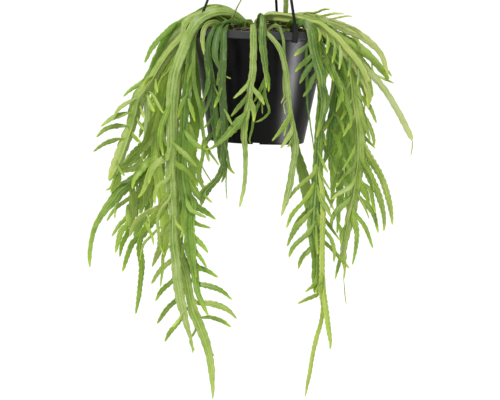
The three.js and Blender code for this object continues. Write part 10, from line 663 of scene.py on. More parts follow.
         [37.5, 47.7, 57.6, 68.3, 78.9, 90.2, 100.3, 111.7, 123.4, 132.8, 142, 151.4, 162.6, 173.2, 183.5, 199.5, 211.5, 219.5, 235.5, 247.5, 257.6, 267.5, 278.4, 288.6, 299.6, 310.1, 321, 331.4], [34, 45.2, 56.1, 66.7, 78.2, 88.6, 98.7, 109.1, 120.8, 132.4, 142.3, 152.5, 163, 173.4, 184.8, 195.5, 207.7, 219.5, 235.5, 243.5, 259.5, 269.4, 279.6, 291.4, 303.4, 315.6, 326.6], 0),
        ("flat", 0, .25, [(67.3,-59.5,-383.7,4.98,-.94,-.24,.25), (65.6,-60.6,-391.2,4.98,-.93,-.25,.25), (63.3,-61.8,-398.4,4.98,-.82,-.26,.51), (61,-62.3,-401.5,4.84,-.68,-.24,.69), (55.2,-63.4,-406.4,4.49,-.62,-.23,.75), (49.6,-64.3,-411.6,4.33,-.66,-.23,.72), (44.2,-65.1,-417.2,4.2,-.75,-.23,.63), (40.2,-65.3,-423.6,2.75,-.86,-.24,.45), (38.5,-65.3,-427,1.87,-.87,-.24,.44)],
         [10.5, 16.6, 22.5, 29.1, 34.9, 41, 47], [12.7, 19.3, 25.6, 31.4, 37.3, 43.6, 49.9], 4.1),
        ("flat", 0, .25, [(67,-58.7,-407.7,5.68,.24,-.09,.97), (65.6,-59.2,-407.4,5.76,-.71,-.25,.66), (64.2,-59.7,-411.1,5.92,-.88,-.29,.37), (61.2,-60.8,-418.5,6.24,-.84,-.29,.45), (57,-61.8,-425.2,5.1,-.74,-.29,.61), (52.1,-62.9,-431.3,4.31,-.7,-.28,.66), (46.7,-63.9,-437.2,4.74,-.71,-.27,.65), (41.9,-64.9,-443.6,5.16,-.82,-.28,.51), (38.9,-65.8,-450.9,3.64,-.9,-.28,.33), (36.5,-66.7,-458.5,2.12,-.9,-.28,.32)],
         [9.9, 16.6, 22.7, 29.1, 35.6, 41.7, 48.1, 54.8], [12.5, 18.5, 25, 30.8, 37, 42.9, 48.8, 54.8], 4.7),
        ("flat", 0, .25, [(66.4,-58.1,-423.6,5.14,-.96,-.14,-.26), (66.5,-57.5,-424.2,5.14,-.93,-.31,.2), (63.6,-56.4,-431.5,5.17,-.87,-.32,.38), (59.4,-55.3,-438.1,5.03,-.77,-.33,.55), (54.2,-54.2,-444,4.8,-.74,-.34,.58), (49.3,-53.1,-450.1,4.41,-.79,-.33,.52), (45,-52.1,-456.5,2.76,-.81,-.33,.48), (42.9,-51.6,-459.8,1.93,-.81,-.33,.48)],
         [11.6, 18.5, 24.4, 30.4, 36.7], [13.2, 20.2, 26.5, 32.2, 38.9], 5.4),
        ("flat", 0, .25, [(66,-57.8,-431.6,4.92,-.93,-.28,-.25), (66.8,-58.3,-433.9,4.93,-.93,-.22,.28), (64.6,-58.9,-437.1,4.94,-.78,-.18,.6), (59.8,-60,-443.2,4.97,-.75,-.18,.64), (54.8,-61.1,-449.2,5.46,-.71,-.18,.68), (49.4,-62.2,-454.8,6.29,-.73,-.17,.66), (45,-63.3,-461.1,6.55,-.85,-.17,.5), (41.8,-64.3,-468,4.75,-.91,-.18,.38), (39.1,-65.3,-475.2,2.96,-.91,-.18,.37), (37.7,-65.8,-478.7,2.07,-.91,-.18,.38)],
         [11.6, 18.6, 24.4, 30.2, 36.2, 42.4, 48.2], [14.7, 21.1, 26.8, 32.8, 39.4, 45.8, 52.2], 5.6),
        ("flat", 0, .25, [(65.3,-57.1,-447.6,5.5,-.84,.07,-.53), (67.1,-57.7,-450.6,5.53,-.99,.09,-.11), (65.9,-58.3,-454.2,5.64,-.93,.12,.36), (62.2,-59.6,-460.9,5.86,-.84,.12,.53), (57.3,-60.8,-466.8,5.54,-.71,.13,.69), (51.6,-61.9,-471.9,5.05,-.68,.15,.71), (46.2,-63.1,-477.4,4.99,-.78,.15,.61), (42.4,-64.2,-483.9,4.38,-.94,.14,.32), (40.5,-65.2,-491,1.84,-.96,.13,.23)],
         [12.5, 18.9, 25.1, 31.8, 37.7, 43.6, 50], [13.6, 19.4, 25.9, 32.3, 38.5, 45], 5.8),
        ("flat", 0, .25, [(66.5,-56.4,-467.5,5.39,-.78,.53,-.34), (67.8,-55.8,-469.4,5.51,-.88,.48,.06), (66.8,-55.2,-473.3,5.69,-.84,.45,.31), (64.1,-53.9,-480.7,6.06,-.74,.45,.49), (61.8,-53.3,-483.9,5.85,-.61,.43,.66), (56.3,-52.2,-489.5,5.32,-.71,.42,.56), (53,-51,-496.6,4.59,-.85,.43,.31), (51.4,-49.9,-504.2,2.27,-.87,.44,.23)],
         [11.6, 17.9, 23.8, 29.9, 36.5], [12.9, 19.2, 25.6, 31.6, 38], 5.7),
        ("flat", 0, .25, [(70.8,-55,-503.2,3.87,-1,-.03,-.01), (71.1,-57.1,-510.6,4.37,-1,-.07,0), (70.1,-59.2,-517.8,4.85,-.9,-.07,.43), (68,-60.2,-520.8,4.15,-.74,-.04,.67), (62.4,-62.1,-525.5,2.74,-.62,-.02,.78), (59.5,-63.1,-527.8,2.03,-.64,-.02,.77)],
         [10.6, 17.4, 23.5], [14.5, 21.4, 27.1], 5),
        ("flat", 0, .25, [(70.4,-54.4,-519,5.02,-.92,-.32,-.23), (73.1,-56.7,-526.5,4.68,-.89,-.46,-.03), (73.1,-57.8,-530.4,4.54,-.74,-.37,.57), (69.7,-58.9,-532.3,4.8,-.34,-.26,.9), (62.4,-61,-535.4,4.22,-.36,-.26,.9), (55.3,-63.1,-539,2.82,-.37,-.26,.89), (51.7,-64.1,-540.7,2.11,-.37,-.26,.89)],
         [9.6, 16.5, 22.7, 29.3], [12.7, 18.5, 24.8, 30.6], 3.8),
        ("flat", 0, .25, [(67.4,-59.9,-371.7,3.57,-.9,.43,.1), (66.9,-60.7,-372.9,3.64,-.89,.34,-.31), (68.4,-61.5,-376.4,3.75,-.83,.31,-.46), (71.8,-63.2,-383.3,3.98,-.82,.31,-.48), (75.3,-64.8,-390.1,3.03,-.79,.31,-.52), (79.1,-66.3,-396.7,1.93,-.79,.31,-.52)],
         [9.7, 16, 22], [12.4, 19.1, 25.8], 4.2),
        ("flat", 0, .25, [(67.2,-59.4,-387.7,2.49,-.95,.26,-.18), (69.5,-61,-395.3,2.65,-.84,.24,-.48), (73.4,-62.7,-402.4,2.83,-.81,.24,-.53), (77.7,-64.3,-409.2,2.34,-.76,.24,-.6), (82.6,-65.8,-415.7,1.51,-.75,.24,-.61)],
         [10.9, 16.9, 22.5, 28.1], [12.2, 18.5, 24.2], 4),
        ("flat", 0, .25, [(67.1,-58.9,-399.7,2.91,-.87,-.04,-.49), (71,-57.4,-406.8,3.24,-.87,-.04,-.49), (74.9,-55.9,-414,3.58,-.88,-.04,-.47), (78.5,-54.4,-421.3,3.41,-.9,-.04,-.44), (82.2,-53,-428.5,2.8,-.88,-.04,-.47), (86,-51.6,-435.7,1.81,-.88,-.04,-.48), (87.9,-50.9,-439.3,1.32,-.88,-.04,-.47)],
         [12.3, 18.6, 24.2, 30.3, 36, 42.4], [12.9, 19.7, 25.8, 32, 38], 4.2),
        ("flat", 0, .25, [(67,-58.7,-407.7,5.63,-.94,-.25,-.25), (69.3,-60.5,-414.9,5.76,-.94,-.24,-.24), (71.7,-62.3,-422.2,5.88,-.93,-.24,-.28), (74.8,-64.1,-429.1,6,-.86,-.25,-.46), (79.4,-65.9,-435.2,6.08,-.84,-.26,-.48), (82.7,-67.5,-441.7,3.35,-.9,-.25,-.36), (84.3,-68.3,-445,1.9,-.9,-.25,-.36)],
         [11.3, 17.6, 23.3, 29.2, 35.8], [15.9, 22.4, 29.1, 35.1], 4.7),
        ("flat", 0, .25, [(66.4,-58.1,-423.6,3.44,-.82,-.4,-.41), (69.3,-57.1,-431.1,4.05,-.85,-.41,-.33), (72,-56.1,-438.7,4.85,-.82,-.41,-.39), (75.7,-55.2,-445.8,4.9,-.74,-.4,-.54), (80.6,-54.2,-452.3,4.24,-.69,-.4,-.6), (85.5,-53.3,-458.7,3.42,-.7,-.4,-.59), (90.4,-52.5,-465,2.42,-.69,-.4,-.6), (95.4,-51.6,-471.3,1.43,-.69,-.4,-.6)],
         [10.9, 17.5, 24, 30, 35.8, 42.2, 48.7], [12.6, 19.6, 25.4, 32, 37.8, 43.5, 49.6], 5.4),
        ("flat", 0, .25, [(65.8,-57.6,-435.6,5.24,-.52,.35,-.78), (68.6,-58.2,-437.8,5.29,-.72,.36,-.59), (69.9,-58.8,-441.4,5.42,-.86,.38,-.34), (72,-60,-448.8,5.66,-.86,.39,-.32), (74.8,-61.2,-456,5.83,-.75,.39,-.53), (79.8,-62.4,-461.8,4.77,-.64,.37,-.68), (84.8,-63.5,-467.7,4.77,-.76,.36,-.54), (87.8,-64.6,-474.8,4.66,-.87,.37,-.32), (89.5,-65.7,-482.3,4.3,-.92,.37,-.15), (89.5,-66.7,-490,2.61,-.93,.38,-.03), (89.4,-67.2,-493.8,1.77,-.93,.38,-.03)],
         [11.7, 18, 24.2, 30.9, 36.9, 43, 49.3, 55.4, 62], [14.1, 20.6, 26.5, 32.3, 38.5, 45.1, 51.1, 56.9], 5.7),
        ("flat", 0, .25, [(65.2,-56.8,-455.6,5.12,-.09,.42,-.9), (68.7,-56.3,-455.7,5.1,-.57,.39,-.72), (70.5,-55.8,-459.3,5.03,-.88,.32,-.35), (73.5,-54.7,-466.9,4.9,-.88,.31,-.37), (75.4,-54.2,-470.4,4.84,-.8,.31,-.52), (78.1,-53.7,-473.4,4.7,-.68,.32,-.66), (84.4,-52.6,-478.5,4.41,-.65,.33,-.69), (90.2,-51.6,-484.2,4.35,-.71,.32,-.62), (95.8,-50.6,-490.1,4.37,-.71,.32,-.62), (101.4,-49.7,-495.9,3.19,-.71,.32,-.63), (107,-48.8,-501.7,1.93,-.71,.32,-.63)],
         [12, 18.1, 23.8, 29.4, 35.9, 42.2, 48.1, 53.9, 60.3], [14.2, 20.7, 26.5, 32.2, 38.2, 44, 50, 56.5], 5.8),
        ("flat", 0, .75, [(67.2,-59.2,-391.7,3.82,-.83,-.32,-.45), (67.9,-59.5,-392.9,4.01,-.9,-.31,-.31), (70.2,-60,-400.5,4.59,-.92,-.31,-.24), (72.2,-60.5,-408.2,5.18,-.93,-.31,-.2), (73.7,-61,-416.1,5.55,-.95,-.31,-.1), (74.4,-61.6,-424,5.79,-.95,-.31,-.05), (75,-62.1,-432,6.03,-.95,-.31,-.05), (75.5,-62.6,-440,6.27,-.95,-.31,-.02), (75.7,-63.2,-447.9,6.32,-.95,-.31,.01), (75.7,-63.7,-455.9,6.19,-.95,-.31,.02), (75.7,-64.3,-463.9,6.07,-.95,-.31,.02), (75.8,-64.8,-471.9,5.97,-.95,-.31,0), (76,-65.4,-479.9,6.14,-.95,-.31,-.01), (76.2,-65.9,-487.9,6.31,-.95,-.31,-.01), (76.5,-66.5,-495.9,6.29,-.95,-.31,-.02), (76.8,-67,-503.9,5.98,-.95,-.31,-.02), (77.1,-67.5,-511.8,6.33,-.95,-.31,0), (77.2,-68.1,-519.7,7.9,-.95,-.31,0), (77.7,-68.6,-527.5,8.44,-.95,-.31,-.08), (78.8,-69.1,-535.3,6.49,-.94,-.31,-.11), (79.4,-69.6,-543.1,4.93,-.95,-.31,.02), (78.8,-70.1,-551.1,4.82,-.94,-.31,.12), (77.8,-70.6,-559,4.64,-.93,-.31,.18), (76.1,-71.1,-566.8,4.6,-.92,-.31,.25), (74,-71.6,-574.5,4.78,-.92,-.31,.24), (72.4,-72.1,-582.3,5.24,-.93,-.31,.21), (70.9,-72.5,-590.1,4.52,-.93,-.31,.18), (69.7,-73,-598,4.74,-.94,-.31,.15), (68.7,-73.4,-606,4.82,-.94,-.31,.12), (67.8,-73.8,-613.9,4.69,-.94,-.31,.15), (66.5,-74.2,-621.8,4.34,-.94,-.31,.17), (65.3,-74.6,-629.6,3.04,-.94,-.31,.15), (64.2,-75,-637.5,1.74,-.94,-.31,.14), (63.7,-75.2,-641.4,1.15,-.94,-.31,.14)],
         [8.6, 15.5, 21.9, 28.8, 35.3, 41.3, 48, 53.8, 59.9, 65.8, 72.4, 78.9, 85.1, 90.9, 97, 103.5, 109.5, 116.3, 122, 127.7, 133.7, 139.9, 145.5, 152, 158.3, 164.6, 171.1, 177.1, 182.9, 189.6, 195.6, 202.2, 208.4, 214.1, 220.5, 226.5, 233, 239.2, 245.3], [11.1, 17.5, 23.4, 30, 37, 43.9, 49.9, 56.9, 62.8, 69.7, 75.7, 81.9, 88.9, 95.2, 101, 107.1, 113.5, 120, 125.8, 132.2, 138.9, 145.3, 151.1, 157.3, 163.9, 169.8, 176.1, 182.6, 188.6, 194.6, 200.7, 207.1, 213, 219.5, 225.8, 231.5, 237.6, 243.8], 4),
        ("flat", 0, .6, [(76.7,-66.7,-499.9,4.28,-.9,-.19,-.39), (78.2,-67.7,-503,4.41,-.97,-.18,-.18), (78.4,-68.8,-506.9,4.61,-.99,-.14,.03), (78.3,-70.8,-514.6,5,-.99,-.14,.02), (78.8,-72.9,-522.2,5.37,-.99,-.14,-.08), (79.9,-75,-529.8,5.72,-.98,-.14,-.11), (81.1,-77.1,-537.4,5.99,-.98,-.14,-.12), (82.4,-79.1,-544.9,6.09,-.98,-.15,-.14), (83.8,-81.1,-552.5,6.03,-.98,-.15,-.15), (85.2,-83,-560.1,5.56,-.98,-.15,-.14), (86.5,-84.9,-567.7,5.25,-.98,-.15,-.13), (88,-86.6,-575.2,4.1,-.97,-.17,-.16), (88.8,-88.4,-582.8,2.47,-.99,-.15,.06), (88.5,-89.2,-586.6,1.98,-.98,-.15,.11)],
         [9.2, 16.2, 22.2, 28.5, 34.4, 40.2, 46.1, 52.8, 58.9, 64.5, 70.4, 77, 83.2], [14.3, 20.6, 26.9, 32.8, 39.1, 45.3, 51.2, 57.4, 63.4, 69.1, 75.5, 82], 2.6),
        ("flat", 0, .25, [(76.8,-67,-503.9,3.11,-.96,-.28,-.05), (77.7,-72.7,-509.5,3.09,-.91,-.24,.34), (76.1,-78.5,-515.1,2.86,-.77,-.17,.61), (72.8,-84.1,-520.2,2.32,-.78,-.16,.61), (69.8,-89.6,-526,1.49,-.81,-.18,.56)],
         [10.1, 16, 22.1, 27.9], [13.8, 20.5, 26.6], 2.5),
        ("flat", 0, .25, [(67.7,-60.5,-339.6,5.17,-.43,-.6,.67), (64.5,-59.6,-340.8,5.19,-.85,-.51,.15), (65.7,-58.6,-344.4,5.33,-.82,-.35,-.46), (69.5,-56.8,-351,5.62,-.79,-.33,-.51), (72.6,-55,-357.9,4.83,-.85,-.34,-.4), (75,-53.3,-365.1,2.9,-.86,-.34,-.37), (76.2,-52.4,-368.7,1.94,-.86,-.34,-.37)],
         [11.8, 18.4, 24.7, 30.8], [15.5, 22.3, 28.8], 4.2),
        ("flat", 0, .25, [(65.2,-56.8,-455.6,4.42,-.33,-.49,-.81), (68.2,-58.1,-456.1,4.42,-.79,-.39,-.47), (68.9,-59.4,-459.8,4.42,-.96,-.28,-.06), (69.8,-62,-467.4,4.41,-.96,-.27,-.01), (70.7,-64.5,-475,3.72,-.96,-.27,-.02), (71.4,-66.9,-482.7,2.5,-.96,-.27,-.01), (71.8,-68.1,-486.5,1.89,-.96,-.27,-.01)],
         [9.6, 16.1, 22.1, 28.3], [12.5, 19.2, 25.1, 31], 5.8),
        ("flat", 0, .25, [(68.5,-61.4,-311.6,4.87,-.7,-.04,.72), (66.1,-60.2,-313.9,4.85,-.96,0,.27), (66.9,-58.9,-317.4,4.75,-.96,.1,-.25), (69.5,-56.5,-324.2,4.55,-.95,.12,-.3), (71.5,-54.1,-331.2,3.53,-.97,.11,-.2), (73.2,-51.8,-338.3,1.83,-.98,.1,-.19)],
         [11.4, 17.6, 24.3], [13.4, 20.3, 26.9], 3.8),
    ]),
    "stem_right_ribbed_arch": (1.0, [
        ("rib", 1, 0, [(-5,4.8,-251.1,4.2,1,-.09,0), (-5,4.8,-243.1,4.2,1,-.09,0), (-5,4.8,-239.1,4.2,1,-.09,0), (-4.5,2.6,-237.9,4.2,.76,-.07,-.65), (-3.7,.2,-237.1,4.42,.57,.07,-.82), (-1,-5,-236.2,5.91,.29,-.07,-.96), (.7,-7.8,-235.4,7.41,.29,-.28,-.92), (5.9,-14.1,-231.7,10.61,.04,-.3,-.95), (12.3,-22,-230.3,11.41,-.25,-.25,-.94), (15.5,-26.3,-230.1,11.56,-.29,-.35,-.89), (18.8,-27.5,-230.2,11.7,-.21,-.45,-.87), (28.5,-31.7,-230.9,11.99,-.31,-.46,-.83), (37.6,-35.7,-232.4,12.17,-.35,-.44,-.83), (43.7,-39,-233.7,12.21,-.46,-.36,-.81), (52.6,-45.7,-236,11.86,-.36,-.36,-.86), (55.6,-47,-236.5,11.96,-.23,-.37,-.9), (63.4,-48.6,-238,12.51,-.44,-.32,-.84), (66.8,-48.9,-240.3,12.81,-.61,-.29,-.74), (73.2,-50.5,-245.3,13.43,-.59,-.26,-.77), (79.6,-51.6,-249.9,13.58,-.62,-.21,-.75), (85.5,-52.3,-255.2,13.46,-.73,-.17,-.67), (93.3,-53,-264.4,13.29,-.74,-.12,-.67), (101.5,-53.2,-273.1,13.55,-.75,-.07,-.66), (108.8,-53,-282.5,13.65,-.84,-.04,-.55), (114.7,-52.3,-292.9,12.8,-.88,-.02,-.47), (119.2,-51.6,-303.7,10.43,-.96,-.02,-.28), (120.6,-51.2,-311.2,8.11,-1,-.03,-.04), (120.3,-50.3,-322.5,3.75,-1,-.05,-.02), (120.4,-50,-326.2,2.23,-1,-.06,-.03)],
         [26.2, 38.1, 48.3, 58.8, 69.7, 81.1, 92.1, 103.2, 113.3, 123.8, 135.2, 145.6, 157.3, 168.2, 179, 189.4, 200.4, 210.2], [32.1, 43.7, 54.8, 65.2, 77.2, 89.3, 101.1, 113.6, 121.6, 133.6, 149.6, 165.6, 177.6, 187.8, 199.3, 209.4], 0),
        ("flat", 0, -.65, [(118,-51.9,-300,3.84,.68,-.02,-.74), (121,-53.2,-297.2,3.84,-.2,.03,-.98), (122.5,-54.5,-301,3.6,-.89,.3,-.34), (124,-57.1,-309.1,2.52,-.91,.31,-.26), (124.6,-58.4,-313.2,1.53,-.92,.31,-.25)],
         [12.2], [12.3, 18.1], 4.8),
        ("flat", 0, -.65, [(62.6,-48,-240,3.77,-.98,.11,-.18), (61.8,-56.9,-241.1,3.77,-.98,-.02,-.2), (63.5,-58.1,-243.5,3.77,-.89,-.33,-.32), (64.6,-59.6,-246.2,3.69,-.95,-.3,-.06), (64.7,-60.8,-249.2,3.03,-.95,-.26,.15), (63.8,-62.6,-255.5,1.63,-.95,-.26,.19)],
         [12.2, 18.3], [15.2, 21.5], 5.3),
        ("flat", 0, -.65, [(69.7,-49.6,-243.5,3.77,-.91,-.26,-.33), (72.7,-53.5,-249.1,4.23,-.94,-.3,-.19), (73.7,-55.5,-252.1,4.4,-.96,-.28,0), (73.7,-59.6,-258.4,4.43,-.94,-.24,.22), (72.9,-63.6,-264.8,2.6,-.93,-.23,.28), (72.4,-65.6,-268.1,1.63,-.93,-.23,.28)],
         [9.5, 15.4, 22], [14.6, 21], 5.5),
        ("flat", 0, -.65, [(76.4,-51.1,-247.5,3.98,-.94,-.21,-.28), (79.7,-54.5,-253.8,4.25,-.9,-.28,-.34), (81.2,-56.4,-257,4.42,-.95,-.27,-.16), (81.8,-58.2,-260.4,4.38,-.97,-.25,.05), (81.4,-61.8,-267.5,3.92,-.94,-.22,.27), (79.7,-65.3,-274.5,2.39,-.92,-.21,.34), (78.7,-67,-278.1,1.62,-.92,-.21,.34)],
         [12.1, 18, 24.2, 30.4], [14.9, 21.9, 28.4], 5.7),
        ("flat", 0, -.65, [(85.5,-52.3,-255.2,4.85,-.97,.05,-.23), (87,-55.9,-261.7,4.85,-.97,.02,-.23), (88.1,-59.5,-268.2,4.85,-1,.02,-.1), (88,-63.2,-274.7,3.79,-1,.04,.08), (87.1,-66.7,-281.3,2.32,-.99,.05,.12), (86.6,-68.4,-284.7,1.58,-.99,.05,.11)],
         [10.8, 17.4, 23.6, 30], [14, 20.2, 26.4], 5.7),
        ("flat", 0, -.65, [(96,-53.1,-267.2,4.88,-.96,.1,-.27), (97.6,-57.3,-274.2,4.81,-.97,.07,-.24), (98.4,-61.5,-281.3,4.49,-1,.08,-.02), (97.3,-65.6,-288.3,2.57,-.99,.11,.13), (96.6,-67.6,-292,1.59,-.99,.11,.13)],
         [9.4, 15.4, 21.5], [12.1, 18.9, 24.8], 5.6),
        ("flat", 0, -.65, [(106.5,-53.1,-279.3,4.86,-.97,.06,-.25), (107.9,-56.8,-285.5,4.86,-.98,.03,-.22), (108.6,-60.6,-291.9,4.54,-1,.04,0), (107.7,-64.2,-298.2,2.59,-.99,.07,.14), (107.2,-66,-301.4,1.58,-.99,.07,.13)],
         [12.2, 18.8], [13.2, 20], 5.8),
        ("flat", 0, -.65, [(58.9,-47.6,-238.5,6.27,-.82,.25,-.51), (63.8,-49.8,-246,7.11,-.87,.23,-.43), (64.3,-50.1,-249.9,7.29,-.96,.26,-.07), (65.2,-49.6,-257.4,7.73,-.89,.27,-.37), (67.2,-49.7,-260.6,8.05,-.81,.26,-.53), (71.3,-50.4,-267.3,8.26,-.83,.26,-.49), (74.9,-51.3,-274.4,7.83,-.85,.26,-.45), (78.3,-52.1,-281.6,7.57,-.87,.26,-.41), (81.4,-52.9,-288.9,7.54,-.87,.26,-.41), (84.9,-53.7,-296,7.49,-.83,.26,-.49), (89.1,-54.5,-302.8,7.38,-.81,.26,-.52), (92.9,-55.2,-309.8,7.09,-.85,.26,-.46), (96.3,-55.9,-317,6.66,-.88,.26,-.39), (99,-56.6,-324.5,6.17,-.91,.26,-.33), (101.3,-57.3,-332,4.98,-.94,.27,-.22), (102,-57.9,-339.9,3.49,-.96,.27,-.02), (101.7,-58.6,-347.7,1.88,-.96,.26,.01)],
         [12.9, 19.2, 26.1, 32.5, 39.5, 46.5, 53.2, 60.5, 66.5, 73.2, 79.3, 85.4, 91.2, 97.7, 103.9, 109.9, 116.2], [8.1, 14.2, 20.8, 27.7, 34, 40.5, 47.1, 52.9, 58.6, 64.7, 70.9, 77, 83.4, 89.8, 95.6, 101.6, 107.2, 113.3], 5.1),
        ("flat", 0, -.65, [(64.7,-49.2,-257.4,4.26,-.84,.18,.51), (62.9,-49.9,-260.2,4.39,-.98,.16,.15), (63.4,-50.6,-264.1,4.64,-.97,.13,-.23), (65.8,-52,-271.6,5.14,-.89,.13,-.43), (70.1,-53.5,-278,4.83,-.75,.1,-.65), (75,-54.9,-284.2,4.4,-.83,.1,-.54), (78.5,-56.2,-291.1,3.12,-.9,.11,-.43), (81.6,-57.5,-298.3,1.83,-.9,.11,-.42)],
         [12.7, 19.6, 25.5, 31.5, 37.3, 43.2], [15.8, 22.1, 28.4, 35, 41.6], 3.2),
        ("flat", 0, -.65, [(71.3,-50.4,-267.3,3.78,-.6,.3,-.74), (73.8,-51.6,-269.7,3.78,-.46,.27,-.85), (80.2,-53.9,-273,3.69,-.52,.25,-.82), (85.2,-56.1,-278.2,2.41,-.66,.27,-.7), (87.7,-57.2,-280.9,1.77,-.66,.27,-.7)],
         [9.6, 15.9], [15.3], 3.5),
        ("flat", 0, -.65, [(83.1,-53.3,-292.5,5.24,-.78,.36,-.51), (86.3,-55.4,-299,5.44,-.79,.35,-.51), (89.3,-57.6,-305.6,5.71,-.84,.35,-.42), (91.2,-59.7,-312.5,4,-.89,.37,-.28), (92.4,-61.7,-319.6,1.83,-.89,.37,-.27)],
         [11.3, 17.4, 23.2], [8.6, 15.2, 21.9], 3.2),
        ("flat", 0, -.65, [(89.3,-57.6,-305.6,5.48,-.89,.43,-.16), (89.4,-60.2,-313,5.48,-.9,.42,-.13), (88.5,-62.8,-320.1,4.79,-.9,.43,.06), (86.3,-65.2,-327,2.88,-.88,.45,.14), (85.2,-66.3,-330.5,1.92,-.88,.45,.14)],
         [10.8, 16.9, 22.6], [14.2, 20.7], 2.4),
        ("flat", 0, -.65, [(74.9,-51.3,-274.4,4.84,-.99,-.01,.13), (73.9,-53.3,-282.5,5.43,-.99,-.01,.13), (72.6,-55.2,-290.5,5.49,-.98,-.01,.21), (70.6,-56.6,-298.2,2.98,-.97,0,.26), (69.5,-57.2,-302.1,1.71,-.97,0,.26)],
         [12.5, 19.3, 25.5], [13.7, 20.3], 3.3),
    ]),
    "stem_right_low": (0.65, [
        ("flat", 1, 0, [(12.5,4,-251.3,4.2,.95,-.32,0), (12.5,4,-243.3,4.2,.95,-.32,0), (12.5,4,-239.3,4.2,.95,-.32,0), (11.9,1.6,-237.3,4.2,.92,-.31,.24), (10.6,-1,-238.4,4.23,.91,-.41,-.08), (9.5,-3.5,-238.9,4.26,.94,-.31,-.16), (8.9,-6,-238.9,4.29,.88,.36,-.32), (11.3,-8.1,-239,4.41,.26,.45,-.85), (14.8,-10,-239.2,4.69,.17,.2,-.97), (22.2,-13.2,-238,5.36,.1,.01,-1), (33.5,-17,-237.3,5.9,.04,-.02,-1), (44.8,-20.7,-237,6.34,.01,.02,-1), (52.2,-23.9,-237.1,6.56,0,.05,-1), (59.6,-27.7,-238,6.65,-.18,.12,-.98), (67.2,-33.5,-240.5,6.69,-.32,.16,-.94), (70.6,-37,-242.7,6.72,-.67,.24,-.7), (72.7,-35.6,-246.5,6.75,-.94,.15,-.31), (74.4,-33,-254.8,6.83,-.96,.21,-.16), (76.9,-31.7,-266.4,6.98,-.94,.3,-.16), (79.5,-31.2,-278,6.17,-.91,.37,-.21), (81.6,-30.6,-289.6,4.55,-.91,.41,-.04), (81.3,-30,-301.4,3.91,-.88,.45,.1), (79.6,-29.8,-313.1,3.02,-.86,.48,.18), (76.9,-30.4,-324.5,1.91,-.86,.49,.14)],
         [30.8, 40.9, 51.9, 61.7, 72.2, 82.8, 93.5, 104.5, 114.9, 126.2, 137.3, 147, 158.4, 169.2], [37.3, 47.7, 58, 68.3, 79.7, 89.8, 100.6, 111.6, 123.1, 134.5, 145.6, 156.7, 167.6], 0),
    ]),
    "stem_right_top_arch": (1.05, [
        ("flat", 1, 0, [(25.8,14,-252.6,4.2,.92,-.39,0), (25.8,14,-244.6,4.2,.92,-.39,0), (25.8,14,-240.6,4.2,.92,-.39,0), (26.6,13,-237.3,4.22,.76,-.32,-.57), (28.9,12,-235.4,4.47,.46,-.29,-.84), (35.5,10.9,-232,5.82,.3,-.31,-.9), (39.1,10.5,-231.1,7.03,.06,-.3,-.95), (42.6,10.4,-231.4,9.01,-.12,-.29,-.95), (50,10.6,-231.4,10.8,.11,-.26,-.96), (57.7,11,-231.7,9.35,-.17,-.24,-.96), (65.2,13.5,-233.8,7.8,-.18,-.18,-.97), (73,15.1,-235.4,7.68,-.21,-.15,-.97), (84.3,15.9,-238.9,9.58,-.34,-.1,-.93), (95.1,16.2,-243.7,11.21,-.41,-.06,-.91), (106,16.2,-247.9,9.43,-.38,-.03,-.93), (113,16.1,-251.6,8.58,-.54,-.02,-.84), (122.6,15.9,-258.6,7.61,-.63,-.02,-.78), (131.3,15.6,-266.6,5.96,-.75,-.03,-.67), (135.6,15.5,-273.2,5.83,-.91,-.04,-.4), (139.5,15.2,-284.3,4.56,-.95,-.07,-.31), (141.8,15,-291.6,2.08,-.95,-.1,-.3)],
         [27, 37.1, 48.7, 65, 74.7, 84.8, 94.9, 104.9, 116.4, 127.4, 138.1, 148.6], [40.2, 51.1, 62.5, 73.2, 83.4, 94.4, 105.4, 116.3, 126.1, 136.7, 146.6], 0),
        ("flat", 0, -.05, [(46.2,10.4,-231.9,2.74,.93,.37,0), (46.6,9.3,-228.1,2.74,.81,.39,-.45), (50,8.3,-226.9,2.84,.25,.45,-.85), (57.6,6.5,-226.8,3.03,.25,.48,-.84), (61.2,5.6,-225.9,3.02,.45,.45,-.77), (68.1,3.9,-222.6,2.62,.28,.45,-.85), (75.7,2.3,-221.7,1.84,.19,.46,-.87)],
         [9.3, 14.9, 20.1, 25.7, 30.9], [12.5, 18.6, 24.4, 30.3], 4.8),
        ("flat", 0, -.05, [(57.7,11,-231.7,2.59,.58,-.45,-.68), (60.2,10.1,-229,2.62,.21,-.4,-.89), (64.1,9.3,-229.5,2.75,-.17,-.33,-.93), (68,8.5,-229.9,2.89,.02,-.34,-.94), (71.8,7.8,-228.8,2.9,.22,-.36,-.91), (79.5,6.5,-226.8,2.77,.07,-.36,-.93), (87.4,5.2,-226.4,1.83,-.06,-.35,-.94), (91.3,4.6,-226.5,1.25,-.07,-.35,-.93)],
         [10.4, 16.7, 22, 27.7], [13.7, 19.3, 25.3, 30.5], 3.9),
        ("flat", 0, -.05, [(73,15.1,-235.4,2.18,.63,-.1,-.77), (75.9,13.9,-232.9,2.24,.4,-.08,-.91), (80,12.8,-232.2,2.36,.18,-.04,-.98), (88,10.9,-230.3,2.15,.23,-.06,-.97), (96.1,9.1,-228.8,1.62,.02,-.05,-1), (100.3,8.3,-229.1,1.21,-.07,-.04,-1)],
         [12, 18, 23.7], [12.3, 18.5, 24.5], 3.2),
        ("flat", 0, -.05, [(91.5,16.2,-242,2.44,.46,.06,-.88), (94.6,15.3,-240.4,2.5,.24,.06,-.97), (98.3,14.4,-240.4,2.63,-.07,.08,-.99), (101.8,13.6,-241.1,2.71,-.26,.09,-.96), (108.3,12,-244.3,1.88,-.48,.12,-.87), (111.5,11.3,-246.2,1.46,-.48,.12,-.87)],
         [9, 14.5], [12.3, 18.5], 4.5),
    ]),
    "stem_right_arch_back": (1.27, [
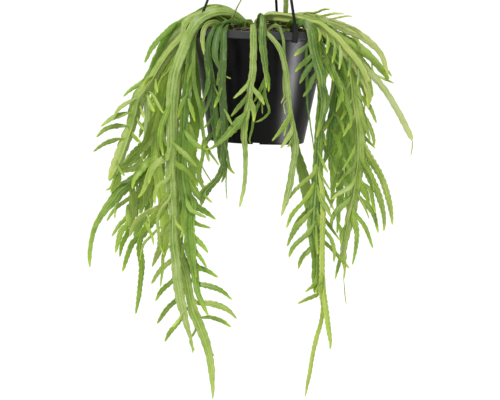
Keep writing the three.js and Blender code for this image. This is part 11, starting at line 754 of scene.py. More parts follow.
        ("flat", 1, 0, [(39.1,26.7,-255.1,4.2,1,-.06,0), (39.1,26.7,-247.1,4.2,1,-.06,0), (39.1,26.7,-243.1,4.2,1,-.06,0), (40.2,28.4,-240.8,4.2,.67,-.04,-.74), (43.4,29.7,-239.3,4.54,.45,-.01,-.89), (50.6,32.3,-236.6,6.08,.07,-.01,-1), (54.6,33.8,-236.9,7.06,-.15,-.02,-.99), (62.5,36.1,-238.6,8.84,-.17,0,-.99), (70.5,37.1,-240.7,9.15,-.53,-.02,-.85), (73.5,36.9,-243.5,9.31,-.7,-.03,-.71), (79.5,36.4,-248.7,9.93,-.54,-.06,-.84), (90,36.1,-254.3,10.62,-.45,-.1,-.89), (97.2,35,-257.7,10.63,-.45,-.11,-.89), (107.7,33.7,-263.3,10.53,-.53,-.11,-.84), (117.6,32.8,-269.7,9.19,-.59,-.1,-.8), (126.4,31.9,-277.7,7.94,-.7,-.07,-.71), (134.5,31.1,-286.3,7.94,-.8,-.03,-.6), (141.7,30.3,-295.1,4.37,-.71,.02,-.71), (144.2,30,-297.6,2.49,-.7,.04,-.71)],
         [29.9, 40.6, 52.3, 63, 75.5, 86.5, 97.9, 109.1, 120.7, 131.8], [37.8, 49.6, 61.4, 72.2, 84.2, 96.2, 112, 122.2, 133.2], 0),
        ("flat", 0, .45, [(72.4,36.4,-245.1,4.24,.97,-.14,-.22), (72.9,36,-242.8,4.39,.63,-.09,-.77), (76.5,35.8,-241.7,4.66,.14,-.05,-.99), (80.3,35.5,-241.7,4.74,-.1,-.03,-.99), (87.8,33.7,-243.4,4.88,-.31,-.03,-.95), (94.8,32.2,-246.3,4.78,-.46,-.03,-.89), (101.4,30.9,-250,4.39,-.56,-.04,-.83), (104.4,30.3,-252.3,4.13,-.71,-.03,-.71), (106.8,29.7,-255.3,3.65,-.83,-.02,-.55), (108.6,29.2,-258.6,3.16,-.95,-.02,-.31), (109.1,28.6,-262.3,2.55,-.98,.01,.19), (107.3,28,-265.5,1.7,-.87,0,.49)],
         [11.2, 17.2, 23.5, 30.1, 36.1, 41.7, 47.6], [13.2, 19.3, 25.8, 32.3, 38.3, 44.5], 3.9),
        ("flat", 0, .45, [(90,36.1,-254.3,4.35,-.87,0,.49), (89.3,35.4,-255.6,4.35,-.85,-.22,-.47), (92.2,34.7,-257.5,4.35,-.61,-.29,-.74), (97.9,31,-261.1,3.28,-.59,-.23,-.77), (103.9,27.5,-264.6,1.74,-.58,-.21,-.79)],
         [10.4, 16.3], [15.1], 4.5),
        ("flat", 0, .45, [(100.7,34.5,-259.5,3.66,-.95,.1,-.31), (103.2,36,-266.8,3.66,-.91,.06,-.4), (105.2,36.8,-270.1,3.66,-.69,.08,-.72), (108.6,37.5,-271.7,3.66,-.3,.12,-.94), (116.2,39,-273.1,3.66,-.3,.14,-.94), (123.2,40.5,-276.3,3.17,-.55,.13,-.83), (129.5,41.8,-280.7,2.11,-.6,.12,-.79), (132.6,42.5,-283,1.58,-.59,.12,-.8)],
         [12.7, 19.1, 25.9, 32.1, 38], [15.1, 21, 26.9, 33.3, 39.6], 4.5),
        ("flat", 0, .45, [(111,33.4,-265.4,3.86,-.7,-.34,-.63), (116,35.3,-271.9,3.59,-.64,-.36,-.68), (118.9,36.2,-274.8,3.49,-.5,-.35,-.8), (126.2,38,-278.5,3.81,-.38,-.32,-.87), (133.1,39.8,-282.9,2.85,-.47,-.33,-.82), (139.8,41.5,-287.6,1.67,-.48,-.33,-.81)],
         [11.1, 17.8, 23.6, 29.6], [13.3, 20.1, 26.8, 32.6], 4.4),
        ("flat", 0, .45, [(123.6,32.2,-274.9,3.21,-.91,-.42,-.05), (124.4,31,-282.6,2.76,-.92,-.4,-.03), (126,29.8,-290.1,2.32,-.83,-.4,-.39), (128.5,29.2,-293,2.46,-.62,-.41,-.67), (131.9,28.6,-294.8,2.76,-.44,-.42,-.8), (139.1,27.4,-297.7,3.01,-.38,-.42,-.82), (146.3,26.3,-300.4,2.22,-.4,-.42,-.82), (149.8,25.7,-301.9,1.34,-.4,-.42,-.81)],
         [10.6, 16.7, 22.8, 29, 35.3], [15.9, 21.9, 28.4, 34.9], 3.5),
        ("flat", 0, .45, [(136.8,30.8,-289.5,2.92,.63,-.11,-.77), (138.9,29.6,-287.6,3.48,.11,-.07,-.99), (142.5,28.3,-288.7,4.53,-.53,.05,-.85), (144.9,27.1,-291.5,3.12,-.8,.1,-.59), (146.7,25.9,-294.8,1.5,-.85,.11,-.51)],
         [9.1], [12.9], 3.1),
        ("flat", 0, .45, [(104.3,34.1,-261.3,4.84,-.93,.02,-.36), (107.3,35.8,-268.1,5.01,-.88,.02,-.47), (111.2,37.5,-274.6,5.27,-.83,.02,-.56), (116,39.1,-280.4,4.98,-.72,.03,-.69), (121.3,40.7,-285.7,4.16,-.73,.03,-.69), (126.3,42.1,-291.1,1.82,-.73,.03,-.68)],
         [11.7, 17.9, 24.5, 30.3], [14.8, 21.7, 27.7, 33.7], 4.5),
    ]),
    "stem_right_straight": (0.8, [
        ("flat", 1, 0, [(21.3,4,-251.9,4.2,.94,.34,0), (21.3,4,-243.9,4.2,.94,.34,0), (21.3,4,-239.9,4.2,.94,.34,0), (22.7,4.1,-236.5,4.22,.71,.26,-.66), (26.2,4.2,-234.6,4.44,.37,.25,-.89), (29.9,4.2,-233.4,4.77,.14,.24,-.96), (37.9,4.1,-233.5,5.8,-.03,.21,-.98), (49.8,3.8,-234.8,6.98,-.17,.16,-.97), (61.2,3.7,-238.1,7.21,-.33,.1,-.94), (68.8,3.1,-239.9,6.99,-.17,.06,-.98), (73.4,1.8,-240.9,6.89,-.34,-.08,-.93), (78,18.4,-244.6,6.87,-.56,-.16,-.81), (80.4,14.7,-248.3,7.01,-.81,.05,-.58), (84.8,8.8,-253.9,7.33,-.71,-.07,-.7), (87.7,7.3,-256.4,7.49,-.68,-.08,-.73), (93.5,5.5,-261.8,7.54,-.7,-.1,-.7), (99.1,4.4,-267.4,7.57,-.73,-.13,-.67), (107,3.6,-276.4,7.66,-.75,-.18,-.64), (115.3,3.3,-285.1,7.7,-.68,-.2,-.7), (124.4,3.3,-292.8,7.2,-.61,-.21,-.76), (133,3.3,-301.1,6.86,-.73,-.2,-.65), (138.2,3.4,-307.3,6.84,-.77,-.18,-.61), (143,3.4,-313.7,6.82,-.8,-.16,-.57), (147.5,3.5,-320.3,6.83,-.83,-.13,-.54), (151.7,3.6,-327.1,6.76,-.84,-.1,-.53), (156,3.7,-333.8,6.74,-.85,-.06,-.53), (160,3.7,-340.7,6.63,-.87,-.02,-.49), (163.9,3.8,-347.7,6.62,-.88,.03,-.48), (169.6,4,-358.3,6.02,-.88,.09,-.47), (171.5,4,-361.8,5.59,-.88,.11,-.46)],
         [33.1, 45, 56.1, 67.3, 77.5, 87.3, 97.5, 108.5, 119.6, 130, 140, 150.2, 160.5, 171.6, 182.7, 193.1, 203.4, 213.6, 225, 235.3], [31.2, 42.9, 52.8, 63.3, 73.1, 83.5, 94.7, 104.6, 114.9, 125.9, 136.6, 147.3, 157, 167.5, 179, 190.4, 200.8, 211.1, 221.2, 231.5], 0),
        ("flat", 0, -.05, [(169.6,4,-358.3,1.82,-.88,.37,-.3), (171.8,4,-365.3,1.72,-.92,.37,-.13), (171.8,4,-368.9,1.48,-.93,.37,.05), (171,4,-376.2,1.06,-.92,.37,.11), (170.5,4,-379.9,.94,-.92,.37,.12)],
         [8.9, 14.7], [13.5], 2.5),
    ]),
    "stem_right_ribbed_long": (0.6, [
        ("rib", 1, 0, [(16.8,-26,-252.8,4.2,1,-.02,0), (16.8,-26,-244.8,4.2,1,-.02,0), (16.8,-26,-240.8,4.2,1,-.02,0), (17.7,-20.6,-237.5,4.31,.89,-.02,-.46), (19.9,-19.3,-235,4.66,.68,.02,-.73), (22.6,-19.1,-232.9,5.2,.5,.08,-.86), (26,-20,-231.6,5.82,.23,.15,-.96), (29.7,-21.3,-231.6,6.52,.05,.16,-.98), (40.7,-25.4,-232.4,7.97,-.12,.16,-.98), (47.8,-28.9,-234.2,8.62,-.19,.15,-.97), (54.9,-33.4,-236.3,9.01,-.18,.16,-.97), (62,-38.7,-238.3,9.15,-.17,.19,-.97), (65.9,-40.3,-239.5,9.23,-.32,.24,-.92), (69.5,-40.9,-241.5,9.32,-.58,.28,-.76), (72.3,-41,-244.5,9.42,-.75,.29,-.59), (76.9,-40.3,-251.3,9.63,-.8,.32,-.51), (84,-40.2,-260.9,10.01,-.7,.38,-.61), (91.6,-40.8,-270,10.4,-.7,.43,-.57), (96.2,-41.1,-276.5,10.64,-.77,.47,-.44), (99.1,-41.3,-283.9,11.2,-.83,.49,-.27), (102.2,-41.6,-295.5,12.05,-.84,.51,-.2), (104,-41.9,-307.3,12.79,-.85,.51,-.12), (105.6,-42.2,-319.1,13.46,-.86,.49,-.15), (108.2,-42.4,-330.7,15,-.86,.45,-.24), (110.6,-42.6,-342.2,15.9,-.91,.4,-.12), (111.6,-42.6,-354,13.25,-.94,.34,-.05), (112.1,-42.4,-365.9,13.53,-.96,.28,-.02), (112.4,-42.1,-377.8,13.46,-.98,.22,0), (112.1,-41.8,-389.7,12.32,-.98,.17,.08), (110.8,-41.4,-401.6,11.8,-.98,.14,.12), (110,-41.1,-413.5,11.89,-.99,.13,.05), (108.5,-40.7,-425.3,11.53,-.97,.14,.19), (106.8,-40.4,-437.2,11.21,-.98,.17,.13), (104.4,-40,-448.7,9.33,-.95,.22,.21), (102.8,-39.6,-460.5,8.73,-.95,.28,.14), (100.7,-39.3,-472.2,7.64,-.92,.34,.19), (99,-38.9,-484,7.8,-.91,.41,.03), (99.4,-38.7,-491.9,8.13,-.89,.44,-.12), (101.7,-38.4,-502.9,3.21,-.88,.48,-.06), (101.3,-38,-514.8,1.39,-.86,.5,.06)],
         [30.4, 41.2, 53, 63.4, 74.8, 86.5, 98.3, 108.3, 119.6, 131.5, 147.4, 163.3, 179.2, 194.9, 204.6, 214.7, 222.6, 232.3, 242.5, 252.3, 262.5, 278.4, 289.3, 299.9, 310.5, 321.2, 332.3, 343.4, 353.3], [31.2, 42.6, 53.7, 65.8, 77.5, 89.2, 99.2, 110.1, 121.1, 131.9, 143.4, 152.8, 163.3, 179.2, 190.1, 200.5, 210.7, 226.6, 236.2, 246.5, 256.5, 266.5, 278.6, 290.5, 302.1, 312.5, 322.9, 334, 345.9, 355.8], 0),
        ("flat", 0, -.15, [(101.3,-38,-514.8,1.51,-.95,-.27,-.17), (102.4,-38,-522.8,1.18,-.96,-.27,-.09), (103.3,-38,-530.8,1.04,-.95,-.27,-.13), (104.6,-38,-538.8,1.06,-.95,-.27,-.18), (105.4,-38,-542.7,1,-.94,-.27,-.2)],
         [11.1, 17.3, 22.7], [12.5, 18.8, 24.4], .6),
        ("flat", 0, -.15, [(99,-38.9,-484,4.17,-.7,-.4,.58), (98.6,-39.5,-484.9,4.57,-.8,-.48,.37), (96.5,-40.6,-492.4,5.81,-.83,-.49,.28), (94.9,-41.7,-500,4.51,-.84,-.49,.24), (93.3,-42.8,-507.5,3.01,-.84,-.49,.25), (91.7,-43.8,-515,1.48,-.84,-.49,.24)],
         [12, 18.7, 24.5], [13.3, 20, 25.9], 3.3),
        ("flat", 0, -.15, [(99.1,-41.3,-283.9,4.54,-.13,.32,-.94), (102.2,-41.9,-284.5,4.71,-.55,.34,-.76), (103.9,-42.5,-287.9,5.11,-.81,.36,-.45), (107.5,-43.6,-294.6,5.64,-.74,.36,-.57), (112.1,-44.8,-300.7,5.38,-.74,.34,-.58), (115.6,-45.8,-307.3,4.71,-.87,.35,-.34), (117,-46.7,-314.7,2.87,-.92,.36,-.18), (117.7,-47,-318.4,1.95,-.92,.36,-.18)],
         [9.6, 16.2, 22.9, 28.5, 35], [13.7, 20.7, 26.4, 32.7], 4.7),
        ("flat", 0, -.15, [(103,-41.7,-299.4,4.96,-.83,-.22,-.51), (106.9,-42.7,-306.1,4.86,-.88,-.21,-.43), (110.9,-43.8,-312.9,4.73,-.8,-.21,-.56), (116.2,-44.8,-318.7,4.73,-.71,-.23,-.67), (121.6,-45.8,-324.4,5.04,-.8,-.23,-.56), (125.4,-46.8,-331.2,4.09,-.9,-.22,-.38), (128.4,-47.7,-338.4,2.92,-.91,-.22,-.36), (130,-48.1,-342,2.33,-.9,-.22,-.37)],
         [9.6, 16.4, 22.1, 27.7, 34.1, 40.1, 46.1], [15.4, 22.1, 28.2, 34.7, 41.1, 46.9], 5.2),
        ("flat", 0, -.15, [(105,-42.1,-315.2,5.13,-.7,-.32,-.64), (109.2,-41.2,-321.8,5.28,-.85,-.34,-.41), (112.4,-40.3,-329.1,5.44,-.82,-.34,-.46), (116.5,-39.4,-335.9,5.37,-.76,-.33,-.56), (120.9,-38.5,-342.6,5.22,-.8,-.33,-.5), (124.4,-37.6,-349.8,4.79,-.86,-.33,-.4), (127.2,-36.8,-357.3,4.23,-.9,-.32,-.3), (128.5,-36,-365.1,2.98,-.94,-.33,-.03), (128.1,-35.7,-368.9,1.73,-.94,-.33,.06)],
         [10.8, 17.8, 24.4, 31.1, 37.3, 43.1, 49.1, 54.8], [14.6, 21.6, 27.5, 34, 40.6, 46.7, 52.9], 5.6),
        ("flat", 0, -.15, [(108.2,-42.4,-330.7,4.28,-.02,-.65,-.76), (109.6,-43.1,-330.2,4.4,-.65,-.46,-.6), (111.6,-43.7,-333.4,4.64,-.82,-.42,-.39), (115.2,-45.1,-340,5.13,-.84,-.42,-.35), (118.4,-46.4,-346.8,4.74,-.86,-.42,-.29), (121.2,-47.7,-353.9,3.55,-.87,-.42,-.25), (123.8,-48.9,-360.9,2.35,-.87,-.42,-.26)],
         [10.1, 17.1, 23, 28.8], [12.6, 19.2, 25.4, 31.1], 6.3),
        ("flat", 0, -.15, [(111,-42.6,-346.1,4.19,-.9,.28,.32), (110.5,-41.9,-348.3,4.19,-.92,.34,-.19), (112.7,-41.1,-351.3,4.18,-.79,.37,-.49), (117.3,-39.6,-357.1,4.17,-.75,.37,-.54), (122.3,-38.2,-362.6,3.54,-.71,.37,-.6), (127.7,-36.8,-367.7,2.4,-.68,.38,-.62), (130.4,-36.2,-370.3,1.83,-.69,.38,-.62)],
         [10.2, 16.6, 23.3, 29.1], [12.9, 19.1, 25.4], 6.3),
        ("flat", 0, -.15, [(111.3,-42.6,-350.1,6.65,-.89,.41,-.21), (113.5,-41.7,-357.5,7.28,-.89,.41,-.22), (116.1,-40.7,-364.9,7.91,-.86,.41,-.31), (119.5,-39.8,-371.9,8.62,-.82,.41,-.4), (123.5,-38.9,-378.6,9.35,-.8,.41,-.43), (127.6,-37.9,-385.2,9.91,-.79,.41,-.45), (131.9,-37,-391.6,8.68,-.78,.42,-.47), (136.1,-36,-398.2,7.9,-.81,.42,-.41), (139.7,-35.1,-405.1,7.71,-.84,.42,-.34), (142.7,-34.2,-412.3,7.79,-.87,.41,-.27), (145.3,-33.3,-419.7,7.76,-.87,.41,-.25), (147.7,-32.5,-427.1,6.75,-.88,.42,-.22), (149.6,-31.7,-434.6,5.65,-.9,.41,-.14), (151,-30.9,-442.2,4.44,-.91,.41,-.1), (152,-30.2,-449.9,2.82,-.91,.41,-.07), (152.5,-29.8,-453.7,2.01,-.91,.41,-.07)],
         [10.7, 16.6, 22.5, 29.1, 35.4, 41.7, 47.5, 53.9, 59.5, 65.5, 71.1, 77.5, 84, 89.9, 96, 102.3, 108.3], [15.6, 21.6, 28, 34.4, 40.7, 47.2, 53.9, 60.3, 66.4, 72.7, 79.3, 85.3, 91.8, 98.3, 104.5], 5.9),
        ("flat", 0, -.15, [(112.1,-42.4,-365.9,6.94,-.84,-.52,.17), (111.3,-42.1,-369.2,7.58,-.86,-.51,-.09), (112.5,-41.7,-372.8,8.66,-.8,-.49,-.34), (115.4,-41.1,-380,10.83,-.79,-.49,-.38), (118.5,-40.4,-387.2,10.92,-.78,-.49,-.4), (121.9,-39.8,-394.3,10.19,-.77,-.49,-.42), (125.3,-39.1,-401.4,9.46,-.76,-.49,-.42), (128.9,-38.5,-408.4,8.97,-.75,-.49,-.45), (132.7,-37.8,-415.3,8.52,-.76,-.48,-.43), (136,-37.2,-422.5,8.06,-.79,-.48,-.37), (138.6,-36.6,-429.9,7.24,-.82,-.49,-.29), (140.7,-36,-437.5,6.32,-.84,-.49,-.24), (142.3,-35.4,-445.2,5.4,-.86,-.49,-.18), (143.1,-34.9,-453,3.85,-.87,-.49,-.06), (143.1,-34.4,-460.8,2.1,-.87,-.49,-.04)],
         [10, 16.1, 22, 28.6, 34.5, 40.8, 46.8, 52.5, 58.6, 64.5, 70.8, 77.5, 83.9, 89.6, 95.7], [13.5, 19.9, 26.4, 32.5, 38.5, 44.7, 50.8, 56.6, 62.8, 69.1, 75.6, 81.7, 87.9, 93.7], 5.7),
        ("flat", 0, -.15, [(112.3,-42.2,-373.8,4.47,-.78,.56,.28), (111.7,-42.8,-374.4,4.5,-.88,.41,-.25), (112.9,-43.5,-378,4.57,-.83,.4,-.38), (116,-44.8,-385.1,4.69,-.77,.39,-.5), (120.5,-46.1,-391.4,4.71,-.69,.38,-.62), (125.1,-47.3,-397.5,4.73,-.77,.37,-.52), (128,-48.5,-404.6,3.89,-.88,.38,-.29), (129.5,-49.7,-412.1,2.61,-.89,.39,-.23), (130.2,-50.2,-415.9,1.97,-.89,.39,-.24)],
         [11.1, 17.7, 24.1, 30.5, 36.3, 42.2], [14, 20.5, 26.2, 31.9, 37.7, 43.6], 5.8),
        ("flat", 0, -.15, [(111.8,-41.7,-393.7,6.41,-.93,.33,-.16), (113.4,-40.7,-401.7,8.06,-.93,.32,-.17), (115.8,-39.6,-409.5,9.41,-.88,.33,-.36), (120,-38.7,-416.5,8.17,-.83,.34,-.44), (123.3,-37.7,-423.7,5.56,-.89,.33,-.3), (126.1,-36.8,-431.1,2.41,-.9,.33,-.29)],
         [12.3, 19.1, 25.2, 31, 37.4], [14.5, 21.1, 27.3, 32.9], 5.1),
        ("flat", 0, -.15, [(110,-41.1,-413.5,5.46,-.83,-.11,-.55), (110.5,-41.5,-414.1,5.28,-.91,-.07,-.4), (113.6,-42.4,-421.5,4.66,-.89,-.07,-.46), (118.5,-43.3,-427.8,5.05,-.69,-.08,-.72), (124.6,-44.2,-432.9,6.31,-.68,-.09,-.72), (129.7,-45.1,-439,5.88,-.86,-.09,-.51), (132.8,-45.9,-446.4,4.48,-.95,-.08,-.29), (134.9,-46.7,-454.1,3.15,-.97,-.08,-.23), (136.8,-47.5,-461.8,1.82,-.97,-.08,-.24)],
         [9.1, 15, 20.7, 26.5, 32.2, 38.6, 45, 50.9], [13.2, 19.9, 26.5, 32.8, 39.3, 45.4, 51.3], 5),
        ("flat", 0, -.15, [(109.8,-41,-417.5,2.67,-.8,.05,-.59), (114.1,-43.2,-423.6,2.7,-.81,.05,-.58), (118.3,-45.4,-429.8,2.58,-.83,.04,-.55), (122,-47.5,-436.3,2.28,-.89,.05,-.44), (124.9,-49.6,-443.3,1.4,-.92,.05,-.38), (126.3,-50.6,-446.8,.96,-.92,.05,-.38)],
         [9, 15.1, 20.8, 26.7], [12.1, 17.9, 23.7, 28.8], 5),
        ("flat", 0, -.15, [(107.7,-40.6,-429.2,5.26,-.96,-.25,-.14), (109.1,-41.6,-437.2,5.55,-.96,-.24,-.17), (110.1,-42,-441.1,5.69,-.91,-.24,-.33), (112.1,-42.5,-444.5,5.53,-.78,-.26,-.58), (117.8,-43.5,-450.1,4.68,-.74,-.27,-.61), (122.5,-44.4,-456.7,4.9,-.85,-.26,-.46), (125.9,-45.3,-463.9,4.09,-.9,-.26,-.34), (128.8,-46.2,-471.4,3,-.92,-.26,-.31), (131.6,-47,-478.9,1.9,-.91,-.26,-.32)],
         [10.9, 16.9, 23.4, 29.7, 35.9, 42.2, 48.6], [14.3, 20.3, 26.8, 32.6, 38.8, 45, 51.4], 4.7),
        ("flat", 0, -.15, [(107.3,-40.5,-433.2,5.74,-.93,.32,-.17), (108.2,-41.7,-440.7,7.5,-.93,.32,-.18), (109.6,-42.8,-448.2,8.34,-.9,.31,-.29), (111.9,-44,-455.5,6.97,-.9,.3,-.32), (113.6,-45.2,-463,5.68,-.94,.31,-.15), (113.7,-46.4,-470.7,5.01,-.95,.31,-.01), (113.2,-47.5,-478.4,4.33,-.95,.31,.05), (112.2,-48.6,-486,3.33,-.94,.31,.11), (110.8,-49.6,-493.6,2.27,-.94,.32,.13), (110.1,-50.1,-497.4,1.74,-.94,.32,.12)],
         [10.9, 17.4, 23.7, 29.7, 36.2, 42.5, 48.4, 54.9, 60.6], [13.8, 19.8, 26.5, 32.4, 38, 43.8, 50.3, 56.8], 4.7),
        ("flat", 0, -.15, [(114.4,-40.1,-405.6,4,-.6,-.42,-.68), (120.6,-41.7,-410,4.51,-.6,-.45,-.66), (125.9,-43.2,-415.1,5.01,-.8,-.44,-.39), (127.4,-44,-418.6,4.96,-.89,-.42,-.2), (128.9,-45.4,-426,4.86,-.91,-.41,-.11), (130.8,-46.9,-433.2,3.76,-.89,-.41,-.18), (132.9,-48.2,-440.4,2.17,-.89,-.41,-.18)],
         [11.3, 17.8, 23.7, 29.7, 35.4], [12.6, 18.4, 24.6, 31, 37.1], 3.7),
        ("flat", 0, -.15, [(112,-42.5,-361.9,4.05,-.49,.39,.78), (109.2,-43.5,-363.2,4.05,-.8,.34,.49), (108.1,-44.5,-367,4.05,-.94,.27,.19), (105.8,-46.5,-374.5,4.05,-.91,.27,.3), (102.3,-48.4,-381.5,3.29,-.87,.28,.39), (98.4,-50.3,-388.4,2.54,-.86,.29,.41), (94.5,-52.1,-395.3,1.77,-.87,.28,.41)],
         [11.3, 17.3, 22.9, 28.9, 35.6], [15.5, 21.9, 28, 34.1], 5.6),
        ("flat", 0, -.15, [(112.4,-42.1,-377.8,4.03,-.76,-.26,.6), (110.3,-42.8,-380.7,4.06,-.87,-.27,.42), (109.6,-43.5,-384.5,4.13,-.92,-.31,.24), (107.6,-44.9,-391.7,4.26,-.77,-.31,.56), (104.9,-45.6,-394.3,4.22,-.55,-.27,.79), (98.9,-47,-398.8,3.95,-.68,-.26,.69), (94.4,-48.3,-404.9,3.08,-.76,-.27,.58), (90.2,-49.5,-411.1,2.2,-.77,-.28,.58), (88.1,-50.1,-414.2,1.76,-.76,-.27,.58)],
         [12, 18, 24.7, 30.6, 36.5, 42.6], [14, 20, 25.7, 31.7, 37.5], 5.7),
        ("flat", 0, -.15, [(111.3,-41.5,-397.6,5.38,-.87,.43,.25), (108.6,-43.1,-404.8,5.63,-.88,.41,.24), (105.4,-44.6,-411.6,5.87,-.79,.41,.47), (102.8,-45.4,-414.4,5.81,-.65,.42,.63), (96.3,-46.8,-418.2,5.43,-.49,.44,.75), (89.9,-48.2,-422.2,4.44,-.61,.43,.66), (84.2,-49.6,-427,2.02,-.65,.43,.63)],
         [9.1, 15, 21.8, 27.6, 33.3], [14.4, 20.9, 27, 33.6, 39.3], 5),
        ("flat", 0, -.15, [(109.8,-41,-417.5,6.05,-.79,.03,.62), (105.1,-42.4,-424,5.43,-.84,.02,.54), (100.3,-43.8,-430.5,5.02,-.74,.03,.67), (94.5,-45.1,-435.9,6.95,-.69,.05,.73), (89.2,-46.5,-441.8,5.78,-.85,.04,.53), (86.1,-47.8,-449.1,3.81,-.95,.03,.32), (83.7,-49,-456.6,1.82,-.95,.03,.32)],
         [9.4, 15.8, 22.4, 29, 34.7, 41.1], [12.6, 18.8, 24.8, 30.5, 36.6, 42.7], 5),
        ("flat", 0, -.15, [(108.2,-42.4,-330.7,5.48,-.85,.45,.28), (104.6,-44.9,-337.6,5.62,-.85,.45,.28), (101.1,-47.4,-344.4,5.64,-.85,.45,.27), (97.6,-49.8,-351.3,3.86,-.85,.45,.27), (94.1,-52.1,-358.2,2.06,-.85,.45,.28)],
         [10.2, 17.1, 23.3, 29.1], [13, 19.8, 26.5], 6.3),
        ("flat", 0, -.15, [(105,-42.1,-315.2,4.93,-.67,.27,.69), (104.2,-43.3,-315.5,4.95,-.82,.2,.54), (102,-44.6,-318.8,4.98,-.86,.19,.47), (98,-47.1,-325.6,5.05,-.88,.19,.43), (94.4,-49.5,-332.6,3.61,-.92,.19,.36), (91.2,-51.8,-339.8,1.85,-.92,.19,.35)],
         [11.1, 17.2, 23.7], [15.4, 22.4], 5.6),
        ("flat", 0, -.15, [(102.2,-41.6,-295.5,4.93,-.88,.19,.43), (98.6,-43.7,-301.8,4.91,-.88,.19,.43), (95.1,-45.8,-308.2,4.89,-.9,.2,.39), (92.1,-47.8,-314.8,3.54,-.93,.19,.33), (89.4,-49.7,-321.5,1.85,-.93,.19,.32)],
         [10.5, 16.4, 22], [14.1, 20.4, 26.3], 5.1),
        ("flat", 0, -.15, [(103.7,-39.9,-452.6,4.97,-.76,-.2,.62), (99.4,-42.3,-458.5,5.51,-.8,-.17,.57), (97.7,-43.4,-461.8,5.78,-.89,-.18,.41), (96.8,-44.6,-465.2,5.04,-.96,-.2,.22), (96.5,-46.9,-472.4,2.93,-.97,-.22,.08), (96.5,-48,-476.1,1.86,-.97,-.22,.08)],
         [10.6, 16.8, 23], [13.4, 19.5], 3.7),
    ]),
    "stem_right_behind": (0.85, [
        ("flat", 1, 0, [(12.6,16,-251.8,4.2,.96,-.28,0), (12.6,16,-243.8,4.2,.96,-.28,0), (13.5,16.3,-236.1,4.24,.85,-.25,-.46), (16.1,16.5,-233.5,4.72,.43,-.26,-.86), (20.1,16.8,-232.9,5.29,.13,-.23,-.96), (32,16.9,-232.2,7.79,-.01,-.14,-.99), (43.9,15.3,-233,8.97,-.15,-.09,-.98), (51.7,15.2,-234.6,9.38,-.24,-.08,-.97), (59.3,17.6,-237,9.75,-.26,-.07,-.96), (67.5,20.6,-238.5,9.99,-.11,-.05,-.99), (72.5,23.5,-239.2,10.11,-.27,-.1,-.96), (76.8,27.1,-241.8,10.22,-.7,-.15,-.7), (78.9,25.3,-246,10.32,-.95,-.06,-.31), (79.7,24.4,-250.4,10.43,-.97,-.07,-.21), (82.3,23.8,-257.8,10.65,-.92,-.11,-.38), (86.1,23.4,-269.2,10.96,-.96,-.16,-.24), (88,23,-277,11.19,-.95,-.19,-.25), (90.5,22.5,-284.6,11.37,-.92,-.23,-.31), (93.2,22.1,-292.2,11.51,-.92,-.27,-.29), (95.5,21.7,-299.8,11.68,-.92,-.31,-.23), (97.5,21.2,-307.6,11.88,-.9,-.36,-.23), (99.9,20.8,-315.3,12.1,-.88,-.4,-.25), (101.9,20.4,-323,12.32,-.89,-.43,-.13), (102.8,19.9,-331,12.55,-.88,-.46,-.05), (103.4,19.5,-339,12.76,-.87,-.49,-.02), (103.7,19,-347,12.92,-.86,-.51,.01), (103.7,18.6,-355,13,-.85,-.53,.04), (103.6,18.2,-363,13.01,-.84,-.54,.04), (103.6,17.7,-371.1,12.97,-.84,-.55,.01), (103.9,17.3,-379.1,12.36,-.84,-.54,-.01), (104.3,16.8,-387.1,11.68,-.85,-.53,-.01), (104.6,16.4,-395.1,10.98,-.85,-.52,.01), (104.5,16,-403.1,10.37,-.87,-.5,.06), (104,15.5,-411.1,9.83,-.88,-.47,.09), (103.4,15.1,-419.1,9.31,-.89,-.44,.09), (102.7,14.4,-430.7,5.94,-.92,-.38,.08), (102.2,14,-438.5,3.51,-.94,-.34,.08)],
         [38.9, 51, 62, 73.8, 84.2, 96, 107.2, 117.1, 128.5, 139.8, 150.3, 160.7, 170.3, 179.9, 188.6, 198.5, 210.2, 222.5, 232.8, 242.7, 253.8, 265.1, 274.9], [30.3, 41, 52.4, 64.1, 74.4, 86, 96.9, 107.5, 118.2, 129.8, 140.5, 150.8, 161.2, 172.9, 183, 193.6, 203.8, 214.5, 226.2, 237.1, 248.2, 259.8, 270.2], 0),
        ("flat", 0, -.3, [(101.9,20.4,-323,5.45,-.51,.15,-.84), (103.2,21.5,-323.6,5.45,-.76,.08,-.64), (105.3,22.6,-326.8,5.45,-.85,.05,-.52), (109.1,24.8,-333.2,5.45,-.89,.06,-.46), (112.3,27,-340,4.26,-.93,.05,-.37), (114.9,29,-347,2.64,-.94,.04,-.34), (116.3,30.1,-350.5,1.82,-.94,.05,-.35)],
         [10.7, 17, 22.9, 29.4], [12.5, 18.5, 25.1], 5.2),
        ("flat", 0, -.3, [(103.7,18.8,-351,6.09,-.26,.58,-.77), (105.3,19.9,-350.7,6.08,-.69,.47,-.55), (107.6,21.1,-354,6.07,-.81,.44,-.39), (111.8,23.3,-360.8,6.04,-.83,.44,-.33), (115.3,25.4,-367.9,4.89,-.87,.44,-.24), (118.2,27.5,-375.3,2.99,-.88,.43,-.21), (119.6,28.5,-379.1,2.03,-.87,.43,-.21)],
         [10, 16.6, 22.7, 28.5], [15, 21.1, 27.4], 5.4),
        ("flat", 0, -.3, [(103.7,17.5,-375.1,6.27,-.77,-.5,-.39), (106.9,19.7,-381.8,6.19,-.64,-.47,-.61), (111.2,21.9,-388.1,6.08,-.68,-.46,-.57), (114.5,24.1,-394.8,5,-.77,-.47,-.43), (116.8,26.2,-402,3.07,-.79,-.48,-.39), (118,27.2,-405.7,2.09,-.79,-.48,-.39)],
         [9.3, 15.9, 21.5, 27.5], [12.5, 19, 25.5, 32], 5.3),
        ("flat", 0, -.3, [(103.5,17.9,-367.1,5.93,-.54,-.47,.7), (102,19,-367.5,5.92,-.78,-.41,.46), (100.3,20,-370.7,5.92,-.86,-.39,.32), (97.2,22.1,-377.2,5.9,-.88,-.39,.25), (94.9,23.9,-383.9,4.73,-.91,-.39,.15), (93.3,25.5,-390.9,2.9,-.91,-.39,.14), (92.5,26,-394.4,1.98,-.91,-.39,.15)],
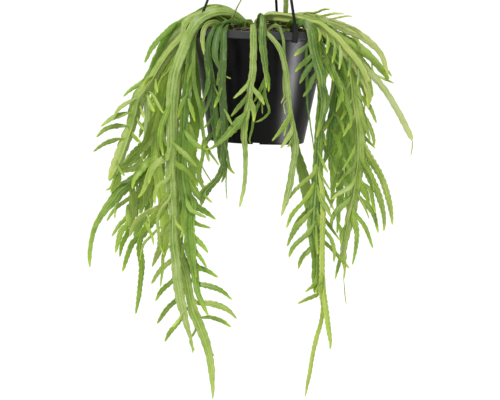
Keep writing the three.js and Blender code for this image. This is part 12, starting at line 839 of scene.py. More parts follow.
         [12.8, 19.3, 25.7], [14.6, 21.2, 27.1], 5.5),
        ("flat", 0, -.3, [(96.5,21.5,-303.7,6.01,-.65,-.4,-.65), (100.9,24,-309.7,6.01,-.66,-.39,-.64), (105.1,26.4,-315.7,5.88,-.7,-.39,-.59), (108.6,28.8,-322,3.96,-.74,-.4,-.54), (112.1,31.2,-328.6,2,-.74,-.4,-.54)],
         [12.7, 19, 25.6], [14.1, 20.8, 27.4], 4.9),
    ]),
    "stem_right_dark": (0.25, [
        ("flat", 1, 0, [(38.7,-10,-253.9,4.2,1,-.06,0), (38.7,-10,-245.9,4.2,1,-.06,0), (39.2,-10.2,-238.4,4.22,.84,-.05,-.53), (42,-10.4,-236.8,4.46,.26,-.06,-.96), (45.9,-10.4,-236.6,4.92,.02,-.06,-1), (53.7,-9.7,-237.1,6.42,-.16,-.07,-.99), (61.3,-7.2,-239,8.05,-.22,-.07,-.97), (69.9,-3,-240.9,8.54,-.2,-.01,-.98), (73.8,-30.5,-241.5,8.66,-.26,.1,-.96), (76.6,-27.9,-245.1,8.79,-.78,-.23,-.59), (79.2,-22.4,-253.5,8.87,-.91,-.17,-.37), (80.6,-21.4,-257.2,8.89,-.92,-.15,-.37), (83.3,-20.9,-264.6,8.92,-.94,-.16,-.3), (85.9,-21.3,-276.2,9,-.98,-.19,-.1), (86.2,-22,-288,9.1,-.97,-.24,.05), (85.6,-22.9,-299.9,9.43,-.96,-.28,.07), (84.7,-23.8,-311.6,10.86,-.94,-.33,.11), (83.5,-24.8,-323.4,11.37,-.92,-.36,.15), (81.8,-25.8,-335,9.65,-.91,-.4,.15), (80.6,-26.8,-346.7,10.54,-.9,-.42,.12), (79.9,-27.8,-358.4,9.85,-.9,-.44,.07), (79.1,-28.9,-370.1,7.54,-.89,-.44,.15), (76.9,-29.9,-381.6,5.54,-.85,-.43,.31), (73.2,-31,-392.7,3.24,-.89,-.43,.15), (73.4,-31.7,-400.5,2.67,-.91,-.42,-.04), (73.8,-32,-404.5,2.39,-.91,-.4,-.04)],
         [27.9, 39.8, 50.7, 62.3, 73.1, 84.5, 94.8, 105.6, 116.6, 127.8, 139.2, 151.5, 161.5, 171.2, 180.7, 190.9, 202.1, 214.4, 225.9, 236], [29.2, 39.9, 50.9, 62, 72.5, 84.2, 95.7, 106.8, 116.8, 126.8, 137.1, 147.6, 159.8, 171.2, 181.7, 191.9, 202.7, 213, 223.5, 234.1], 0),
        ("flat", 0, .5, [(84.7,-23.8,-311.6,5.9,-.66,.37,-.66), (89.8,-25.7,-317.7,5.84,-.68,.35,-.64), (93.9,-27.6,-324.3,5.28,-.83,.36,-.43), (95.9,-29.4,-331.7,3.07,-.88,.38,-.3), (96.9,-30.2,-335.4,1.97,-.87,.37,-.31)],
         [11.1, 17.7, 23.5], [12.2, 18.3, 24.2], 4.6),
        ("flat", 0, .5, [(82.4,-25.4,-331.1,5.77,-.83,.35,-.42), (83.7,-26.3,-334.4,5.76,-.74,.34,-.58), (86.3,-27.1,-337,5.75,-.63,.31,-.72), (91.2,-28.8,-342.5,5.71,-.76,.3,-.57), (92.8,-29.6,-345.7,4.98,-.85,.31,-.42), (94.6,-31.1,-352.7,2.95,-.9,.33,-.28), (95.5,-31.9,-356.2,1.93,-.9,.33,-.29)],
         [9.1, 15.6, 21.5], [14.3, 20.2, 26.3], 4.3),
        ("flat", 0, .5, [(80.3,-27.1,-350.7,5.86,-.85,-.36,-.38), (84.5,-28.8,-357.4,5.83,-.8,-.37,-.46), (88.7,-30.5,-364.1,5.79,-.86,-.38,-.34), (91.3,-32.1,-371.5,4.03,-.92,-.36,-.16), (93.1,-33.6,-379.2,1.95,-.92,-.36,-.15)],
         [11.7, 17.5, 23.6], [13.6, 19.6, 25.3], 4.6),
        ("flat", 0, .5, [(85.1,-23.5,-307.7,5.45,-.89,.02,.45), (81.4,-25.3,-314.8,5.24,-.89,.02,.45), (77.9,-27,-322,5.03,-.92,.02,.39), (75.1,-28.9,-329.4,2.9,-.94,.01,.33), (73.8,-30.1,-333.1,1.81,-.95,.01,.33)],
         [9.7, 15.6, 22.1], [15.3, 21.8], 4.4),
        ("flat", 0, .5, [(82.4,-25.4,-331.1,5.76,-.91,.25,-.34), (83.3,-26.4,-334.4,5.67,-.96,.28,.06), (81.4,-27.3,-337.7,5.46,-.84,.33,.43), (77.4,-29.2,-344.2,4.96,-.88,.33,.34), (74.8,-31,-351.3,2.94,-.92,.32,.24), (73.6,-31.9,-354.8,1.92,-.92,.32,.24)],
         [9.4, 15.4, 21.3], [14.8, 21.3], 4.3),
        ("flat", 0, .5, [(78.5,-29.2,-374,5.53,-.9,-.18,-.39), (82.1,-31.1,-381.2,5.45,-.91,-.18,-.38), (85.2,-33,-388.6,4.99,-.94,-.18,-.28), (87.4,-34.8,-396.2,2.9,-.96,-.17,-.22), (88.4,-35.7,-400,1.84,-.96,-.17,-.22)],
         [12.2, 19.1, 25], [13.3, 20.3], 2.9),
        ("flat", 0, .5, [(79.8,-28.2,-362.3,4.99,-.82,.24,.51), (75.2,-26.3,-369.1,4.74,-.74,.21,.64), (70.9,-24.4,-376.1,4.22,-.9,.22,.38), (69.3,-22.6,-384.1,2.66,-.95,.24,.2), (68.6,-21.7,-388.2,1.87,-.95,.24,.2)],
         [12.1, 18.8, 25.4], [14.1, 20.9], 3.8),
        ("flat", 0, .5, [(86.2,-22,-288,4.84,-1,.05,.01), (86.1,-23.3,-291.3,4.91,-.96,.01,-.27), (87.9,-24.5,-294.4,5.03,-.86,-.04,-.51), (91.7,-27,-300.7,5.26,-.9,-.05,-.42), (94.2,-29.4,-307.5,3.73,-.97,-.03,-.26), (96,-31.7,-314.6,1.82,-.97,-.03,-.25)],
         [11.3, 18, 23.8], [13.2, 19.5, 25.4], 3.8),
    ]),
    "stem_right_inner": (0.7, [
        ("flat", 1, 0, [(27.9,0,-252.4,4.2,.97,.22,0), (27.9,0,-244.4,4.2,.97,.22,0), (27.9,0,-240.4,4.2,.97,.22,0), (29.1,.2,-236.9,4.22,.76,.18,-.62), (32.3,.4,-234.9,4.45,.37,.17,-.91), (36.1,.4,-234.1,4.76,.13,.15,-.98), (48.1,.1,-233.7,6.08,-.03,.1,-.99), (60,0,-235.3,6.6,-.27,.05,-.96), (71.4,-.7,-239.2,6.6,-.4,.01,-.92), (75.6,-2.5,-241.4,6.6,-.5,.06,-.86), (79,-15,-244.6,6.61,-.76,.13,-.64), (80.6,-11.3,-249.1,6.61,-.95,-.1,-.3), (81.9,-6.4,-257,6.62,-.95,-.07,-.3), (83.2,-5.5,-260.7,6.63,-.93,-.08,-.37), (86.1,-5.1,-268.2,6.64,-.93,-.1,-.35), (88.7,-5.2,-275.7,6.65,-.95,-.11,-.29), (90.9,-5.5,-283.4,6.65,-.96,-.12,-.25), (92.8,-5.8,-291.2,6.66,-.97,-.13,-.22), (94.5,-6.1,-299.1,6.65,-.98,-.13,-.18), (95.8,-6.4,-307,6.65,-.99,-.12,-.12), (96.5,-6.8,-314.9,6.64,-.99,-.11,-.04), (96.4,-7.2,-323,6.51,-.99,-.1,.05), (96,-7.5,-331,6.37,-1,-.08,.03), (95.9,-7.9,-339,6.25,-1,-.06,.01), (95.8,-8.3,-347,6.14,-1,-.03,.01), (95.8,-8.7,-355,6.03,-1,0,.01), (95.7,-9.1,-363,5.92,-1,.03,.01), (95.6,-9.4,-371,5.81,-1,.06,.01), (95.5,-9.8,-379,5.74,-1,.1,.02), (95.2,-10.2,-387,5.69,-.99,.13,.02), (95,-10.6,-395,5.65,-.99,.16,.02), (94.8,-11,-403,6.12,-.98,.19,.01), (94.6,-11.3,-411,6.79,-.97,.22,.02), (94.3,-11.7,-419,7.46,-.97,.25,.04), (93.4,-12.3,-430.9,6.05,-.96,.28,.05), (93.2,-12.9,-442.9,5.19,-.95,.3,-.04), (93.4,-13.2,-450.9,4.86,-.95,.32,-.01), (92.9,-13.8,-462.7,2.58,-.95,.32,.04), (92.6,-14,-466.6,1.76,-.95,.32,.04)],
         [27.7, 39.7, 51.2, 62.8, 73.9, 84.4, 96.2, 107.2, 118.6, 129.6, 141.4, 151.4, 161.5, 170.9, 181.6, 191.7, 201.6, 211.7, 221.7, 231.1, 241.7, 252.2, 261.7, 273, 282.8, 293.6], [32.5, 44.1, 55.2, 65.6, 77.4, 87.9, 98.4, 110.4, 120.3, 132, 142.9, 152.8, 162.9, 173.6, 185.6, 197.6, 205.6, 217.7, 227.3, 237.7, 253.7, 263.1, 273.7, 283.9, 293.9], 0),
        ("flat", 0, .35, [(95.8,-8.3,-347,6.28,-.8,-.5,.34), (93.2,-10.4,-354.2,6.52,-.73,-.48,.5), (89.9,-12.5,-361.1,6.85,-.74,-.48,.47), (87.1,-14.5,-368.1,4.67,-.77,-.48,.42), (84.5,-16.4,-375.2,2.09,-.77,-.48,.42)],
         [11.1, 17.4, 23.7], [15.3, 22.2], 2.6),
        ("flat", 0, .35, [(95.7,-9.3,-367,6.08,-.77,-.43,.47), (92.3,-11.3,-374.3,6.36,-.77,-.42,.47), (89.2,-13.4,-381.7,6.64,-.82,-.42,.4), (87.1,-15.4,-389.3,4.35,-.85,-.43,.31), (85.3,-17.3,-397.1,2.02,-.85,-.43,.31)],
         [10.3, 16.2, 22.5, 28.8], [12.4, 18.4, 24.8], 2.5),
        ("flat", 0, .35, [(96.4,-7.2,-323,4.97,-.95,.28,-.15), (96.6,-8.4,-326.6,5.01,-.88,.24,-.42), (99,-9.5,-329.8,5.08,-.75,.19,-.63), (103.2,-11.9,-336.6,4.84,-.88,.2,-.43), (105.4,-14.1,-344.2,2.86,-.93,.22,-.3), (106.4,-15.3,-348,1.86,-.93,.22,-.3)],
         [9.9, 16.5, 22.7], [15, 21.7], 2.7),
        ("flat", 0, .35, [(95.9,-8.1,-343,4.84,-.83,-.02,-.56), (100.3,-10.5,-349.4,4.85,-.84,-.05,-.54), (103.9,-12.8,-356.3,4.52,-.95,-.04,-.3), (105.4,-15.1,-363.9,2.72,-.99,-.02,-.16), (106.1,-16.2,-367.8,1.81,-.99,-.02,-.16)],
         [9.5, 16.4, 23], [15.7, 22.6], 2.6),
        ("flat", 0, .35, [(95.7,-9.1,-363,4.88,-.84,-.14,-.53), (100.1,-11.4,-369.4,4.92,-.85,-.16,-.5), (103.6,-13.8,-376.2,4.56,-.95,-.15,-.26), (105.1,-16,-383.7,2.75,-.98,-.13,-.12), (105.8,-17.2,-387.5,1.83,-.98,-.13,-.13)],
         [8.9, 15.4, 22.1], [15.5, 22], 2.5),
        ("flat", 0, .35, [(95.3,-10,-383,4.84,-.83,-.04,-.56), (99.8,-12.4,-389.4,4.98,-.84,-.06,-.54), (103.5,-14.7,-396.1,4.64,-.94,-.05,-.35), (105.6,-17,-403.4,2.76,-.97,-.04,-.24), (106.5,-18.1,-407.2,1.82,-.97,-.04,-.24)],
         [11.5, 17.3, 23.7], [13.5, 19.7], 2.4),
        ("flat", 0, .35, [(94.8,-11,-403,4.87,-.82,.1,-.56), (98.8,-13.3,-409.3,5,-.84,.07,-.54), (102,-15.7,-416.1,4.61,-.95,.09,-.31), (103.4,-17.9,-423.3,2.76,-.98,.11,-.19), (104,-19.1,-427,1.83,-.97,.1,-.2)],
         [10.1, 16.5, 22.5], [13.3, 19.2], 2.6),
        ("flat", 0, .35, [(94,-11.9,-423,5.07,-.78,-.3,-.55), (99,-14.3,-428.6,4.65,-.79,-.34,-.51), (102.6,-16.6,-435.1,4.02,-.94,-.32,-.15), (103.1,-17.8,-438.8,3.32,-.96,-.29,.01), (103.3,-20,-446.3,1.9,-.96,-.29,.05)],
         [9.1, 15.2, 21], [14.3, 20.5], 2.9),
        ("flat", 0, .35, [(96,-7.7,-335,5.24,.11,-.2,.97), (94,-8.8,-335,5.28,-.45,-.3,.84), (91.8,-9.8,-337.9,5.35,-.71,-.35,.61), (87.9,-11.9,-344.2,5.49,-.77,-.35,.52), (85.1,-13.9,-350.8,3.8,-.84,-.37,.41), (82.7,-15.8,-357.7,1.96,-.84,-.37,.4)],
         [11.7, 18.2, 24.1], [12.5, 19.3, 25.1], 2.6),
        ("flat", 0, .35, [(95.7,-8.9,-359,5.13,-.4,.43,.81), (93.7,-9.9,-359.4,5.17,-.71,.36,.6), (91.6,-10.9,-362.7,5.24,-.84,.33,.42), (87.7,-13,-369.5,5.38,-.88,.33,.33), (85,-15,-376.6,3.7,-.92,.32,.22), (82.6,-16.9,-384,1.92,-.92,.32,.22)],
         [10, 16.9, 22.9], [15.3, 21.1, 26.9], 2.5),
        ("flat", 0, .35, [(95.5,-9.8,-379,5.21,-.46,.46,.76), (94.2,-10.9,-379.1,5.23,-.77,.38,.51), (92.1,-11.9,-382.5,5.27,-.84,.37,.39), (88.3,-14,-389.3,5.33,-.87,.37,.34), (85.1,-16,-396.4,3.82,-.9,.36,.25), (82.4,-17.9,-403.7,1.96,-.9,.36,.25)],
         [9.1, 15.1, 20.8], [15, 21.1], 2.4),
        ("flat", 0, .35, [(94.9,-10.8,-399,5.27,-.47,.55,.69), (94.2,-11.8,-398.7,5.3,-.81,.39,.44), (92.2,-12.8,-402,5.37,-.85,.39,.35), (88.7,-14.9,-409,5.52,-.88,.4,.26), (86.4,-16.9,-416.3,3.84,-.91,.38,.13), (84.5,-18.9,-423.7,1.98,-.91,.38,.13)],
         [10.1, 16.2, 22], [12.3, 18.7, 25.4], 2.4),
        ("flat", 0, .35, [(94.5,-11.5,-415,5.52,-.81,-.52,.27), (94,-12.7,-418.6,5.45,-.71,-.49,.5), (91.5,-13.9,-421.5,5.3,-.58,-.44,.68), (86.7,-16.3,-427.6,5.01,-.74,-.43,.51), (85.5,-17.4,-431.3,4.01,-.83,-.45,.33), (84.5,-19.6,-438.9,1.86,-.85,-.46,.25)],
         [9, 15.2, 21.5], [15.6, 21.5], 3),
        ("flat", 0, .35, [(93.1,-12.5,-434.9,5.41,-.84,-.54,-.07), (94.1,-13.5,-438.2,5.32,-.81,-.49,.34), (91.7,-14.6,-441.3,5.11,-.65,-.41,.64), (87.1,-16.6,-447.8,4.69,-.78,-.4,.48), (85.9,-17.6,-451.5,4.19,-.88,-.41,.25), (85.8,-18.6,-455.5,3.47,-.9,-.43,.08), (86.4,-20.6,-463.4,2.03,-.9,-.43,.05)],
         [11.7, 18.2, 24.5], [12.1, 18.1, 24.7], 2.3),
        ("flat", 0, .35, [(93.3,-13.4,-454.8,4.41,-.82,.26,-.5), (96.4,-15.8,-461.1,5.61,-.84,.24,-.49), (98.8,-18.2,-467.7,5.93,-.92,.25,-.29), (99.6,-20.4,-474.5,3.24,-.95,.27,-.17), (100,-21.5,-477.9,1.89,-.95,.27,-.18)],
         [8.9, 15.2, 21.3], [12.5, 18.8], 1.8),
    ]),
    "stem_right_thin": (0.4, [
        ("flat", 1, 0, [(47.9,24,-256.3,4.2,.87,.49,0), (47.9,24,-248.3,4.2,.87,.49,0), (48.3,24.9,-240.6,4.22,.82,.47,-.33), (49.7,26,-237,4.18,.67,.43,-.6), (52.4,27.1,-234.5,4.02,.17,.37,-.91), (56.3,28.4,-234.8,4,-.18,.34,-.92), (64.2,31.6,-235.6,4.08,-.34,.35,-.87), (67.9,32.3,-237.1,4.17,-.45,.35,-.82), (74.4,32.7,-241.5,4.32,-.61,.32,-.73), (82.9,32.7,-249.7,4.46,-.72,.24,-.65), (87.7,32,-256,4.29,-.77,.17,-.61), (92.3,29.6,-262.2,4.14,-.76,.1,-.65), (100.3,27.8,-270.9,3.71,-.75,.03,-.66), (104.9,27,-277.3,3.44,-.86,-.01,-.51), (110.1,26,-287.9,3.05,-.92,-.04,-.38), (114.1,25,-299,2.81,-.96,-.05,-.28), (116.6,24.1,-310.5,2.53,-.99,-.02,-.15), (117.9,23.2,-322.3,2.06,-1,.04,-.07), (118.1,22.3,-334.1,1.33,-.99,.12,.02), (118,22,-338,1.12,-.99,.15,.02)],
         [36.4, 47.8, 57.8, 69.1, 79.7, 91.2, 101.7, 112.6, 122.7, 133.3, 143.5, 153.5], [39.2, 51.1, 61.2, 71.6, 81.4, 92.7, 103.9, 114.7, 125.8, 136.2, 147.3], 0),
    ]),
    "stem_upright": (0.5, [
        ("flat", 1, 0, [(27.8,-8,-252.5,4.2,1,-.09,0), (27.8,-8,-244.5,4.2,1,-.09,0), (27.7,-9.2,-236.7,4.22,.99,-.09,.05), (26.7,-12.9,-226.4,4.94,.99,-.11,-.03), (26.8,-14.7,-218.5,5.45,.99,-.14,-.01), (26.4,-16.2,-210.6,5.59,.98,-.17,.05), (25.6,-17.6,-202.8,5.57,.97,-.2,.11), (23.6,-19.4,-191.1,5.45,.96,-.24,.16), (21.9,-20.4,-183.3,5.08,.95,-.27,.18), (20.2,-21.4,-175.6,4.7,.95,-.29,.15), (18.2,-22.7,-163.8,3.79,.94,-.32,.09), (17.1,-24,-152.1,1.76,.94,-.34,.04)],
         [35.8, 45.8, 55.9, 66.2, 76.8, 87.5, 97.6], [36.7, 48.5, 58.6, 69.4, 79.1, 89.1], 0),
    ]),
    "stem_upright_thin": (0.55, [
        ("flat", 1, 0, [(-34.4,-26,-254.4,4.2,.96,.28,0), (-34.4,-26,-246.4,4.2,.96,.28,0), (-34.4,-26,-242.4,4.2,.96,.28,0), (-34.1,-28,-239.7,4.19,.96,.28,.09), (-33.5,-30.1,-239.7,4.02,.93,.36,-.03), (-32.6,-31.9,-239,3.62,.9,.4,-.16), (-31.3,-33.4,-235.4,3.13,.89,.42,-.17), (-28.5,-35.4,-227.7,2.19,.86,.46,-.22), (-25.4,-36.8,-220.2,1.63,.82,.49,-.3), (-21.9,-38,-212.9,1.51,.83,.51,-.24), (-19.4,-39.1,-205.1,1.29,.82,.53,-.22), (-16.5,-40.1,-197.6,1.05,.81,.54,-.24)],
         [28.7, 40.4, 51.1], [37.2, 47.2, 56.9], 0),
    ]),
    "stem_back_right_long": (1.0, [
        ("flat", 1, 0, [(30.3,52.9,-257.8,4.2,.97,-.25,0), (30.3,52.9,-249.8,4.2,.97,-.25,0), (30.3,51.9,-240.9,4.25,.97,-.25,0), (30,51.7,-240.8,4.29,.5,.31,-.81), (29.7,52.2,-241.1,4.34,.71,-.14,-.69), (29.7,53.8,-241.6,4.45,.71,-.17,-.68), (29.8,56,-242,4.63,.67,-.22,-.71), (31.3,58.6,-241.6,5.02,.61,-.19,-.77), (36.9,66.1,-240.4,7.26,.19,-.34,-.92), (38.9,70.5,-242.4,8.35,-.48,-.47,-.74), (39.9,71.1,-245.6,8.74,-.9,-.38,-.22), (40.6,71.6,-252.9,8.9,-.98,-.14,-.11), (41.2,74.9,-262.5,8.6,-1,-.04,-.05), (41.4,76.1,-270.4,8.63,-1,-.01,.01), (40.9,76.7,-282.4,9,-1,.01,.06), (40.2,76.8,-294.3,9.36,-1,.02,.04), (39.8,76.7,-306.2,9.46,-1,.01,.04), (39.4,76.5,-318.1,9.57,-1,-.01,.02), (39.4,76,-330,9.69,-1,-.05,-.01), (39.7,75.3,-341.9,9.84,-1,-.09,-.03), (40.3,73.9,-353.7,10.02,-.99,-.14,-.05), (41.2,71.8,-365.4,9.9,-.98,-.19,-.05), (42.7,69.3,-376.9,9.76,-.96,-.24,-.13), (45.8,66.7,-388.1,11.08,-.92,-.28,-.25), (50.2,63.9,-398.8,11.61,-.9,-.31,-.3), (53.8,60.9,-409.7,12.25,-.94,-.31,-.14), (56.2,57.9,-420.9,12.69,-.94,-.31,-.11), (58.4,54.9,-432.1,11.48,-.95,-.3,-.11), (60.7,51.9,-443.3,9.29,-.95,-.28,-.14), (63.6,48.9,-453.3,3.79,-.94,-.25,-.24), (64.7,48,-456.5,1.69,-.94,-.23,-.25)],
         [27.6, 38.9, 49.9, 59.9, 71, 80.7, 91, 102.2, 111.9, 122, 132, 142.2, 153.6, 163.5, 173.9, 185.2, 195.3, 205, 215.4, 226.9, 237.4, 248.5], [31.4, 42.9, 54.1, 64.3, 75.2, 85.5, 95.4, 106.3, 116.4, 127.5, 137.8, 147.9, 158.8, 168.8, 178.7, 189.5, 199.4, 210.4, 221.2, 231.6, 241.7, 253.1], 0),
    ]),
    "stem_back_middle": (-0.45, [
        ("flat", 1, 0, [(8.3,42,-254.4,4.2,.99,.17,0), (8.3,42,-246.4,4.2,.99,.17,0), (8.3,42,-242.4,4.2,.99,.17,0), (8,45,-240.2,4.22,.98,.17,-.12), (7.4,48.1,-240.9,4.39,.98,.14,-.16), (6,57.9,-243.6,5.33,.98,0,-.22), (6.4,61,-242.5,5.75,.94,-.1,-.32), (7.3,63.9,-241.7,6.26,.92,-.26,-.29), (7.9,67.1,-243.3,6.64,.93,-.16,-.32), (8.4,77.5,-245.4,6.92,.94,-.19,-.29), (8.9,78.7,-247.6,7.23,.93,-.36,.02), (9.7,80.2,-252.9,7.89,.92,-.39,.04), (10.7,81.3,-260.7,8.76,.91,-.41,.09), (12.6,82.2,-272.5,9.2,.91,-.41,.12), (14.3,82.8,-284.3,9.58,.91,-.4,.09), (15.5,83,-296.1,9.5,.92,-.38,.08), (16.3,82.7,-308,9.4,.93,-.36,.07), (16.6,81.8,-319.8,8.85,.94,-.33,.03), (16.4,80.6,-331.6,8.11,.95,-.3,.02), (16.4,79.2,-343.4,6.84,.96,-.26,.04), (16.5,77.9,-355,4.51,.97,-.22,.04), (16.9,76.5,-366.7,2.34,.98,-.18,.06), (17,76,-370.6,1.67,.98,-.17,.06)],
         [35.9, 45.9, 56.6, 67.8, 79.3, 91.4, 101.8, 113.6, 125.2, 136.2, 146.8, 157.4, 167.1], [30.4, 42.3, 52.4, 64.3, 74.4, 85.9, 98.4, 109.7, 121.4, 133.4, 145, 156.1, 166.8], 0),
        ("flat", 0, .25, [(13.8,82.6,-280.3,6.18,.36,-.43,-.83), (17.4,83.3,-279.1,6.18,-.02,-.43,-.9), (20.4,84,-281.2,6.15,-.6,-.44,-.67), (22.3,84.8,-284.5,6.11,-.75,-.46,-.48), (25.3,86.2,-291.5,6.03,-.79,-.46,-.41), (27.7,87.7,-298.7,4.2,-.83,-.46,-.32), (29.6,89,-306,2.06,-.83,-.46,-.31)],
         [10.7, 17, 23.3, 29.6], [15.8, 21.7, 27.9], 4),
        ("flat", 0, .25, [(16.3,82.7,-308,5.71,-.45,.21,.86), (18,83.5,-307.2,5.69,-.9,.34,.28), (16,84.3,-310.8,5.64,-.8,.29,.53), (12,86,-318,5.52,-.85,.28,.44), (9.7,87.6,-325.7,3.98,-.92,.29,.24), (8.3,89.2,-333.7,1.9,-.93,.3,.22)],
         [10.1, 16.9, 22.8], [13.1, 19.8, 26.5], 3.9),
        ("flat", 0, .25, [(16.5,81,-327.7,5.45,-.62,.03,-.79), (19.5,81.8,-330,5.42,-.76,.02,-.65), (21.5,82.6,-333.4,5.39,-.88,0,-.48), (24.9,84.3,-340.4,5.31,-.92,0,-.39), (27.4,85.9,-347.7,3.73,-.96,-.01,-.27), (29.3,87.5,-355.2,1.81,-.97,-.01,-.26)],
         [12.6, 18.5, 25.1], [15.3, 21.6, 27.5], 3.5),
    ]),
    "stem_back_left": (0.6, [
        ("flat", 1, 0, [(-24.9,54,-257.5,4.2,1,.08,0), (-24.9,54,-249.5,4.2,1,.08,0), (-25.6,53.2,-241.3,4.23,.84,.07,.53), (-27.1,53.7,-241.9,4.3,-.17,.65,.74), (-28.6,54.2,-242.9,4.42,-.32,.39,.86), (-30.1,55.3,-243.8,4.59,-.24,.18,.95), (-31.6,56.8,-244.2,4.77,.21,-.02,.98), (-33.4,58.5,-243,5.06,.51,-.08,.85), (-35.3,61.7,-241.5,5.5,.5,.03,.86), (-37.5,65.2,-240.8,6.03,.23,.27,.94), (-39.6,68.3,-242.3,6.64,-.35,.45,.82), (-40.8,70.3,-245.1,6.95,-.73,.45,.52), (-41.7,71.6,-248.1,7.3,-.87,.36,.34), (-43.1,73.3,-256.1,8.04,-.95,.27,.13), (-43.6,74.4,-264.1,8.59,-.96,.26,.07), (-43.8,75.1,-276,8.91,-.96,.27,0), (-43.6,75.4,-287.9,9.18,-.96,.28,-.02), (-43.4,75.2,-299.8,9.2,-.96,.29,-.04), (-42.7,74.5,-311.7,9.21,-.95,.29,-.09), (-41.6,73.4,-323.4,8.45,-.95,.29,-.14), (-40.2,72.1,-335.2,7.53,-.95,.28,-.16), (-38.4,70.7,-346.8,5.95,-.95,.26,-.19), (-36.5,69.4,-358.3,3.68,-.96,.24,-.18), (-34.9,68,-369.8,1.68,-.97,.21,-.16)],
         [25.3, 36.5, 48.4, 59.5, 70.8, 82.7, 94.5, 106.2, 117, 127.1, 137.8, 148.5, 158.5], [23.2, 34.6, 45.1, 55.2, 67.1, 78.5, 88.2, 99.1, 108.9, 120.3, 130, 141.7, 152.7, 163.5], 0),
        ("flat", 0, .1, [(-43.8,75.3,-280,5.45,-.91,0,.41), (-46.9,76.8,-286.9,5.36,-.91,0,.41), (-49.7,78.5,-294,5.28,-.96,.01,.29), (-51.1,80.1,-301.3,3.69,-.99,.02,.12), (-51.8,81.7,-308.7,1.81,-.99,.01,.1)],
         [10.3, 16.9, 23.6], [12.4, 18.3, 25.1], 3.8),
        ("flat", 0, .1, [(-43,74.8,-307.7,6,-.71,-.41,-.57), (-38.8,76.4,-314,5.9,-.71,-.41,-.58), (-34.9,78.1,-320.5,5.79,-.77,-.42,-.47), (-32.5,79.7,-327.5,4.01,-.85,-.43,-.32), (-30.7,81.2,-334.7,2,-.86,-.42,-.31)],
         [12.5, 19.2, 25.8], [16, 22.9], 3.9),
        ("flat", 0, .1, [(-40.7,72.5,-331.3,6.14,-.77,.45,.46), (-43.9,74.4,-338.5,6.06,-.78,.43,.45), (-46.4,76.3,-346,5.41,-.85,.44,.28), (-47.3,78.1,-353.7,3.17,-.87,.45,.19), (-47.7,79,-357.6,2.05,-.87,.45,.19)],
         [10.7, 17, 23.5], [13.8, 20], 3.3),
    ]),
    "stem_back_left_outer": (1.45, [
        ("flat", 1, 0, [(-34.9,44,-256.8,4.2,.72,-.69,0), (-34.9,44,-248.8,4.2,.72,-.69,0), (-34.9,44,-244.8,4.2,.72,-.69,0), (-36.6,44.3,-242.6,4.2,.28,-.27,.92), (-40.5,44.5,-242.9,4.39,-.1,-.28,.95), (-47.8,44.3,-242.8,5.2,.3,-.29,.91), (-50.7,44,-241.5,5.93,.26,-.29,.92), (-53.7,47.4,-240.1,7.09,.05,-.18,.98), (-57,50.5,-240,8.32,-.38,-.11,.92), (-60.1,52.8,-242.1,8.79,-.76,-.13,.63), (-62.3,54.5,-245.5,9.29,-.9,-.21,.38), (-64.8,58,-252.6,9.74,-.95,-.3,.07), (-66.1,60.8,-260.2,9.9,-.91,-.4,.03), (-67.3,62.4,-268.1,10.06,-.89,-.46,.07), (-68.4,63.4,-276,10.22,-.87,-.49,.06), (-69.4,64.3,-287.9,10.56,-.86,-.51,0), (-69.2,64.8,-299.8,11.74,-.85,-.53,-.05), (-68.8,65.2,-311.6,12.82,-.85,-.53,-.01), (-69.1,65.2,-323.5,12.93,-.85,-.52,.05), (-69.8,64.6,-335.4,12.72,-.86,-.5,.07), (-69.9,63.7,-347.3,12.8,-.88,-.47,.02), (-69.5,62.6,-359.1,13.28,-.9,-.43,.04), (-70.5,61.5,-370.8,12.2,-.91,-.38,.18), (-72.3,60.3,-382.4,10,-.93,-.34,.13), (-72.4,59.5,-390.3,9.12,-.95,-.31,-.03), (-70.9,58.3,-402,8.64,-.96,-.25,-.14), (-68.7,57.2,-413.4,6.03,-.96,-.2,-.19), (-66.1,56,-424.4,2.25,-.97,-.16,-.2)],
         [29.4, 41.4, 53.3, 64.7, 75.7, 86, 96.1, 106, 114.1, 123.8, 135.2, 147.6, 158.1, 167.5, 177.1, 185.4, 195, 206.8, 216.7], [30.1, 41.4, 52.4, 63.1, 73.8, 84.2, 95.7, 106.8, 117.8, 127.8, 137.7, 146, 155.6, 167.9, 179.3, 189.6, 201, 210.9, 221.7], 0),
        ("flat", 0, -.15, [(-69.4,64.5,-291.8,5.55,-.9,.19,-.39), (-65.8,66.5,-299,5.5,-.9,.21,-.38), (-62.8,68.6,-306.4,5.42,-.96,.21,-.2), (-61.7,70.6,-314.2,3.65,-.98,.19,-.03), (-61.2,72.6,-322.2,1.85,-.98,.19,-.03)],
         [11.7, 18.6, 24.5], [12.4, 19.2, 25.6], 4.6),
        ("flat", 0, -.15, [(-69.1,65.2,-323.5,5.47,-.86,-.12,.5), (-72.8,67.2,-330.6,5.38,-.93,-.11,.34), (-75.5,69.3,-338.2,5.24,-.96,-.12,.25), (-77.1,71.3,-346,3.78,-.99,-.1,.1), (-77.9,73.2,-354,1.82,-.99,-.1,.08)],
         [9.1, 15, 21.4, 27.7], [14.1, 20.8, 27.4], 5.4),
        ("flat", 0, -.15, [(-70,64,-343.3,6.06,-.84,.43,-.34), (-66.2,66.1,-350,6,-.84,.43,-.33), (-62.7,68.2,-356.8,5.95,-.86,.44,-.25), (-60.2,70.2,-364,4.13,-.89,.43,-.14), (-58.3,72.1,-371.4,2.02,-.9,.43,-.13)],
         [12.5, 19.2, 25.1], [12.4, 18.8, 24.5], 5.3),
        ("flat", 0, -.15, [(-69.8,63.4,-351.2,6.14,-.94,.17,.31), (-71.9,65,-358.3,6.59,-.94,.16,.32), (-73.8,66.7,-365.5,7.04,-.96,.15,.23), (-74.6,68.3,-372.7,6.17,-.99,.16,.05), (-74.3,69.9,-380,4.01,-.99,.17,-.03), (-73.8,71.4,-387.2,1.84,-.99,.17,-.02)],
         [10.9, 16.9, 23.2, 29.6], [12.7, 18.5, 24.5, 31.2], 5.4),
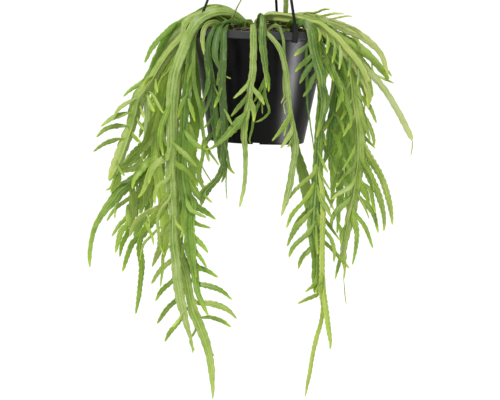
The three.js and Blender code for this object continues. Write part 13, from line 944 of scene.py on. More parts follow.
        ("flat", 0, -.15, [(-69.6,62.3,-363,6.15,-.08,.07,-.99), (-67,63.1,-363.2,6.24,-.86,-.08,-.5), (-67.3,63.9,-367.2,6.51,-.98,-.17,.06), (-68.3,65.6,-375.2,7.04,-.98,-.18,.06), (-68.6,67.2,-383.1,6.51,-.98,-.18,-.07), (-68,68.8,-390.9,4.19,-.98,-.17,-.13), (-67.2,70.3,-398.7,1.86,-.98,-.17,-.12)],
         [11.5, 17.3, 23.3, 29.5, 35.8], [13.9, 19.8, 25.8, 31.5], 5.6),
        ("flat", 0, -.15, [(-69,65.2,-319.6,6.34,-.89,.29,-.36), (-65.6,67,-326.3,7.19,-.88,.31,-.36), (-62.5,68.9,-333.2,8.04,-.92,.31,-.25), (-60.8,70.7,-340.3,6.25,-.95,.3,-.07), (-60,72.4,-347.5,3.36,-.96,.29,-.03), (-59.6,73.3,-351.1,1.92,-.96,.29,-.04)],
         [9.8, 16.5, 22.2, 28.7], [14.9, 21.8, 28.2], 5.5),
        ("flat", 0, -.15, [(-71.1,61.1,-374.7,6.23,-.92,-.23,.3), (-74.1,63.2,-382.1,6.85,-.92,-.25,.29), (-76.5,65.3,-389.6,7.27,-.96,-.24,.15), (-77.5,67.3,-397.3,4.89,-.97,-.23,.02), (-78.1,69.2,-405.1,2.49,-.97,-.23,.02)],
         [12.3, 19.1, 25.2], [12.4, 19.4, 25.8], 4.8),
        ("flat", 0, -.15, [(-72.4,59.5,-390.3,6.92,-.12,.65,-.75), (-70,60.5,-389.9,7.08,-.61,.54,-.58), (-68,61.4,-393.2,7.4,-.81,.49,-.32), (-64.7,63.3,-400.2,8.05,-.85,.49,-.21), (-62.6,65,-407.6,6.71,-.88,.48,-.05), (-61.7,66.8,-415.2,4.09,-.88,.47,.01), (-61.2,67.6,-419,2.77,-.88,.47,0)],
         [9.5, 15.5, 21.3, 27.8], [15.6, 21.7, 27.6], 3.8),
        ("flat", 0, -.15, [(-70.2,57.9,-405.9,6.82,-.66,-.52,.54), (-71.1,59,-406.1,7.02,-.86,-.46,.24), (-72.4,60,-409.9,7.39,-.88,-.45,.15), (-74.2,61.9,-417.8,8.12,-.9,-.44,0), (-74.2,64,-425.8,5.44,-.89,-.43,-.16), (-73.7,66.1,-433.8,2.73,-.88,-.44,-.17)],
         [9.6, 15.6, 22.2], [13.3, 19.2, 25.4], 3.6),
    ]),
    "stem_back_right": (0.15, [
        ("flat", 1, 0, [(41.3,32.9,-256.1,4.2,1,-.07,0), (41.3,32.9,-248.1,4.2,1,-.07,0), (41.5,33.9,-240.8,4.21,.99,-.07,-.09), (41.8,35.3,-240.2,4.28,.94,-.25,-.23), (42.5,37.1,-240,4.43,.7,-.4,-.59), (44.6,39.1,-239.4,4.66,.47,-.33,-.82), (50.8,43.1,-237.9,5.58,.23,-.23,-.95), (54,45.1,-238,6.19,-.01,-.26,-.97), (57.2,47.1,-239,6.93,-.22,-.27,-.94), (60.4,49,-240.7,7.29,-.45,-.3,-.84), (62.7,50.7,-243.3,7.6,-.75,-.36,-.56), (63.6,51.7,-246.7,7.86,-.9,-.37,-.21), (64.3,53.8,-257.5,8.6,-.94,-.32,-.14), (64.7,56.1,-265.7,8.92,-.94,-.33,-.13), (64.9,57.8,-273.8,9.22,-.93,-.36,-.08), (65.2,58.7,-281.8,9.51,-.92,-.38,-.1), (66.2,59.2,-289.8,9.1,-.91,-.39,-.15), (67.4,59.4,-297.8,8.54,-.91,-.4,-.15), (68.6,59.5,-305.8,7.95,-.91,-.4,-.11), (69.3,59.5,-313.8,7.88,-.92,-.39,-.06), (69.8,59.4,-321.8,8.07,-.93,-.37,-.03), (70,59.1,-329.8,8.23,-.94,-.35,0), (70.1,58.5,-337.8,8.39,-.95,-.32,.03), (70,57.6,-345.8,8.56,-.95,-.29,.06), (69.8,56.6,-353.7,8.74,-.96,-.26,.07), (69.6,55.5,-361.7,8.91,-.97,-.22,.04), (69.6,54.4,-369.7,8.7,-.98,-.18,.02), (69.7,53.3,-377.6,8.35,-.99,-.14,0), (69.9,52.1,-385.6,8.01,-1,-.1,-.01), (70,51,-393.5,7.5,-1,-.06,-.01), (70.2,49.2,-405.4,5.94,-1,-.01,-.01), (70.5,47.5,-417.2,4.39,-1,.03,-.03), (70.7,46.3,-425.2,3.46,-1,.05,-.04), (71,45.2,-433.1,2.56,-1,.06,-.05), (71.3,44,-441,1.65,-1,.07,-.05)],
         [27.6, 39.2, 49.6, 61.1, 72.1, 83.9, 93.8, 104.9, 114, 123.5, 133, 142.7, 152.3, 161.1, 171.6, 182.2, 192, 203.3, 213.6, 223.8, 234], [26.6, 37.2, 49.1, 61.1, 71.3, 83, 94.8, 105, 116.9, 128.1, 140, 151.7, 161.9, 173.8, 185.2, 196.1, 205.9, 217.4, 228.7, 239.6], 0),
        ("flat", 0, 0, [(68.1,59.5,-301.8,5.03,-.96,.22,.18), (67.6,60.5,-305.1,5.02,-.97,.24,-.07), (69,61.5,-308.5,5,-.91,.27,-.31), (71.9,63.6,-315.4,4.96,-.94,.28,-.22), (73.4,65.6,-322.6,3.55,-.96,.26,-.08), (74.5,67.6,-329.9,1.89,-.96,.26,-.07)],
         [10.5, 16.5, 22.5], [13.4, 20, 26.1], 3.5),
        ("flat", 0, 0, [(70,59.1,-329.8,4.84,-.86,-.08,.51), (68.4,60.1,-332.4,4.88,-1,-.03,.04), (69.7,61.1,-335.8,4.98,-.93,.04,-.38), (72.7,63.2,-342.5,5.17,-.94,.05,-.33), (74.6,65.2,-349.5,3.77,-.98,.04,-.2), (76.1,67.2,-356.6,1.82,-.98,.04,-.19)],
         [12.6, 19.1, 25.8], [13.6, 19.6, 25.6], 3.5),
        ("flat", 0, 0, [(69.6,56.1,-357.7,5.91,-.82,-.37,-.44), (72.5,58.1,-364.6,5.91,-.82,-.36,-.44), (75,60.2,-371.6,5.85,-.86,-.36,-.35), (76.5,62.2,-378.8,3.92,-.89,-.37,-.26), (77.8,64.2,-386.1,1.97,-.89,-.38,-.26)],
         [12.4, 18.5, 24.2], [12.6, 18.8, 24.4], 3.7),
        ("flat", 0, 0, [(69.8,52.7,-381.6,5.66,-.95,-.26,.19), (67.5,55.1,-389.4,5.31,-.95,-.27,.17), (65.9,57.4,-397.3,4.46,-.96,-.27,.06), (65.1,59.7,-405.4,2.62,-.97,-.26,.01), (64.7,60.8,-409.5,1.7,-.97,-.26,.02)],
         [10.9, 17.8, 23.6], [14, 20.7, 26.4], 3.4),
    ]),
    "stem_back_far_left": (1.2, [
        ("flat", 1, 0, [(-31.5,36,-255.2,4.2,.92,.38,0), (-31.5,36,-247.2,4.2,.92,.38,0), (-31.5,36,-243.2,4.2,.92,.38,0), (-33.5,36.2,-241,4.2,.22,.09,.97), (-37.4,36.4,-241.9,4.34,-.25,.11,.96), (-45,36.7,-244,4.94,-.1,.14,.99), (-49,36.7,-243.8,5.43,.18,.17,.97), (-52.9,36.4,-242.5,6.36,.34,.2,.92), (-57,36.3,-240.7,7.3,.37,.2,.91), (-61.6,41.5,-240,8,.16,.28,.95), (-65.7,45.4,-241.9,8.43,-.42,.44,.79), (-68.5,45,-245.5,8.85,-.8,.37,.47), (-72.5,44.4,-252.8,9.34,-.82,.34,.46), (-77.5,46,-263.4,9.41,-.84,.35,.42), (-81.8,48,-274.4,9.37,-.87,.35,.36), (-84.9,50.2,-285.7,9.24,-.91,.32,.27), (-87,52.2,-297.3,9.06,-.95,.26,.18), (-88.1,53.1,-305.1,8.95,-.97,.21,.12), (-88.8,53.6,-313.2,8.87,-.99,.15,.07), (-89.1,54,-321.2,8.81,-.99,.09,.04), (-89.5,54.3,-329.3,8.8,-1,.03,.05), (-89.9,54.5,-337.3,8.82,-1,-.04,.05), (-90.3,54.7,-345.3,8.87,-.99,-.09,.05), (-90.6,54.9,-353.4,8.93,-.99,-.15,.02), (-90.7,55,-361.4,8.99,-.98,-.19,-.01), (-90.6,55.2,-369.4,9.04,-.98,-.21,-.03), (-90.3,55.3,-377.5,9.06,-.97,-.23,-.05), (-89.8,55.3,-385.5,9.05,-.97,-.23,-.07), (-89.1,55.3,-393.5,9.01,-.97,-.22,-.1), (-88.1,55.2,-401.4,8.95,-.97,-.2,-.12), (-87.1,54.8,-409.4,8.89,-.98,-.16,-.12), (-86.1,54.1,-417.3,8.76,-.99,-.11,-.12), (-85,53.1,-425.2,8.51,-.99,-.06,-.13), (-84,52.1,-433.1,8.3,-.99,0,-.14), (-82.7,51,-441,8.12,-.98,.07,-.17), (-81.4,49.9,-448.8,7.98,-.97,.13,-.19), (-80.2,48.7,-456.7,7.69,-.97,.19,-.16), (-78.9,46.9,-468.4,6.29,-.96,.27,-.12), (-78.2,45.2,-480.2,4.11,-.94,.32,-.08), (-78,44,-488,2.35,-.94,.34,-.08)],
         [36.4, 47.8, 58.9, 70, 82, 93.4, 105.1, 115.2, 126.3, 136.4, 146.2, 157.3, 168, 179.2, 189.9, 201.5, 211.5, 221.8, 232.4, 242.1, 252.7, 263, 273, 283.2, 293.3], [28.8, 39.2, 50.3, 61.8, 73.2, 84.2, 94.9, 106.7, 118.7, 129.1, 140.2, 149.9, 159.9, 170.4, 181.4, 192.8, 203.7, 214.8, 225.6, 236.5, 247.7, 257.9, 268.5, 279.3, 289.2, 300.3], 0),
        ("flat", 0, -.45, [(-88.8,53.6,-313.2,5.79,-.84,-.33,.44), (-93.1,56.1,-319.6,5.66,-.84,-.34,.43), (-97.1,58.5,-326.2,5.54,-.89,-.34,.31), (-99.7,61,-333.4,3.87,-.93,-.32,.15), (-101.6,63.3,-340.9,1.93,-.94,-.32,.14)],
         [11.6, 17.7, 23.3], [12.8, 19.5, 25.6], 3.7),
        ("flat", 0, -.45, [(-90.1,54.6,-341.3,5.66,-.45,-.07,-.89), (-89.1,55.7,-341.9,5.63,-.74,-.21,-.64), (-87.4,56.8,-345.1,5.6,-.83,-.25,-.5), (-84.3,59.1,-351.7,5.54,-.86,-.25,-.45), (-81.9,61.2,-358.5,4.5,-.91,-.25,-.33), (-80.3,63.2,-365.5,2.76,-.92,-.26,-.29), (-79.4,64.2,-369.1,1.89,-.92,-.26,-.29)],
         [10.6, 17.1, 23], [12.9, 19, 24.9], 3.7),
        ("flat", 0, -.45, [(-90.7,55.1,-365.4,5.58,-.9,-.21,.37), (-94.1,57.6,-372,5.57,-.9,-.22,.36), (-96.9,60.1,-378.9,5.45,-.95,-.22,.22), (-98.5,62.5,-386,3.67,-.97,-.21,.1), (-99.7,64.8,-393.3,1.86,-.97,-.21,.1)],
         [9.2, 15.4, 22.1], [13.2, 20.2, 25.9], 3.8),
        ("flat", 0, -.45, [(-89.8,55.3,-385.5,5.83,-.8,-.34,-.49), (-86.7,57.6,-392.1,5.79,-.8,-.34,-.49), (-83.6,59.9,-398.8,5.74,-.81,-.35,-.47), (-81.1,62.3,-405.6,4.63,-.84,-.35,-.41), (-78.8,64.7,-412.5,2.84,-.85,-.34,-.4), (-77.7,66.1,-416.1,1.94,-.85,-.34,-.4)],
         [9.3, 15.6, 21.6, 27.6], [13.8, 20.3, 26.2], 3.8),
        ("flat", 0, -.45, [(-87.1,54.8,-409.4,5.54,-.99,-.14,-.05), (-87.1,55.9,-412.8,5.54,-.97,-.16,.18), (-88.7,56.9,-416.1,5.53,-.9,-.19,.39), (-91.9,59.1,-422.5,5.51,-.93,-.21,.31), (-93.7,61.3,-429.4,4.46,-.98,-.19,.08), (-94.3,63.4,-436.5,2.73,-.98,-.18,.03), (-94.6,64.4,-440.1,1.85,-.98,-.18,.04)],
         [9.9, 16.8, 23.5, 30], [15.3, 22, 28], 3.7),
        ("flat", 0, -.45, [(-85.8,50.9,-289.5,6.17,-.15,-.04,-.99), (-83.4,51.8,-289.9,6.31,-.69,-.12,-.71), (-82.1,52.8,-293.4,6.57,-.92,-.18,-.35), (-80.2,54.8,-300.5,7.09,-.94,-.18,-.28), (-78.8,56.8,-307.6,6.23,-.96,-.19,-.2), (-78,58.7,-314.7,4.05,-.97,-.19,-.15), (-77.2,60.5,-322,1.85,-.97,-.19,-.16)],
         [12.4, 19.4, 25.1, 31.4], [15.9, 22.4, 28.6], 3.9),
    ]),
    "stem_back_far_right": (0.45, [
        ("flat", 1, 0, [(21.5,48,-256.1,4.2,.59,.81,0), (21.5,48,-244.1,4.2,.59,.81,0), (23.6,48.3,-241.8,4.2,.2,.28,-.94), (27.4,48.4,-242.7,4.38,-.22,.24,-.95), (35.2,48.8,-243.5,5.02,.08,.2,-.98), (39.1,50.3,-242.6,5.6,.19,.17,-.97), (47,52.8,-240.5,6.91,.13,.08,-.99), (51.3,54.3,-240.2,7.22,-.09,.02,-1), (55.4,55.8,-241.2,7.53,-.42,-.04,-.91), (58.9,56.9,-243.8,7.85,-.63,-.06,-.77), (65.1,58.3,-249.5,8.35,-.65,-.07,-.75), (71,58.4,-254.9,8.8,-.71,-.11,-.7), (76.4,57.6,-260.8,9.01,-.77,-.16,-.62), (83.3,57.4,-270.5,9.1,-.83,-.23,-.51), (87.3,57.2,-277.5,9.18,-.86,-.27,-.43), (90.7,56.8,-284.8,9.23,-.89,-.29,-.35), (93.4,56.3,-292.4,9.27,-.92,-.3,-.25), (95.4,55.8,-300.2,9.26,-.93,-.31,-.19), (97,55.3,-308.1,9.22,-.94,-.3,-.15), (98.3,54.7,-316,9.16,-.95,-.29,-.12), (99.4,54.1,-324,9.08,-.96,-.26,-.09), (100.3,53.4,-332,8.99,-.97,-.22,-.09), (101.1,52.7,-339.9,8.82,-.98,-.18,-.08), (101.9,51.8,-347.9,8.62,-.99,-.13,-.07), (102.4,50.8,-355.9,8.45,-1,-.07,-.04), (102.7,48.5,-367.6,7.5,-1,.02,0), (102.5,45.9,-379.3,6.32,-.99,.1,.01), (101.9,43.2,-391,5.08,-.98,.17,.02), (101.3,41.4,-398.8,4.21,-.98,.21,.02), (100.6,38.9,-410.4,2.78,-.97,.26,0), (100.3,37.7,-418.2,1.72,-.96,.28,.01)],
         [32.6, 43.5, 54.1, 64.7, 76.5, 88.3, 99.9, 111.1, 122, 133.8, 145.9, 158.4, 170.3, 182.3, 193.8, 204.5, 216, 226.4, 236.5], [30.9, 41, 53, 63.1, 74.8, 86.5, 97.9, 108.6, 120.6, 132.1, 142.1, 153.2, 163.1, 173.2, 183.8, 194.4, 205.3, 216.7, 228.1], 0),
        ("flat", 0, -.2, [(95.4,55.8,-300.2,5.62,-.81,-.23,-.54), (99,58.3,-306.6,5.61,-.82,-.21,-.53), (102.2,60.8,-313.3,5.49,-.88,-.22,-.42), (104.3,63.2,-320.3,3.69,-.92,-.23,-.31), (106.1,65.5,-327.4,1.87,-.92,-.23,-.31)],
         [11.1, 17.3, 24], [15.2, 22.1], 3.9),
        ("flat", 0, -.2, [(98.9,54.4,-320,5.57,-.94,.23,.27), (96.4,56.6,-326.6,5.54,-.82,.18,.54), (92.9,58.8,-332.9,5.5,-.87,.17,.46), (90.8,61,-339.6,4.45,-.95,.19,.25), (89.7,63,-346.7,2.72,-.96,.2,.19), (89.1,64.1,-350.3,1.85,-.96,.2,.2)],
         [11.7, 18.6, 24.4], [14.7, 21.8, 27.9], 3.8),
        ("flat", 0, -.2, [(101.9,51.8,-347.9,5.79,-.86,.33,-.4), (105.9,54.2,-354.5,5.79,-.86,.34,-.38), (109.5,56.7,-361.3,5.78,-.9,.34,-.26), (111.7,59.1,-368.5,3.88,-.94,.33,-.13), (113.5,61.5,-376,1.93,-.94,.33,-.13)],
         [12.6, 19.3, 25.7], [15.3, 21.5, 28.1], 3.6),
        ("flat", 0, -.2, [(102.7,47.6,-371.5,5.65,-.16,-.47,.87), (100.6,48.7,-371.3,5.64,-.69,-.34,.65), (98.8,49.8,-374.5,5.62,-.89,-.27,.37), (95.8,52,-381.1,5.59,-.92,-.27,.27), (93.7,54.2,-388,4.54,-.96,-.26,.12), (92.6,56.3,-395.2,2.77,-.96,-.25,.07), (92.1,57.3,-398.8,1.88,-.96,-.26,.07)],
         [12.1, 18.8, 24.9], [14.2, 20.1, 26.8], 3),
    ]),
    "stem_back_left_arch": (1.05, [
        ("flat", 1, 0, [(-18.3,50,-256.2,4.2,.94,-.33,0), (-18.3,50,-248.2,4.2,.94,-.33,0), (-18.3,50,-244.2,4.2,.94,-.33,0), (-20.1,50.1,-241.5,4.21,.46,-.16,.88), (-24.1,50.1,-241.2,4.37,.03,-.18,.98), (-32,50.5,-241.2,5,.04,-.2,.98), (-39.6,53.1,-239.5,6.13,.19,-.24,.95), (-47.1,55.2,-237.6,7.16,.08,-.25,.96), (-54.9,57.5,-237.3,7.89,-.12,-.27,.96), (-62.5,59.6,-238.5,8.53,-.38,-.29,.88), (-66,60.5,-240.1,8.78,-.52,-.3,.8), (-69.3,61.5,-242.3,8.96,-.61,-.32,.73), (-75.2,62,-247.7,9.3,-.69,-.35,.63), (-82.8,63.4,-256.7,9.51,-.78,-.37,.5), (-89.3,64.9,-266.7,9.48,-.81,-.37,.46), (-95.5,66.1,-276.8,9.41,-.82,-.36,.45), (-101.2,66.7,-287.3,9.3,-.85,-.33,.41), (-104.6,66.5,-294.6,9.21,-.87,-.31,.38), (-107.5,66.2,-302,9.12,-.9,-.28,.34), (-110.1,65.8,-309.6,9.01,-.92,-.25,.3), (-112.3,65.3,-317.3,8.83,-.94,-.21,.26), (-114.2,64.8,-325,8.66,-.96,-.17,.23), (-115.9,64.2,-332.9,8.37,-.97,-.13,.2), (-117.8,63.3,-344.7,7.55,-.99,-.07,.15), (-118.9,62.6,-352.5,7.01,-.99,-.03,.13), (-120.2,61.2,-364.4,5.82,-1,.03,.09), (-121.6,58.9,-376,4.66,-.99,.08,.13), (-123.6,56.1,-387.4,3.59,-.98,.11,.16), (-125.7,53.1,-398.7,2.58,-.98,.13,.14), (-127.6,50,-410.1,1.67,-.98,.13,.13)],
         [35.2, 46, 57.2, 67.5, 79.3, 91.3, 102.8, 114.1, 125.2, 136, 146.7, 156.9, 167.5, 178.8, 188.9, 198.8, 210, 220.3, 230.2, 240.5], [29.4, 39.7, 51.3, 62.4, 73.6, 84.5, 96.2, 107.8, 119.4, 129.4, 139.4, 151.9, 163.2, 176, 187.5, 199.2, 209.7, 219.6, 229.3, 240.3], 0),
        ("flat", 0, -.45, [(-107.5,66.2,-302,5.8,-.79,.3,.53), (-107.8,67.6,-303.3,5.75,-.73,.31,.61), (-112.2,70.4,-309.9,5.61,-.75,.3,.58), (-115.6,73.2,-316.9,4.25,-.85,.32,.43), (-118.1,75.9,-324.4,1.93,-.86,.32,.4)],
         [11.8, 18.4], [15.8, 22.3], 3.8),
        ("flat", 0, -.45, [(-115.1,64.5,-328.9,6.02,-.87,-.43,-.25), (-112.9,67,-336.5,5.97,-.78,-.39,-.49), (-109.7,69.5,-343.9,5.9,-.83,-.39,-.41), (-107.9,71.9,-351.6,4.1,-.87,-.41,-.27), (-106.7,74.2,-359.6,2,-.88,-.41,-.26)],
         [11.1, 16.9, 22.6, 29], [13.4, 19.2, 25.9], 3.6),
        ("flat", 0, -.45, [(-118.4,62.9,-348.6,5.47,-.92,-.08,.38), (-121.9,65.4,-355.4,5.91,-.86,-.11,.49), (-125.8,67.9,-362,6.5,-.91,-.12,.41), (-128.5,70.3,-368.9,4.42,-.96,-.1,.27), (-130.6,72.6,-376.1,1.64,-.96,-.1,.26)],
         [9.8, 16, 21.7, 27.8], [12.4, 18.4, 25.1], 3.1),
    ]),
    "stem_back_right_inner": (1.5, [
        ("flat", 1, 0, [(48.8,9,-255.5,4.2,.99,.12,0), (48.8,9,-247.5,4.2,.99,.12,0), (48.8,9,-243.5,4.2,.99,.12,0), (48.1,17,-240.5,4.34,.97,.12,.22), (46.5,18.7,-238.4,4.68,.99,-.1,-.13), (48.9,20,-237,5.05,.49,-.35,-.8), (55.8,22.6,-235.2,6.29,.22,-.19,-.96), (63,25.1,-234.9,7.35,-.06,-.19,-.98), (66.5,26.7,-235.8,7.66,-.23,-.2,-.95), (69.8,28.5,-237.3,7.93,-.43,-.22,-.88), (72.6,28.9,-239.4,8.19,-.64,-.22,-.73), (75,29.1,-242,8.4,-.78,-.21,-.59), (78.6,29.2,-248.5,8.83,-.9,-.22,-.37), (80.7,28.6,-255.8,9.27,-.95,-.22,-.21), (81.6,28.5,-259.5,9.49,-.94,-.22,-.26), (82.4,30.5,-263.3,9.68,-.93,-.21,-.29), (83.8,33.5,-271,10.04,-.95,-.23,-.22), (85.5,35.7,-282.7,10.42,-.96,-.23,-.15), (86.9,36.3,-294.5,10.63,-.97,-.21,-.1), (87.9,36.3,-306.4,10.6,-.98,-.18,-.06), (88.5,36,-318.3,10.53,-.99,-.14,-.05), (89.1,35.6,-330.2,10.47,-1,-.08,-.03), (89.4,35.1,-342.1,10.43,-1,-.03,-.01), (89.3,34.5,-354,10.37,-1,.03,.02), (88.9,33.7,-365.9,10.46,-.99,.09,.05), (88,32.4,-377.7,10.79,-.99,.14,.05), (87.5,30.8,-389.5,10.39,-.98,.18,0), (87.4,29,-401.2,9.2,-.98,.21,-.02), (87,26.8,-412.8,7.26,-.97,.22,0), (86.5,24.7,-424.3,4.83,-.97,.23,0), (86.1,22.7,-435.9,2.91,-.98,.22,0), (85.9,22,-439.8,2.27,-.98,.21,0)],
         [40.1, 51.4, 61.6, 72.8, 83.4, 94.4, 106, 117.4, 128.7, 140.6, 153, 164.4, 176.3, 188.3, 200.5, 212, 224.1, 235.6, 246.1], [34.7, 45.2, 57.2, 67.6, 78.1, 89.7, 101.5, 112.5, 122.7, 132.8, 144.7, 156.5, 168, 180.7, 192.2, 203.7, 213.6, 223.5, 233.3, 243.8], 0),
        ("flat", 0, -.8, [(88.7,35.9,-322.3,5.53,-.9,-.27,-.34), (88.5,36.8,-322.5,5.67,-.89,.15,-.44), (90.6,37.8,-325.5,5.93,-.84,.18,-.51), (94.6,39.6,-331.6,6.46,-.88,.19,-.43), (97.3,41.4,-338.2,5.28,-.95,.18,-.24), (99,43.2,-345.2,2.99,-.97,.17,-.19), (99.8,44,-348.7,1.84,-.97,.17,-.19)],
         [9.9, 15.8, 21.5], [12.2, 18.1, 23.9], 4.4),
        ("flat", 0, -.8, [(89.3,35.3,-338.2,6.07,-.31,-.6,.74), (88.2,36.3,-337.8,6.12,-.78,-.46,.44), (86.5,37.4,-341,6.23,-.86,-.44,.28), (83.7,39.4,-347.7,6.46,-.88,-.44,.18), (82,41.4,-354.5,4.52,-.9,-.43,.03), (80.9,43.4,-361.6,2.02,-.9,-.43,.02)],
         [9.4, 15.2, 21.8], [15.5, 21.3], 4.4),
        ("flat", 0, -.8, [(89.2,34.2,-358,5.82,-.32,.51,-.8), (90.1,35.1,-357.8,5.95,-.76,.37,-.53), (92.2,36,-361,6.18,-.84,.35,-.41), (95.8,37.7,-367.6,6.64,-.87,.36,-.34), (98.6,39.3,-374.4,5.54,-.91,.35,-.2), (100.4,40.7,-381.5,3.15,-.92,.35,-.16), (101.3,41.2,-385.1,1.94,-.92,.35,-.17)],
         [11.3, 17.9, 23.5], [12.9, 19, 25.4], 4.3),
        ("flat", 0, -.8, [(88.3,32.9,-373.8,5.45,-.93,-.02,.37), (85.5,34.9,-380.6,5.77,-.93,-.04,.36), (83.4,37,-387.6,5.81,-.98,-.03,.18), (82.6,39,-394.7,3.73,-1,-.01,.05), (82.3,40.9,-401.9,1.63,-1,-.01,.05)],
         [10.3, 16.6, 22.8], [13.9, 20.4, 27], 4.5),
        ("flat", 0, -.8, [(87.5,30.2,-393.4,5.98,.03,.62,-.78), (89.3,31,-392.7,6.13,-.58,.47,-.66), (91.4,31.8,-395.7,6.42,-.81,.42,-.42), (95.1,33.3,-402.1,7.02,-.84,.42,-.34), (97.8,34.5,-408.8,5.77,-.89,.41,-.21), (99.4,34.9,-415.7,3.26,-.89,.41,-.19), (100.3,35.1,-419.1,2,-.89,.41,-.19)],
         [9.5, 15.3, 21.5, 27.1], [15.1, 21.6, 27.3], 4.2),
        ("flat", 0, -.8, [(86.8,26.1,-416.6,6.16,-.17,-.37,-.91), (89.6,27.2,-417.5,6.72,-.51,-.4,-.76), (91.7,28.2,-421,7.56,-.72,-.44,-.54), (95.2,30.3,-428.3,9.25,-.79,-.44,-.42), (97.1,32.3,-435.7,5.88,-.85,-.45,-.27), (98.3,34.2,-443.3,2.05,-.85,-.45,-.25)],
         [11.3, 18.1, 24.3], [15.7, 22, 27.7], 2.7),
    ]),
    "stem_back_left_inner": (0.75, [
        ("flat", 1, 0, [(-55.6,22.6,-257.6,4.2,.99,.15,0), (-55.6,22.6,-249.6,4.2,.99,.15,0), (-55.6,22.6,-245.6,4.2,.99,.15,0), (-56.4,26.3,-242.1,4.26,.95,.15,.28), (-58.5,30.3,-239.6,4.63,.71,.25,.65), (-62,31.8,-238,5.04,.39,.25,.89), (-65.9,32.8,-237.1,5.64,.1,.23,.97), (-69.7,33.8,-237.7,6.37,-.26,.22,.94), (-73.2,34.2,-239.5,7.04,-.56,.2,.81), (-76.1,34.3,-242.2,7.41,-.74,.18,.65), (-78.3,34.4,-245.4,7.78,-.84,.17,.52), (-81.5,34.5,-252.5,8.24,-.94,.16,.32), (-85.2,33.2,-263.8,8.84,-.94,.15,.3), (-88.9,33.1,-275.2,9.41,-.95,.13,.3), (-92.4,33.5,-286.7,9.83,-.95,.09,.29), (-94.7,33.9,-294.3,10.11,-.96,.06,.28), (-96.8,34.2,-302.1,10.25,-.96,.02,.26), (-98.9,34.6,-309.8,10.34,-.97,-.02,.25), (-100.8,35,-317.6,10.45,-.97,-.07,.22), (-102.5,35.4,-325.4,10.54,-.98,-.11,.19), (-104,35.8,-333.3,10.62,-.97,-.15,.17), (-105.3,36.2,-341.2,10.7,-.97,-.19,.15), (-106.6,36.6,-349.1,10.79,-.96,-.23,.14), (-107.8,37,-357,10.87,-.96,-.26,.12), (-108.8,37.3,-364.9,10.94,-.95,-.28,.11), (-109.8,37.6,-372.9,10.99,-.95,-.3,.1), (-110.7,37.8,-380.9,10.97,-.95,-.31,.09), (-111.5,37.9,-388.9,10.92,-.95,-.31,.09), (-112.2,37.9,-396.8,10.84,-.95,-.3,.08), (-112.8,38,-404.8,10.52,-.95,-.29,.07), (-113.4,38,-412.8,10.17,-.96,-.27,.07), (-114,38,-420.8,9.82,-.97,-.24,.08), (-114.7,38,-428.8,9.59,-.98,-.2,.09), (-115.5,38,-436.8,9.4,-.98,-.16,.1), (-116.4,38,-444.8,9.22,-.99,-.12,.11), (-117.8,38,-456.5,6.75,-.99,-.05,.13), (-119.3,38,-468.2,4.04,-.99,.01,.12), (-120.6,38,-480,2.23,-.99,.07,.11)],
         [38, 48.1, 59.1, 70.9, 81.7, 92.9, 104.4, 115.4, 126.2, 138.7, 150.6, 162.6, 174.3, 186.4, 197.3, 207.4, 218.4, 230.9, 242.9, 254.5, 265.6, 275.6], [39.9, 50.3, 61, 72.6, 84.6, 94.9, 106.5, 117.8, 127.7, 138.8, 150.3, 162.3, 174.5, 186.4, 198.4, 208.1, 218.8, 228.3, 238.5, 247.2, 257.1, 266.2, 278.1], 0),
        ("flat", 0, 0, [(-101.7,35.2,-321.5,5.46,-.86,-.07,-.51), (-97.8,37.3,-328.3,6.08,-.87,-.06,-.5), (-94.4,39.4,-335.4,6.43,-.93,-.06,-.36), (-92.4,41.4,-342.8,4.14,-.97,-.08,-.23), (-90.8,43.3,-350.4,1.82,-.97,-.08,-.23)],
         [10, 16.8, 22.9], [13.9, 20.2, 26.9], 4.4),
        ("flat", 0, 0, [(-106,36.4,-345.1,5.73,-.83,-.31,.46), (-110.2,38.2,-351.5,6.36,-.83,-.32,.45), (-113.9,39.9,-358.1,6.82,-.9,-.32,.3), (-116,41.3,-365.2,4.38,-.94,-.31,.17), (-117.7,42.7,-372.5,1.91,-.94,-.31,.17)],
         [11.7, 18.1, 24.1], [15.9, 22.9], 4.5),
        ("flat", 0, 0, [(-109.3,37.4,-368.9,5.59,-.87,.22,-.43), (-105.3,39.5,-375.9,6.19,-.87,.24,-.42), (-101.7,41.6,-383.2,6.67,-.93,.23,-.29), (-99.6,43.6,-390.8,4.28,-.96,.22,-.16), (-98,45.5,-398.6,1.86,-.96,.22,-.16)],
         [12.7, 19.5, 25.4], [13, 19.8, 26.2], 4.6),
        ("flat", 0, 0, [(-111.8,37.9,-392.8,5.73,.01,-.57,.82), (-113.7,38.8,-392.2,5.87,-.65,-.38,.66), (-115.6,39.7,-395.5,6.17,-.87,-.31,.38), (-118.9,41.6,-402.5,6.78,-.9,-.31,.29), (-121.4,43.4,-409.7,5.4,-.94,-.31,.17), (-123,45.1,-417.1,3.08,-.94,-.3,.14), (-123.8,46,-420.8,1.91,-.94,-.3,.14)],
         [8.9, 15.2, 21.8, 27.7], [15.4, 21.2, 27.4], 4.6),
        ("flat", 0, 0, [(-113.4,38,-412.8,5.57,-.26,.34,-.9), (-112.8,38.9,-412.7,5.68,-.73,-.16,-.67), (-110.8,39.8,-416.1,5.91,-.83,-.19,-.52), (-107.1,41.7,-423.2,6.36,-.88,-.19,-.44), (-104.7,43.5,-430.7,5.31,-.95,-.2,-.24), (-103.6,45.2,-438.4,3.01,-.96,-.21,-.17), (-103,46,-442.3,1.86,-.96,-.21,-.18)],
         [9.9, 16, 21.9, 28.4], [14.1, 21, 26.8], 4.3),
        ("flat", 0, 0, [(-115.1,38,-432.8,5.51,-.19,-.37,.91), (-116.9,39,-432.8,5.64,-.73,-.21,.65), (-118.8,40.1,-436.3,5.89,-.89,-.16,.42), (-122.2,42.2,-443.6,6.38,-.93,-.16,.33), (-124.6,44.2,-451.1,4.41,-.97,-.15,.19), (-126.3,46.1,-458.8,1.84,-.97,-.15,.18)],
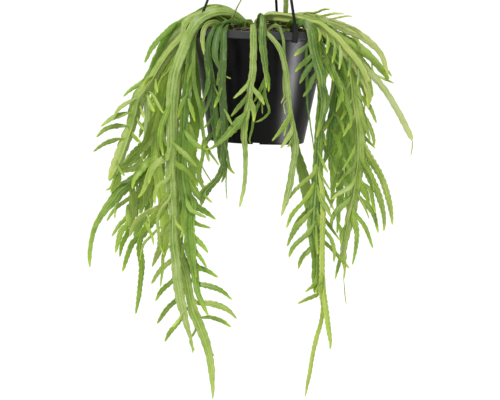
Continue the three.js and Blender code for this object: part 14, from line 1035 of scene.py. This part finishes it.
         [9.8, 16, 22.1], [13.7, 19.8, 25.8], 4),
        ("flat", 0, 0, [(-116.8,38,-448.7,6.11,-.66,-.43,-.61), (-112.2,40.1,-455,5.74,-.67,-.42,-.62), (-108.1,42.1,-461.6,5.37,-.78,-.42,-.47), (-106.1,44.1,-469.1,3.75,-.86,-.44,-.27), (-104.8,46.1,-476.8,2.04,-.86,-.44,-.26)],
         [10.8, 17.1, 23.3], [15.4, 21.3, 27.6], 3.6),
        ("flat", 0, 0, [(-118.3,38,-460.4,5.46,-.79,.06,.61), (-123.1,40.1,-466.6,7.44,-.8,.05,.6), (-127.3,42.2,-473.2,9.2,-.9,.05,.43), (-129.5,44.2,-480.3,5.54,-.96,.07,.26), (-131.2,46.1,-487.6,1.84,-.96,.07,.25)],
         [10.3, 16.8, 22.6], [15, 21.3, 27.7], 2.4),
        ("flat", 0, 0, [(-110.7,37.8,-380.9,6.06,-.85,.43,-.31), (-107.2,39.2,-388.2,6.65,-.84,.44,-.31), (-104,40.7,-395.7,7.24,-.87,.44,-.22), (-102,42.1,-403.5,5.54,-.9,.44,-.09), (-100.8,43.5,-411.4,3.2,-.9,.43,-.07), (-100.1,44.2,-415.3,2.02,-.9,.43,-.08)],
         [11.7, 18, 24.4, 30.5], [15, 21.4, 28.1], 4.6),
    ]),
}
FLAT_X = {7: np.array([-0.86, -0.5, -0.16, 0.0, 0.16, 0.5, 0.86]), 5: np.array([-0.8, -0.36, 0.0, 0.36, 0.8])}


def lobes(s, notches, depth, length):
    """1 on a lobe and 1 - depth in a notch: each lobe widens slowly towards the tip and steps in at its notch."""
    if len(notches) == 0:
        return np.ones_like(s), np.zeros_like(s)
    q = np.concatenate([[notches[0] - 12.0], notches, [length + 6.0]])
    k = np.clip(np.searchsorted(q, s, side="right") - 1, 0, len(q) - 2)
    p = (s - q[k]) / (q[k + 1] - q[k])
    rise = np.clip(p / 0.62, 0, 1) ** 0.75
    fall = 1 - np.clip((p - 0.85) / 0.15, 0, 1) ** 1.5
    g = rise * fall
    g = np.where(k == 0, 0.6 + 0.4 * fall, g)
    near = np.min(np.abs(s[:, None] - np.asarray(notches)[None, :]), axis=1)
    return 1 - depth * (1 - g), np.clip(1 - near / 1.3, 0, 1)


def build_stem(seed, kind, main, tone, rows, left, right, start, waxy_and_shade_green, hue):
    R = np.array(rows, float)
    P, W, B = R[:, :3], R[:, 3:4], R[:, 4:7]
    s0 = np.concatenate([[0], np.cumsum(np.linalg.norm(np.diff(P, axis=0), axis=1))])
    L = s0[-1]
    step = 1.9 if main else 1.2
    n = max(8, int(L / step))
    s = np.linspace(0, L, n)
    # closer rings where the tip rounds off
    extra = L - np.array([0.12, 0.45, 1.0, 1.8]) * (1.0 if main else 0.7)
    s = np.unique(np.concatenate([s[s < L - 2.0 * (1.0 if main else 0.7)], extra[extra > 0], [L]]))
    n = len(s)
    Q = along_curve(P, s0, s)
    w = np.interp(s, s0, W[:, 0])
    b = along_curve(B, s0, s)
    T = unit(np.gradient(Q, s, axis=0))
    b = unit(b - (b * T).sum(1, keepdims=True) * T)
    N = np.cross(b, T)
    g = np.random.default_rng(seed)
    depth = (0.08 + 0.04 * g.uniform()) * (0.55 + 1.25 * s / L) if main else (0.18 + 0.07 * g.uniform())
    la, na = lobes(s, left, depth, L)
    lb, nb = lobes(s, right, depth, L)
    half = w / 2 * (1.06 if main else 1.10)
    # rounded tip, and a narrow foot where a side stem leaves its parent
    tip = max(2.6, 1.1 * w[-1]) if main else max(3.2, 1.5 * w[-1])
    u = np.clip((s - (L - tip)) / tip, 0, 1)
    end = np.clip(1 - u**2, 0.0, 1) ** (0.5 if main else 0.72) * 0.97 + 0.03
    foot = np.ones(n)
    if not main:
        foot = 0.42 + 0.58 * smoothstep(s, start - 1.0, start + 13.0)
    ha, hb = half * la * end * foot, half * lb * end * foot
    mid = np.clip(0.24 * w, 0.9, 2.6) * (0.35 + 0.65 * np.sqrt(np.clip(end, 0, 1)))
    fold = 0.10 + 0.16 * wander(seed + 1, s, 38.0)
    ripple = 0.5 * wander(seed + 2, s, 9.0)
    V, A, E = [], [], []
    if kind == "rib":
        # three wings that meet in the middle
        r = half[:, None]
        e = end[:, None]
        rim3 = half * lobes(s, [x + 4.0 for x in left], depth, L)[0] * end
        wings = [(-1.0, -0.44, ha), (1.0, -0.44, hb), (0.0, 0.84, rim3)]
        tk = np.clip(0.16 * w, 0.8, 1.8) * end
        ring, acr = [], []
        for i, (dx, dy, h) in enumerate(wings):
            l = math.hypot(dx, dy)
            d = np.array([dx, dy]) / l
            q = np.array([-d[1], d[0]])
            reach = h * l
            for f, tt in ((0.34, 1.25), (0.72, 0.85), (1.0, 0.0), (0.72, -0.85), (0.34, -1.25)):
                sh = 1.0 if tt else 1.0
                ring.append(d[None] * (reach * f)[:, None] + q[None] * (tk * tt * 0.5)[:, None])
                acr.append(np.full(n, f * (1 if i == 1 else -1 if i == 0 else 0.55)))
        # order the three wings counter-clockwise: left wing, right wing, top wing
        order = []
        for i in (0, 1, 2):
            k = list(range(5 * i, 5 * i + 5))
            order += k[::-1]
        ring = [ring[k] for k in order]
        acr = [acr[k] for k in order]
        XY = np.stack(ring, 1)
        A = np.stack(acr, 1)
        notch = np.maximum(na, nb)[:, None] * (np.abs(A) > 0.9)
    else:
        X = FLAT_X[7 if main else 5]
        m = len(X)
        xs = np.concatenate([[-1.0], X, [1.0], X[::-1]])
        sg = np.concatenate([[0.0], -np.ones(m), [0.0], np.ones(m)])
        hw = np.where(xs[None] < 0, ha[:, None], hb[:, None])
        body = 0.26 + 0.74 * (1 - np.abs(xs) ** 1.7)
        body = body + 0.16 * np.exp(-((xs / 0.2) ** 2))
        y = sg[None] * mid[:, None] / 2 * body[None]
        y = y + fold[:, None] * np.abs(xs)[None] * half[:, None] * end[:, None]
        y = y + (ripple * np.minimum(1, w / 9))[:, None] * (np.abs(xs)[None] ** 3) * np.sign(xs)[None] * end[:, None]
        XY = np.stack([xs[None] * hw, y], -1)
        A = np.repeat(xs[None], n, 0)
        notch = np.where(A < -0.84, na[:, None], np.where(A > 0.84, nb[:, None], 0.0))
    V = Q[:, None, :] + b[:, None, :] * XY[..., :1] + N[:, None, :] * XY[..., 1:]
    k = V.shape[1]
    idx = np.arange(n * k).reshape(n, k)
    a = idx[:-1]
    c = idx[1:]
    F = np.stack([a, c, np.roll(c, -1, 1), np.roll(a, -1, 1)], -1).reshape(-1, 4).tolist()
    F.append(idx[0].tolist())
    F.append(idx[-1][::-1].tolist())
    reach = 26.0 if main else 15.0
    youth = np.clip(1 - (L - s) / reach, 0, 1) ** 1.4 * (0.40 + 0.75 * g.uniform())
    if not main:
        youth = np.maximum(youth, 0.25 * g.uniform() * np.clip(s / L, 0, 1))
    chance = g.uniform(0, 40)
    if main and hue is not None:
        chance = (int(chance) + hue) / 0.731
    own = tone + g.uniform(-0.08, 0.08) * (1 if main else 2) + (0.22 * smoothstep(s / L, 0.72, 1.0) if main else 0 * s)
    growth = np.stack([np.repeat(youth, k), np.repeat(own, k), np.full(n * k, waxy_and_shade_green * (0.75 + 0.25 * g.uniform()))], -1)
    lay = np.stack([np.repeat(s / 10, k), A.reshape(-1), np.full(n * k, chance)], -1)
    return V.reshape(-1, 3) * MM, F, growth, lay, notch.reshape(-1)


# stems whose skin is greyer or fresher than the rest: (0 grey to 1 fresh, then the grey wax coat, or below zero a
# lusher green painted in as the shade colour of stems in shade)
HUE = {
    "stem_left_arch_back": (0.02, 1.8), "stem_left_front": (0.25, 1.3), "stem_left_middle": (0.75, -0.6), "stem_left_long": (0.85, 0.4),
    "stem_front_centre": (0.22, 1.3), "stem_front_looped": (0.05, 1.5), "stem_front_thin": (0.02, 1.8), "stem_front_right": (0.02, 1.8),
    "stem_right_straight": (0.12, 1.7), "stem_right_behind": (0.90, -0.4), "stem_right_inner": (0.80, 0.3), "stem_right_low": (0.02, 1.0),
    "stem_right_ribbed_arch": (0.15, -0.35), "stem_back_right_long": (0.25, 0.5), "stem_right_front_short": (0.20, 1.2), "stem_right_dark": (0.25, 0.6),
    "stem_back_left_outer": (0.50, -0.7), "stem_back_left": (0.30, -0.6),
}
# the same second value for the side stems; below zero it paints the lusher green of shade onto side stems in shade
SIDE_BLOOM_AND_SHADE_GREEN = {
    "stem_left_middle": -0.6, "stem_left_long": -0.35, "stem_back_left_outer": -0.5, "stem_back_left": -0.6, "stem_right_ribbed_arch": -0.35,
    "stem_right_inner": -0.35, "stem_right_ribbed_long": -0.15, "stem_back_far_right": -0.3, "stem_front_centre": 0.5, "stem_front_right": 0.5,
    "stem_right_front_short": 0.4, "stem_left_thin": 0.3,
}
seed = 100
for node, (base_tone, chains) in STEMS.items():
    VV, FF, G, Y, K = [], [], [], [], []
    off = 0
    for kind, main, tone, rows, left, right, start in chains:
        seed += 7
        # stems with the deep green skin get little of the grey wax coat: painted saturated green for their shade
        hue, waxy_and_shade_green = HUE.get(node, (None, 0.15 if SLOT_OF[node] == "stem_deep_green" else 1.0))
        if not main:
            waxy_and_shade_green = SIDE_BLOOM_AND_SHADE_GREEN.get(node, 0.0)
        v, f, gr, ly, nc = build_stem(seed, kind, main, base_tone + tone, rows, left, right, start, waxy_and_shade_green, hue)
        VV.append(v)
        FF += [[i + off for i in q] for q in f]
        off += len(v)
        G.append(gr)
        Y.append(ly)
        K.append(nc)
    o = add_object(node.replace("stem_", "grown_"), np.concatenate(VV), FF, [SKIN[SLOT_OF[node]]], attributes=[
        ("growth", "FLOAT_VECTOR", np.concatenate(G)), ("lay", "FLOAT_VECTOR", np.concatenate(Y)), ("notch", "FLOAT", np.concatenate(K))])
    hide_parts(node)
    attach(o, "root")


# ------------------------------------------------------------------ pot
def lathe(profile, segments):
    """Closed profile of (radius, z), the first and last on the axis."""
    V, F, rings = [], [], []
    for r, z in profile:
        if r <= 1e-9:
            rings.append([len(V)])
            V.append((0, 0, z))
        else:
            rings.append(list(range(len(V), len(V) + segments)))
            for i in range(segments):
                a = 2 * math.pi * i / segments
                V.append((r * math.cos(a), r * math.sin(a), z))
    for p, q in zip(rings, rings[1:]):
        for i in range(segments):
            j = (i + 1) % segments
            if len(p) == 1:
                F.append((p[0], q[j], q[i]))
            elif len(q) == 1:
                F.append((p[i], p[j], q[0]))
            else:
                F.append((p[i], p[j], q[j], q[i]))
    return V, F


def rounded(points, radius=0.5, steps=3):
    """The profile with its corners rounded."""
    out = [points[0]]
    for a, b, c in zip(points, points[1:], points[2:]):
        a, b, c = (np.array(x, float) for x in (a, b, c))
        la, lc = np.linalg.norm(a - b), np.linalg.norm(c - b)
        d = min(radius, 0.4 * la, 0.4 * lc)
        p, q = b + (a - b) / la * d, b + (c - b) / lc * d
        for i in range(steps + 1):
            u = i / steps
            out.append(tuple((1 - u) ** 2 * p + 2 * u * (1 - u) * b + u**2 * q))
    out.append(points[-1])
    return out


F0 = FOOT_Z
profile = rounded([
    (0, F0 + FOOT_H), (47.6, F0 + FOOT_H), (48.6, F0), (51.6, F0), (BODY_R_BOTTOM, F0 + 1.2),
    (BODY_R_BOTTOM + 10.0, F0 + 56.5), (BODY_R_TOP, RIM_Z - RIM_BAND), (RIM_R - 0.4, RIM_Z - RIM_BAND), (RIM_R, RIM_Z - RIM_BAND + 0.9), (RIM_R, RIM_Z - 1.3),
    (RIM_R - 0.9, RIM_Z), (RIM_R - 2.7, RIM_Z), (RIM_R - 3.5, RIM_Z - 0.9), (BODY_R_TOP - WALL, RIM_Z - RIM_BAND - 1),
    (BODY_R_BOTTOM - WALL, F0 + 9), (48.4, F0 + FOOT_H + FLOOR_T), (0, F0 + FOOT_H + FLOOR_T)], 0.7)
V, F = lathe(profile, 160)
pot = add_object("pot_shell", [Vector(v) * MM for v in V], F, [POT])
cutters = []
for i in range(3):
    bm = bmesh.new()
    bmesh.ops.create_cube(bm, size=1.0)
    bmesh.ops.scale(bm, vec=(0.130, 0.007, 0.0032), verts=bm.verts)
    bmesh.ops.rotate(bm, matrix=Matrix.Rotation(math.radians(60 * i + 30), 3, "Z"), verts=bm.verts)
    bmesh.ops.translate(bm, vec=(0, 0, F0 * MM), verts=bm.verts)
    cutters.append(bm)
for i in range(6):
    bm = bmesh.new()
    bmesh.ops.create_cone(bm, cap_ends=True, segments=28, radius1=0.004, radius2=0.004, depth=0.010)
    a = math.radians(60 * i)
    bmesh.ops.translate(bm, vec=(0.030 * math.cos(a), 0.030 * math.sin(a), (F0 + FOOT_H + FLOOR_T / 2) * MM), verts=bm.verts)
    cutters.append(bm)
for i, bm in enumerate(cutters):
    me = bpy.data.meshes.new(f"cut{i}")
    bm.to_mesh(me)
    bm.free()
    c = bpy.data.objects.new(f"cut{i}", me)
    scene.collection.objects.link(c)
    mod = pot.modifiers.new("cut", "BOOLEAN")
    mod.operation, mod.solver, mod.object = "DIFFERENCE", "EXACT", c
    dg = bpy.context.evaluated_depsgraph_get()
    made = bpy.data.meshes.new_from_object(pot.evaluated_get(dg))
    pot.modifiers.clear()
    pot.data = made
    bpy.data.objects.remove(c)
pot.data.polygons.foreach_set("use_smooth", np.ones(len(pot.data.polygons), bool))
pot.data.set_sharp_from_angle(angle=math.radians(40))
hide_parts("pot")
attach(pot, "root")


# ------------------------------------------------------------------ soil, with crumbs, roots and moss
EARTH = earth("peat_mix")
ROOTS = fibre("root_threads", (0.20, 0.13, 0.07), (0.42, 0.32, 0.19))
MOSS = fibre("moss", (0.07, 0.11, 0.02), (0.22, 0.27, 0.06))


def soil_mesh():
    rings, seg = 46, 132
    V, F = [(0, 0, 0)], []
    top = 69.4
    for i in range(1, rings + 1):
        r = top * i / rings
        for j in range(seg):
            a = 2 * math.pi * j / seg
            V.append((r * math.cos(a), r * math.sin(a), 0))
    out = []
    for x, y, _ in V:
        r = math.hypot(x, y)
        p = Vector((x, y, 3.1))
        z = soil_z(r) + 1.1 * noise.fractal(p * 0.16, 0.9, 2.1, 5) + 0.55 * noise.noise(p * 0.9)
        if r > top - 2:
            z = min(z, soil_z(r) + 0.6)
        out.append((x, y, z))
    for j in range(seg):
        F.append((0, 1 + j, 1 + (j + 1) % seg))
    for i in range(rings - 1):
        a, b = 1 + i * seg, 1 + (i + 1) * seg
        for j in range(seg):
            k = (j + 1) % seg
            F.append((a + j, b + j, b + k, a + k))
    # down the inside of the pot to its floor
    last = 1 + (rings - 1) * seg
    for r, z in ((69.2, RIM_Z - 13.0), (49.6, FOOT_Z + 9.4), (47.4, FOOT_Z + FOOT_H + FLOOR_T + 0.3)):
        new = len(out)
        for j in range(seg):
            a = 2 * math.pi * j / seg
            out.append((r * math.cos(a), r * math.sin(a), z))
        for j in range(seg):
            k = (j + 1) % seg
            F.append((last + j, new + j, new + k, last + k))
        last = new
    F.append(tuple(range(last + seg - 1, last - 1, -1)))
    return out, F


V, F = soil_mesh()
soil = add_object("soil_bed", [Vector(v) * MM for v in V], F, [EARTH], sharp=60)
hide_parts("soil")
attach(soil, "root")


def crumb(bm_v, bm_f, centre, size, g):
    """One broken bit of bark: a squashed, knocked-about octahedron."""
    o = len(bm_v)
    axes = np.array([[1, 0, 0], [-1, 0, 0], [0, 1, 0], [0, -1, 0], [0, 0, 1], [0, 0, -1]], float)
    q, _ = np.linalg.qr(g.normal(size=(3, 3)))
    p = axes * (size * g.uniform(0.45, 1.0, (6, 1))) * np.array([1, 0.75, 0.55])
    p = p @ q.T + centre
    bm_v += p.tolist()
    for a, b, c in ((0, 2, 4), (2, 1, 4), (1, 3, 4), (3, 0, 4), (2, 0, 5), (1, 2, 5), (3, 1, 5), (0, 3, 5)):
        bm_f.append((o + a, o + b, o + c))


g = np.random.default_rng(77)
V, F = [], []
for i in range(900):
    r = 68.5 * math.sqrt(g.uniform())
    a = g.uniform(0, 2 * math.pi)
    size = g.uniform(0.6, 2.0) if g.uniform() < 0.85 else g.uniform(2.0, 3.6)
    z = soil_z(r) + 0.4 + 0.25 * size
    crumb(V, F, np.array([r * math.cos(a), r * math.sin(a), z]), size, g)
crumbs = add_object("bark_crumbs", np.array(V) * MM, F, [EARTH], smooth=False)
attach(crumbs, "root")


def thread(V, F, pts, radius, sides=5):
    P = np.array(pts, float)
    s = np.concatenate([[0], np.cumsum(np.linalg.norm(np.diff(P, axis=0), axis=1))])
    at = np.linspace(0, s[-1], max(6, int(s[-1] / 1.4)))
    Q = along_curve(P, s, at)
    T = unit(np.gradient(Q, axis=0))
    up = np.array([0.3, 0.2, 1.0])
    A = unit(np.cross(T, up))
    B = np.cross(T, A)
    o = len(V)
    n = len(Q)
    for i in range(n):
        r = radius * (1 - 0.55 * i / n)
        for j in range(sides):
            t = 2 * math.pi * j / sides
            V.append((Q[i] + r * (math.cos(t) * A[i] + math.sin(t) * B[i])).tolist())
    for i in range(n - 1):
        for j in range(sides):
            k = (j + 1) % sides
            F.append((o + i * sides + j, o + i * sides + k, o + (i + 1) * sides + k, o + (i + 1) * sides + j))
    F.append(tuple(o + j for j in range(sides))[::-1])
    F.append(tuple(o + (n - 1) * sides + j for j in range(sides)))


V, F = [], []
for i in range(70):
    r = 66 * math.sqrt(g.uniform())
    a = g.uniform(0, 2 * math.pi)
    p = np.array([r * math.cos(a), r * math.sin(a)])
    d = g.uniform(0, 2 * math.pi)
    pts = []
    for k in range(6):
        rr = math.hypot(*p)
        if rr > 68:
            p = p * 68 / rr
            rr = 68
        pts.append((p[0], p[1], soil_z(rr) + 0.9 + 0.9 * g.uniform()))
        d += g.uniform(-0.9, 0.9)
        p = p + 4.2 * np.array([math.cos(d), math.sin(d)])
    thread(V, F, pts, g.uniform(0.18, 0.42))
roots = add_object("root_threads", np.array(V) * MM, F, [ROOTS])
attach(roots, "root")

V, F = [], []
for i in range(30):
    # moss sits in small cushions, most of them towards the front edge
    a = math.radians(-90 + g.normal() * 42) if i < 20 else g.uniform(0, 2 * math.pi)
    r = g.uniform(50, 66) if i < 20 else g.uniform(20, 66)
    c = np.array([r * math.cos(a), r * math.sin(a)])
    for k in range(26):
        q = c + g.normal(size=2) * 2.0
        rr = math.hypot(*q)
        if rr > 68:
            continue
        z = soil_z(rr) + 0.6
        lean = g.normal(size=2) * 0.8
        thread(V, F, [(q[0], q[1], z), (q[0] + lean[0] * 0.5, q[1] + lean[1] * 0.5, z + 1.2), (q[0] + lean[0] * 1.6, q[1] + lean[1] * 1.6, z + g.uniform(1.8, 3.2))], 0.26, 4)
moss = add_object("moss_tufts", np.array(V) * MM, F, [MOSS])
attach(moss, "root")

# ------------------------------------------------------------------ hanger: the CAD pieces' own shapes, in moulded plastic
for n in ("hanger_hook", "hanger_arm_left", "hanger_arm_back", "hanger_arm_front"):
    me = frame["nodes"][n].data
    me.materials.clear()
    me.materials.append(HANGER)

# ------------------------------------------------------------------ floor
m, nt, p = new_material("studio_floor")
t = Tree(nt)
at = t.place()
t.put(t.mix(t.remap(t.noise(at, 1.5, 3.0), 0.3, 0.7), (0.93, 0.93, 0.93), (0.95, 0.95, 0.95)), p.inputs["Base Color"])
p.inputs["Roughness"].default_value = 0.9
p.inputs["Specular IOR Level"].default_value = 0.1
me = bpy.data.meshes.new("studio_floor")
bm = bmesh.new()
bmesh.ops.create_circle(bm, cap_ends=True, segments=64, radius=60.0)
bmesh.ops.translate(bm, vec=(0, 0, -0.95), verts=bm.verts)
bm.to_mesh(me)
bm.free()
me.materials.append(m)
floor = bpy.data.objects.new("studio_floor", me)
scene.collection.objects.link(floor)

# ------------------------------------------------------------------ light
world = bpy.data.worlds.new("studio")
scene.world = world
world.use_nodes = True
world.node_tree.nodes["Background"].inputs["Color"].default_value = (0.84, 1.0, 0.72, 1.0)
world.node_tree.nodes["Background"].inputs["Strength"].default_value = 0.44


def aim(o, target):
    d = Vector(target) - o.location
    o.rotation_mode = "QUATERNION"
    o.rotation_quaternion = d.to_track_quat("-Z", "Y")


def softbox(name, place, target, size, radiance):
    l = bpy.data.lights.new(name, "AREA")
    l.shape = "RECTANGLE"
    l.size, l.size_y = size
    l.energy = radiance * math.pi * size[0] * size[1]
    o = bpy.data.objects.new(name, l)
    scene.collection.objects.link(o)
    o.location = place
    aim(o, target)
    o.visible_camera = False
    return o


l = bpy.data.lights.new("top_light", "SUN")
l.energy = 2.9
l.color = (1.05, 1.0, 1.08)
l.angle = math.radians(9)
o = bpy.data.objects.new("top_light", l)
scene.collection.objects.link(o)
o.location = (-0.8, -2.0, 3.0)
aim(o, (0.0, 0.0, -0.3))
softbox("front_box", (0.2, -3.2, 0.55), (0, 0, -0.3), (2.6, 1.2), 3.0)
glint = softbox("right_strip", (1.13, -0.46, -0.73), (0, 0, -0.31), (0.26, 0.10), 330.0)
glint.visible_diffuse = False
glint.visible_transmission = False
shiny = bpy.data.collections.new("glint_receivers")
shiny.objects.link(pot)
glint.light_linking.receiver_collection = shiny
glint.light_linking.blocker_collection = shiny
softbox("left_panel", (-1.30, 0.05, -0.55), (0, 0, -0.32), (0.9, 0.9), 1.6)

# ------------------------------------------------------------------ camera, at the photograph's angle
EL, ROLL = math.radians(4.5), math.radians(2.2)
eye = Vector((-4.29109, -4984.58667, -42.57147)) * MM
forward = Vector((0, math.cos(EL), -math.sin(EL)))
r0, u0 = Vector((1, 0, 0)), Vector((0, math.sin(EL), math.cos(EL)))
right = math.cos(ROLL) * r0 + math.sin(ROLL) * u0
up = -math.sin(ROLL) * r0 + math.cos(ROLL) * u0
cam = bpy.data.cameras.new("camera")
cam.sensor_fit = "HORIZONTAL"
cam.sensor_width = 36.0
cam.lens = 36.0 * (5000.0 / 1.1) / 500.0
cam.clip_start, cam.clip_end = 0.1, 200.0
cam.dof.use_dof = False
camera = bpy.data.objects.new("camera", cam)
scene.collection.objects.link(camera)
rot = Matrix((right, up, -forward)).transposed()
camera.matrix_world = Matrix.Translation(eye) @ rot.to_4x4()
scene.camera = camera
scene.view_settings.view_transform = "Standard"
scene.view_settings.look = "None"
